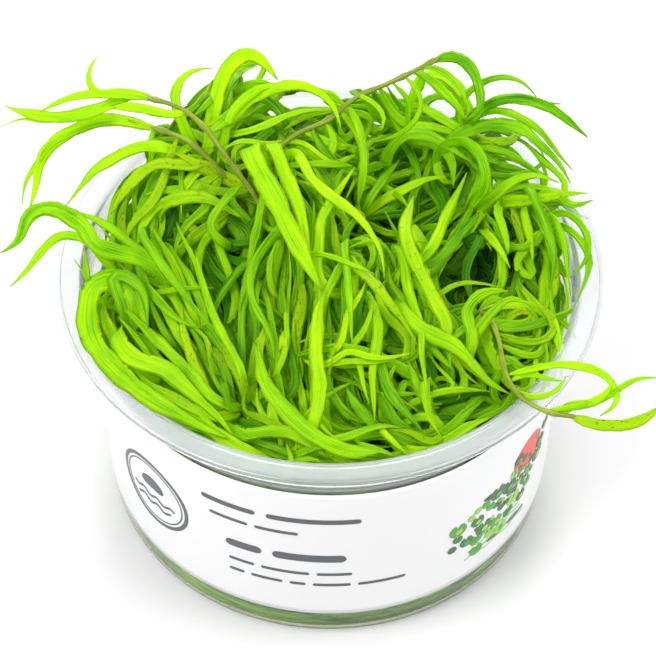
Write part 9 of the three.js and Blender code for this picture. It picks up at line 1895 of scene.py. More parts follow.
[0,18,-2,6,-366,-95,229,-352,-131,263,-335,-166,288,-312,-207,308,-285,-250,318,-258,-287,315,-229,-326,298],
[0,20,-20,6,-357,-75,76,-335,-116,98,-306,-157,123,-276,-191,147,-239,-225,173,-204,-252,197],
[0,23,-1,6,-357,-75,76,-331,-71,119,-302,-69,167,-276,-69,211,-251,-73,255,-224,-80,304,-199,-91,348],
[0,18,7,3,-381,-148,482,-400,-138,506,-417,-119,526,-425,-90,538,-427,-64,557],
[0,17,14,4,-381,-148,482,-386,-192,515,-354,-231,518,-314,-270,530,-264,-295,536,-228,-331,530,-183,-356,511],
[0,21,-26,1,-380,-147,477,-363,-127,425,-335,-127,381,-299,-143,341,-294,-115,296,-276,-92,246,-242,-116,240,-235,-151,279,-230,-188,325],
[0,16,-11,2,-381,-148,482,-348,-172,466,-342,-151,417,-315,-170,382,-298,-213,404,-295,-247,445],
[2,22,-43,6,-358,-76,81,-321,-66,122,-284,-59,164,-245,-54,204,-202,-52,241],
[2,26,24,8,-366,-96,240,-316,-90,250,-271,-81,260,-227,-69,266,-178,-51,266],
[2,20,50,5,-360,-80,117,-335,-35,120,-309,8,117,-283,51,108,-254,95,88,-230,131,62,-208,162,29],
[2,18,39,5,-356,-74,55,-341,-34,92,-326,8,126,-308,57,157,-290,108,174,-272,161,171,-256,207,145],
[2,21,11,7,-366,-95,234,-369,-68,284,-361,-35,328,-339,2,355,-301,41,350],
[1,39,4,10,-368,-166,368,-380,-132,378,-390,-98,394,-401,-64,419,-412,-29,451],
[1,29,-8,4,-374,-79,50,-362,-128,69,-343,-169,85,-318,-212,100,-289,-253,110,-260,-288,117,-224,-324,122],
[1,36,17,8,-351,-176,52,-328,-212,57,-303,-246,67,-281,-276,83,-254,-311,105],
[1,23,10,6,-386,-87,383,-390,-30,367,-387,31,353,-380,92,347,-370,149,346],
[1,22,17,6,-387,-60,15,-374,-111,19,-355,-159,24,-331,-205,32,-303,-250,42,-271,-291,54],
[1,30,-14,6,-349,-127,18,-368,-76,16,-375,-22,16,-375,32,18,-371,82,26,-357,136,38,-337,188,52],
[1,24,0,7,-364,-160,409,-354,-202,437,-334,-240,463,-320,-286,490,-290,-319,516,-255,-349,541,-218,-376,560,-178,-397,560],
[1,21,-15,6,-353,-113,315,-348,-165,282,-325,-212,254,-297,-251,233,-261,-289,215],
[1,30,-9,9,-361,-183,486,-338,-226,477,-312,-268,468,-276,-309,459,-239,-344,450],
[1,38,-11,6,-355,-119,338,-353,-156,330,-341,-191,318,-327,-220,303,-309,-252,283],
[1,34,4,9,-387,-44,17,-372,-90,22,-353,-132,27,-326,-176,32,-297,-211,36],
[2,29,13,5,-395,-40,26,-381,-92,28,-361,-143,30,-335,-189,33,-304,-232,35],
[1,34,10,8,-390,-95,12,-398,-36,10,-399,23,10,-392,77,10,-376,134,10],
[2,40,17,7,-378,-97,59,-384,-53,63,-386,-10,67,-385,33,70,-380,76,74],
[1,29,16,7,-385,-130,23,-387,-90,25,-386,-51,26,-387,-18,27,-388,20,28],
[2,26,28,6,-392,-80,11,-367,-135,10,-331,-181,10,-295,-217,10,-251,-250,10],
[1,26,-9,9,-373,-150,13,-388,-97,15,-393,-43,18,-396,11,20,-394,65,22],
[2,27,-29,6,-394,-102,27,-376,-155,30,-348,-204,32,-308,-243,35,-263,-274,37],
[2,33,1,8,-393,-104,31,-405,-45,34,-407,16,36,-400,76,39,-385,134,41],
[1,34,17,7,-366,-153,12,-347,-186,16,-323,-215,21,-293,-238,25,-259,-255,29],
[2,25,-27,6,-392,-32,28,-363,-90,30,-334,-138,31,-302,-181,33,-265,-224,35],
[1,27,-8,7,-399,-55,20,-405,-16,20,-405,22,20,-400,67,20,-392,104,20],
[1,27,25,5,-344,-185,11,-320,-208,10,-293,-234,10,-267,-261,10,-246,-284,10],
[2,36,-18,7,-397,-92,49,-373,-148,47,-339,-197,45,-303,-235,44,-258,-269,42],
[1,31,-27,6,-360,-191,43,-340,-219,46,-314,-249,50,-287,-277,54,-263,-300,58],
[2,31,11,6,-350,-34,32,-347,-73,29,-344,-112,26,-340,-149,24,-335,-192,21],
[2,25,0,8,-362,-181,53,-383,-141,57,-395,-104,60,-403,-65,63,-407,-21,66],
[2,26,-6,7,-365,-147,15,-367,-88,19,-362,-31,22,-351,17,26,-334,67,29],
[1,25,22,5,-340,-79,58,-343,-45,57,-346,-12,56,-350,22,55,-354,57,54],
[1,24,23,5,-391,-36,34,-397,7,34,-395,51,35,-383,98,35,-364,137,35],
[1,31,-22,9,-397,-74,16,-386,-117,16,-372,-159,17,-352,-199,18,-328,-236,18],
[2,40,24,8,-375,-140,61,-400,-84,65,-408,-24,69,-408,31,74,-398,92,78],
[2,30,4,8,-396,-101,64,-406,-46,69,-409,9,74,-405,58,78,-393,112,83],
[1,26,-26,8,-399,-84,48,-378,-141,49,-347,-191,51,-310,-231,52,-264,-265,54],
[1,27,1,7,-384,-108,63,-391,-53,60,-393,1,56,-393,55,53,-388,111,49],
[1,40,4,6,-386,-44,22,-383,8,23,-370,59,24,-349,100,24,-317,139,25],
[2,38,-2,8,-359,-179,37,-332,-208,39,-304,-234,40,-281,-255,41,-253,-279,42],
[1,31,15,7,-362,-43,29,-354,-92,29,-335,-137,30,-306,-177,31,-269,-208,31],
[1,31,22,5,-365,-112,18,-348,-151,18,-321,-190,18,-287,-222,18,-253,-245,18],
[2,15,13,2,-327,-40,42,-277,-52,43,-232,-63,43,-182,-75,44,-132,-88,45,-87,-100,45,-37,-114,46]]),
("plantlet_26",
[-151,-332,24,-144,-322,81,-134,-311,143,-124,-301,200,-112,-290,261,-98,-281,317,-82,-271,378,-66,-262,434],
[[0,26,38,6,-66,-262,434,-43,-294,466,-17,-332,490,15,-377,502,44,-418,495],
[0,20,-43,6,-81,-270,383,-78,-299,426,-67,-327,462,-46,-358,498,-19,-387,523,20,-417,538],
[0,23,32,6,-109,-288,271,-112,-248,305,-122,-202,337,-140,-154,359,-162,-109,369,-189,-65,366,-222,-23,348],
[0,27,37,6,-122,-299,210,-100,-296,246,-77,-287,280,-48,-269,312,-19,-243,325],
[0,20,-17,3,-72,-265,414,-27,-275,409,4,-304,428,33,-339,453,59,-371,478],
[0,24,-25,6,-66,-262,434,-55,-283,447,-30,-290,446,2,-297,446,29,-300,446],
[2,23,22,6,-93,-277,338,-48,-254,345,0,-224,341,40,-192,318,65,-165,282],
[2,27,-33,2,-129,-305,174,-109,-278,207,-91,-245,242,-79,-210,270,-67,-165,292,-61,-119,299],
[1,34,11,4,-93,-359,123,-147,-351,122,-197,-328,128,-248,-296,146,-292,-261,170],
[1,27,-3,5,-140,-349,23,-195,-334,22,-243,-303,20,-288,-261,17,-323,-216,14,-354,-167,14],
[1,29,-7,4,-152,-340,97,-98,-366,103,-43,-378,108,17,-381,114,72,-376,118,131,-361,122],
[1,39,-15,5,-132,-358,134,-181,-339,100,-221,-311,65,-261,-276,23,-295,-241,16,-330,-201,16],
[2,24,11,4,-223,-331,11,-254,-308,10,-282,-283,10,-304,-259,10,-328,-228,10],
[2,37,-15,5,-114,-382,54,-76,-389,55,-37,-389,56,7,-379,57,43,-362,58],
[1,25,-8,5,-99,-389,35,-55,-392,40,-11,-390,45,36,-382,51,77,-369,56],
[1,23,-9,6,-153,-377,28,-111,-392,28,-67,-401,28,-16,-407,27,29,-406,27],
[2,32,5,3,-88,-382,15,-126,-358,18,-161,-334,22,-189,-312,25,-220,-286,29],
[2,34,8,7,-98,-341,19,-42,-349,23,10,-353,27,63,-354,31,123,-350,36],
[2,36,13,8,-86,-398,36,-140,-383,40,-196,-357,44,-248,-324,49,-290,-287,53],
[2,23,0,8,-209,-337,11,-251,-311,10,-287,-277,10,-316,-244,10,-344,-203,10],
[2,35,-5,6,-205,-346,61,-168,-358,63,-131,-368,64,-99,-374,66,-62,-378,67],
[2,24,-8,6,-189,-344,43,-233,-315,47,-267,-281,51,-292,-241,56,-311,-193,60],
[2,34,13,7,-125,-369,35,-85,-387,38,-43,-398,41,1,-401,44,45,-397,47],
[2,34,20,8,-221,-336,52,-175,-368,51,-123,-389,50,-74,-401,50,-18,-407,49],
[1,22,-9,7,-208,-327,46,-240,-306,45,-270,-282,44,-294,-259,44,-319,-229,43],
[1,39,28,5,-190,-305,55,-153,-319,53,-115,-329,51,-77,-332,49,-39,-331,47],
[1,38,-5,7,-88,-385,20,-143,-376,24,-195,-357,27,-238,-330,30,-282,-294,34],
[1,34,6,2,-223,-320,57,-267,-281,55,-302,-235,53,-329,-178,51,-341,-123,49],
[1,40,-25,7,-89,-393,15,-134,-374,19,-175,-346,23,-214,-310,28,-243,-272,32],
[2,33,5,8,-195,-299,13,-229,-278,15,-262,-256,17,-302,-231,20,-340,-205,23],
[2,38,-21,4,-164,-316,46,-128,-319,46,-93,-320,45,-56,-324,45,-24,-327,44],
[2,23,7,7,-165,-370,20,-214,-344,20,-255,-315,20,-292,-281,20,-327,-237,20],
[1,28,16,7,-87,-381,45,-40,-390,43,8,-394,41,61,-392,39,108,-383,37,155,-369,35],
[1,39,23,5,-232,-326,11,-180,-345,16,-122,-357,21,-66,-361,26,-15,-358,30],
[1,33,16,6,-149,-370,31,-190,-344,29,-228,-315,26,-269,-282,23,-304,-249,20],
[1,29,-23,8,-223,-324,13,-252,-299,15,-276,-271,17,-296,-240,19,-310,-206,21],
[1,24,16,8,-129,-328,56,-158,-300,58,-183,-272,60,-206,-244,62,-226,-215,63],
[2,38,-18,4,-126,-322,25,-167,-309,29,-206,-288,33,-243,-258,38,-270,-225,42],
[1,30,14,7,-214,-307,15,-166,-326,16,-121,-335,17,-76,-337,19,-28,-330,20],
[1,31,11,8,-172,-366,46,-137,-384,45,-100,-395,45,-56,-404,44,-17,-407,44],
[2,37,4,8,-113,-393,66,-155,-378,64,-196,-358,62,-230,-337,60,-265,-310,58],
[1,24,-25,6,-191,-349,13,-142,-358,15,-95,-362,16,-49,-364,17,-5,-363,19]]),
("plantlet_27",
[273,-243,24,271,-251,85,268,-258,147,262,-265,213,256,-269,274,248,-272,336,234,-275,401,219,-277,461,202,-278,521],
[[0,23,24,6,202,-278,521,165,-267,562,121,-256,595,75,-246,615,20,-236,619,-33,-228,602,-77,-222,567],
[0,28,-46,6,250,-272,320,237,-282,369,225,-288,424,218,-290,481,214,-287,532],
[0,27,8,6,272,-250,80,240,-240,106,208,-231,132,171,-221,159,137,-214,182],
[0,17,17,6,266,-261,172,284,-230,208,301,-198,243,318,-164,278,334,-130,311,349,-94,344,364,-57,375,379,-18,404],
[0,19,10,8,202,-278,521,184,-270,552,169,-283,588,171,-318,587,178,-359,579,196,-391,570],
[0,13,6,7,202,-278,521,185,-303,544,162,-304,572,152,-277,586,138,-244,599],
[0,15,3,7,202,-278,521,209,-320,528,203,-360,538,180,-387,548,143,-378,560,103,-376,565],
[0,11,23,9,202,-278,521,166,-256,552,149,-222,586,151,-188,625,140,-143,650],
[0,18,-5,10,202,-278,521,166,-261,554,137,-232,576,141,-192,596,108,-156,609,86,-110,622,83,-66,637],
[0,15,-14,7,202,-278,521,184,-281,532,162,-280,547,141,-270,561,121,-270,566],
[0,17,7,7,202,-278,521,180,-249,557,178,-206,584,184,-154,605,173,-108,625],
[0,17,-22,5,202,-278,521,185,-244,563,149,-212,581,102,-197,578,102,-149,598],
[0,11,25,9,202,-278,521,231,-282,551,205,-254,563,171,-276,547,177,-317,535],
[0,17,14,7,209,-278,496,219,-335,498,191,-371,525,172,-318,525,131,-295,553,87,-281,584],
[0,18,25,8,202,-278,521,220,-277,541,240,-265,555,234,-245,571,216,-229,585],
[0,15,-13,5,202,-278,521,218,-254,561,207,-212,588,200,-158,600,182,-111,603,161,-80,637],
[0,13,-6,8,202,-278,521,160,-257,544,125,-225,563,153,-191,577,130,-148,595,97,-110,608,86,-61,618,89,-12,633],
[0,13,-16,10,202,-278,521,174,-252,555,170,-210,573,164,-162,593,163,-119,613,154,-75,638],
[0,22,14,4,202,-278,521,225,-301,520,258,-296,519,291,-278,513,322,-268,510],
[0,13,-4,7,202,-278,521,216,-253,551,202,-221,571,187,-190,583,193,-153,601],
[0,10,1,6,202,-278,521,218,-268,532,241,-259,542,268,-257,541,287,-264,532],
[0,10,-18,5,215,-278,476,226,-333,485,191,-355,513,141,-334,533,100,-310,563],
[0,8,6,6,212,-278,486,225,-327,493,203,-361,510,157,-345,526,109,-335,537,66,-319,540,43,-282,554,41,-239,580],
[0,28,21,6,222,-277,451,175,-309,446,136,-307,430,130,-271,386,124,-235,342,106,-204,299,81,-231,328,70,-267,372,64,-303,416,51,-335,454,15,-367,484],
[2,24,-52,7,272,-247,55,283,-205,82,283,-154,108,268,-101,122,243,-57,121],
[2,16,-27,8,231,-276,416,179,-264,436,124,-254,445,64,-245,435,17,-241,404,-17,-240,359],
[1,39,-14,6,312,-223,52,283,-254,67,253,-282,79,219,-314,88,186,-342,94],
[1,31,-3,6,325,-225,33,296,-258,33,265,-288,37,230,-322,50,197,-353,68],
[1,21,-16,7,210,-305,18,251,-277,19,287,-243,23,318,-203,32,343,-160,47,364,-114,64],
[1,39,18,1,313,-246,46,339,-209,52,360,-169,57,377,-133,59,395,-91,61],
[1,22,-5,9,297,-236,187,340,-198,196,366,-152,205,386,-98,214,399,-47,224,408,12,234],
[1,26,12,10,261,-245,45,299,-224,51,327,-193,58,352,-152,66,368,-112,72],
[1,23,16,10,276,-290,393,313,-265,427,345,-230,462,386,-196,491,406,-154,513,421,-111,531,432,-61,547],
[1,38,15,6,251,-263,58,218,-307,62,174,-339,71,120,-364,90,67,-378,113],
[1,24,3,5,341,-183,39,322,-234,40,290,-277,39,247,-318,37,202,-348,33],
[1,23,7,10,323,-187,33,355,-147,31,372,-103,31,383,-53,32,387,-6,36,386,46,43,381,93,52,369,144,63],
[1,35,-9,9,276,-294,376,236,-322,375,194,-347,368,147,-371,352,101,-388,332],
[1,33,-16,5,235,-318,234,210,-344,243,181,-365,257,149,-382,280,115,-395,309],
[1,23,-10,7,262,-291,463,230,-335,476,195,-374,487,145,-399,499,96,-415,508,41,-427,516,-11,-433,523,-68,-433,530],
[1,26,1,9,267,-295,445,235,-327,411,198,-352,384,163,-373,369,122,-395,359],
[1,25,-11,8,254,-306,491,304,-280,496,343,-241,503,371,-199,512,395,-149,526,412,-95,541],
[1,30,-14,7,285,-249,43,320,-223,61,346,-189,75,368,-147,85,383,-106,90],
[1,31,3,6,336,-166,16,315,-203,16,290,-237,16,260,-273,16,231,-305,16],
[1,37,-11,9,300,-268,146,261,-308,131,219,-339,117,174,-364,103,121,-384,85,66,-396,66,15,-401,49],
[1,24,-5,7,254,-284,115,232,-316,136,202,-341,158,173,-360,181,139,-379,208],
[1,35,5,5,192,-319,57,236,-308,66,273,-285,71,309,-252,69,337,-218,63],
[1,28,-16,4,231,-311,157,187,-347,176,135,-372,192,81,-390,203,24,-399,212],
[1,32,17,8,225,-318,44,181,-351,53,135,-374,63,82,-390,78,27,-398,98,-25,-400,120,-81,-393,146],
[1,24,8,9,207,-308,363,184,-336,369,154,-356,380,119,-376,400,85,-392,424],
[1,28,-19,7,217,-321,200,246,-301,176,272,-277,157,300,-248,142,323,-221,134],
[1,25,-11,7,210,-334,363,247,-313,337,280,-286,318,311,-257,308,340,-224,306],
[2,37,-21,9,354,-202,65,324,-249,67,287,-291,69,241,-330,72,194,-360,74],
[2,32,25,6,213,-335,59,244,-315,60,276,-293,62,307,-269,63,332,-238,64],
[1,27,-27,8,303,-265,13,337,-223,18,364,-180,23,384,-135,27,399,-81,33],
[2,37,24,7,244,-308,38,276,-265,43,302,-219,49,321,-178,54,338,-131,59],
[2,35,23,6,298,-274,28,323,-237,26,341,-197,25,353,-149,24,356,-106,22],
[1,38,-14,8,337,-221,14,362,-178,16,382,-133,18,397,-80,20,405,-31,22],
[1,36,-2,5,289,-284,25,253,-318,27,212,-347,28,168,-371,29,122,-388,31,73,-400,32],
[1,37,-2,2,193,-352,52,230,-337,56,262,-313,59,287,-290,62,314,-261,66],
[1,29,8,6,277,-243,51,237,-274,54,189,-300,57,139,-318,60,93,-328,62],
[1,25,5,8,326,-220,61,299,-253,64,270,-286,68,237,-323,72,204,-354,75],
[2,27,23,5,320,-229,56,293,-269,52,262,-308,49,224,-340,45,181,-365,42],
[1,27,7,3,299,-217,28,259,-249,25,214,-278,22,168,-305,18,125,-325,15],
[2,23,-22,4,326,-226,19,298,-274,19,263,-308,19,224,-337,19,176,-364,19],
[2,28,-24,6,320,-249,22,350,-203,24,373,-152,25,391,-100,27,402,-46,29],
[1,34,-27,7,200,-353,21,238,-320,22,270,-282,22,298,-243,22,323,-202,22],
[1,39,23,7,347,-208,19,320,-249,22,288,-287,24,255,-317,26,214,-346,28,170,-370,30],
[2,33,-25,5,282,-295,47,238,-330,45,194,-353,44,148,-370,42,95,-380,40],
[2,26,-23,7,248,-290,30,210,-318,27,169,-343,24,123,-370,21,78,-392,18],
[1,36,8,8,227,-333,32,184,-347,31,141,-360,30,105,-370,29,63,-380,28],
[2,29,28,9,352,-200,20,368,-159,21,376,-116,22,375,-67,24,366,-25,25],
[1,27,27,7,347,-171,32,362,-131,32,370,-94,32,373,-58,32,372,-16,31],
[1,30,-21,9,245,-286,41,202,-304,41,160,-320,41,114,-336,41,73,-348,41],
[2,27,14,9,344,-194,63,370,-153,61,389,-108,60,401,-60,58,405,-11,56,402,38,54],
[2,33,-13,7,356,-169,54,323,-211,56,285,-247,59,244,-278,61,201,-302,63],
[1,37,18,7,282,-271,11,322,-235,14,356,-191,17,380,-142,21,397,-89,24],
[2,24,-13,9,220,-327,24,251,-289,28,276,-249,32,299,-203,36,315,-162,40],
[2,26,-7,6,209,-330,60,249,-311,58,286,-286,56,318,-255,53,344,-219,51],
[2,29,-8,7,313,-246,33,283,-286,36,249,-323,39,207,-351,43,162,-374,46,115,-391,49],
[1,39,19,5,281,-237,44,261,-275,46,231,-314,49,194,-346,51,156,-369,53],
[1,33,-22,7,369,-167,23,382,-124,20,391,-80,18,395,-41,15,395,3,13],
[2,29,-27,6,235,-271,57,212,-301,57,186,-326,57,150,-349,57,116,-364,57],
[2,23,-25,8,299,-251,47,330,-215,46,357,-174,45,380,-125,44,394,-78,43,402,-29,42],
[1,37,-4,6,266,-281,34,226,-323,29,181,-363,25,125,-386,21,67,-398,17],
[1,23,15,5,367,-169,55,338,-216,56,301,-256,57,251,-290,59,202,-310,60],
[2,38,-2,5,309,-266,37,273,-300,35,232,-328,34,185,-354,33,139,-372,31,93,-384,30],
[1,29,28,4,357,-164,19,364,-115,25,367,-68,30,368,-17,36,365,28,42],
[1,23,16,8,303,-256,21,280,-294,23,247,-323,25,206,-351,27,166,-371,29],
[2,34,-4,5,272,-282,12,307,-240,15,332,-199,17,352,-156,20,368,-105,23],
[1,40,19,3,368,-162,13,337,-214,10,301,-262,10,258,-304,10,210,-340,10],
[1,28,-22,5,330,-213,12,346,-172,11,354,-135,10,357,-97,10,354,-55,10],
[1,30,19,9,260,-309,59,293,-265,55,317,-223,52,336,-179,48,350,-129,45],
[2,26,23,5,276,-297,25,306,-258,30,333,-217,34,356,-174,39,375,-129,43],
[2,36,-27,5,202,-301,28,172,-329,26,133,-356,23,90,-376,21,48,-388,18],
[1,30,-22,6,278,-220,62,253,-243,66,226,-263,69,192,-281,74,161,-293,78],
[1,29,7,7,286,-281,17,247,-320,19,201,-351,22,144,-372,25,90,-379,27],
[2,15,-9,3,257,-190,19,285,-155,20,303,-120,21,307,-89,22,303,-52,23]]),
("plantlet_28",
[-194,307,24,-196,307,80,-198,308,141,-200,308,197,-202,309,258,-205,309,314,-207,312,369,-211,318,430,-214,326,485,-218,337,545,-222,347,600],
[[0,25,-35,6,-222,347,600,-191,347,635,-159,340,670,-126,326,700,-90,306,724],
[0,20,20,6,-207,312,369,-175,315,410,-139,321,447,-95,331,474,-46,343,485],
[0,21,-6,6,-196,307,90,-172,284,128,-147,262,167,-120,242,205,-95,226,240,-66,209,278,-35,194,316,-3,181,353],
[0,25,31,6,-203,309,283,-177,326,324,-145,344,361,-104,365,394,-61,385,415,-14,404,424],
[0,10,-24,5,-222,347,600,-209,361,650,-194,356,705,-185,317,736,-196,260,739,-195,217,710],
[0,10,-1,6,-222,347,600,-207,398,589,-212,445,605,-229,404,629,-236,356,650,-264,320,653],
[0,12,7,8,-220,343,580,-202,391,553,-183,436,535,-156,486,537,-130,518,575,-159,484,608,-175,443,636,-185,395,667,-196,346,695,-208,300,716,-208,244,729],
[0,18,12,3,-220,341,570,-178,322,581,-164,289,610,-202,273,643,-241,255,664],
[0,30,-2,2,-222,347,600,-268,332,615,-290,291,609,-296,250,579,-303,206,579,-309,158,596,-331,116,581],
[0,20,-24,7,-211,318,430,-160,323,442,-107,330,440,-73,313,458,-66,277,496,-65,241,535,-54,209,568,-23,179,599,19,188,585],
[0,22,-14,1,-222,347,600,-269,320,616,-292,275,595,-311,229,558,-341,202,520],
[0,17,9,1,-222,347,600,-257,310,610,-237,268,605,-220,243,574,-214,239,522],
[0,24,21,0,-222,347,600,-263,345,630,-295,309,611,-320,270,618,-352,229,630],
[0,24,22,2,-221,344,585,-190,303,585,-174,273,542,-175,281,486,-176,300,437],
[0,24,-17,5,-222,347,600,-255,304,616,-277,267,590,-276,217,567,-274,168,586,-275,122,565,-279,133,516,-282,169,472,-285,196,427,-289,214,373],
[0,14,-16,5,-221,346,595,-277,346,586,-305,308,565,-304,247,557,-311,201,531,-321,202,475,-326,151,493],
[0,14,28,3,-222,347,600,-200,316,628,-199,270,652,-205,246,621,-211,254,569,-219,239,525],
[0,18,12,5,-222,347,600,-176,373,603,-129,380,607,-93,353,612,-100,302,624,-117,257,612,-129,216,621],
[0,17,-2,2,-222,347,600,-206,383,635,-189,354,651,-191,309,622,-207,273,587,-235,246,551],
[0,25,-22,4,-222,347,600,-261,318,614,-298,282,615,-328,235,608,-354,194,591,-378,154,570],
[0,16,-8,4,-216,331,515,-203,280,534,-160,262,536,-137,221,566,-123,181,596,-102,135,620],
[0,19,25,4,-222,347,600,-221,307,641,-220,253,659,-221,255,614,-222,262,559,-223,224,525,-221,174,550,-220,127,584,-219,74,605],
[0,22,15,4,-222,347,600,-238,297,619,-217,270,580,-187,266,526,-153,225,527],
[0,29,0,3,-222,347,600,-182,328,637,-129,318,634,-118,294,581,-113,310,526,-107,330,472],
[0,22,7,1,-217,334,530,-177,301,538,-187,258,547,-238,250,542,-284,231,553],
[0,18,-5,2,-217,334,530,-193,285,545,-223,248,528,-242,199,543,-247,154,578,-259,105,604],
[0,27,13,1,-222,347,600,-172,330,621,-136,298,617,-118,309,566,-96,296,529,-81,246,547,-76,206,580,-61,153,593],
[0,30,-18,6,-208,312,374,-212,262,382,-210,215,403,-205,172,430,-202,133,463,-198,93,494,-195,53,526,-191,10,554,-186,-39,566],
[0,28,-23,2,-222,347,600,-213,296,603,-181,284,558,-146,250,552,-113,207,570],
[0,20,-21,4,-222,347,600,-214,300,630,-221,274,597,-229,257,544,-231,213,536,-229,167,569,-227,119,600,-224,65,620],
[0,14,-5,3,-222,347,600,-186,360,637,-178,398,664,-208,420,630,-240,418,607,-266,386,601,-270,345,632,-284,309,622],
[0,20,12,2,-222,347,600,-251,312,606,-280,277,600,-315,243,590,-336,216,565],
[0,21,-21,1,-222,347,600,-263,328,612,-276,287,606,-251,264,582,-224,229,566],
[0,30,-14,1,-64,415,617,-75,390,642,-98,355,672,-137,347,669,-186,346,646],
[0,29,-22,2,-222,347,600,-192,358,601,-202,327,603,-209,301,608,-219,271,614],
[0,27,-26,2,-222,347,600,-180,374,621,-183,402,652,-212,408,608,-250,388,586,-277,338,599,-311,307,577],
[0,23,-26,3,-222,347,600,-258,310,598,-253,266,573,-263,223,537,-289,199,501],
[0,30,-1,5,-222,347,600,-189,361,633,-147,367,666,-108,342,671,-134,307,670,-162,310,624,-194,302,589],
[0,27,3,3,-219,339,555,-223,285,573,-213,241,558,-196,264,510,-190,292,466,-182,307,413,-172,277,392,-170,227,421,-169,185,450,-168,140,485],
[2,21,-25,7,-199,308,176,-150,330,196,-97,346,205,-37,354,198,13,352,172],
[2,20,-16,8,-202,309,263,-196,270,278,-192,228,279,-192,191,261,-194,165,228],
[2,17,-27,6,-207,311,364,-172,341,398,-129,369,421,-78,393,424,-27,411,406],
[2,26,-23,5,-209,314,400,-179,282,426,-145,245,438,-114,211,434,-83,175,415],
[1,36,-4,6,-177,360,386,-215,339,409,-254,309,434,-286,280,456,-316,247,477,-356,221,498,-384,178,521,-406,137,541],
[1,32,-8,7,-226,313,262,-265,286,248,-297,252,236,-329,211,224,-356,171,216,-380,129,209],
[1,31,-10,5,-297,264,272,-258,306,278,-215,339,283,-168,365,288,-114,385,293,-57,399,298,-4,403,303],
[1,36,-6,7,-204,313,33,-173,343,27,-135,363,23,-90,380,22,-49,393,23],
[1,30,-4,8,-192,348,219,-234,324,215,-272,294,207,-308,255,190,-336,216,169],
[1,21,-11,7,-193,350,48,-145,374,55,-94,390,64,-37,400,76,16,403,89,70,400,103],
[1,37,-15,5,-193,337,17,-235,298,16,-270,262,16,-307,227,21,-346,185,39],
[1,39,-7,8,-192,347,468,-147,377,473,-98,401,481,-51,424,491,6,436,504],
[1,25,18,8,-164,347,420,-125,375,440,-83,389,460,-37,410,485,8,422,512,59,426,544],
[1,27,13,5,-227,311,121,-181,338,93,-135,357,71,-84,372,53,-36,380,43,18,384,36],
[1,22,3,5,-282,275,183,-304,242,185,-327,205,187,-352,169,189,-375,135,190],
[1,35,-10,8,-177,335,361,-218,321,350,-256,292,335,-290,258,316,-318,225,293,-343,189,267,-369,148,236],
[1,33,-4,9,-244,335,424,-282,302,434,-317,264,439,-345,228,436,-373,185,429],
[1,33,16,9,-160,373,478,-210,363,498,-248,338,514,-283,309,527,-319,274,535,-350,234,539,-375,196,541],
[1,27,5,6,-285,268,399,-322,238,419,-350,200,437,-372,157,451,-390,113,459,-405,67,463,-416,19,465],
[1,35,-13,5,-180,345,381,-225,325,359,-261,298,339,-297,262,319,-327,223,300,-352,184,285,-373,139,269],
[1,27,14,7,-223,333,270,-259,309,246,-293,276,219,-319,242,195,-343,206,172,-364,168,149,-383,125,123,-397,84,101],
[1,34,-17,9,-180,373,441,-137,393,459,-91,406,476,-46,430,494,-2,434,510,48,432,528,97,425,546,145,412,560],
[1,25,-15,7,-176,369,493,-124,391,505,-69,405,524,-18,414,550,39,418,560],
[1,31,13,5,-209,320,88,-186,350,118,-157,371,147,-124,387,175,-90,400,201],
[1,29,3,7,-279,263,36,-252,288,32,-223,312,37,-198,333,51,-168,357,75],
[1,32,18,9,-256,302,388,-221,331,401,-181,355,416,-139,373,431,-91,389,450,-46,398,468,1,417,487,49,419,507],
[1,30,-25,7,-237,311,31,-276,275,34,-312,235,38,-349,189,41,-380,143,45],
[1,23,-14,8,-175,345,36,-124,375,39,-68,394,41,-14,400,43,44,393,45],
[1,23,-7,9,-205,346,16,-236,321,15,-261,292,13,-278,264,12,-292,227,11],
[2,28,26,5,-164,342,20,-135,354,21,-105,361,22,-68,362,23,-37,356,23],
[1,33,-6,7,-288,288,26,-258,314,26,-226,338,27,-187,361,27,-151,378,27],
[2,35,-6,5,-168,358,40,-131,382,43,-89,398,47,-45,405,50,0,408,53],
[2,25,-17,8,-302,274,56,-331,228,60,-352,177,63,-363,125,66,-367,73,69],
[2,24,-21,7,-261,312,42,-282,271,45,-300,231,48,-316,193,51,-331,155,54],
[1,24,-22,9,-243,319,57,-205,343,61,-170,359,66,-134,371,70,-91,378,75],
[2,40,-18,4,-306,249,48,-332,220,52,-357,189,56,-380,150,60,-393,112,64],
[1,37,-17,9,-176,313,13,-132,323,11,-89,328,10,-47,332,10,-6,332,10],
[2,32,-24,7,-302,272,30,-255,303,34,-206,327,38,-162,346,42,-113,364,46],
[2,32,25,7,-281,284,27,-309,250,28,-335,214,30,-361,178,32,-383,139,34],
[1,38,-14,7,-220,337,24,-262,302,26,-298,255,29,-321,201,32,-332,150,34],
[1,36,1,7,-226,267,13,-247,240,16,-267,212,19,-285,184,21,-303,156,24],
[1,35,8,9,-296,251,17,-274,274,16,-249,294,15,-215,310,15,-184,319,14],
[1,22,-11,7,-222,322,66,-256,303,65,-286,278,64,-311,248,63,-331,214,61],
[2,24,22,7,-260,305,11,-217,338,14,-166,356,16,-115,369,19,-63,376,21],
[2,28,-24,7,-296,259,25,-263,287,26,-226,309,27,-191,322,28,-150,331,30],
[2,28,6,4,-260,297,12,-214,325,15,-171,345,18,-126,359,21,-76,369,24],
[1,30,-17,7,-259,285,26,-284,244,29,-306,203,32,-323,166,34,-338,124,37],
[2,26,-24,5,-245,306,51,-211,343,48,-169,371,45,-123,389,43,-74,401,40,-24,407,37],
[2,33,3,7,-287,269,40,-323,242,40,-348,212,41,-367,177,42,-384,136,42],
[2,28,13,9,-220,333,25,-179,361,25,-134,383,26,-80,399,26,-30,406,26],
[2,30,-19,7,-224,262,43,-188,293,41,-142,318,39,-92,331,37,-46,334,35],
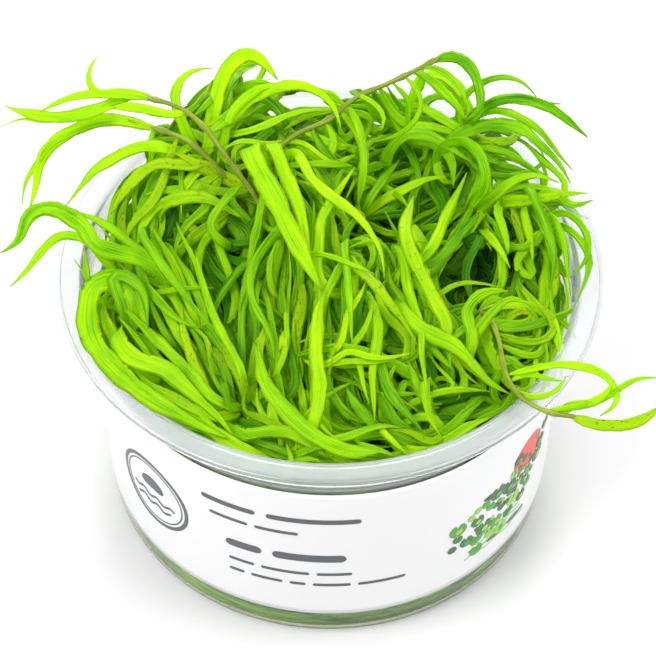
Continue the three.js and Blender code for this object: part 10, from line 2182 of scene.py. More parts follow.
[2,33,23,8,-228,319,31,-178,339,37,-128,354,42,-73,368,48,-22,376,53],
[2,26,-8,8,-174,366,21,-141,373,23,-102,377,24,-64,382,26,-32,385,27],
[2,24,-15,3,-233,237,42,-201,194,43,-165,152,43,-120,110,44,-73,75,44,-23,42,44],
[2,17,-4,4,-192,260,17,-198,225,19,-212,185,21,-234,145,23,-266,94,25]]),
("plantlet_29",
[-50,-15,24,-54,-20,85,-57,-27,152,-58,-34,213,-59,-43,279,-57,-53,340,-53,-64,400,-46,-78,465,-39,-92,525],
[[0,20,-12,6,-39,-92,525,-35,-64,556,-29,-39,589,-16,-12,625,3,10,655],
[0,23,-42,6,-54,-19,80,-15,-56,99,27,-91,117,75,-125,135,121,-155,149],
[0,26,-28,6,-59,-39,248,-70,-41,289,-79,-44,330,-88,-49,376,-94,-58,417],
[0,20,18,6,-46,-78,465,-76,-94,490,-114,-113,508,-156,-131,510,-192,-145,496],
[0,17,-10,6,-44,-83,485,-81,-65,494,-116,-49,521,-137,-18,519,-142,13,492,-143,46,458,-147,68,445,-155,46,486,-160,23,521,-163,-2,554,-170,-25,593,-193,-1,614],
[0,15,-6,7,-39,-92,525,-48,-96,565,-53,-89,605,-53,-65,638,-60,-27,652,-55,13,662,-39,50,669],
[0,13,-4,9,-39,-92,525,-71,-104,565,-102,-98,613,-108,-59,651,-93,-12,663],
[0,22,-8,4,-39,-92,525,-42,-102,560,-51,-95,595,-58,-60,616,-70,-30,633],
[0,11,-20,7,-39,-92,525,-75,-105,559,-115,-102,599,-141,-71,629,-131,-25,649,-132,31,653,-126,82,656],
[0,22,1,9,-39,-92,525,-80,-99,564,-110,-134,594,-108,-183,590,-93,-231,562,-77,-282,544,-55,-334,550],
[0,13,-4,10,-39,-92,525,-36,-118,575,-33,-175,582,-34,-228,561,-29,-287,542,-15,-341,535],
[0,12,6,6,-39,-92,525,-80,-96,554,-121,-87,584,-150,-55,609,-152,-4,617,-144,49,635,-156,94,652,-202,107,651,-240,127,659],
[0,11,18,8,-39,-92,525,-38,-92,580,-52,-60,614,-74,-9,625,-92,36,639,-107,87,656,-126,131,673,-139,175,704],
[0,22,0,3,-54,-62,385,-85,-52,359,-92,-74,336,-91,-112,373,-92,-151,401,-92,-191,427],
[0,26,-27,1,-46,-79,470,-101,-106,468,-137,-143,447,-164,-169,411,-182,-227,422],
[2,16,29,6,-59,-40,254,-14,-12,276,37,19,289,85,48,284,133,75,256,165,94,214],
[2,24,2,7,-58,-49,314,-70,-6,341,-72,40,366,-64,87,384,-46,135,392,-20,179,385],
[2,29,-46,5,-59,-36,223,-90,-26,263,-139,-26,292,-195,-37,291,-237,-52,264],
[2,22,-22,6,-59,-41,264,-19,-14,294,19,20,316,52,59,326,83,105,323],
[2,27,57,5,-56,-23,116,-14,-15,153,29,-3,188,74,13,218,121,33,243,168,57,261],
[2,18,3,6,-58,-51,325,-18,-36,345,26,-20,347,67,-5,319,86,2,277],
[2,15,-11,7,-59,-41,259,-69,1,288,-78,42,308,-86,85,322,-94,136,330],
[2,19,-22,7,-59,-41,259,-103,-6,258,-147,23,237,-183,42,192,-202,48,139],
[2,15,47,8,-45,-80,475,-3,-35,478,29,9,462,51,48,428,64,80,377],
[2,21,57,7,-59,-35,218,-64,17,238,-76,71,241,-93,115,222,-112,150,183,-128,168,132],
[2,16,-57,7,-57,-27,157,-103,-41,155,-143,-57,136,-172,-72,95,-183,-80,50],
[2,18,-64,6,-40,-91,520,-37,-131,533,-34,-173,534,-32,-213,520,-30,-244,493],
[2,22,-13,3,-56,-22,111,-48,15,128,-41,61,130,-38,104,112,-38,131,80],
[2,19,-49,3,-58,-51,325,-98,-20,350,-134,15,374,-170,60,397,-199,105,414,-225,154,426],
[2,28,38,6,-58,-29,172,-28,-8,207,6,11,240,46,26,269,95,38,292,144,43,304,195,42,305,244,35,292],
[2,21,60,6,-59,-44,284,-81,-9,322,-103,36,347,-122,82,358,-141,135,355],
[2,18,10,4,-70,-22,18,-70,-71,23,-70,-121,29,-67,-164,34,-65,-198,39],
[2,26,-20,4,-60,-24,17,-107,-14,18,-157,-6,18,-203,-3,19,-257,-4,20,-312,-8,20],
[2,29,-12,2,-29,-17,20,-11,19,21,8,53,21,29,88,21,47,116,22]]),
("plantlet_30",
[-350,12,24,-345,6,80,-341,-1,141,-337,-7,197,-336,-14,253,-335,-22,315,-336,-30,371,-337,-38,427,-338,-47,487,-341,-56,543],
[[0,24,-17,6,-341,-56,543,-312,-33,580,-279,-8,610,-242,20,633,-202,50,646,-160,80,647],
[0,25,26,6,-336,-14,253,-347,-8,299,-360,-2,343,-374,4,383,-391,12,426],
[0,17,-13,6,-336,-14,253,-326,-42,290,-315,-76,321,-304,-122,344,-294,-168,348],
[0,19,39,6,-336,-14,253,-304,-9,301,-271,-6,340,-229,-5,379,-187,-5,408,-135,-7,430],
[0,11,-7,8,-341,-56,543,-325,-79,582,-299,-101,614,-253,-109,633,-208,-112,637],
[0,17,-6,8,-341,-56,543,-321,-49,579,-309,-21,606,-322,25,610,-322,66,619,-307,97,643],
[0,17,19,8,-341,-56,543,-326,-27,577,-321,14,596,-308,63,610,-309,102,634],
[0,26,24,2,-341,-56,543,-299,-52,572,-255,-62,597,-215,-98,606,-198,-142,588,-179,-190,591,-161,-238,568,-159,-284,548,-147,-327,529],
[0,15,20,6,-341,-56,543,-364,-26,562,-386,8,574,-391,41,587,-415,68,607],
[0,15,10,10,-341,-56,543,-297,-70,566,-298,-39,580,-329,2,577,-311,29,593,-289,-17,593,-264,-63,602,-234,-104,613],
[0,15,23,1,-341,-56,543,-332,-4,575,-302,43,596,-287,84,629,-303,133,662],
[0,17,-14,6,-341,-56,543,-302,-87,569,-268,-131,574,-221,-172,572,-206,-224,562,-180,-269,541],
[0,22,-12,4,-341,-56,543,-333,-66,568,-322,-87,575,-310,-111,567,-297,-136,561],
[0,18,-16,3,-341,-56,543,-297,-44,568,-261,-17,590,-274,31,604,-278,85,619,-241,102,639,-194,80,640,-159,44,630],
[0,15,-25,6,-341,-56,543,-366,-13,565,-377,24,583,-336,-8,578,-296,-41,582,-268,-91,582],
[0,11,-9,5,-341,-56,543,-291,-65,554,-238,-58,573,-211,-22,598,-234,23,608,-219,65,627,-178,41,639],
[0,8,-13,6,-341,-56,543,-297,-69,567,-302,-31,580,-333,10,587,-349,58,603],
[0,10,-1,5,-341,-56,543,-313,-22,569,-324,26,587,-295,65,601,-305,109,627,-307,152,662,-272,152,688],
[0,12,-22,7,-341,-56,543,-299,-53,573,-262,-73,590,-229,-113,585,-206,-153,579,-186,-201,576],
[0,11,10,5,-341,-56,543,-370,-17,572,-406,27,573,-453,44,588,-507,50,584],
[0,18,-2,7,-335,-19,289,-310,-47,323,-289,-78,358,-274,-114,399,-265,-148,435,-248,-182,459,-233,-161,416,-227,-129,370,-212,-116,339,-192,-153,368,-180,-188,403,-173,-225,444,-162,-260,480,-146,-296,513],
[0,14,3,6,-341,-56,543,-297,-64,568,-255,-50,560,-220,-27,540,-179,-5,518],
[0,15,0,5,-341,-56,543,-287,-75,547,-242,-94,530,-219,-118,489,-218,-84,443,-219,-51,403,-206,-41,357,-182,-86,366,-167,-131,397,-158,-172,437,-150,-209,472,-139,-251,510],
[0,29,19,4,-341,-56,543,-310,-86,580,-287,-117,552,-304,-108,499,-308,-85,452,-310,-57,402,-318,-55,347,-322,-94,305],
[0,31,14,4,-341,-56,543,-302,-16,530,-279,21,494,-245,26,478,-210,-13,498],
[0,31,-13,6,-339,-50,503,-296,-54,465,-283,-35,418,-254,-37,371,-241,-76,402,-231,-118,440,-207,-158,455,-188,-139,404],
[0,29,-3,3,-338,-44,467,-320,-40,418,-314,-26,373,-308,-9,329,-287,-40,314],
[0,31,-14,1,-336,-30,376,-290,-64,369,-267,-112,386,-242,-159,396,-216,-162,345],
[0,15,10,6,-338,-43,462,-288,-38,436,-265,-9,393,-218,-16,397,-187,15,367],
[2,20,23,3,-341,0,136,-334,37,171,-314,75,209,-283,108,243,-245,135,266],
[2,23,-42,8,-336,-10,223,-329,38,240,-314,82,244,-294,123,237,-269,162,215],
[2,22,3,3,-338,-43,462,-357,-14,486,-373,19,506,-385,51,519,-396,91,527],
[2,20,-63,7,-337,-40,442,-312,11,464,-293,63,472,-278,120,461,-272,166,429,-272,202,380],
[2,30,15,4,-341,0,131,-323,43,162,-292,81,190,-253,109,207,-201,129,213,-146,137,202],
[1,34,5,8,-387,54,34,-386,15,36,-384,-23,37,-382,-61,39,-381,-100,40],
[1,30,-16,4,-390,38,329,-391,-2,277,-387,-41,233,-384,-77,204,-379,-117,180],
[1,36,-14,5,-378,49,173,-379,4,190,-376,-39,214,-373,-83,248,-369,-129,287],
[1,24,-20,3,-382,44,237,-384,7,204,-381,-31,172,-378,-72,137,-375,-110,105],
[1,21,-17,7,-356,-13,42,-367,40,56,-360,93,68,-343,144,76,-317,198,80,-288,244,78,-253,287,75],
[2,32,-2,8,-387,-3,43,-379,-60,42,-367,-117,40,-354,-169,39,-334,-227,38],
[2,26,-16,8,-378,60,47,-372,102,50,-361,144,53,-348,181,55,-330,221,58],
[1,37,-4,7,-401,7,62,-398,-37,67,-391,-80,72,-379,-128,77,-365,-170,82],
[1,26,-17,4,-366,15,40,-357,-24,40,-342,-65,41,-322,-104,42,-302,-135,42],
[2,28,-23,7,-397,7,14,-400,47,15,-394,86,15,-382,130,16,-368,167,17],
[2,39,19,9,-401,63,23,-393,102,23,-381,140,23,-368,171,23,-350,207,23],
[1,35,-19,9,-384,63,31,-371,114,28,-347,162,24,-310,206,21,-269,238,18],
[1,36,24,7,-402,-7,13,-395,-51,12,-380,-93,12,-359,-126,12,-330,-158,12],
[2,38,1,5,-392,-23,36,-387,-71,35,-376,-118,34,-358,-168,33,-335,-211,31,-308,-250,30],
[1,26,-19,6,-389,88,27,-396,45,31,-401,2,36,-405,-48,42,-397,-92,46],
[2,38,-13,5,-395,0,55,-391,-39,56,-380,-76,56,-364,-105,56,-341,-136,57],
[1,36,-27,5,-380,91,23,-375,129,27,-364,166,30,-344,205,34,-321,236,37],
[1,40,-6,5,-383,91,30,-371,133,32,-353,179,35,-332,224,37,-309,264,40],
[1,38,26,6,-395,80,18,-380,133,23,-355,182,27,-316,227,32,-274,260,37],
[2,29,-27,5,-364,32,11,-365,-4,16,-362,-40,20,-356,-70,24,-347,-105,28],
[1,25,-17,6,-388,63,17,-382,106,20,-374,144,22,-362,182,24,-341,222,26],
[2,27,28,7,-396,-2,63,-400,-41,67,-398,-80,71,-389,-125,76,-374,-162,80]]),
("plantlet_31",
[212,38,24,209,40,80,204,42,136,199,46,192,194,50,248,188,55,309,182,60,364,175,68,420,168,76,475,160,85,530],
[[0,26,35,6,160,85,530,154,133,560,153,187,577,157,249,576,165,302,555],
[0,16,22,6,193,50,253,199,17,278,206,-21,295,217,-67,298,227,-105,285],
[0,18,6,6,208,40,85,223,77,110,239,113,135,256,149,160,275,185,184],
[0,20,-9,6,168,75,470,140,92,509,103,119,532,64,152,528,35,181,497],
[0,17,-8,8,167,77,480,211,61,490,249,77,509,269,109,529,292,145,549],
[0,17,0,5,170,74,460,200,46,470,242,44,487,250,86,503,271,120,511],
[0,13,-2,2,170,73,455,199,70,468,226,77,484,244,101,505,262,124,516],
[0,11,-16,3,168,76,475,203,86,481,237,87,493,269,98,505,293,90,529],
[0,17,-21,2,173,70,435,218,79,458,245,106,493,290,123,500,276,155,538],
[0,26,26,10,160,85,530,153,79,581,144,52,624,161,8,641,175,-36,634,177,-87,625],
[0,17,10,4,160,85,530,143,95,539,124,103,546,98,110,545,78,119,548],
[0,15,-8,6,160,85,530,157,110,558,181,135,561,207,169,560,222,203,566],
[0,17,16,8,160,85,530,107,100,536,70,131,551,31,166,568,44,214,571,66,266,566,98,304,554,132,345,560],
[0,13,10,0,160,85,530,131,111,563,133,155,549,124,196,527,89,229,515],
[0,17,-13,5,168,75,470,210,46,479,261,46,472,310,40,474,339,1,490,374,-40,499,381,-83,473],
[0,22,17,0,173,70,435,208,40,447,245,48,471,272,84,473,265,122,501],
[0,18,19,3,162,83,520,108,97,530,69,136,545,40,180,562,48,235,564,74,285,558,111,327,551],
[0,11,17,3,160,85,530,140,94,534,114,103,537,87,109,540,70,120,549],
[0,17,-11,1,174,68,425,204,77,446,228,97,464,244,110,489,260,118,521],
[0,22,-19,5,172,71,440,206,45,448,239,38,461,263,60,475,267,100,487],
[0,17,6,1,160,85,530,113,108,525,84,149,511,73,195,513,93,219,546],
[0,11,17,1,162,83,515,190,41,528,242,19,524,220,14,504,221,13,468,272,39,470,321,29,480],
[0,18,-8,0,160,85,530,130,88,539,115,110,532,89,117,533,64,134,545],
[0,22,-10,0,160,85,530,142,126,545,144,172,554,177,183,520,210,208,539,197,250,536],
[0,18,-19,0,162,83,520,134,89,531,115,120,526,81,129,530,59,139,550],
[0,15,10,1,176,67,415,197,66,438,216,92,453,234,118,472,248,123,500],
[0,13,-11,0,168,76,475,214,54,483,264,29,488,313,34,479,362,28,470,390,-14,491,422,-53,494],
[0,22,19,4,160,85,530,133,128,541,138,173,529,116,207,508,115,237,517],
[0,17,-16,0,168,76,475,205,73,479,230,48,472,256,28,464,246,-5,451],
[0,15,24,2,160,85,530,138,137,528,142,191,512,117,236,503,90,196,494,111,146,509,128,99,536,142,45,546],
[0,26,5,4,173,70,435,212,39,450,250,51,469,275,84,475,262,125,506],
[0,17,13,2,160,85,530,126,123,537,127,164,515,136,213,499,149,261,505,162,276,540,116,265,545],
[0,13,-23,8,160,85,530,144,110,578,153,158,600,177,209,593,187,253,617],
[0,26,-1,3,160,85,530,186,60,568,227,60,596,251,97,599,285,136,597,329,164,596],
[0,17,14,6,171,72,450,180,36,458,210,17,465,240,30,469,276,39,470],
[0,17,-16,3,170,73,455,199,32,467,246,38,476,272,73,478,257,116,502],
[0,18,-20,0,174,68,425,218,41,435,261,45,461,251,85,481,273,123,509],
[0,8,12,2,173,70,435,201,75,449,225,91,461,247,100,482,259,119,503],
[0,8,3,2,172,71,440,202,79,451,226,95,464,238,118,474,253,145,483],
[0,14,0,0,160,85,530,122,112,543,134,164,522,134,213,507,140,263,505,184,290,527,191,318,559],
[0,14,15,2,169,74,465,199,47,473,215,26,463,240,26,462,280,35,474],
[0,11,-18,4,174,68,425,208,43,431,250,35,452,258,66,475,261,103,496],
[0,8,19,4,168,76,475,217,65,482,254,25,490,302,41,486,310,-2,473,285,-43,490,268,-92,515,263,-119,482],
[0,11,-17,4,170,73,455,194,28,468,242,32,482,272,70,487,270,119,510],
[0,10,-9,4,174,69,430,206,76,446,235,92,460,251,111,493,271,125,519],
[0,11,-21,4,160,85,530,127,117,520,99,152,505,88,202,499,112,240,508],
[0,12,-14,5,160,85,530,155,127,561,161,175,590,188,225,595,193,261,618],
[0,17,14,5,160,85,530,125,122,517,104,164,494,88,207,495,125,223,516,137,176,518],
[0,14,-15,1,161,84,525,125,90,525,95,109,535,69,139,547,53,164,569],
[0,15,4,4,173,70,435,220,50,445,254,12,450,264,-37,466,271,-86,475,283,-134,464,287,-181,486,299,-212,460],
[0,26,-2,6,160,85,530,179,62,572,195,37,554,194,57,504,194,70,460,189,19,465],
[0,26,-4,4,192,51,268,209,0,284,201,-45,310,192,-85,351,189,-117,393,187,-153,438,173,-197,460,153,-196,412,149,-165,363],
[0,28,-24,3,161,84,525,127,126,521,86,140,501,44,135,494,24,101,526,4,63,564],
[0,16,-27,1,173,70,435,219,38,445,245,-10,455,258,-62,474,273,-113,461],
[0,18,19,7,164,81,505,186,36,512,187,-16,516,182,-67,512,179,-109,539,170,-155,557,162,-153,517,147,-150,470],
[0,30,-23,6,161,84,525,162,27,532,160,-28,522,163,-77,507,157,-130,499,142,-176,475],
[0,14,-26,6,160,85,530,145,76,578,133,28,581,130,-22,557,133,-69,537],
[0,26,-21,4,162,83,515,212,88,510,251,103,491,282,125,457,301,148,422,328,161,383],
[0,31,10,2,163,82,510,188,44,518,199,1,505,181,-46,492,174,-67,451],
[0,18,-26,4,162,83,515,177,34,519,177,-18,518,174,-68,510,172,-120,532,171,-135,488,169,-169,474],
[0,23,-22,5,160,85,530,134,101,489,112,102,444,99,56,462,91,13,488,84,-31,515],
[0,25,-14,6,168,75,470,208,44,484,236,1,488,239,-44,483,228,-95,480,219,-138,455],
[0,27,13,2,162,83,515,163,32,524,162,-15,521,166,-64,510,166,-113,526,164,-141,493,159,-173,470,151,-224,474],
[2,24,66,7,195,49,238,157,75,261,125,116,284,101,165,300,85,214,305],
[2,19,16,4,170,73,455,124,85,471,76,103,477,36,122,467,0,144,437,-20,162,394],
[2,29,-59,5,179,64,390,152,101,412,122,148,420,97,194,400,83,223,360],
[2,23,-60,6,203,43,151,219,92,186,238,142,204,261,193,199,284,238,166],
[2,29,-49,6,199,46,197,239,20,217,286,-2,215,326,-15,186,350,-18,140],
[2,29,8,8,209,40,80,162,70,92,122,110,93,93,149,78,70,190,46],
[2,25,-20,6,201,44,167,158,22,196,115,1,225,76,-18,251,32,-39,280,-14,-59,306,-61,-80,329],
[2,17,-32,8,195,49,238,167,84,253,139,118,271,111,153,288,82,187,303],
[2,21,59,6,204,43,141,168,13,144,127,-19,137,92,-46,121,57,-71,92,30,-89,58],
[2,30,11,3,222,48,26,200,86,27,176,128,29,148,182,31,122,237,32],
[2,29,-12,2,182,24,29,146,63,31,112,103,34,82,138,37,48,178,40]]),
("plantlet_32",
[110,-219,24,106,-228,86,103,-239,148,101,-252,210,100,-266,272,100,-281,327,101,-301,387,101,-322,447,103,-346,505],
[[0,21,33,6,103,-346,505,87,-310,540,61,-273,566,21,-232,571,-16,-205,548],
[0,18,12,6,107,-227,81,94,-260,104,87,-296,125,84,-340,143,87,-380,154],
[0,17,13,6,100,-278,317,66,-272,361,36,-263,402,4,-249,446,-28,-228,486,-58,-202,518,-91,-164,542],
[0,27,-19,6,102,-243,169,96,-235,220,95,-221,264,101,-196,309,114,-165,341,136,-121,356],
[0,13,-1,9,103,-346,505,91,-355,539,93,-378,567,112,-401,566,139,-425,557],
[0,17,3,6,103,-346,505,68,-340,526,34,-329,548,7,-306,570,-7,-267,591,-5,-228,604,-1,-189,618,-2,-149,630],
[0,19,2,6,103,-346,505,88,-350,534,67,-341,557,46,-317,566,31,-289,574],
[0,11,-1,8,103,-346,505,95,-333,539,95,-312,568,106,-278,590,122,-246,599],
[0,11,7,8,103,-346,505,93,-332,539,99,-313,571,134,-305,578,170,-298,570],
[0,13,12,6,103,-346,505,139,-360,531,182,-355,535,205,-326,508,217,-295,476,228,-265,442,238,-235,409,246,-205,374,256,-175,340,279,-146,312],
[0,15,-11,8,103,-346,505,131,-321,548,178,-302,570,233,-289,572,286,-287,566],
[0,18,14,8,103,-346,505,146,-371,521,195,-379,532,243,-353,544,289,-329,546],
[0,22,-20,6,103,-346,505,151,-361,519,201,-360,533,241,-325,551,281,-295,559],
[0,11,-8,10,103,-346,505,149,-366,516,185,-345,540,180,-300,562,222,-278,565,193,-242,580,172,-201,601],
[0,17,16,8,103,-346,505,139,-340,544,182,-339,554,213,-356,525,262,-344,534],
[0,22,-18,5,103,-346,505,77,-318,536,85,-306,580,113,-345,560,156,-366,551],
[0,17,-16,10,103,-346,505,122,-380,525,155,-401,539,190,-392,538,225,-370,530],
[0,17,16,7,103,-346,505,95,-327,549,122,-299,571,139,-273,574,166,-293,541],
[0,15,5,8,103,-346,505,67,-361,524,51,-393,545,80,-406,550,117,-417,543],
[0,18,-23,4,103,-346,505,154,-359,512,188,-327,535,227,-319,524,187,-297,526,180,-257,559],
[0,18,-12,3,103,-346,505,76,-319,533,66,-278,553,57,-233,565,97,-218,568],
[0,13,22,4,103,-346,505,139,-313,523,173,-284,539,203,-260,549,253,-262,548],
[0,15,-1,8,103,-346,505,81,-308,527,96,-279,558,144,-294,542,171,-334,538],
[0,13,11,9,103,-346,505,93,-310,542,81,-269,571,96,-227,576,146,-206,571,131,-162,587,103,-120,597,84,-74,611],
[0,18,26,6,103,-346,505,52,-323,519,13,-285,537,40,-246,553,5,-224,564],
[0,11,-14,7,103,-346,505,113,-362,536,147,-364,530,175,-361,515,210,-357,507],
[0,18,2,5,103,-340,491,98,-333,514,125,-331,514,147,-328,511,174,-329,508],
[0,18,-19,5,100,-287,347,106,-258,370,133,-247,386,164,-264,409,195,-274,427],
[2,20,-30,6,102,-328,461,79,-278,474,45,-228,473,9,-188,456,-26,-160,424,-59,-141,376,-82,-134,326],
[2,27,-48,9,105,-232,112,88,-191,148,80,-147,183,83,-98,212,98,-45,227],
[2,19,37,6,100,-289,352,58,-261,376,9,-227,386,-36,-196,375,-76,-167,339,-100,-149,292],
[1,24,-2,6,171,-329,56,126,-368,67,72,-387,73,19,-396,73,-40,-399,69],
[1,38,4,9,121,-358,457,70,-384,455,13,-392,451,-40,-391,446,-97,-383,438,-153,-368,429],
[2,21,-14,3,86,-199,21,125,-209,23,175,-216,26,240,-220,29,315,-221,32],
[2,28,23,3,175,-317,32,150,-288,34,127,-260,36,107,-236,38,84,-208,40],
[2,26,22,4,144,-150,30,146,-91,32,146,-38,33,146,19,35,144,68,37,142,121,39],
[2,25,18,4,94,-174,41,32,-146,43,-23,-133,44,-65,-136,45,-106,-153,47],
[2,23,-20,2,63,-273,27,90,-297,29,121,-316,32,152,-325,34,192,-331,37],
[2,24,18,4,154,-313,39,160,-276,42,156,-236,46,143,-198,50,120,-153,54]]),
("plantlet_33",
[-120,325,24,-120,319,81,-118,311,138,-115,302,195,-112,293,252,-109,284,304,-103,272,360,-94,260,416,-82,246,471,-69,232,525,-55,217,579],
[[0,19,-12,6,-55,217,579,-47,174,607,-37,129,640,-24,82,670,-10,38,692],
[0,21,-22,6,-103,272,360,-75,249,397,-47,225,431,-12,195,465,21,166,490,56,134,509],
[0,26,18,6,-110,288,278,-153,278,314,-199,261,341,-249,238,351,-296,211,336],
[0,26,-28,6,-116,303,190,-83,298,231,-54,294,274,-24,290,324,1,287,369],
[0,17,-7,8,-55,217,579,-12,211,596,26,193,616,59,171,626,101,157,614,128,122,627,145,81,639],
[0,17,9,6,-55,217,579,-4,206,581,44,185,582,63,147,569,92,107,560,131,74,557],
[0,17,-19,6,-55,217,579,-4,216,591,46,226,603,66,263,612,95,303,616,132,318,629],
[0,11,-8,5,-55,217,579,-5,209,587,38,220,598,78,253,605,116,279,606,99,292,617],
[0,15,19,3,-55,217,579,-9,195,569,36,162,559,76,125,544,118,97,549,140,54,555,151,-2,558],
[0,11,-15,0,-55,217,579,-19,182,594,17,157,585,49,150,553,88,111,546,127,80,556,142,33,562,158,-7,533],
[0,23,10,4,-55,217,579,-1,208,564,32,182,530,49,152,489,54,95,487],
[0,15,5,2,-90,255,436,-98,199,432,-112,184,408,-118,217,361,-128,220,341,-132,177,379,-134,138,414,-136,97,454,-139,53,492,-154,7,511,-180,-44,510],
[0,28,13,4,-80,244,480,-75,291,459,-67,339,439,-49,356,456,-38,323,495,-31,292,530,-19,262,570,18,291,562,43,330,537,72,368,516],
[0,24,18,1,-55,217,579,-89,256,590,-97,282,551,-96,317,510,-81,336,471,-53,295,463,-35,256,470,-10,246,430,-3,208,458,0,169,496],
[0,24,-21,3,-55,217,579,-71,256,600,-109,277,613,-152,295,615,-197,307,618],
[0,27,-22,2,-55,217,579,-40,263,598,-61,301,612,-108,301,617,-161,305,613],
[0,19,-17,3,-70,233,520,-102,219,480,-121,234,429,-127,258,382,-147,214,362,-157,166,381,-157,126,423,-153,96,467],
[0,28,-25,0,-55,217,579,-85,256,607,-135,263,595,-158,273,549,-187,235,548,-199,189,581],
[0,17,-19,4,-63,225,549,-106,244,571,-133,217,597,-117,173,605,-108,123,614,-105,71,624],
[0,25,-10,2,-64,226,544,-34,205,540,1,190,539,42,185,544,76,178,556],
[0,30,-9,1,-81,245,476,-120,246,440,-107,240,387,-98,196,413,-96,158,449,-89,113,486,-79,68,513],
[0,24,5,5,-70,233,520,-24,206,500,18,171,482,56,164,436,91,149,416,103,106,453],
[0,16,-2,5,-86,250,456,-82,201,470,-65,162,487,-43,124,514,-33,85,545,-24,49,573,-12,8,601],
[0,20,-5,4,-86,250,456,-40,251,461,-13,225,493,-1,195,527,20,166,563,52,192,545],
[0,14,12,3,-82,246,471,-43,229,508,-1,203,521,49,184,505,79,147,524,115,105,541],
[2,17,59,8,-105,276,345,-58,278,342,-17,280,319,9,281,280,20,282,235],
[2,29,28,8,-115,301,201,-81,332,225,-40,358,242,13,378,244,58,384,223,91,379,183],
[2,20,-48,6,-118,312,133,-143,268,158,-163,219,178,-175,170,189,-182,114,189,-182,60,174],
[2,24,59,8,-119,317,97,-78,326,117,-35,338,127,13,354,119,49,368,93],
[2,28,-25,6,-118,312,128,-154,299,145,-196,279,146,-233,257,128,-258,240,99],
[2,29,23,7,-112,292,257,-75,297,292,-37,304,333,-3,313,370,30,325,406,67,342,444,102,363,475],
[1,29,-6,3,-84,357,71,-120,356,90,-159,346,120,-196,330,162,-229,313,208],
[1,21,18,6,-86,371,32,-134,366,41,-175,352,45,-213,332,46,-253,305,44],
[1,33,-14,7,-81,391,389,-131,381,421,-179,363,446,-225,339,463,-268,310,473],
[1,35,-1,6,-126,350,40,-69,366,56,-11,372,68,48,373,74,108,369,76],
[1,29,4,3,-155,328,57,-208,313,52,-254,282,53,-296,245,65,-335,203,82],
[1,32,16,7,-45,368,25,4,388,37,60,389,51,111,380,62,166,362,73,214,340,82],
[1,34,-2,6,-44,360,114,-92,369,122,-143,359,128,-190,338,131,-231,313,129,-268,283,124,-304,245,116],
[1,24,-12,2,-79,342,21,-135,345,23,-182,328,26,-224,303,30,-267,268,35,-304,228,41,-334,187,47],
[1,28,13,8,-142,342,296,-106,371,265,-59,384,232,-14,389,203,31,388,176,79,382,149,123,371,124],
[1,21,-16,7,-49,359,19,-14,381,31,24,388,35,63,386,30,101,377,17],
[1,40,12,6,-116,358,430,-71,380,429,-21,388,420,25,392,400,77,392,371],
[1,27,-17,5,-156,363,21,-191,345,23,-223,325,29,-255,303,40,-285,279,55],
[1,36,-19,3,-147,331,47,-200,316,41,-242,288,39,-282,256,44,-325,218,53],
[2,39,-21,6,-82,356,25,-52,362,28,-16,363,31,19,354,35,48,341,38],
[2,26,10,9,-117,370,64,-162,344,60,-204,315,57,-244,284,53,-282,250,50],
[1,24,19,6,-120,381,27,-163,369,32,-205,352,37,-243,327,42,-278,298,47],
[1,35,15,6,-36,405,53,-86,399,58,-134,386,64,-175,369,69,-219,345,74],
[2,38,24,7,-139,367,11,-89,365,14,-42,361,18,3,355,21,46,348,25],
[1,30,-25,7,-148,373,17,-98,380,20,-49,381,24,-1,376,27,45,366,30],
[1,33,-2,5,-109,381,64,-148,362,63,-185,340,62,-221,316,61,-255,291,60],
[1,35,10,8,-60,387,35,-91,379,36,-122,367,36,-155,348,37,-181,329,38],
[2,39,-29,6,-153,377,30,-116,390,30,-78,399,30,-45,404,30,-6,407,30],
[2,27,5,6,-143,353,65,-175,325,65,-205,296,66,-238,265,67,-265,236,68],
[2,35,28,9,-117,351,21,-161,326,18,-198,293,16,-230,250,13,-250,207,11],
[2,27,27,6,-54,401,51,-104,394,51,-151,379,51,-201,355,51,-243,327,51,-282,295,51],
[1,28,13,7,-37,387,14,-78,376,17,-116,358,20,-149,333,23,-177,302,26],
[1,33,-6,8,-86,337,65,-119,341,69,-156,339,73,-190,327,77,-217,310,80],
[1,24,23,8,-54,403,65,-15,405,66,25,404,67,64,402,68,103,395,69],
[1,26,9,6,-40,395,44,-95,388,48,-149,375,52,-201,355,57,-248,324,61],
[1,24,-19,6,-85,393,13,-31,403,16,30,404,20,90,396,23,143,381,27],
[1,27,4,6,-138,380,58,-185,351,59,-227,316,61,-266,273,63,-295,230,65],
[1,26,-17,5,-113,370,15,-144,361,13,-175,348,10,-209,329,10,-235,310,10],
[2,37,-25,4,-92,388,31,-146,365,30,-195,332,29,-238,287,27,-267,239,26],
[1,38,0,7,-114,383,11,-72,396,14,-29,403,16,21,404,19,65,400,21],
[1,34,-8,7,-152,361,52,-119,368,51,-82,377,49,-45,388,47,-12,397,45],
[2,38,16,8,-82,395,32,-27,398,32,32,395,32,92,389,32,146,378,33],
[2,27,-22,7,-43,402,29,-95,385,34,-144,361,40,-189,334,46,-230,303,52],
[2,39,25,5,-102,395,53,-145,381,54,-186,363,54,-225,340,55,-258,309,56],
[2,27,9,6,-80,387,20,-134,376,22,-181,359,24,-225,335,26,-270,302,28],
[1,39,-4,7,-55,374,40,-104,359,36,-150,335,31,-189,302,27,-220,263,23],
[2,31,-23,5,-141,377,14,-86,384,10,-27,384,10,31,379,10,82,368,10],
[1,24,-5,8,-79,382,60,-26,382,60,31,378,61,87,371,61,138,360,61],
[2,16,22,3,-136,262,38,-95,262,41,-50,263,43,-4,264,45,54,265,47,115,267,49],
[2,30,14,3,-137,301,30,-113,248,37,-98,202,43,-91,158,49,-90,110,56],
[2,17,-9,4,-69,317,27,-92,285,28,-121,249,30,-155,216,31,-188,188,32],
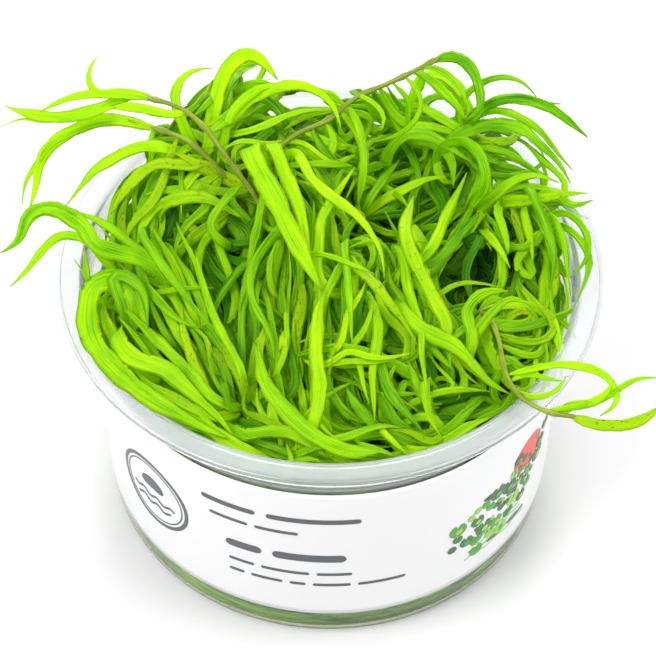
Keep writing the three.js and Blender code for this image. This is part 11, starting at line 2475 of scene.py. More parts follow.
[2,19,12,4,-103,283,19,-79,272,22,-56,251,24,-35,214,27,-15,167,30]]),
("plantlet_34",
[44,-346,24,52,-349,85,60,-353,147,67,-357,208,75,-363,274,82,-370,336,89,-377,397,95,-386,458],
[[0,20,-45,6,95,-386,458,65,-359,489,30,-328,511,-8,-294,517,-42,-264,506,-73,-236,477,-96,-216,436],
[0,20,-41,6,89,-378,402,113,-357,429,137,-336,458,164,-314,491,189,-294,519],
[0,23,36,6,83,-371,346,65,-371,384,36,-376,421,-1,-385,449,-39,-396,464],
[0,21,2,6,60,-353,152,33,-366,194,-2,-375,225,-45,-380,242,-96,-381,234],
[0,18,13,7,95,-386,458,66,-412,498,28,-421,531,-21,-403,551,-68,-382,558,-116,-353,563,-150,-320,551,-143,-290,592],
[0,17,-22,6,95,-386,458,84,-395,481,68,-404,501,47,-407,507,20,-410,510],
[0,18,10,5,95,-386,458,84,-408,504,120,-402,524,166,-380,512,215,-361,512],
[0,11,23,7,95,-386,458,57,-409,486,12,-410,510,-38,-397,515,-77,-373,537],
[0,22,5,8,95,-386,458,65,-405,488,18,-405,507,-28,-397,509,-70,-372,526,-115,-362,534],
[0,13,7,8,95,-386,458,57,-407,494,3,-405,508,-58,-399,509,-104,-369,519,-158,-356,515],
[1,33,11,5,23,-403,186,65,-397,219,111,-385,253,155,-370,284,194,-353,307,232,-333,327,273,-308,346],
[1,38,9,7,33,-378,370,-3,-390,387,-40,-392,401,-78,-392,412,-116,-389,420],
[1,28,3,7,137,-359,16,93,-377,22,46,-387,27,-2,-393,31,-52,-396,32],
[1,35,-6,6,65,-368,54,119,-357,40,169,-335,31,220,-305,27,265,-272,30,306,-235,36],
[1,23,-10,6,147,-364,46,190,-342,65,229,-316,81,266,-286,90,300,-253,93,331,-217,91],
[1,24,-14,8,152,-364,420,200,-356,436,246,-332,453,287,-300,472,333,-276,490,365,-237,508,396,-191,529],
[1,32,-12,6,134,-344,53,185,-322,44,226,-294,39,267,-263,38,309,-226,39],
[1,39,-4,9,132,-358,88,175,-346,114,215,-325,141,253,-299,170,287,-270,199,319,-237,230],
[1,29,16,4,35,-401,234,-4,-398,210,-43,-392,184,-80,-383,154,-117,-374,122,-154,-362,86,-190,-348,48],
[1,21,3,7,80,-351,56,133,-345,65,182,-324,75,230,-297,86,276,-266,98],
[1,36,-6,6,-6,-389,276,40,-386,274,91,-377,264,140,-362,244,182,-344,219],
[1,33,8,7,-5,-408,326,40,-409,304,89,-401,280,133,-388,258,174,-371,236,217,-347,212,254,-320,190],
[1,25,-18,6,5,-378,59,-33,-388,63,-72,-388,69,-115,-382,79,-154,-372,91],
[1,39,15,8,53,-393,375,1,-402,385,-48,-401,394,-100,-392,401,-147,-378,406,-196,-356,410],
[1,38,13,5,79,-371,361,37,-385,342,-11,-387,322,-59,-383,301,-102,-374,283,-144,-361,265,-189,-343,246],
[1,31,-16,9,2,-400,361,50,-401,376,98,-393,391,146,-384,407,195,-372,423],
[1,27,8,10,49,-367,464,9,-386,449,-34,-390,437,-82,-386,429,-125,-376,426],
[1,27,-15,7,-3,-368,23,47,-378,30,98,-373,38,147,-358,46,193,-336,54,236,-309,62,275,-275,70],
[1,38,0,5,-13,-383,128,36,-390,116,80,-386,112,125,-379,118,175,-369,134],
[1,39,-19,5,64,-382,65,26,-389,96,-15,-390,130,-58,-392,165,-98,-392,197],
[1,21,11,5,173,-357,89,216,-337,103,260,-307,117,295,-275,127,330,-235,136,358,-195,142],
[1,31,11,7,6,-375,355,46,-389,382,88,-389,403,134,-380,417,173,-367,425],
[1,28,16,6,112,-377,231,153,-359,208,189,-339,185,226,-313,158,260,-285,128,289,-256,99,318,-222,66],
[1,34,-3,6,88,-355,151,45,-378,157,3,-386,158,-40,-387,152,-88,-382,141],
[1,38,-9,9,111,-375,378,65,-392,382,13,-398,387,-36,-398,391,-89,-395,394,-139,-386,397],
[1,26,-6,9,119,-355,155,156,-356,184,194,-345,208,231,-328,223,262,-310,230],
[1,23,9,5,86,-376,150,53,-376,125,20,-375,97,-12,-378,64,-44,-382,27],
[1,26,-7,9,145,-372,387,189,-358,406,232,-332,427,272,-301,447,307,-269,465,344,-239,482,385,-201,501],
[2,23,6,6,150,-374,22,109,-390,26,60,-402,30,10,-407,34,-34,-406,38],
[2,27,22,6,118,-334,12,78,-356,15,34,-371,18,-7,-380,20,-54,-383,23],
[2,34,-10,8,94,-391,13,60,-394,11,26,-391,10,-13,-385,10,-45,-379,10],
[2,29,-25,5,105,-374,13,51,-375,12,5,-373,12,-41,-369,11,-92,-361,11],
[1,31,-22,8,1,-407,34,-39,-403,32,-77,-393,31,-113,-375,29,-144,-350,28],
[1,34,12,7,61,-345,49,94,-336,53,127,-327,57,161,-318,60,196,-309,64],
[1,31,20,5,26,-396,13,80,-393,11,138,-375,10,192,-350,10,238,-320,10],
[2,25,-9,8,171,-344,14,214,-333,13,257,-309,12,293,-273,11,320,-239,10],
[1,34,-1,3,143,-355,18,108,-369,18,73,-382,18,36,-396,17,-3,-404,17],
[1,33,-3,4,128,-386,33,91,-397,37,53,-404,40,14,-407,44,-25,-407,47],
[2,40,25,8,5,-356,24,-34,-357,29,-73,-355,33,-118,-348,39,-157,-338,43],
[2,27,14,7,76,-352,14,26,-348,19,-20,-338,25,-64,-321,30,-104,-299,36],
[1,39,-24,7,99,-346,14,69,-351,12,38,-351,10,4,-341,10,-24,-326,10],
[2,38,11,9,30,-392,42,-23,-384,43,-77,-367,44,-128,-344,45,-169,-317,45],
[2,39,6,5,104,-372,30,151,-359,36,196,-341,42,236,-321,47,279,-294,52],
[2,24,28,3,-10,-348,20,-68,-349,19,-121,-339,18,-171,-317,16,-218,-283,15],
[1,37,-29,9,153,-358,61,199,-321,62,237,-279,63,273,-231,64,298,-184,65],
[1,33,-18,6,104,-389,38,149,-370,38,190,-345,38,231,-310,38,260,-274,38,284,-234,38],
[1,39,-11,8,118,-389,61,80,-399,61,42,-405,61,-3,-406,61,-42,-402,61],
[1,24,14,5,-32,-407,51,13,-408,52,57,-404,53,101,-395,54,144,-382,55],
[2,39,10,7,124,-367,11,163,-338,14,198,-309,17,232,-280,19,265,-251,22],
[1,30,28,5,-6,-402,12,48,-384,10,100,-357,10,149,-328,10,189,-299,10],
[1,33,-18,7,75,-380,11,17,-397,13,-43,-401,16,-98,-393,19,-157,-374,22],
[2,37,-25,7,23,-400,43,63,-398,43,101,-389,43,141,-369,42,171,-345,42],
[1,33,27,6,-30,-395,38,-80,-399,42,-128,-387,46,-174,-369,49,-218,-345,53],
[2,25,10,6,104,-371,11,153,-352,10,196,-333,10,240,-311,10,285,-280,10],
[2,31,-3,6,56,-385,22,106,-363,19,150,-337,16,191,-306,13,226,-272,10],
[1,25,-14,8,81,-393,34,129,-384,39,175,-368,43,223,-341,48,263,-312,52,299,-278,56],
[1,24,-11,6,-19,-386,25,34,-389,22,82,-383,18,128,-370,15,176,-347,12],
[2,25,-6,6,86,-359,45,132,-341,50,177,-319,56,224,-292,62,266,-263,67],
[2,26,18,6,111,-375,11,59,-386,16,1,-390,20,-57,-385,25,-109,-373,30],
[1,29,-24,8,57,-399,14,8,-405,19,-42,-405,24,-91,-397,29,-139,-383,34,-185,-363,39],
[1,27,10,8,139,-381,38,190,-361,42,237,-332,45,275,-301,49,313,-261,53],
[2,32,4,9,-6,-354,13,-49,-348,11,-90,-333,10,-130,-306,10,-159,-276,10],
[1,33,11,5,128,-381,13,179,-360,13,226,-333,13,265,-303,14,304,-264,14],
[1,29,-28,6,5,-396,17,-44,-397,16,-93,-392,15,-140,-378,14,-185,-357,12],
[2,36,20,8,-3,-349,13,47,-334,12,93,-316,10,141,-293,10,183,-269,10],
[1,30,12,5,56,-399,20,-4,-389,25,-60,-372,31,-112,-351,36,-160,-324,41],
[1,22,16,7,83,-333,38,118,-317,42,155,-297,46,190,-275,50,220,-253,54]]),
("plantlet_35",
[-245,-246,24,-246,-246,85,-247,-246,146,-249,-245,207,-250,-244,267,-251,-241,328,-252,-235,389,-253,-227,449,-254,-218,509],
[[0,18,39,6,-254,-218,509,-241,-190,550,-222,-157,590,-197,-118,622,-170,-78,637,-140,-38,635,-108,2,611],
[0,21,-27,6,-253,-227,449,-265,-186,477,-272,-140,501,-271,-91,515,-262,-40,514],
[0,20,-28,6,-251,-242,313,-222,-241,356,-188,-238,387,-146,-231,406,-96,-221,406],
[0,22,-28,6,-251,-242,313,-213,-229,347,-177,-210,378,-143,-186,400,-107,-150,408],
[0,11,8,8,-254,-218,509,-273,-243,544,-305,-243,575,-333,-207,583,-356,-167,580,-382,-128,576],
[0,25,-6,9,-254,-218,509,-288,-235,526,-323,-240,546,-354,-221,564,-378,-188,563,-395,-151,562,-408,-112,570,-400,-76,585],
[0,13,-6,2,-254,-218,509,-293,-226,532,-329,-201,543,-359,-167,554,-379,-129,571],
[0,13,-12,7,-254,-218,509,-267,-204,552,-292,-169,570,-315,-123,581,-332,-80,593],
[0,26,12,6,-254,-218,509,-236,-253,533,-207,-288,533,-181,-319,524,-152,-356,518],
[0,11,-2,4,-254,-219,504,-307,-236,509,-355,-212,520,-387,-166,526,-409,-121,534,-412,-67,548,-389,-18,560,-406,31,578],
[0,17,-9,7,-254,-218,509,-289,-256,522,-337,-259,537,-364,-222,526,-392,-186,540],
[0,15,3,5,-254,-218,509,-269,-191,560,-294,-141,568,-319,-91,577,-354,-45,592],
[0,17,14,4,-254,-218,509,-289,-214,532,-326,-198,538,-358,-180,535,-384,-151,548],
[0,12,20,4,-254,-218,509,-284,-193,543,-312,-148,560,-326,-99,571,-351,-50,577,-377,-7,566],
[0,12,-1,5,-254,-218,509,-253,-203,549,-268,-174,574,-287,-142,575,-307,-106,582],
[0,14,4,7,-254,-218,509,-300,-223,530,-333,-187,544,-357,-143,554,-372,-100,565,-397,-58,562,-424,-85,536,-413,-129,514],
[0,10,10,5,-254,-218,509,-255,-221,536,-268,-209,555,-286,-191,564,-306,-174,572],
[0,30,-17,3,-252,-239,354,-204,-229,374,-172,-249,406,-160,-283,437,-141,-317,471,-95,-337,472],
[0,13,-28,2,-253,-225,459,-253,-192,418,-245,-166,373,-212,-181,350,-194,-220,379,-188,-255,417,-163,-284,428,-139,-269,385,-131,-241,341,-134,-207,301],
[0,18,28,3,-252,-236,379,-206,-213,379,-161,-204,370,-122,-192,354,-103,-219,394],
[2,27,50,5,-251,-242,318,-239,-200,335,-227,-155,340,-219,-116,330,-213,-81,300],
[2,22,65,6,-254,-225,464,-237,-182,487,-224,-136,505,-212,-88,516,-204,-43,521,-197,8,520,-192,58,512],
[2,27,3,6,-247,-246,120,-198,-251,134,-147,-255,136,-103,-257,121,-66,-257,86],
[2,16,-58,6,-247,-246,115,-259,-209,142,-277,-170,162,-304,-126,167,-329,-91,150],
[1,27,16,5,-258,-263,38,-296,-230,34,-326,-188,33,-350,-143,36,-369,-95,41],
[1,32,7,6,-266,-255,66,-249,-280,44,-227,-300,20,-207,-317,16,-184,-338,16],
[1,37,9,6,-259,-294,451,-300,-273,441,-332,-239,427,-358,-201,407,-380,-160,381,-398,-117,350],
[1,31,9,9,-326,-192,50,-339,-157,57,-351,-122,60,-363,-92,57,-378,-57,50],
[1,23,-16,6,-254,-320,362,-214,-349,348,-171,-371,335,-125,-388,325,-73,-401,316,-25,-410,311,24,-413,308],
[1,38,-1,6,-251,-292,143,-208,-315,109,-165,-335,77,-126,-354,49,-82,-372,20],
[1,28,-20,8,-285,-232,23,-264,-275,34,-231,-309,43,-189,-338,51,-146,-360,55,-101,-375,58],
[1,39,10,4,-336,-207,59,-363,-156,64,-380,-106,68,-391,-50,70,-395,7,70,-391,60,68,-380,116,64],
[1,27,-10,7,-271,-294,156,-241,-315,194,-214,-333,227,-188,-353,259,-159,-376,293],
[1,21,-4,8,-258,-293,469,-294,-278,494,-317,-251,515,-339,-229,532,-365,-202,548],
[1,39,16,7,-321,-219,478,-293,-258,451,-259,-290,425,-225,-317,403,-187,-344,379,-146,-370,356],
[1,22,-14,4,-323,-209,24,-294,-251,38,-258,-287,51,-214,-321,64,-171,-348,74,-125,-370,84,-76,-387,93],
[1,26,-8,6,-267,-312,424,-230,-345,405,-187,-370,384,-137,-390,359,-89,-403,334,-40,-411,307,10,-414,278],
[1,30,-17,6,-248,-331,394,-284,-297,373,-314,-260,355,-340,-225,344,-367,-185,336,-391,-142,332],
[2,27,7,5,-310,-259,17,-275,-294,15,-236,-326,13,-188,-353,11,-143,-373,10],
[1,38,-6,5,-254,-313,28,-284,-280,33,-307,-242,38,-320,-205,42,-326,-161,47],
[1,32,3,7,-255,-276,52,-224,-321,49,-189,-356,45,-146,-380,42,-93,-397,38],
[2,25,5,9,-256,-308,27,-223,-340,27,-184,-363,28,-148,-379,29,-105,-393,29],
[2,22,1,6,-331,-218,18,-296,-245,16,-264,-266,14,-232,-284,12,-195,-301,10],
[1,34,-12,7,-324,-243,50,-345,-217,48,-365,-182,47,-380,-146,45,-391,-114,44],
[1,24,7,7,-322,-226,14,-300,-257,15,-277,-288,15,-250,-317,16,-219,-340,17],
[2,31,-22,8,-351,-206,28,-374,-156,25,-385,-107,22,-385,-58,20,-376,-4,17],
[1,29,-19,7,-264,-303,12,-300,-268,13,-331,-229,13,-351,-190,13,-365,-142,13],
[1,36,-8,6,-233,-314,35,-278,-292,37,-315,-259,39,-341,-223,40,-366,-180,42],
[2,24,18,7,-344,-214,19,-318,-251,23,-290,-279,26,-259,-303,29,-221,-325,32],
[1,24,2,6,-273,-293,11,-301,-266,12,-326,-235,13,-348,-203,14,-366,-168,15],
[2,38,-5,7,-248,-301,39,-263,-270,37,-280,-235,35,-297,-203,33,-311,-176,31],
[2,32,-17,9,-275,-211,28,-230,-246,34,-188,-274,39,-145,-300,43,-96,-325,49],
[2,35,-9,6,-229,-256,33,-246,-220,37,-260,-185,40,-271,-155,43,-281,-121,46],
[1,30,5,5,-269,-284,59,-307,-260,56,-338,-228,52,-358,-195,50,-377,-155,46],
[2,33,-24,6,-265,-244,30,-286,-193,28,-303,-144,26,-315,-100,24,-326,-51,21],
[1,23,2,6,-211,-268,36,-164,-288,32,-116,-300,29,-63,-306,25,-16,-303,21],
[2,29,-28,7,-284,-275,44,-252,-296,42,-217,-312,40,-181,-323,37,-145,-329,35],
[1,31,-21,7,-266,-236,13,-296,-210,14,-325,-181,14,-353,-149,14,-379,-113,14],
[1,26,-28,9,-280,-280,38,-236,-311,37,-191,-337,35,-139,-363,34,-90,-382,32],
[1,27,-17,8,-308,-197,25,-332,-153,29,-348,-112,33,-359,-69,37,-364,-20,42],
[2,39,-27,6,-319,-219,11,-288,-254,12,-254,-287,12,-215,-321,13,-177,-351,13],
[2,29,-4,6,-305,-240,26,-320,-198,28,-330,-163,30,-340,-128,32,-348,-89,34],
[1,35,-28,4,-308,-197,53,-337,-166,54,-362,-132,54,-380,-98,54,-397,-57,55],
[2,25,11,5,-215,-294,16,-179,-311,20,-138,-328,24,-97,-345,29,-60,-360,33],
[2,40,5,5,-319,-250,58,-349,-197,54,-371,-141,50,-386,-89,46,-396,-30,42],
[1,39,0,8,-257,-316,33,-214,-343,32,-170,-368,30,-124,-388,28,-75,-400,27],
[2,25,-22,3,-343,-220,34,-306,-261,40,-264,-296,46,-225,-324,52,-179,-352,58],
[2,26,11,7,-260,-286,47,-285,-244,44,-306,-202,40,-324,-166,37,-343,-125,34],
[1,35,18,7,-259,-302,13,-215,-334,16,-167,-360,20,-122,-378,22,-69,-392,26],
[1,25,-1,9,-262,-313,59,-290,-277,63,-311,-245,66,-331,-213,69,-352,-175,73],
[1,38,26,5,-244,-304,16,-280,-280,18,-319,-249,20,-348,-208,22,-370,-169,24],
[2,25,-5,7,-264,-217,15,-225,-258,19,-182,-286,22,-134,-302,26,-79,-306,30],
[2,37,6,7,-298,-248,24,-245,-282,27,-193,-304,30,-141,-317,32,-85,-322,35],
[2,34,15,5,-290,-257,16,-263,-291,20,-229,-326,24,-190,-357,28,-151,-378,32],
[2,24,-18,5,-253,-221,24,-213,-189,28,-171,-164,31,-123,-147,35,-77,-138,38],
[2,15,2,4,-248,-199,44,-210,-212,46,-175,-232,48,-140,-267,50,-112,-305,51],
[2,18,19,3,-291,-225,26,-230,-199,30,-187,-177,35,-170,-164,39,-166,-153,43]]),
("plantlet_36",
[183,-56,24,184,-67,81,184,-78,138,184,-90,194,184,-103,251,184,-116,307,180,-129,363,173,-144,418,164,-159,474,155,-174,528],
[[0,20,-41,6,155,-174,528,116,-182,562,74,-190,590,32,-198,607,-18,-206,614,-68,-215,602],
[0,27,-8,6,165,-157,469,131,-139,503,94,-127,537,53,-123,569,8,-128,595],
[0,16,-16,6,183,-121,327,148,-159,360,115,-199,384,82,-243,400,48,-293,408],
[0,21,4,6,184,-86,174,195,-111,223,203,-136,273,209,-158,319,213,-182,370,215,-206,421,215,-231,472],
[0,23,-9,6,155,-174,528,125,-183,557,98,-203,588,89,-238,608,95,-283,602,110,-320,592,140,-354,579,167,-383,566],
[0,15,2,7,155,-174,528,152,-180,571,166,-201,604,193,-231,599,223,-258,585],
[0,11,18,10,155,-174,528,168,-185,578,202,-212,605,233,-248,582,273,-276,563],
[0,18,-4,2,155,-174,528,157,-205,569,180,-244,573,177,-288,549,221,-289,543,270,-275,548,311,-276,519],
[0,18,-20,8,155,-174,528,182,-156,576,190,-110,603,189,-49,605,201,1,626],
[0,13,-23,7,155,-174,528,125,-198,564,88,-227,571,37,-219,574,7,-248,564,47,-269,562,74,-303,548],
[0,18,-24,7,155,-174,528,156,-195,577,143,-181,623,134,-138,638,113,-91,624,106,-41,626],
[0,26,-3,9,155,-174,528,153,-187,562,146,-172,593,136,-134,608,127,-101,622],
[0,13,23,8,155,-174,528,126,-204,550,109,-252,560,132,-281,551,168,-308,530,182,-348,511],
[0,15,13,8,155,-174,528,145,-162,583,131,-118,606,119,-63,614,149,-47,636,169,-91,607],
[0,15,21,3,160,-166,498,167,-118,515,159,-68,524,156,-17,531,143,32,539,134,77,535,103,112,532,62,140,542,25,165,565],
[0,15,-18,8,155,-174,528,175,-202,572,179,-253,553,183,-303,527,217,-346,515],
[0,22,22,6,155,-174,528,146,-160,577,130,-121,596,105,-77,607,101,-33,617,126,10,631],
[0,26,-9,7,155,-174,528,156,-221,551,168,-275,548,179,-326,526,211,-359,513],
[0,14,-4,2,161,-164,493,190,-124,509,217,-79,509,199,-34,491,209,12,472,251,38,468,306,34,479,344,33,513],
[0,12,-3,3,155,-174,528,173,-189,550,184,-216,563,181,-245,552,172,-274,540],
[0,17,16,6,155,-174,528,147,-152,576,132,-110,600,115,-56,611,150,-40,627,167,-85,605],
[0,10,-10,5,155,-174,528,114,-202,547,91,-247,555,117,-283,546,151,-315,527,185,-350,510],
[0,20,-8,1,158,-169,508,159,-195,470,176,-198,428,193,-186,386,208,-169,346],
[0,29,-24,5,155,-174,528,115,-168,543,78,-167,526,61,-169,493,48,-175,452],
[0,15,28,6,155,-174,528,112,-211,517,59,-230,510,-1,-229,496,-57,-220,491],
[0,25,4,2,182,-124,342,144,-167,347,115,-206,375,90,-244,400,46,-279,402],
[0,23,-6,6,158,-169,508,150,-211,479,158,-197,431,167,-201,393,168,-240,426,169,-282,458],
[2,19,-45,4,184,-87,179,221,-66,200,264,-50,210,305,-41,204,344,-39,178],
[2,22,4,7,184,-103,251,157,-64,272,124,-28,287,84,5,292,41,32,288,-3,53,271,-45,67,245],
[2,27,24,6,179,-131,368,148,-100,393,112,-66,404,72,-29,391,45,-4,356,28,11,311],
[2,29,55,6,184,-107,271,233,-81,279,276,-56,272,319,-30,247,348,-10,210,368,5,161,377,14,111,380,20,56],
[2,17,37,10,184,-95,215,151,-120,244,117,-142,275,83,-161,307,44,-177,344,8,-189,378,-29,-197,412,-67,-201,445],
[2,24,-56,8,184,-84,163,215,-53,192,246,-26,222,283,2,255,319,24,285,359,43,311],
[2,27,-10,8,184,-67,81,217,-29,95,249,4,104,283,37,104,319,70,86],
[2,28,-40,3,184,-67,81,224,-39,93,267,-11,95,309,15,84,348,38,60,381,56,26],
[2,26,-34,6,174,-141,408,145,-179,427,113,-214,445,77,-246,462,37,-275,475,-6,-301,485,-52,-322,489],
[2,28,-56,6,184,-81,153,138,-52,167,98,-14,180,67,26,188,40,75,192,20,128,190,7,183,181],
[2,19,21,2,138,7,29,164,33,36,187,62,43,211,97,51,230,130,59]]),
("plantlet_37",
[321,160,24,322,156,80,323,153,141,324,150,197,326,149,258,329,149,315,335,149,376,342,151,431,353,153,491,364,155,546],
[[0,26,20,6,364,155,546,348,195,575,320,241,590,286,284,578,257,312,547],
[0,20,-45,6,330,149,335,315,125,379,290,99,409,255,70,418,217,45,395],
[0,25,-15,6,326,149,258,331,160,304,338,170,349,347,180,394,358,190,438],
[0,26,31,6,330,149,335,317,160,374,298,174,409,268,195,438,233,218,444],
[0,19,-13,9,364,155,546,337,146,584,314,121,616,307,84,630,318,38,624,323,-9,622],
[0,17,-9,9,364,155,546,357,141,585,355,109,610,361,73,607,367,32,601,369,-10,596],
[0,15,8,8,364,155,546,346,140,587,336,105,615,347,63,599,352,16,602],
[0,19,3,9,364,155,546,371,149,592,383,113,609,400,69,589,408,23,583,408,-24,579],
[0,13,7,7,364,155,546,401,169,561,441,161,571,459,130,568,481,94,564],
[0,13,2,7,364,155,546,389,168,571,424,165,580,447,151,564,479,132,561],
[0,17,-3,10,364,155,546,325,154,580,289,124,600,263,79,602,237,35,608,213,-11,613,196,-59,611],
[0,15,-9,9,364,155,546,333,177,581,301,199,615,270,230,641,237,255,670],
[0,13,26,7,364,155,546,415,164,557,437,203,584,397,235,608,365,274,622],
[0,17,3,5,364,155,546,333,140,585,294,152,614,285,196,636,263,243,637,227,279,637],
[0,15,24,0,355,153,501,315,141,493,286,122,481,294,88,468,319,56,473],
[0,13,1,5,364,155,546,327,163,582,288,179,602,258,215,623,212,234,625,179,273,616,150,303,623,175,318,663],
[0,13,24,7,364,155,546,394,183,572,391,197,612,339,190,618,301,167,606,274,129,596],
[0,15,-19,8,364,155,546,391,146,571,405,127,551,400,90,558,403,52,560],
[0,15,6,6,364,155,546,368,171,591,345,196,617,304,209,622,282,249,634],
[0,8,-17,6,364,155,546,390,183,565,403,219,583,385,254,604,356,282,613],
[0,12,-21,2,362,155,536,335,117,532,313,103,505,293,95,468,318,56,464],
[0,12,24,2,357,153,511,301,156,518,267,117,505,263,67,478,235,23,494],
[0,10,-5,0,364,155,546,316,144,562,271,125,547,253,109,509,232,96,464,194,65,446],
[0,14,-24,3,364,155,546,322,168,574,282,150,563,270,130,518,244,102,483,255,57,467,293,36,479,340,17,485],
[0,12,-22,7,364,155,546,316,140,574,295,174,602,297,222,619,263,266,637],
[0,17,14,3,364,155,546,360,120,511,313,125,482,293,77,465,332,56,482,318,92,512],
[0,28,16,7,364,155,546,353,171,501,339,122,490,335,136,435,326,102,415,322,62,449],
[0,25,25,3,364,155,546,391,179,585,375,187,584,351,180,544,337,186,500,313,142,483],
[0,25,-6,3,360,154,526,351,206,509,333,180,486,321,144,456,322,168,403,318,140,386,315,93,419,312,45,451,311,-10,470],
[0,15,-17,3,357,153,511,301,160,522,240,153,528,184,143,531,124,138,521,80,109,535],
[0,15,-28,3,349,152,466,386,129,464,390,82,465,390,30,467,385,-17,472],
[0,21,-11,5,347,151,456,314,111,462,282,78,472,238,82,445,199,55,453,181,21,480,156,-16,507],
[0,30,-14,4,351,152,481,347,134,434,324,144,394,305,100,426,287,61,454,252,25,465],
[0,26,27,5,363,155,541,386,146,494,383,110,459,381,54,465,378,0,494,375,-50,522],
[0,14,19,3,346,151,451,333,161,403,309,120,403,298,79,431,281,41,448,253,-2,455,233,-44,476,221,-83,507],
[0,26,-6,2,342,150,426,312,106,419,290,65,452,250,36,463,204,9,479,170,-22,512],
[2,20,-42,8,324,151,192,268,153,198,212,152,201,161,146,199,106,137,191,54,124,174,6,109,148],
[2,23,-67,9,325,150,228,288,134,260,251,115,291,215,90,318,179,59,338,143,24,347],
[2,18,-32,7,332,149,350,281,156,357,231,167,355,182,180,346,136,195,328],
[2,21,63,4,342,150,426,345,100,423,341,50,399,333,15,356,325,-4,309],
[2,18,-52,7,322,154,116,335,130,159,341,103,202,340,75,244,328,40,287,307,7,320,278,-27,344,242,-61,356],
[1,38,-9,5,284,230,19,263,260,22,237,286,24,214,308,24,186,333,21],
[1,27,9,6,346,187,47,313,234,56,274,275,62,231,311,65,180,344,63,129,369,57,75,388,50],
[1,28,9,7,323,219,80,300,254,75,271,286,67,236,317,53,201,341,35],
[1,28,-16,6,339,157,109,362,116,110,376,71,113,386,29,119,395,-19,128],
[1,32,-8,5,354,135,378,380,99,386,395,58,393,402,9,400,402,-35,405],
[1,34,15,10,363,180,475,392,145,483,415,105,495,429,56,514,440,10,534],
[1,23,-13,7,349,128,16,377,83,19,388,31,19,390,-22,15,386,-76,15],
[1,39,-16,8,328,183,322,313,224,352,291,257,379,262,290,409,233,319,436,199,348,467],
[1,35,13,8,352,134,243,345,181,251,325,223,264,303,260,281,276,300,304],
[1,40,0,5,353,187,42,360,131,40,362,78,37,361,23,35,357,-26,32],
[2,32,8,7,364,166,11,343,205,10,318,241,10,286,279,10,254,308,10],
[1,23,23,9,300,246,21,270,282,25,234,314,29,189,342,34,145,361,37],
[2,39,1,9,341,197,45,362,159,45,380,124,45,398,88,45,405,44,45],
[1,26,-2,5,374,154,19,388,101,18,389,45,18,378,-8,17,355,-57,16],
[2,32,-24,7,372,162,43,351,207,40,323,248,36,290,286,33,253,319,30,211,348,26],
[1,31,19,5,298,267,26,266,297,26,235,321,26,203,341,26,164,360,26],
[2,27,15,4,291,239,14,244,271,18,195,297,22,151,317,25,101,334,29],
[2,34,16,6,364,161,39,373,129,37,379,97,35,382,59,33,382,27,31],
[2,33,5,7,349,173,40,332,207,43,314,241,46,298,271,48,274,302,51],
[1,23,18,7,337,215,24,320,251,24,295,280,24,266,308,25,235,332,25],
[2,31,-23,6,303,260,11,327,230,10,347,197,10,362,168,10,377,132,10],
[2,26,2,7,333,234,32,359,192,35,380,147,38,395,100,41,402,51,44],
[2,36,14,7,303,169,51,269,202,55,231,229,60,191,249,65,149,262,69],
[1,30,-20,6,382,104,17,356,147,14,329,186,11,298,227,10,268,263,10],
[2,27,24,3,325,245,36,350,208,39,373,164,42,390,117,45,401,74,48],
[1,23,8,8,328,210,62,348,184,63,370,152,64,390,118,64,399,86,65],
[2,31,19,7,323,241,52,349,193,50,371,137,49,390,80,47,401,27,45],
[2,30,27,5,301,265,16,334,216,21,363,164,26,385,115,31,403,57,36],
[1,36,2,7,309,168,58,329,119,61,339,67,63,338,16,66,327,-34,68],
[1,28,-13,5,311,260,57,279,298,62,241,330,67,204,354,72,159,377,77,112,393,82],
[2,23,-28,8,388,118,63,368,147,64,347,175,65,324,206,67,304,231,68],
[2,39,-25,7,365,147,13,380,105,17,390,68,21,398,30,25,405,-14,29],
[1,25,-2,7,357,192,21,324,236,20,290,271,19,255,305,18,213,340,17],
[1,39,-26,9,394,88,17,379,136,18,355,179,19,331,216,20,300,253,21],
[2,34,-11,7,334,148,13,350,101,16,361,52,20,367,2,24,367,-48,27],
[2,28,-8,6,333,130,24,302,168,23,263,203,22,220,229,20,179,246,19],
[1,24,5,6,368,132,37,385,102,37,399,70,37,406,31,36,407,-3,36],
[1,23,0,8,373,137,56,399,86,59,407,37,62,408,-14,65,403,-70,68],
[2,31,19,7,331,201,43,311,234,46,288,265,50,265,289,53,237,315,56]]),
("plantlet_38",
[76,90,24,81,90,83,89,92,142,100,94,200,112,97,258,128,102,321,147,111,376,170,125,430,195,140,481,222,157,531],
[[0,26,28,6,222,157,531,244,179,562,264,203,589,283,239,613,296,277,624],
[0,20,-28,6,97,93,184,77,96,243,50,94,298,17,88,344,-28,76,385],
[0,19,-31,6,82,91,89,36,80,109,-9,65,130,-51,44,151,-91,19,172,-128,-10,193,-162,-42,214],
[0,27,11,6,135,105,341,112,130,370,85,148,396,48,162,422,10,170,437],
[0,19,-6,9,222,157,531,262,153,553,281,117,573,282,80,592,287,41,617,306,0,627,326,-41,618],
[0,15,6,9,222,157,531,262,142,551,282,106,570,287,57,588,294,14,604],
[0,15,-25,4,212,151,513,244,127,502,276,101,495,280,59,480,310,32,485],
[0,18,3,4,190,137,472,220,127,476,250,130,484,275,133,489,305,140,495],
[0,26,-9,0,219,155,527,240,137,512,258,117,496,274,94,481,280,67,467],
[0,17,11,6,222,157,531,247,116,561,257,125,606,276,172,630,262,226,631,215,249,652,183,289,652,137,294,629],
[0,26,-18,4,222,157,531,248,142,573,290,145,601,330,173,622,381,185,618],
[0,13,-5,0,222,157,531,266,143,522,261,109,503,253,71,472,288,42,468],
[0,17,-26,0,197,142,486,180,186,486,157,216,521,187,246,531,210,212,529,171,183,516,152,210,537],
[0,15,11,2,222,157,531,258,132,511,276,99,483,285,63,465,327,46,475],
[0,13,19,10,222,157,531,251,149,580,302,152,602,349,174,605,405,174,599,459,179,581],
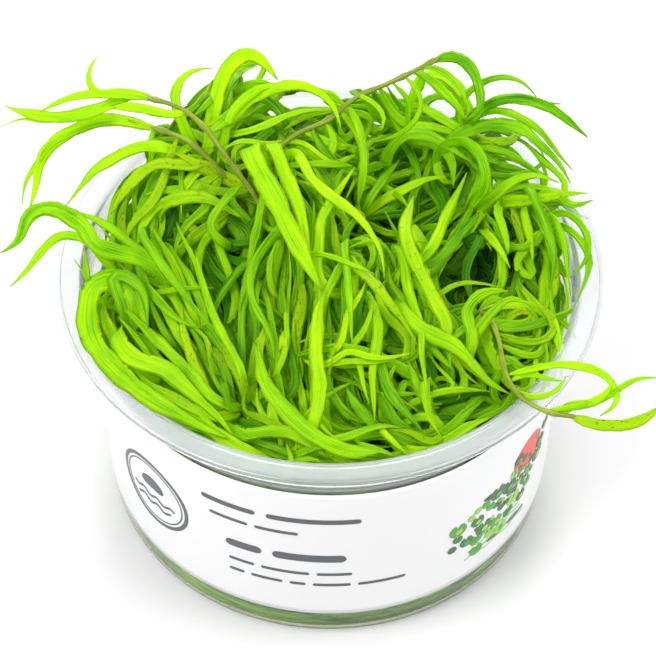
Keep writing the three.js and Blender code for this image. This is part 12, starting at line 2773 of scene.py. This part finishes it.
[0,11,-2,6,222,157,531,197,161,576,175,194,600,188,244,604,153,282,602,104,299,605],
[0,18,25,2,212,151,513,241,123,504,275,104,492,281,75,468,303,43,475],
[0,15,-10,1,192,139,477,152,158,492,136,201,504,131,247,503,161,282,511],
[0,15,-14,2,222,157,531,254,130,511,247,95,482,263,48,473,306,34,480],
[0,22,-24,3,222,157,531,270,161,513,291,127,489,287,86,467,320,51,469],
[0,15,-12,0,222,157,531,256,131,512,273,98,483,285,63,467,320,33,475],
[0,17,-24,0,222,157,531,274,150,526,285,125,486,290,77,466,327,47,473,353,60,516],
[0,22,11,3,217,154,522,236,141,492,234,119,464,218,94,451,193,66,442],
[0,14,-9,1,222,157,531,258,130,517,270,93,494,279,50,482,308,19,502],
[0,12,-25,3,214,152,518,239,135,507,258,112,495,279,85,483,285,56,470],
[0,12,-5,3,185,134,463,147,168,474,136,211,501,146,257,503,164,269,546],
[0,17,-23,5,222,157,531,265,135,559,261,125,519,274,84,484,295,40,477,340,34,509],
[0,19,-16,0,219,155,527,262,156,498,288,126,480,288,82,464,318,47,472],
[0,11,21,5,222,157,531,254,138,580,306,150,592,358,173,587,420,169,590],
[0,10,-14,7,222,157,531,241,140,576,277,113,595,306,84,593,327,37,594],
[0,8,5,2,209,149,509,161,143,528,133,167,524,126,214,515,83,200,506,84,149,517],
[0,8,-6,0,222,157,531,245,134,526,256,112,508,245,101,485,228,79,470],
[0,17,-20,4,195,140,481,152,159,505,153,201,522,184,243,516,219,273,539],
[0,14,21,5,199,143,490,231,100,491,277,102,490,288,63,465,325,35,484],
[0,10,-25,0,222,157,531,266,136,515,254,100,496,250,59,476,289,29,482],
[0,14,-20,2,222,157,531,251,141,514,262,110,499,253,74,478,266,40,479],
[0,12,-19,5,222,157,531,271,151,517,262,114,502,255,74,479,283,32,478],
[0,17,2,2,204,146,500,157,150,518,128,147,520,141,196,511,111,231,507,79,197,499,81,152,510,101,107,524],
[0,12,-17,2,222,157,531,256,154,570,281,129,556,267,120,509,257,76,482,269,34,480,319,26,492],
[0,16,23,5,197,142,486,156,174,496,121,152,524,135,99,549,153,71,520,165,34,519,165,-8,561],
[0,21,15,3,212,151,513,259,123,501,288,147,459,321,166,418,342,129,440,350,88,479,363,45,514,393,0,532],
[0,19,27,4,209,149,509,214,94,518,193,69,488,173,19,502,155,-30,524,133,-80,539,105,-129,543],
[0,22,8,4,222,157,531,274,142,501,295,154,449,307,153,402,307,98,429],
[0,14,1,3,222,157,531,248,131,521,257,108,495,242,94,464,213,85,442],
[0,26,-26,8,192,139,477,142,158,494,109,126,508,103,96,480,103,86,439,103,38,463,103,-2,504,106,-51,520,118,-107,520],
[0,25,-9,2,222,157,531,261,148,541,293,159,518,320,174,490,357,159,484],
[2,18,25,6,87,91,126,65,143,134,34,189,134,0,226,125,-41,256,101,-80,275,66,-114,284,22],
[2,30,-25,8,142,108,361,159,71,391,174,30,406,187,-19,404,196,-64,382,199,-95,348,199,-119,302],
[2,23,36,6,96,93,179,109,126,201,128,162,203,149,193,176,160,204,138],
[2,22,-21,7,87,91,126,47,86,138,5,85,134,-27,86,115,-52,90,82],
[2,23,-32,5,125,101,311,105,134,344,80,164,377,48,194,404,6,221,415,-38,240,401],
[2,28,-3,8,145,110,371,155,147,389,160,188,394,160,222,381,155,251,352],
[2,16,46,4,91,92,153,115,135,164,141,173,144,158,193,106,170,203,57],
[2,22,-10,6,142,108,361,135,149,369,130,189,363,128,219,342,127,240,307],
[2,23,-2,6,80,169,28,66,124,30,49,72,32,31,15,34,15,-39,36],
[2,18,15,4,73,100,41,37,127,48,8,160,55,-16,204,61,-40,261,69],
[2,20,17,5,63,74,41,105,33,44,145,-6,46,187,-44,49,223,-75,51,257,-103,54],
[2,16,5,5,127,91,44,164,119,47,201,142,50,242,161,54,278,172,56],
[2,30,6,5,101,60,29,117,9,35,131,-42,40,144,-97,46,154,-146,52,162,-195,57]]),
("plantlet_39",
[-9,-122,24,-9,-116,85,-10,-111,146,-11,-108,207,-13,-107,269,-16,-107,335,-20,-108,396,-25,-109,457,-30,-112,518],
[[0,17,14,6,-30,-112,518,-58,-118,550,-87,-128,578,-125,-149,597,-159,-172,592],
[0,17,10,6,-10,-110,172,-12,-137,221,-9,-169,267,-2,-203,305,12,-247,336,32,-298,350,57,-347,340],
[0,26,-19,6,-10,-110,172,17,-125,199,47,-144,219,84,-171,226,112,-196,210],
[0,16,7,6,-15,-107,320,-6,-75,352,3,-41,383,11,-10,409,21,27,435],
[0,15,9,10,-15,-107,325,-16,-137,359,-17,-166,395,-16,-190,428,-13,-213,467,-10,-235,507,-7,-255,543,-3,-273,584,7,-256,621],
[0,24,0,5,-30,-112,513,5,-117,502,39,-126,489,72,-135,474,104,-145,459],
[0,24,28,3,-30,-112,518,-55,-156,489,-58,-210,468,-57,-255,443,-55,-301,477],
[0,20,25,6,-30,-112,518,14,-137,514,29,-183,533,68,-216,521,105,-243,532],
[2,20,-29,5,-10,-109,177,29,-120,216,69,-136,244,116,-162,260,158,-190,254,194,-220,224],
[2,27,-20,6,-15,-107,330,11,-58,337,34,-12,335,57,37,323,77,78,300,94,118,265,107,147,225,116,171,176],
[2,27,14,6,-19,-107,391,-26,-66,428,-30,-21,461,-28,34,486,-21,89,493,-9,142,481,4,186,449],
[2,27,18,7,-11,-108,202,-11,-58,211,-9,-6,212,-5,44,202,0,89,178,5,123,141,10,147,96],
[2,24,23,10,-22,-108,422,-27,-74,461,-32,-32,498,-37,12,526,-41,65,545,-45,117,552],
[2,16,30,7,-9,-118,70,-44,-87,80,-75,-52,81,-102,-15,69,-122,19,42],
[2,17,28,6,-9,-114,116,-6,-84,157,-5,-62,198,-4,-42,245,-3,-27,289,-4,-14,338],
[2,25,-7,6,-10,-111,146,-45,-80,166,-82,-49,185,-120,-19,201,-156,7,213,-198,36,222,-240,64,225],
[2,18,38,8,-12,-107,238,15,-98,268,51,-88,286,91,-80,284,124,-75,259],
[2,29,28,10,-22,-108,427,-69,-105,450,-111,-95,468,-153,-76,478,-197,-49,473],
[2,20,16,3,29,-109,18,71,-129,20,106,-151,22,130,-176,25,146,-202,27]]),
("plantlet_40",
[-53,-302,24,-53,-302,82,-54,-305,141,-55,-308,199,-57,-313,257,-61,-325,320,-68,-345,374,-76,-369,427,-85,-397,477],
[[0,21,34,6,-85,-397,477,-82,-361,522,-84,-318,558,-95,-262,579,-111,-208,573],
[0,23,39,6,-54,-306,162,-51,-266,187,-50,-220,196,-52,-169,184,-55,-134,154],
[0,17,-22,6,-60,-321,304,-30,-318,346,3,-312,384,44,-303,422,85,-292,451,129,-279,474],
[0,18,-45,6,-67,-343,369,-108,-332,399,-148,-323,419,-196,-311,430,-241,-301,426,-286,-292,404],
[0,27,12,9,-85,-397,477,-62,-396,512,-42,-389,546,-25,-364,582,-17,-329,600,-18,-290,611,-24,-252,625,-22,-208,640,-19,-168,649,-6,-130,653],
[0,17,11,8,-85,-397,477,-67,-404,514,-37,-410,550,4,-406,569,44,-393,572,82,-378,576,128,-378,574],
[0,27,8,9,-85,-397,477,-107,-408,510,-137,-412,538,-172,-401,554,-201,-373,550,-233,-348,552,-267,-324,554,-305,-309,554],
[0,17,3,8,-85,-397,477,-112,-390,499,-116,-363,468,-117,-334,432,-118,-309,400,-122,-279,365,-127,-251,335,-134,-218,303,-139,-190,274,-144,-158,240,-147,-131,209,-149,-103,173,-150,-79,140,-152,-50,103,-157,-19,77,-169,23,62],
[0,11,-7,8,-85,-397,477,-74,-424,492,-64,-441,517,-65,-420,537,-75,-389,542],
[0,13,13,9,-85,-397,477,-82,-411,506,-66,-425,528,-36,-422,539,-10,-437,548],
[0,11,13,8,-85,-397,477,-70,-373,516,-52,-352,546,-21,-326,571,9,-298,576,48,-274,575],
[0,15,2,10,-85,-397,477,-58,-358,510,-45,-312,539,-56,-262,564,-64,-209,585,-64,-157,608],
[0,17,-10,4,-85,-397,477,-132,-392,507,-189,-370,513,-238,-342,513,-288,-307,514,-332,-272,517],
[0,15,4,6,-85,-397,477,-70,-371,513,-31,-365,534,13,-389,523,57,-406,516],
[0,17,14,10,-85,-397,477,-35,-395,505,-1,-361,532,-24,-313,546,-27,-258,559,-32,-202,572],
[0,11,7,5,-85,-397,477,-53,-375,519,-3,-366,541,55,-383,531,112,-386,531],
[0,11,16,10,-85,-397,477,-84,-387,519,-91,-362,552,-121,-335,562,-127,-301,586],
[0,22,-3,10,-85,-397,477,-50,-407,514,-49,-383,548,-93,-358,549,-101,-317,569,-118,-271,587],
[0,11,-23,7,-85,-397,477,-47,-373,505,-23,-338,527,-31,-294,542,-29,-245,558],
[0,15,3,5,-85,-397,477,-93,-375,513,-117,-349,533,-156,-324,523,-190,-301,533],
[0,15,-22,6,-85,-397,477,-49,-382,512,-3,-371,532,48,-373,536,91,-374,553,138,-386,543,182,-380,521,229,-358,518],
[0,17,18,9,-85,-397,477,-45,-380,514,11,-370,533,67,-368,536,121,-373,542,173,-380,515,226,-364,521],
[0,22,-11,9,-85,-397,477,-47,-398,520,4,-401,528,51,-402,511,107,-407,520],
[0,22,10,4,-85,-397,477,-105,-378,509,-136,-365,520,-172,-361,513,-212,-349,510],
[0,22,-2,7,-85,-397,477,-63,-358,513,-23,-336,534,28,-350,520,76,-337,530,132,-342,539],
[0,11,8,6,-85,-397,477,-113,-364,505,-145,-323,524,-174,-285,537,-189,-238,550,-217,-192,564,-241,-148,577],
[0,18,25,4,-85,-397,477,-104,-394,502,-133,-383,506,-167,-370,510,-197,-361,512],
[0,17,24,7,-85,-397,477,-41,-391,505,8,-385,521,59,-389,519,109,-394,512,160,-382,510],
[0,22,-22,5,-85,-397,477,-74,-374,522,-104,-343,530,-142,-308,530,-138,-258,547,-130,-213,569],
[0,17,-16,10,-85,-397,477,-65,-366,507,-29,-346,529,17,-364,526,64,-369,527],
[0,12,4,6,-85,-397,477,-65,-384,499,-32,-382,513,1,-397,508,32,-404,508],
[0,12,2,8,-85,-397,477,-116,-375,498,-147,-355,517,-181,-344,520,-206,-320,545],
[0,14,11,0,-85,-397,477,-114,-364,504,-147,-323,524,-182,-282,536,-199,-237,551,-236,-202,560,-263,-159,581],
[0,19,-1,2,-85,-397,477,-131,-391,500,-178,-372,507,-229,-346,506,-272,-318,506],
[0,20,-11,3,-85,-397,477,-52,-402,504,-11,-400,511,26,-389,497,63,-376,483],
[2,20,54,8,-53,-302,88,-29,-258,95,3,-212,97,36,-173,95,72,-138,87,110,-108,73,154,-80,52,193,-58,27],
[2,27,-23,4,-53,-302,77,-69,-265,99,-94,-223,119,-121,-187,129,-156,-149,129,-189,-119,117],
[2,21,55,5,-53,-302,51,-16,-269,78,19,-230,100,55,-183,115,84,-135,118,109,-85,109],
[2,24,59,6,-58,-317,283,-23,-280,308,16,-238,314,54,-197,290,77,-171,245],
[2,30,-5,5,-53,-302,51,-36,-264,72,-15,-225,89,6,-191,98,32,-152,99],
[1,28,-5,6,-49,-396,194,-97,-387,194,-143,-371,189,-192,-351,175,-236,-330,157],
[1,40,20,7,-47,-374,27,-7,-376,41,34,-374,51,75,-372,56,117,-367,58],
[1,36,-8,10,-24,-408,364,20,-406,399,59,-402,427,103,-394,452,141,-385,470,188,-381,485],
[1,31,7,10,-19,-407,439,35,-410,440,88,-401,444,140,-386,452,191,-366,465,243,-346,482,296,-322,501],
[1,22,-2,6,-68,-398,337,-112,-387,300,-154,-371,263,-191,-352,227,-229,-327,187,-263,-298,145],
[1,20,19,9,-71,-379,16,-115,-374,20,-157,-361,24,-193,-346,29,-233,-326,35],
[1,27,-4,10,-97,-367,366,-143,-362,395,-186,-345,423,-224,-325,446,-264,-300,470,-314,-282,493],
[1,31,-1,5,-83,-394,203,-129,-385,178,-168,-369,154,-210,-346,125,-245,-322,97,-280,-292,64],
[1,40,19,8,-26,-410,386,-72,-405,407,-121,-393,431,-165,-379,452,-211,-358,476,-262,-348,498],
[1,29,19,8,-97,-402,458,-46,-408,454,9,-407,451,59,-404,451,114,-397,453,165,-386,456],
[1,39,20,6,-71,-387,14,-126,-380,17,-179,-362,20,-230,-330,24,-269,-291,28],
[1,33,-13,4,-63,-401,21,-118,-376,17,-167,-345,13,-213,-311,10,-253,-273,10],
[1,27,-24,6,-55,-397,51,-1,-390,57,50,-376,63,98,-358,69,143,-335,75],
[2,26,-22,7,-46,-353,11,-84,-340,14,-114,-323,18,-141,-301,21,-166,-270,24],
[1,32,-29,7,-70,-383,37,-28,-386,39,19,-383,42,64,-371,45,102,-355,48],
[2,22,14,7,-35,-386,25,18,-393,21,77,-391,17,135,-376,12,185,-354,10],
[2,30,27,8,-84,-348,23,-35,-353,26,9,-350,28,51,-339,31,94,-319,34],
[1,29,-23,7,-78,-385,36,-35,-389,33,9,-391,30,47,-389,28,90,-384,25],
[2,22,-4,5,-9,-309,41,11,-260,42,30,-223,44,46,-203,45,64,-188,47],
[2,21,12,4,-30,-295,16,-69,-247,16,-106,-198,16,-137,-151,16,-168,-98,16],
[2,20,-8,4,-43,-246,18,-98,-243,18,-152,-237,19,-211,-227,19,-279,-214,19],
[2,20,13,4,-72,-248,41,-105,-221,43,-142,-196,44,-187,-172,45,-244,-146,46]])
]


RIPE = ("plantlet_01", "plantlet_02", "plantlet_05", "plantlet_18")  # the runners with brown stems


def plantlet(name, stem, leaves, seed):
    rng = np.random.default_rng(seed)
    V, F, I, A, B, base = [], [], [], [], [], 0
    v, q, caps, lc, tc = stem_mesh(stem, rng, 1.0 if name in RIPE else rng.uniform(0.0, 0.3))
    for part, mat in [((v, q, caps, lc, tc), 1)] + [(leaf_mesh(l, rng), 0) for l in leaves]:
        v, q, caps, lc, tc = part
        V.append(v)
        F += (q + base).tolist() + [[i + base for i in c] for c in caps]
        I += [mat] * (len(q) + len(caps))
        A.append(lc)
        B.append(tc)
        base += len(v)
    ob = new_object(name + "_plant", np.concatenate(V), F, [LEAF, STEM], I, {"leaf": np.concatenate(A), "tone": np.concatenate(B)})
    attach(ob, "root")
    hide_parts(name)
    return ob


for count, (name, stem, leaves) in enumerate(ROWS):
    plantlet(name, stem, leaves, 1000 + count)


# ---------------------------------------------------------------- cup
def fillet(points, radii, steps=4):
    """Rounds the corners of a closed outline of (r, z) points."""
    out = []
    n = len(points)
    for i, (p, rad) in enumerate(zip(points, radii)):
        p = np.array(p, float)
        if rad <= 0:
            out.append(p)
            continue
        a, b = np.array(points[i - 1], float) - p, np.array(points[(i + 1) % n], float) - p
        la, lb = np.linalg.norm(a), np.linalg.norm(b)
        cut = min(rad, la * 0.45, lb * 0.45)
        p0, p1 = p + a / la * cut, p + b / lb * cut
        for k in range(steps + 1):
            t = k / steps
            out.append((1 - t) ** 2 * p0 + 2 * t * (1 - t) * p + t**2 * p1)
    return out


def lathe(name, outline, mats, segments=192, pick=None):
    """A closed turned body. The outline's first and last points lie on the axis."""
    ring = outline[1:-1]
    a = np.linspace(0, 2 * math.pi, segments, endpoint=False)
    verts = [(0, 0, outline[0][1])] + [(r * math.cos(x), r * math.sin(x), z) for r, z in ring for x in a] + [(0, 0, outline[-1][1])]
    m = len(ring)
    faces = []
    for j in range(segments):
        faces.append([0, 1 + (j + 1) % segments, 1 + j])
    for i in range(m - 1):
        for j in range(segments):
            k = (j + 1) % segments
            faces.append([1 + i * segments + j, 1 + i * segments + k, 1 + (i + 1) * segments + k, 1 + (i + 1) * segments + j])
    last = 1 + (m - 1) * segments
    for j in range(segments):
        faces.append([last + j, last + (j + 1) % segments, len(verts) - 1])
    return new_object(name, verts, faces, mats)


def cup():
    # down the outside from the middle of the underside, over the flange and back down the inside
    pts = [(0, 0.35), (36.6, 0.35), (37.4, 0.0), (40.0, 0.0), (41.05, 0.7), (41.6, 2.0), (43.5, 46.9), (43.6, 47.4), (45.0, 48.2), (45.3, 49.0),
           (45.75, 55.2), (45.9, 56.0), (46.5, 56.35), (49.2, 56.35), (49.35, 55.9), (50.0, 55.9), (50.0, 57.0), (49.5, 57.2), (47.3, 57.2), (46.9, 57.5 - 0.3),
           (46.0, 57.1), (45.3, 56.7), (45.0, 56.0), (44.4, 49.4), (44.2, 48.9), (43.05, 48.0), (42.85, 47.5), (41.0, 2.4), (40.6, 1.25), (39.7, 0.68), (37.7, 0.62), (36.9, 0.9), (20.0, 0.9), (0, 0.9)]
    rad = [0, 0.3, 0.3, 0.9, 0.6, 0.8, 0.4, 0.5, 0.6, 0.5, 0.4, 0.4, 0.3, 0.15, 0.15, 0.25, 0.4, 0.3, 0.3, 0.2, 0.4, 0.5, 0.5, 0.4, 0.5, 0.5, 0.5, 0.8, 0.6, 0.5, 0.3, 0.3, 0, 0]
    ob = lathe("culture_cup", fillet(pts, rad, 3), [PLASTIC])
    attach(ob, "root")
    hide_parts("cup", "cup_rim")


cup()


# ---------------------------------------------------------------- wrap label and its print
def wall(z):
    return 41.6 + 1.9 * (z - 2.0) / 45.0


def on_wall(angle, z, gap):
    """angle: degrees to the right of the front, seen from outside."""
    a = math.radians(angle - 90.0)
    r = wall(z) + gap
    return (r * math.cos(a), r * math.sin(a), z)


Z0, Z1, SPAN = 7.6, 45.5, 172.0


def label():
    na, nz = 344, 26
    rng = np.random.default_rng(5)
    verts, faces = [], []
    ang = np.linspace(-SPAN, SPAN, na + 1)
    zs = np.linspace(Z0, Z1, nz + 1)
    for side, gap in ((0, 0.33), (1, 0.47)):
        for z in zs:
            for a in ang:
                swell = 0.035 * math.sin(a * 0.09 + z * 0.05) * math.sin(z * 0.11 + a * 0.021)
                verts.append(on_wall(a, z, gap + swell))
    m = (na + 1) * (nz + 1)
    for i in range(nz):
        for j in range(na):
            a, b = i * (na + 1) + j, i * (na + 1) + j + 1
            c, d = b + na + 1, a + na + 1
            faces.append([a, d, c, b])
            faces.append([m + a, m + b, m + c, m + d])
    for j in range(na):
        a, b = j, j + 1
        faces.append([a, b, m + b, m + a])
        a, b = nz * (na + 1) + j, nz * (na + 1) + j + 1
        faces.append([b, a, m + a, m + b])
    for i in range(nz):
        a, b = i * (na + 1), (i + 1) * (na + 1)
        faces.append([b, a, m + a, m + b])
        a, b = i * (na + 1) + na, (i + 1) * (na + 1) + na
        faces.append([a, b, m + b, m + a])
    ob = new_object("label_sheet", verts, faces, [PAPER])
    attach(ob, "root")
    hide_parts("wrap_label")


label()


class Print:
    """Flat inked shapes on the label, a hair over the sheet: closed thin tiles that follow its curve."""

    def __init__(self):
        self.v, self.f, self.i = [], [], []

    def strip(self, left, right, mat, gap=0.50, thick=0.03):
        """left and right: equal lists of (angle in mm along the wall, z)."""
        n, base = len(left), len(self.v)
        for g in (gap, gap + thick):
            for p, q in zip(left, right):
                for k in range(3):
                    x, z = p[0] + (q[0] - p[0]) * k / 2, p[1] + (q[1] - p[1]) * k / 2
                    self.v.append(on_wall(math.degrees(x / 42.6), z, g + 0.035 * math.sin(math.degrees(x / 42.6) * 0.09 + z * 0.05) * math.sin(z * 0.11 + math.degrees(x / 42.6) * 0.021)))
        m = n * 3
        for r in range(n - 1):
            for k in range(2):
                a = base + r * 3 + k
                self.f += [[a, a + 1, a + 4, a + 3], [m + a, m + a + 3, m + a + 4, m + a + 1]]
                self.i += [mat, mat]
            for k, flip in ((0, False), (2, True)):
                a, b = base + r * 3 + k, base + (r + 1) * 3 + k
                self.f.append([a, b, m + b, m + a] if not flip else [b, a, m + a, m + b])
                self.i.append(mat)
        for r, flip in ((0, True), (n - 1, False)):
            for k in range(2):
                a, b = base + r * 3 + k, base + r * 3 + k + 1
                self.f.append([a, b, m + b, m + a] if not flip else [b, a, m + a, m + b])
                self.i.append(mat)

    def bar(self, x0, x1, z, h, mat, gap=0.50):
        """A rule with rounded ends."""
        q = np.radians([12, 28, 45, 65, 90])
        ends = h / 2 * (1 - np.cos(q))
        mid = np.linspace(x0 + h / 2, x1 - h / 2, max(2, int((x1 - x0) / 1.2)) + 1)[1:-1]
        xs = np.r_[x0 + ends, mid, x1 - ends[::-1]]
        e = np.r_[np.sin(q), np.ones(len(mid)), np.sin(q)[::-1]]
        self.strip([(x, z - h / 2 * k) for x, k in zip(xs, e)], [(x, z + h / 2 * k) for x, k in zip(xs, e)], mat, gap)

    def curve(self, pts, widths, mat, gap=0.50):
        """A stroke of varying width along points (x, z)."""
        p = np.array(pts, float)
        d = np.gradient(p, axis=0)
        d /= np.linalg.norm(d, axis=1)[:, None] + 1e-9
        nrm = np.stack([-d[:, 1], d[:, 0]], 1)
        w = np.array(widths)[:, None] / 2
        self.strip((p - nrm * w).tolist(), (p + nrm * w).tolist(), mat, gap)

    def leaf(self, x, z, ang, length, width, bend, mat, gap):
        t = np.linspace(0, 1, 9)
        a = ang + bend * t
        px = x + np.cumsum(np.r_[0, np.cos(a[:-1])]) * length / 8
        pz = z + np.cumsum(np.r_[0, np.sin(a[:-1])]) * length / 8
        ok = (pz > Z0 + 0.3) & (pz < Z1 - 0.3)
        if ok.sum() < 4:
            return
        w = width * np.sin(np.clip(t * 0.93 + 0.07, 0, 1) * math.pi) ** 0.7 + 0.05
        self.curve(list(zip(px[ok], pz[ok])), w[ok], mat, gap)


def prints():
    rng = np.random.default_rng(23)
    P = Print()
    mats = [GREY, ORANGE, PALE] + GREENS
    # rules in place of the wording: a bold one over thinner ones
    def words(x, z, h, runs, mat, space=1.3):
        for r in runs:
            P.bar(x, x + r, z, h, mat)
            x += r + space
    words(-23.5, 37.2, 1.35, (10.5, 17.0), 0, 2.0)
    words(-22.0, 33.0, 0.85, (7.5, 8.0), 0)
    words(-19.0, 25.6, 2.1, (7.0, 13.5), 0, 2.0)
    words(-18.5, 20.6, 0.8, (5.0, 9.0, 6.5), 0)
    words(-18.5, 17.2, 0.8, (3.0, 6.0, 3.0, 7.0, 9.0), 0)
    words(33.0, 14.6, 0.8, (4.5, 5.5), 0)
    # a plain medallion at the left: two rings, pond lines and a round leaf
    t = np.linspace(0, 2 * math.pi, 65)
    cx, cz = -36.0, 26.5
    for radius, width in ((8.6, 0.85), (7.5, 0.3)):
        P.curve([(cx + radius * math.cos(a), cz + radius * math.sin(a)) for a in t], [width] * 65, 0)
    for k, half in ((-3.6, 4.6), (-1.6, 5.6)):
        x = np.linspace(cx - half, cx + half, 25)
        P.curve(list(zip(x, cz + k + 0.45 * np.sin((x - cx) * 1.7))), [0.6] * 25, 0)
    x = np.linspace(-3.0, 3.0, 19)
    P.curve([(cx + q, cz + 2.2 + 0.35 * math.cos(q)) for q in x], [0.2 + 3.0 * math.sqrt(max(0, 1 - (q / 3.05) ** 2)) for q in x], 0)

    # the coloured corners: floating round leaves of several greens over ripples, beside a warm sun
    def disc(x, z, r, mat, gap, notch=0.0):
        q = np.linspace(-1, 1, 15)
        xs = x + r * np.sin(q * math.pi / 2)
        half = r * np.cos(q * math.pi / 2) + 0.02
        lo, hi = z - half * 0.93, z + half * 0.93
        hi = np.where(np.abs(xs - x) < r * 0.28, hi - notch * r * (1 - np.abs(xs - x) / (r * 0.28)), hi)
        ok = (lo > Z0 + 0.4) & (hi < Z1 - 0.4)
        if ok.all():
            P.strip(list(zip(xs, lo)), list(zip(xs, hi)), mat, gap)

    def pads(cx, cz, count, spread, rise, seed):
        g = np.random.default_rng(seed)
        placed = []
        for k in range(count * 6):
            x, r = cx + g.normal(0, spread), g.uniform(0.5, 2.1)
            z = cz + (x - cx) * rise + g.normal(0, 3.0)
            if all(math.hypot(x - a, z - b) > (r + c) * 0.80 for a, b, c in placed):
                placed.append((x, z, r))
                disc(x, z, r, int(g.choice([3, 4, 5, 6], p=[0.30, 0.34, 0.20, 0.16])), 0.52 + 0.0015 * len(placed), 0.75 if r > 1.0 else 0.0)
                if r > 1.2:
                    disc(x + r * 0.1, z - r * 0.2, r * 0.42, int(g.choice([4, 5])), 0.60)
            if len(placed) >= count:
                break

    for cx2, k in ((37.0, 0), (-106.0, 1)):
        for j in range(5):
            x = np.linspace(cx2 - 9.5 + j * 0.6, cx2 + 7.5 - j * 0.8, 40)
            P.curve(list(zip(x, 13.6 + j * 1.5 + 0.35 * np.sin(x * 1.1 + j))), [0.28] * 40, 4 if j % 2 else 5, 0.50)
        disc(cx2 + 6.5, 32.0, 4.8, 1, 0.50)
        pads(cx2, 24.5, 60, 4.6, 0.30, 31 + k)
    # the far side carries small rules and a strip of blocks
    for r, z in enumerate(np.arange(36.5, 13.0, -2.6)):
        x = 62.0
        while x < 100.0:
            w = rng.uniform(2.0, 7.5)
            if x + w > 102:
                break
            P.bar(x, x + w, z, 0.95, 0)
            x += w + 1.1
    for i in range(22):
        x = -85.0 + i * 0.95
        w = [0.3, 0.55, 0.4, 0.7][i % 4]
        P.strip([(x, 11.5), (x + 0.001, 15.0), (x, 19.0)], [(x + w, 11.5), (x + w, 15.0), (x + w, 19.0)], 0)
    ob = new_object("label_print", P.v, P.f, mats, P.i, smooth=False)
    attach(ob, "root")


prints()


# ---------------------------------------------------------------- floor, light
def stage():
    n = 24
    xs = np.linspace(-1.6, 1.6, n)
    verts = [(x * 1000, y * 1000, -0.02) for y in xs for x in xs]
    faces = [[j * n + i, j * n + i + 1, (j + 1) * n + i + 1, (j + 1) * n + i] for j in range(n - 1) for i in range(n - 1)]
    floor = new_object("floor", verts, faces, [floor_material()])
    world = bpy.data.worlds.new("studio")
    bpy.context.scene.world = world
    world.use_nodes = True
    bg = world.node_tree.nodes["Background"]
    bg.inputs[0].default_value = (1.0, 1.0, 1.0, 1.0)
    bg.inputs[1].default_value = 1.0

    def area(name, place, size, power, target=(0, 0, 0.05), color=(1, 1, 1)):
        data = bpy.data.lights.new(name, "AREA")
        data.shape, data.size, data.energy, data.color = "DISK", size, power, color
        ob = bpy.data.objects.new(name, data)
        bpy.context.scene.collection.objects.link(ob)
        z = np.array(place, float) - np.array(target, float)
        z /= np.linalg.norm(z)
        x = np.cross([0.0, 1.0, 0.001], z)
        x /= np.linalg.norm(x)
        y = np.cross(z, x)
        m = Matrix.Identity(4)
        for r in range(3):
            m[r][0], m[r][1], m[r][2], m[r][3] = x[r], y[r], z[r], place[r]
        ob.matrix_world = m

    area("key", (-0.55, -0.35, 0.95), 0.55, 8.0)
    area("fill", (0.75, -0.15, 0.75), 0.6, 4.5)
    area("back", (0.05, 1.05, 0.48), 0.6, 8.0)


stage()
sc = bpy.context.scene
sc.view_settings.view_transform = "Standard"
sc.view_settings.look = "None"
sc.view_settings.exposure = 0.0
sc.view_settings.gamma = 1.0
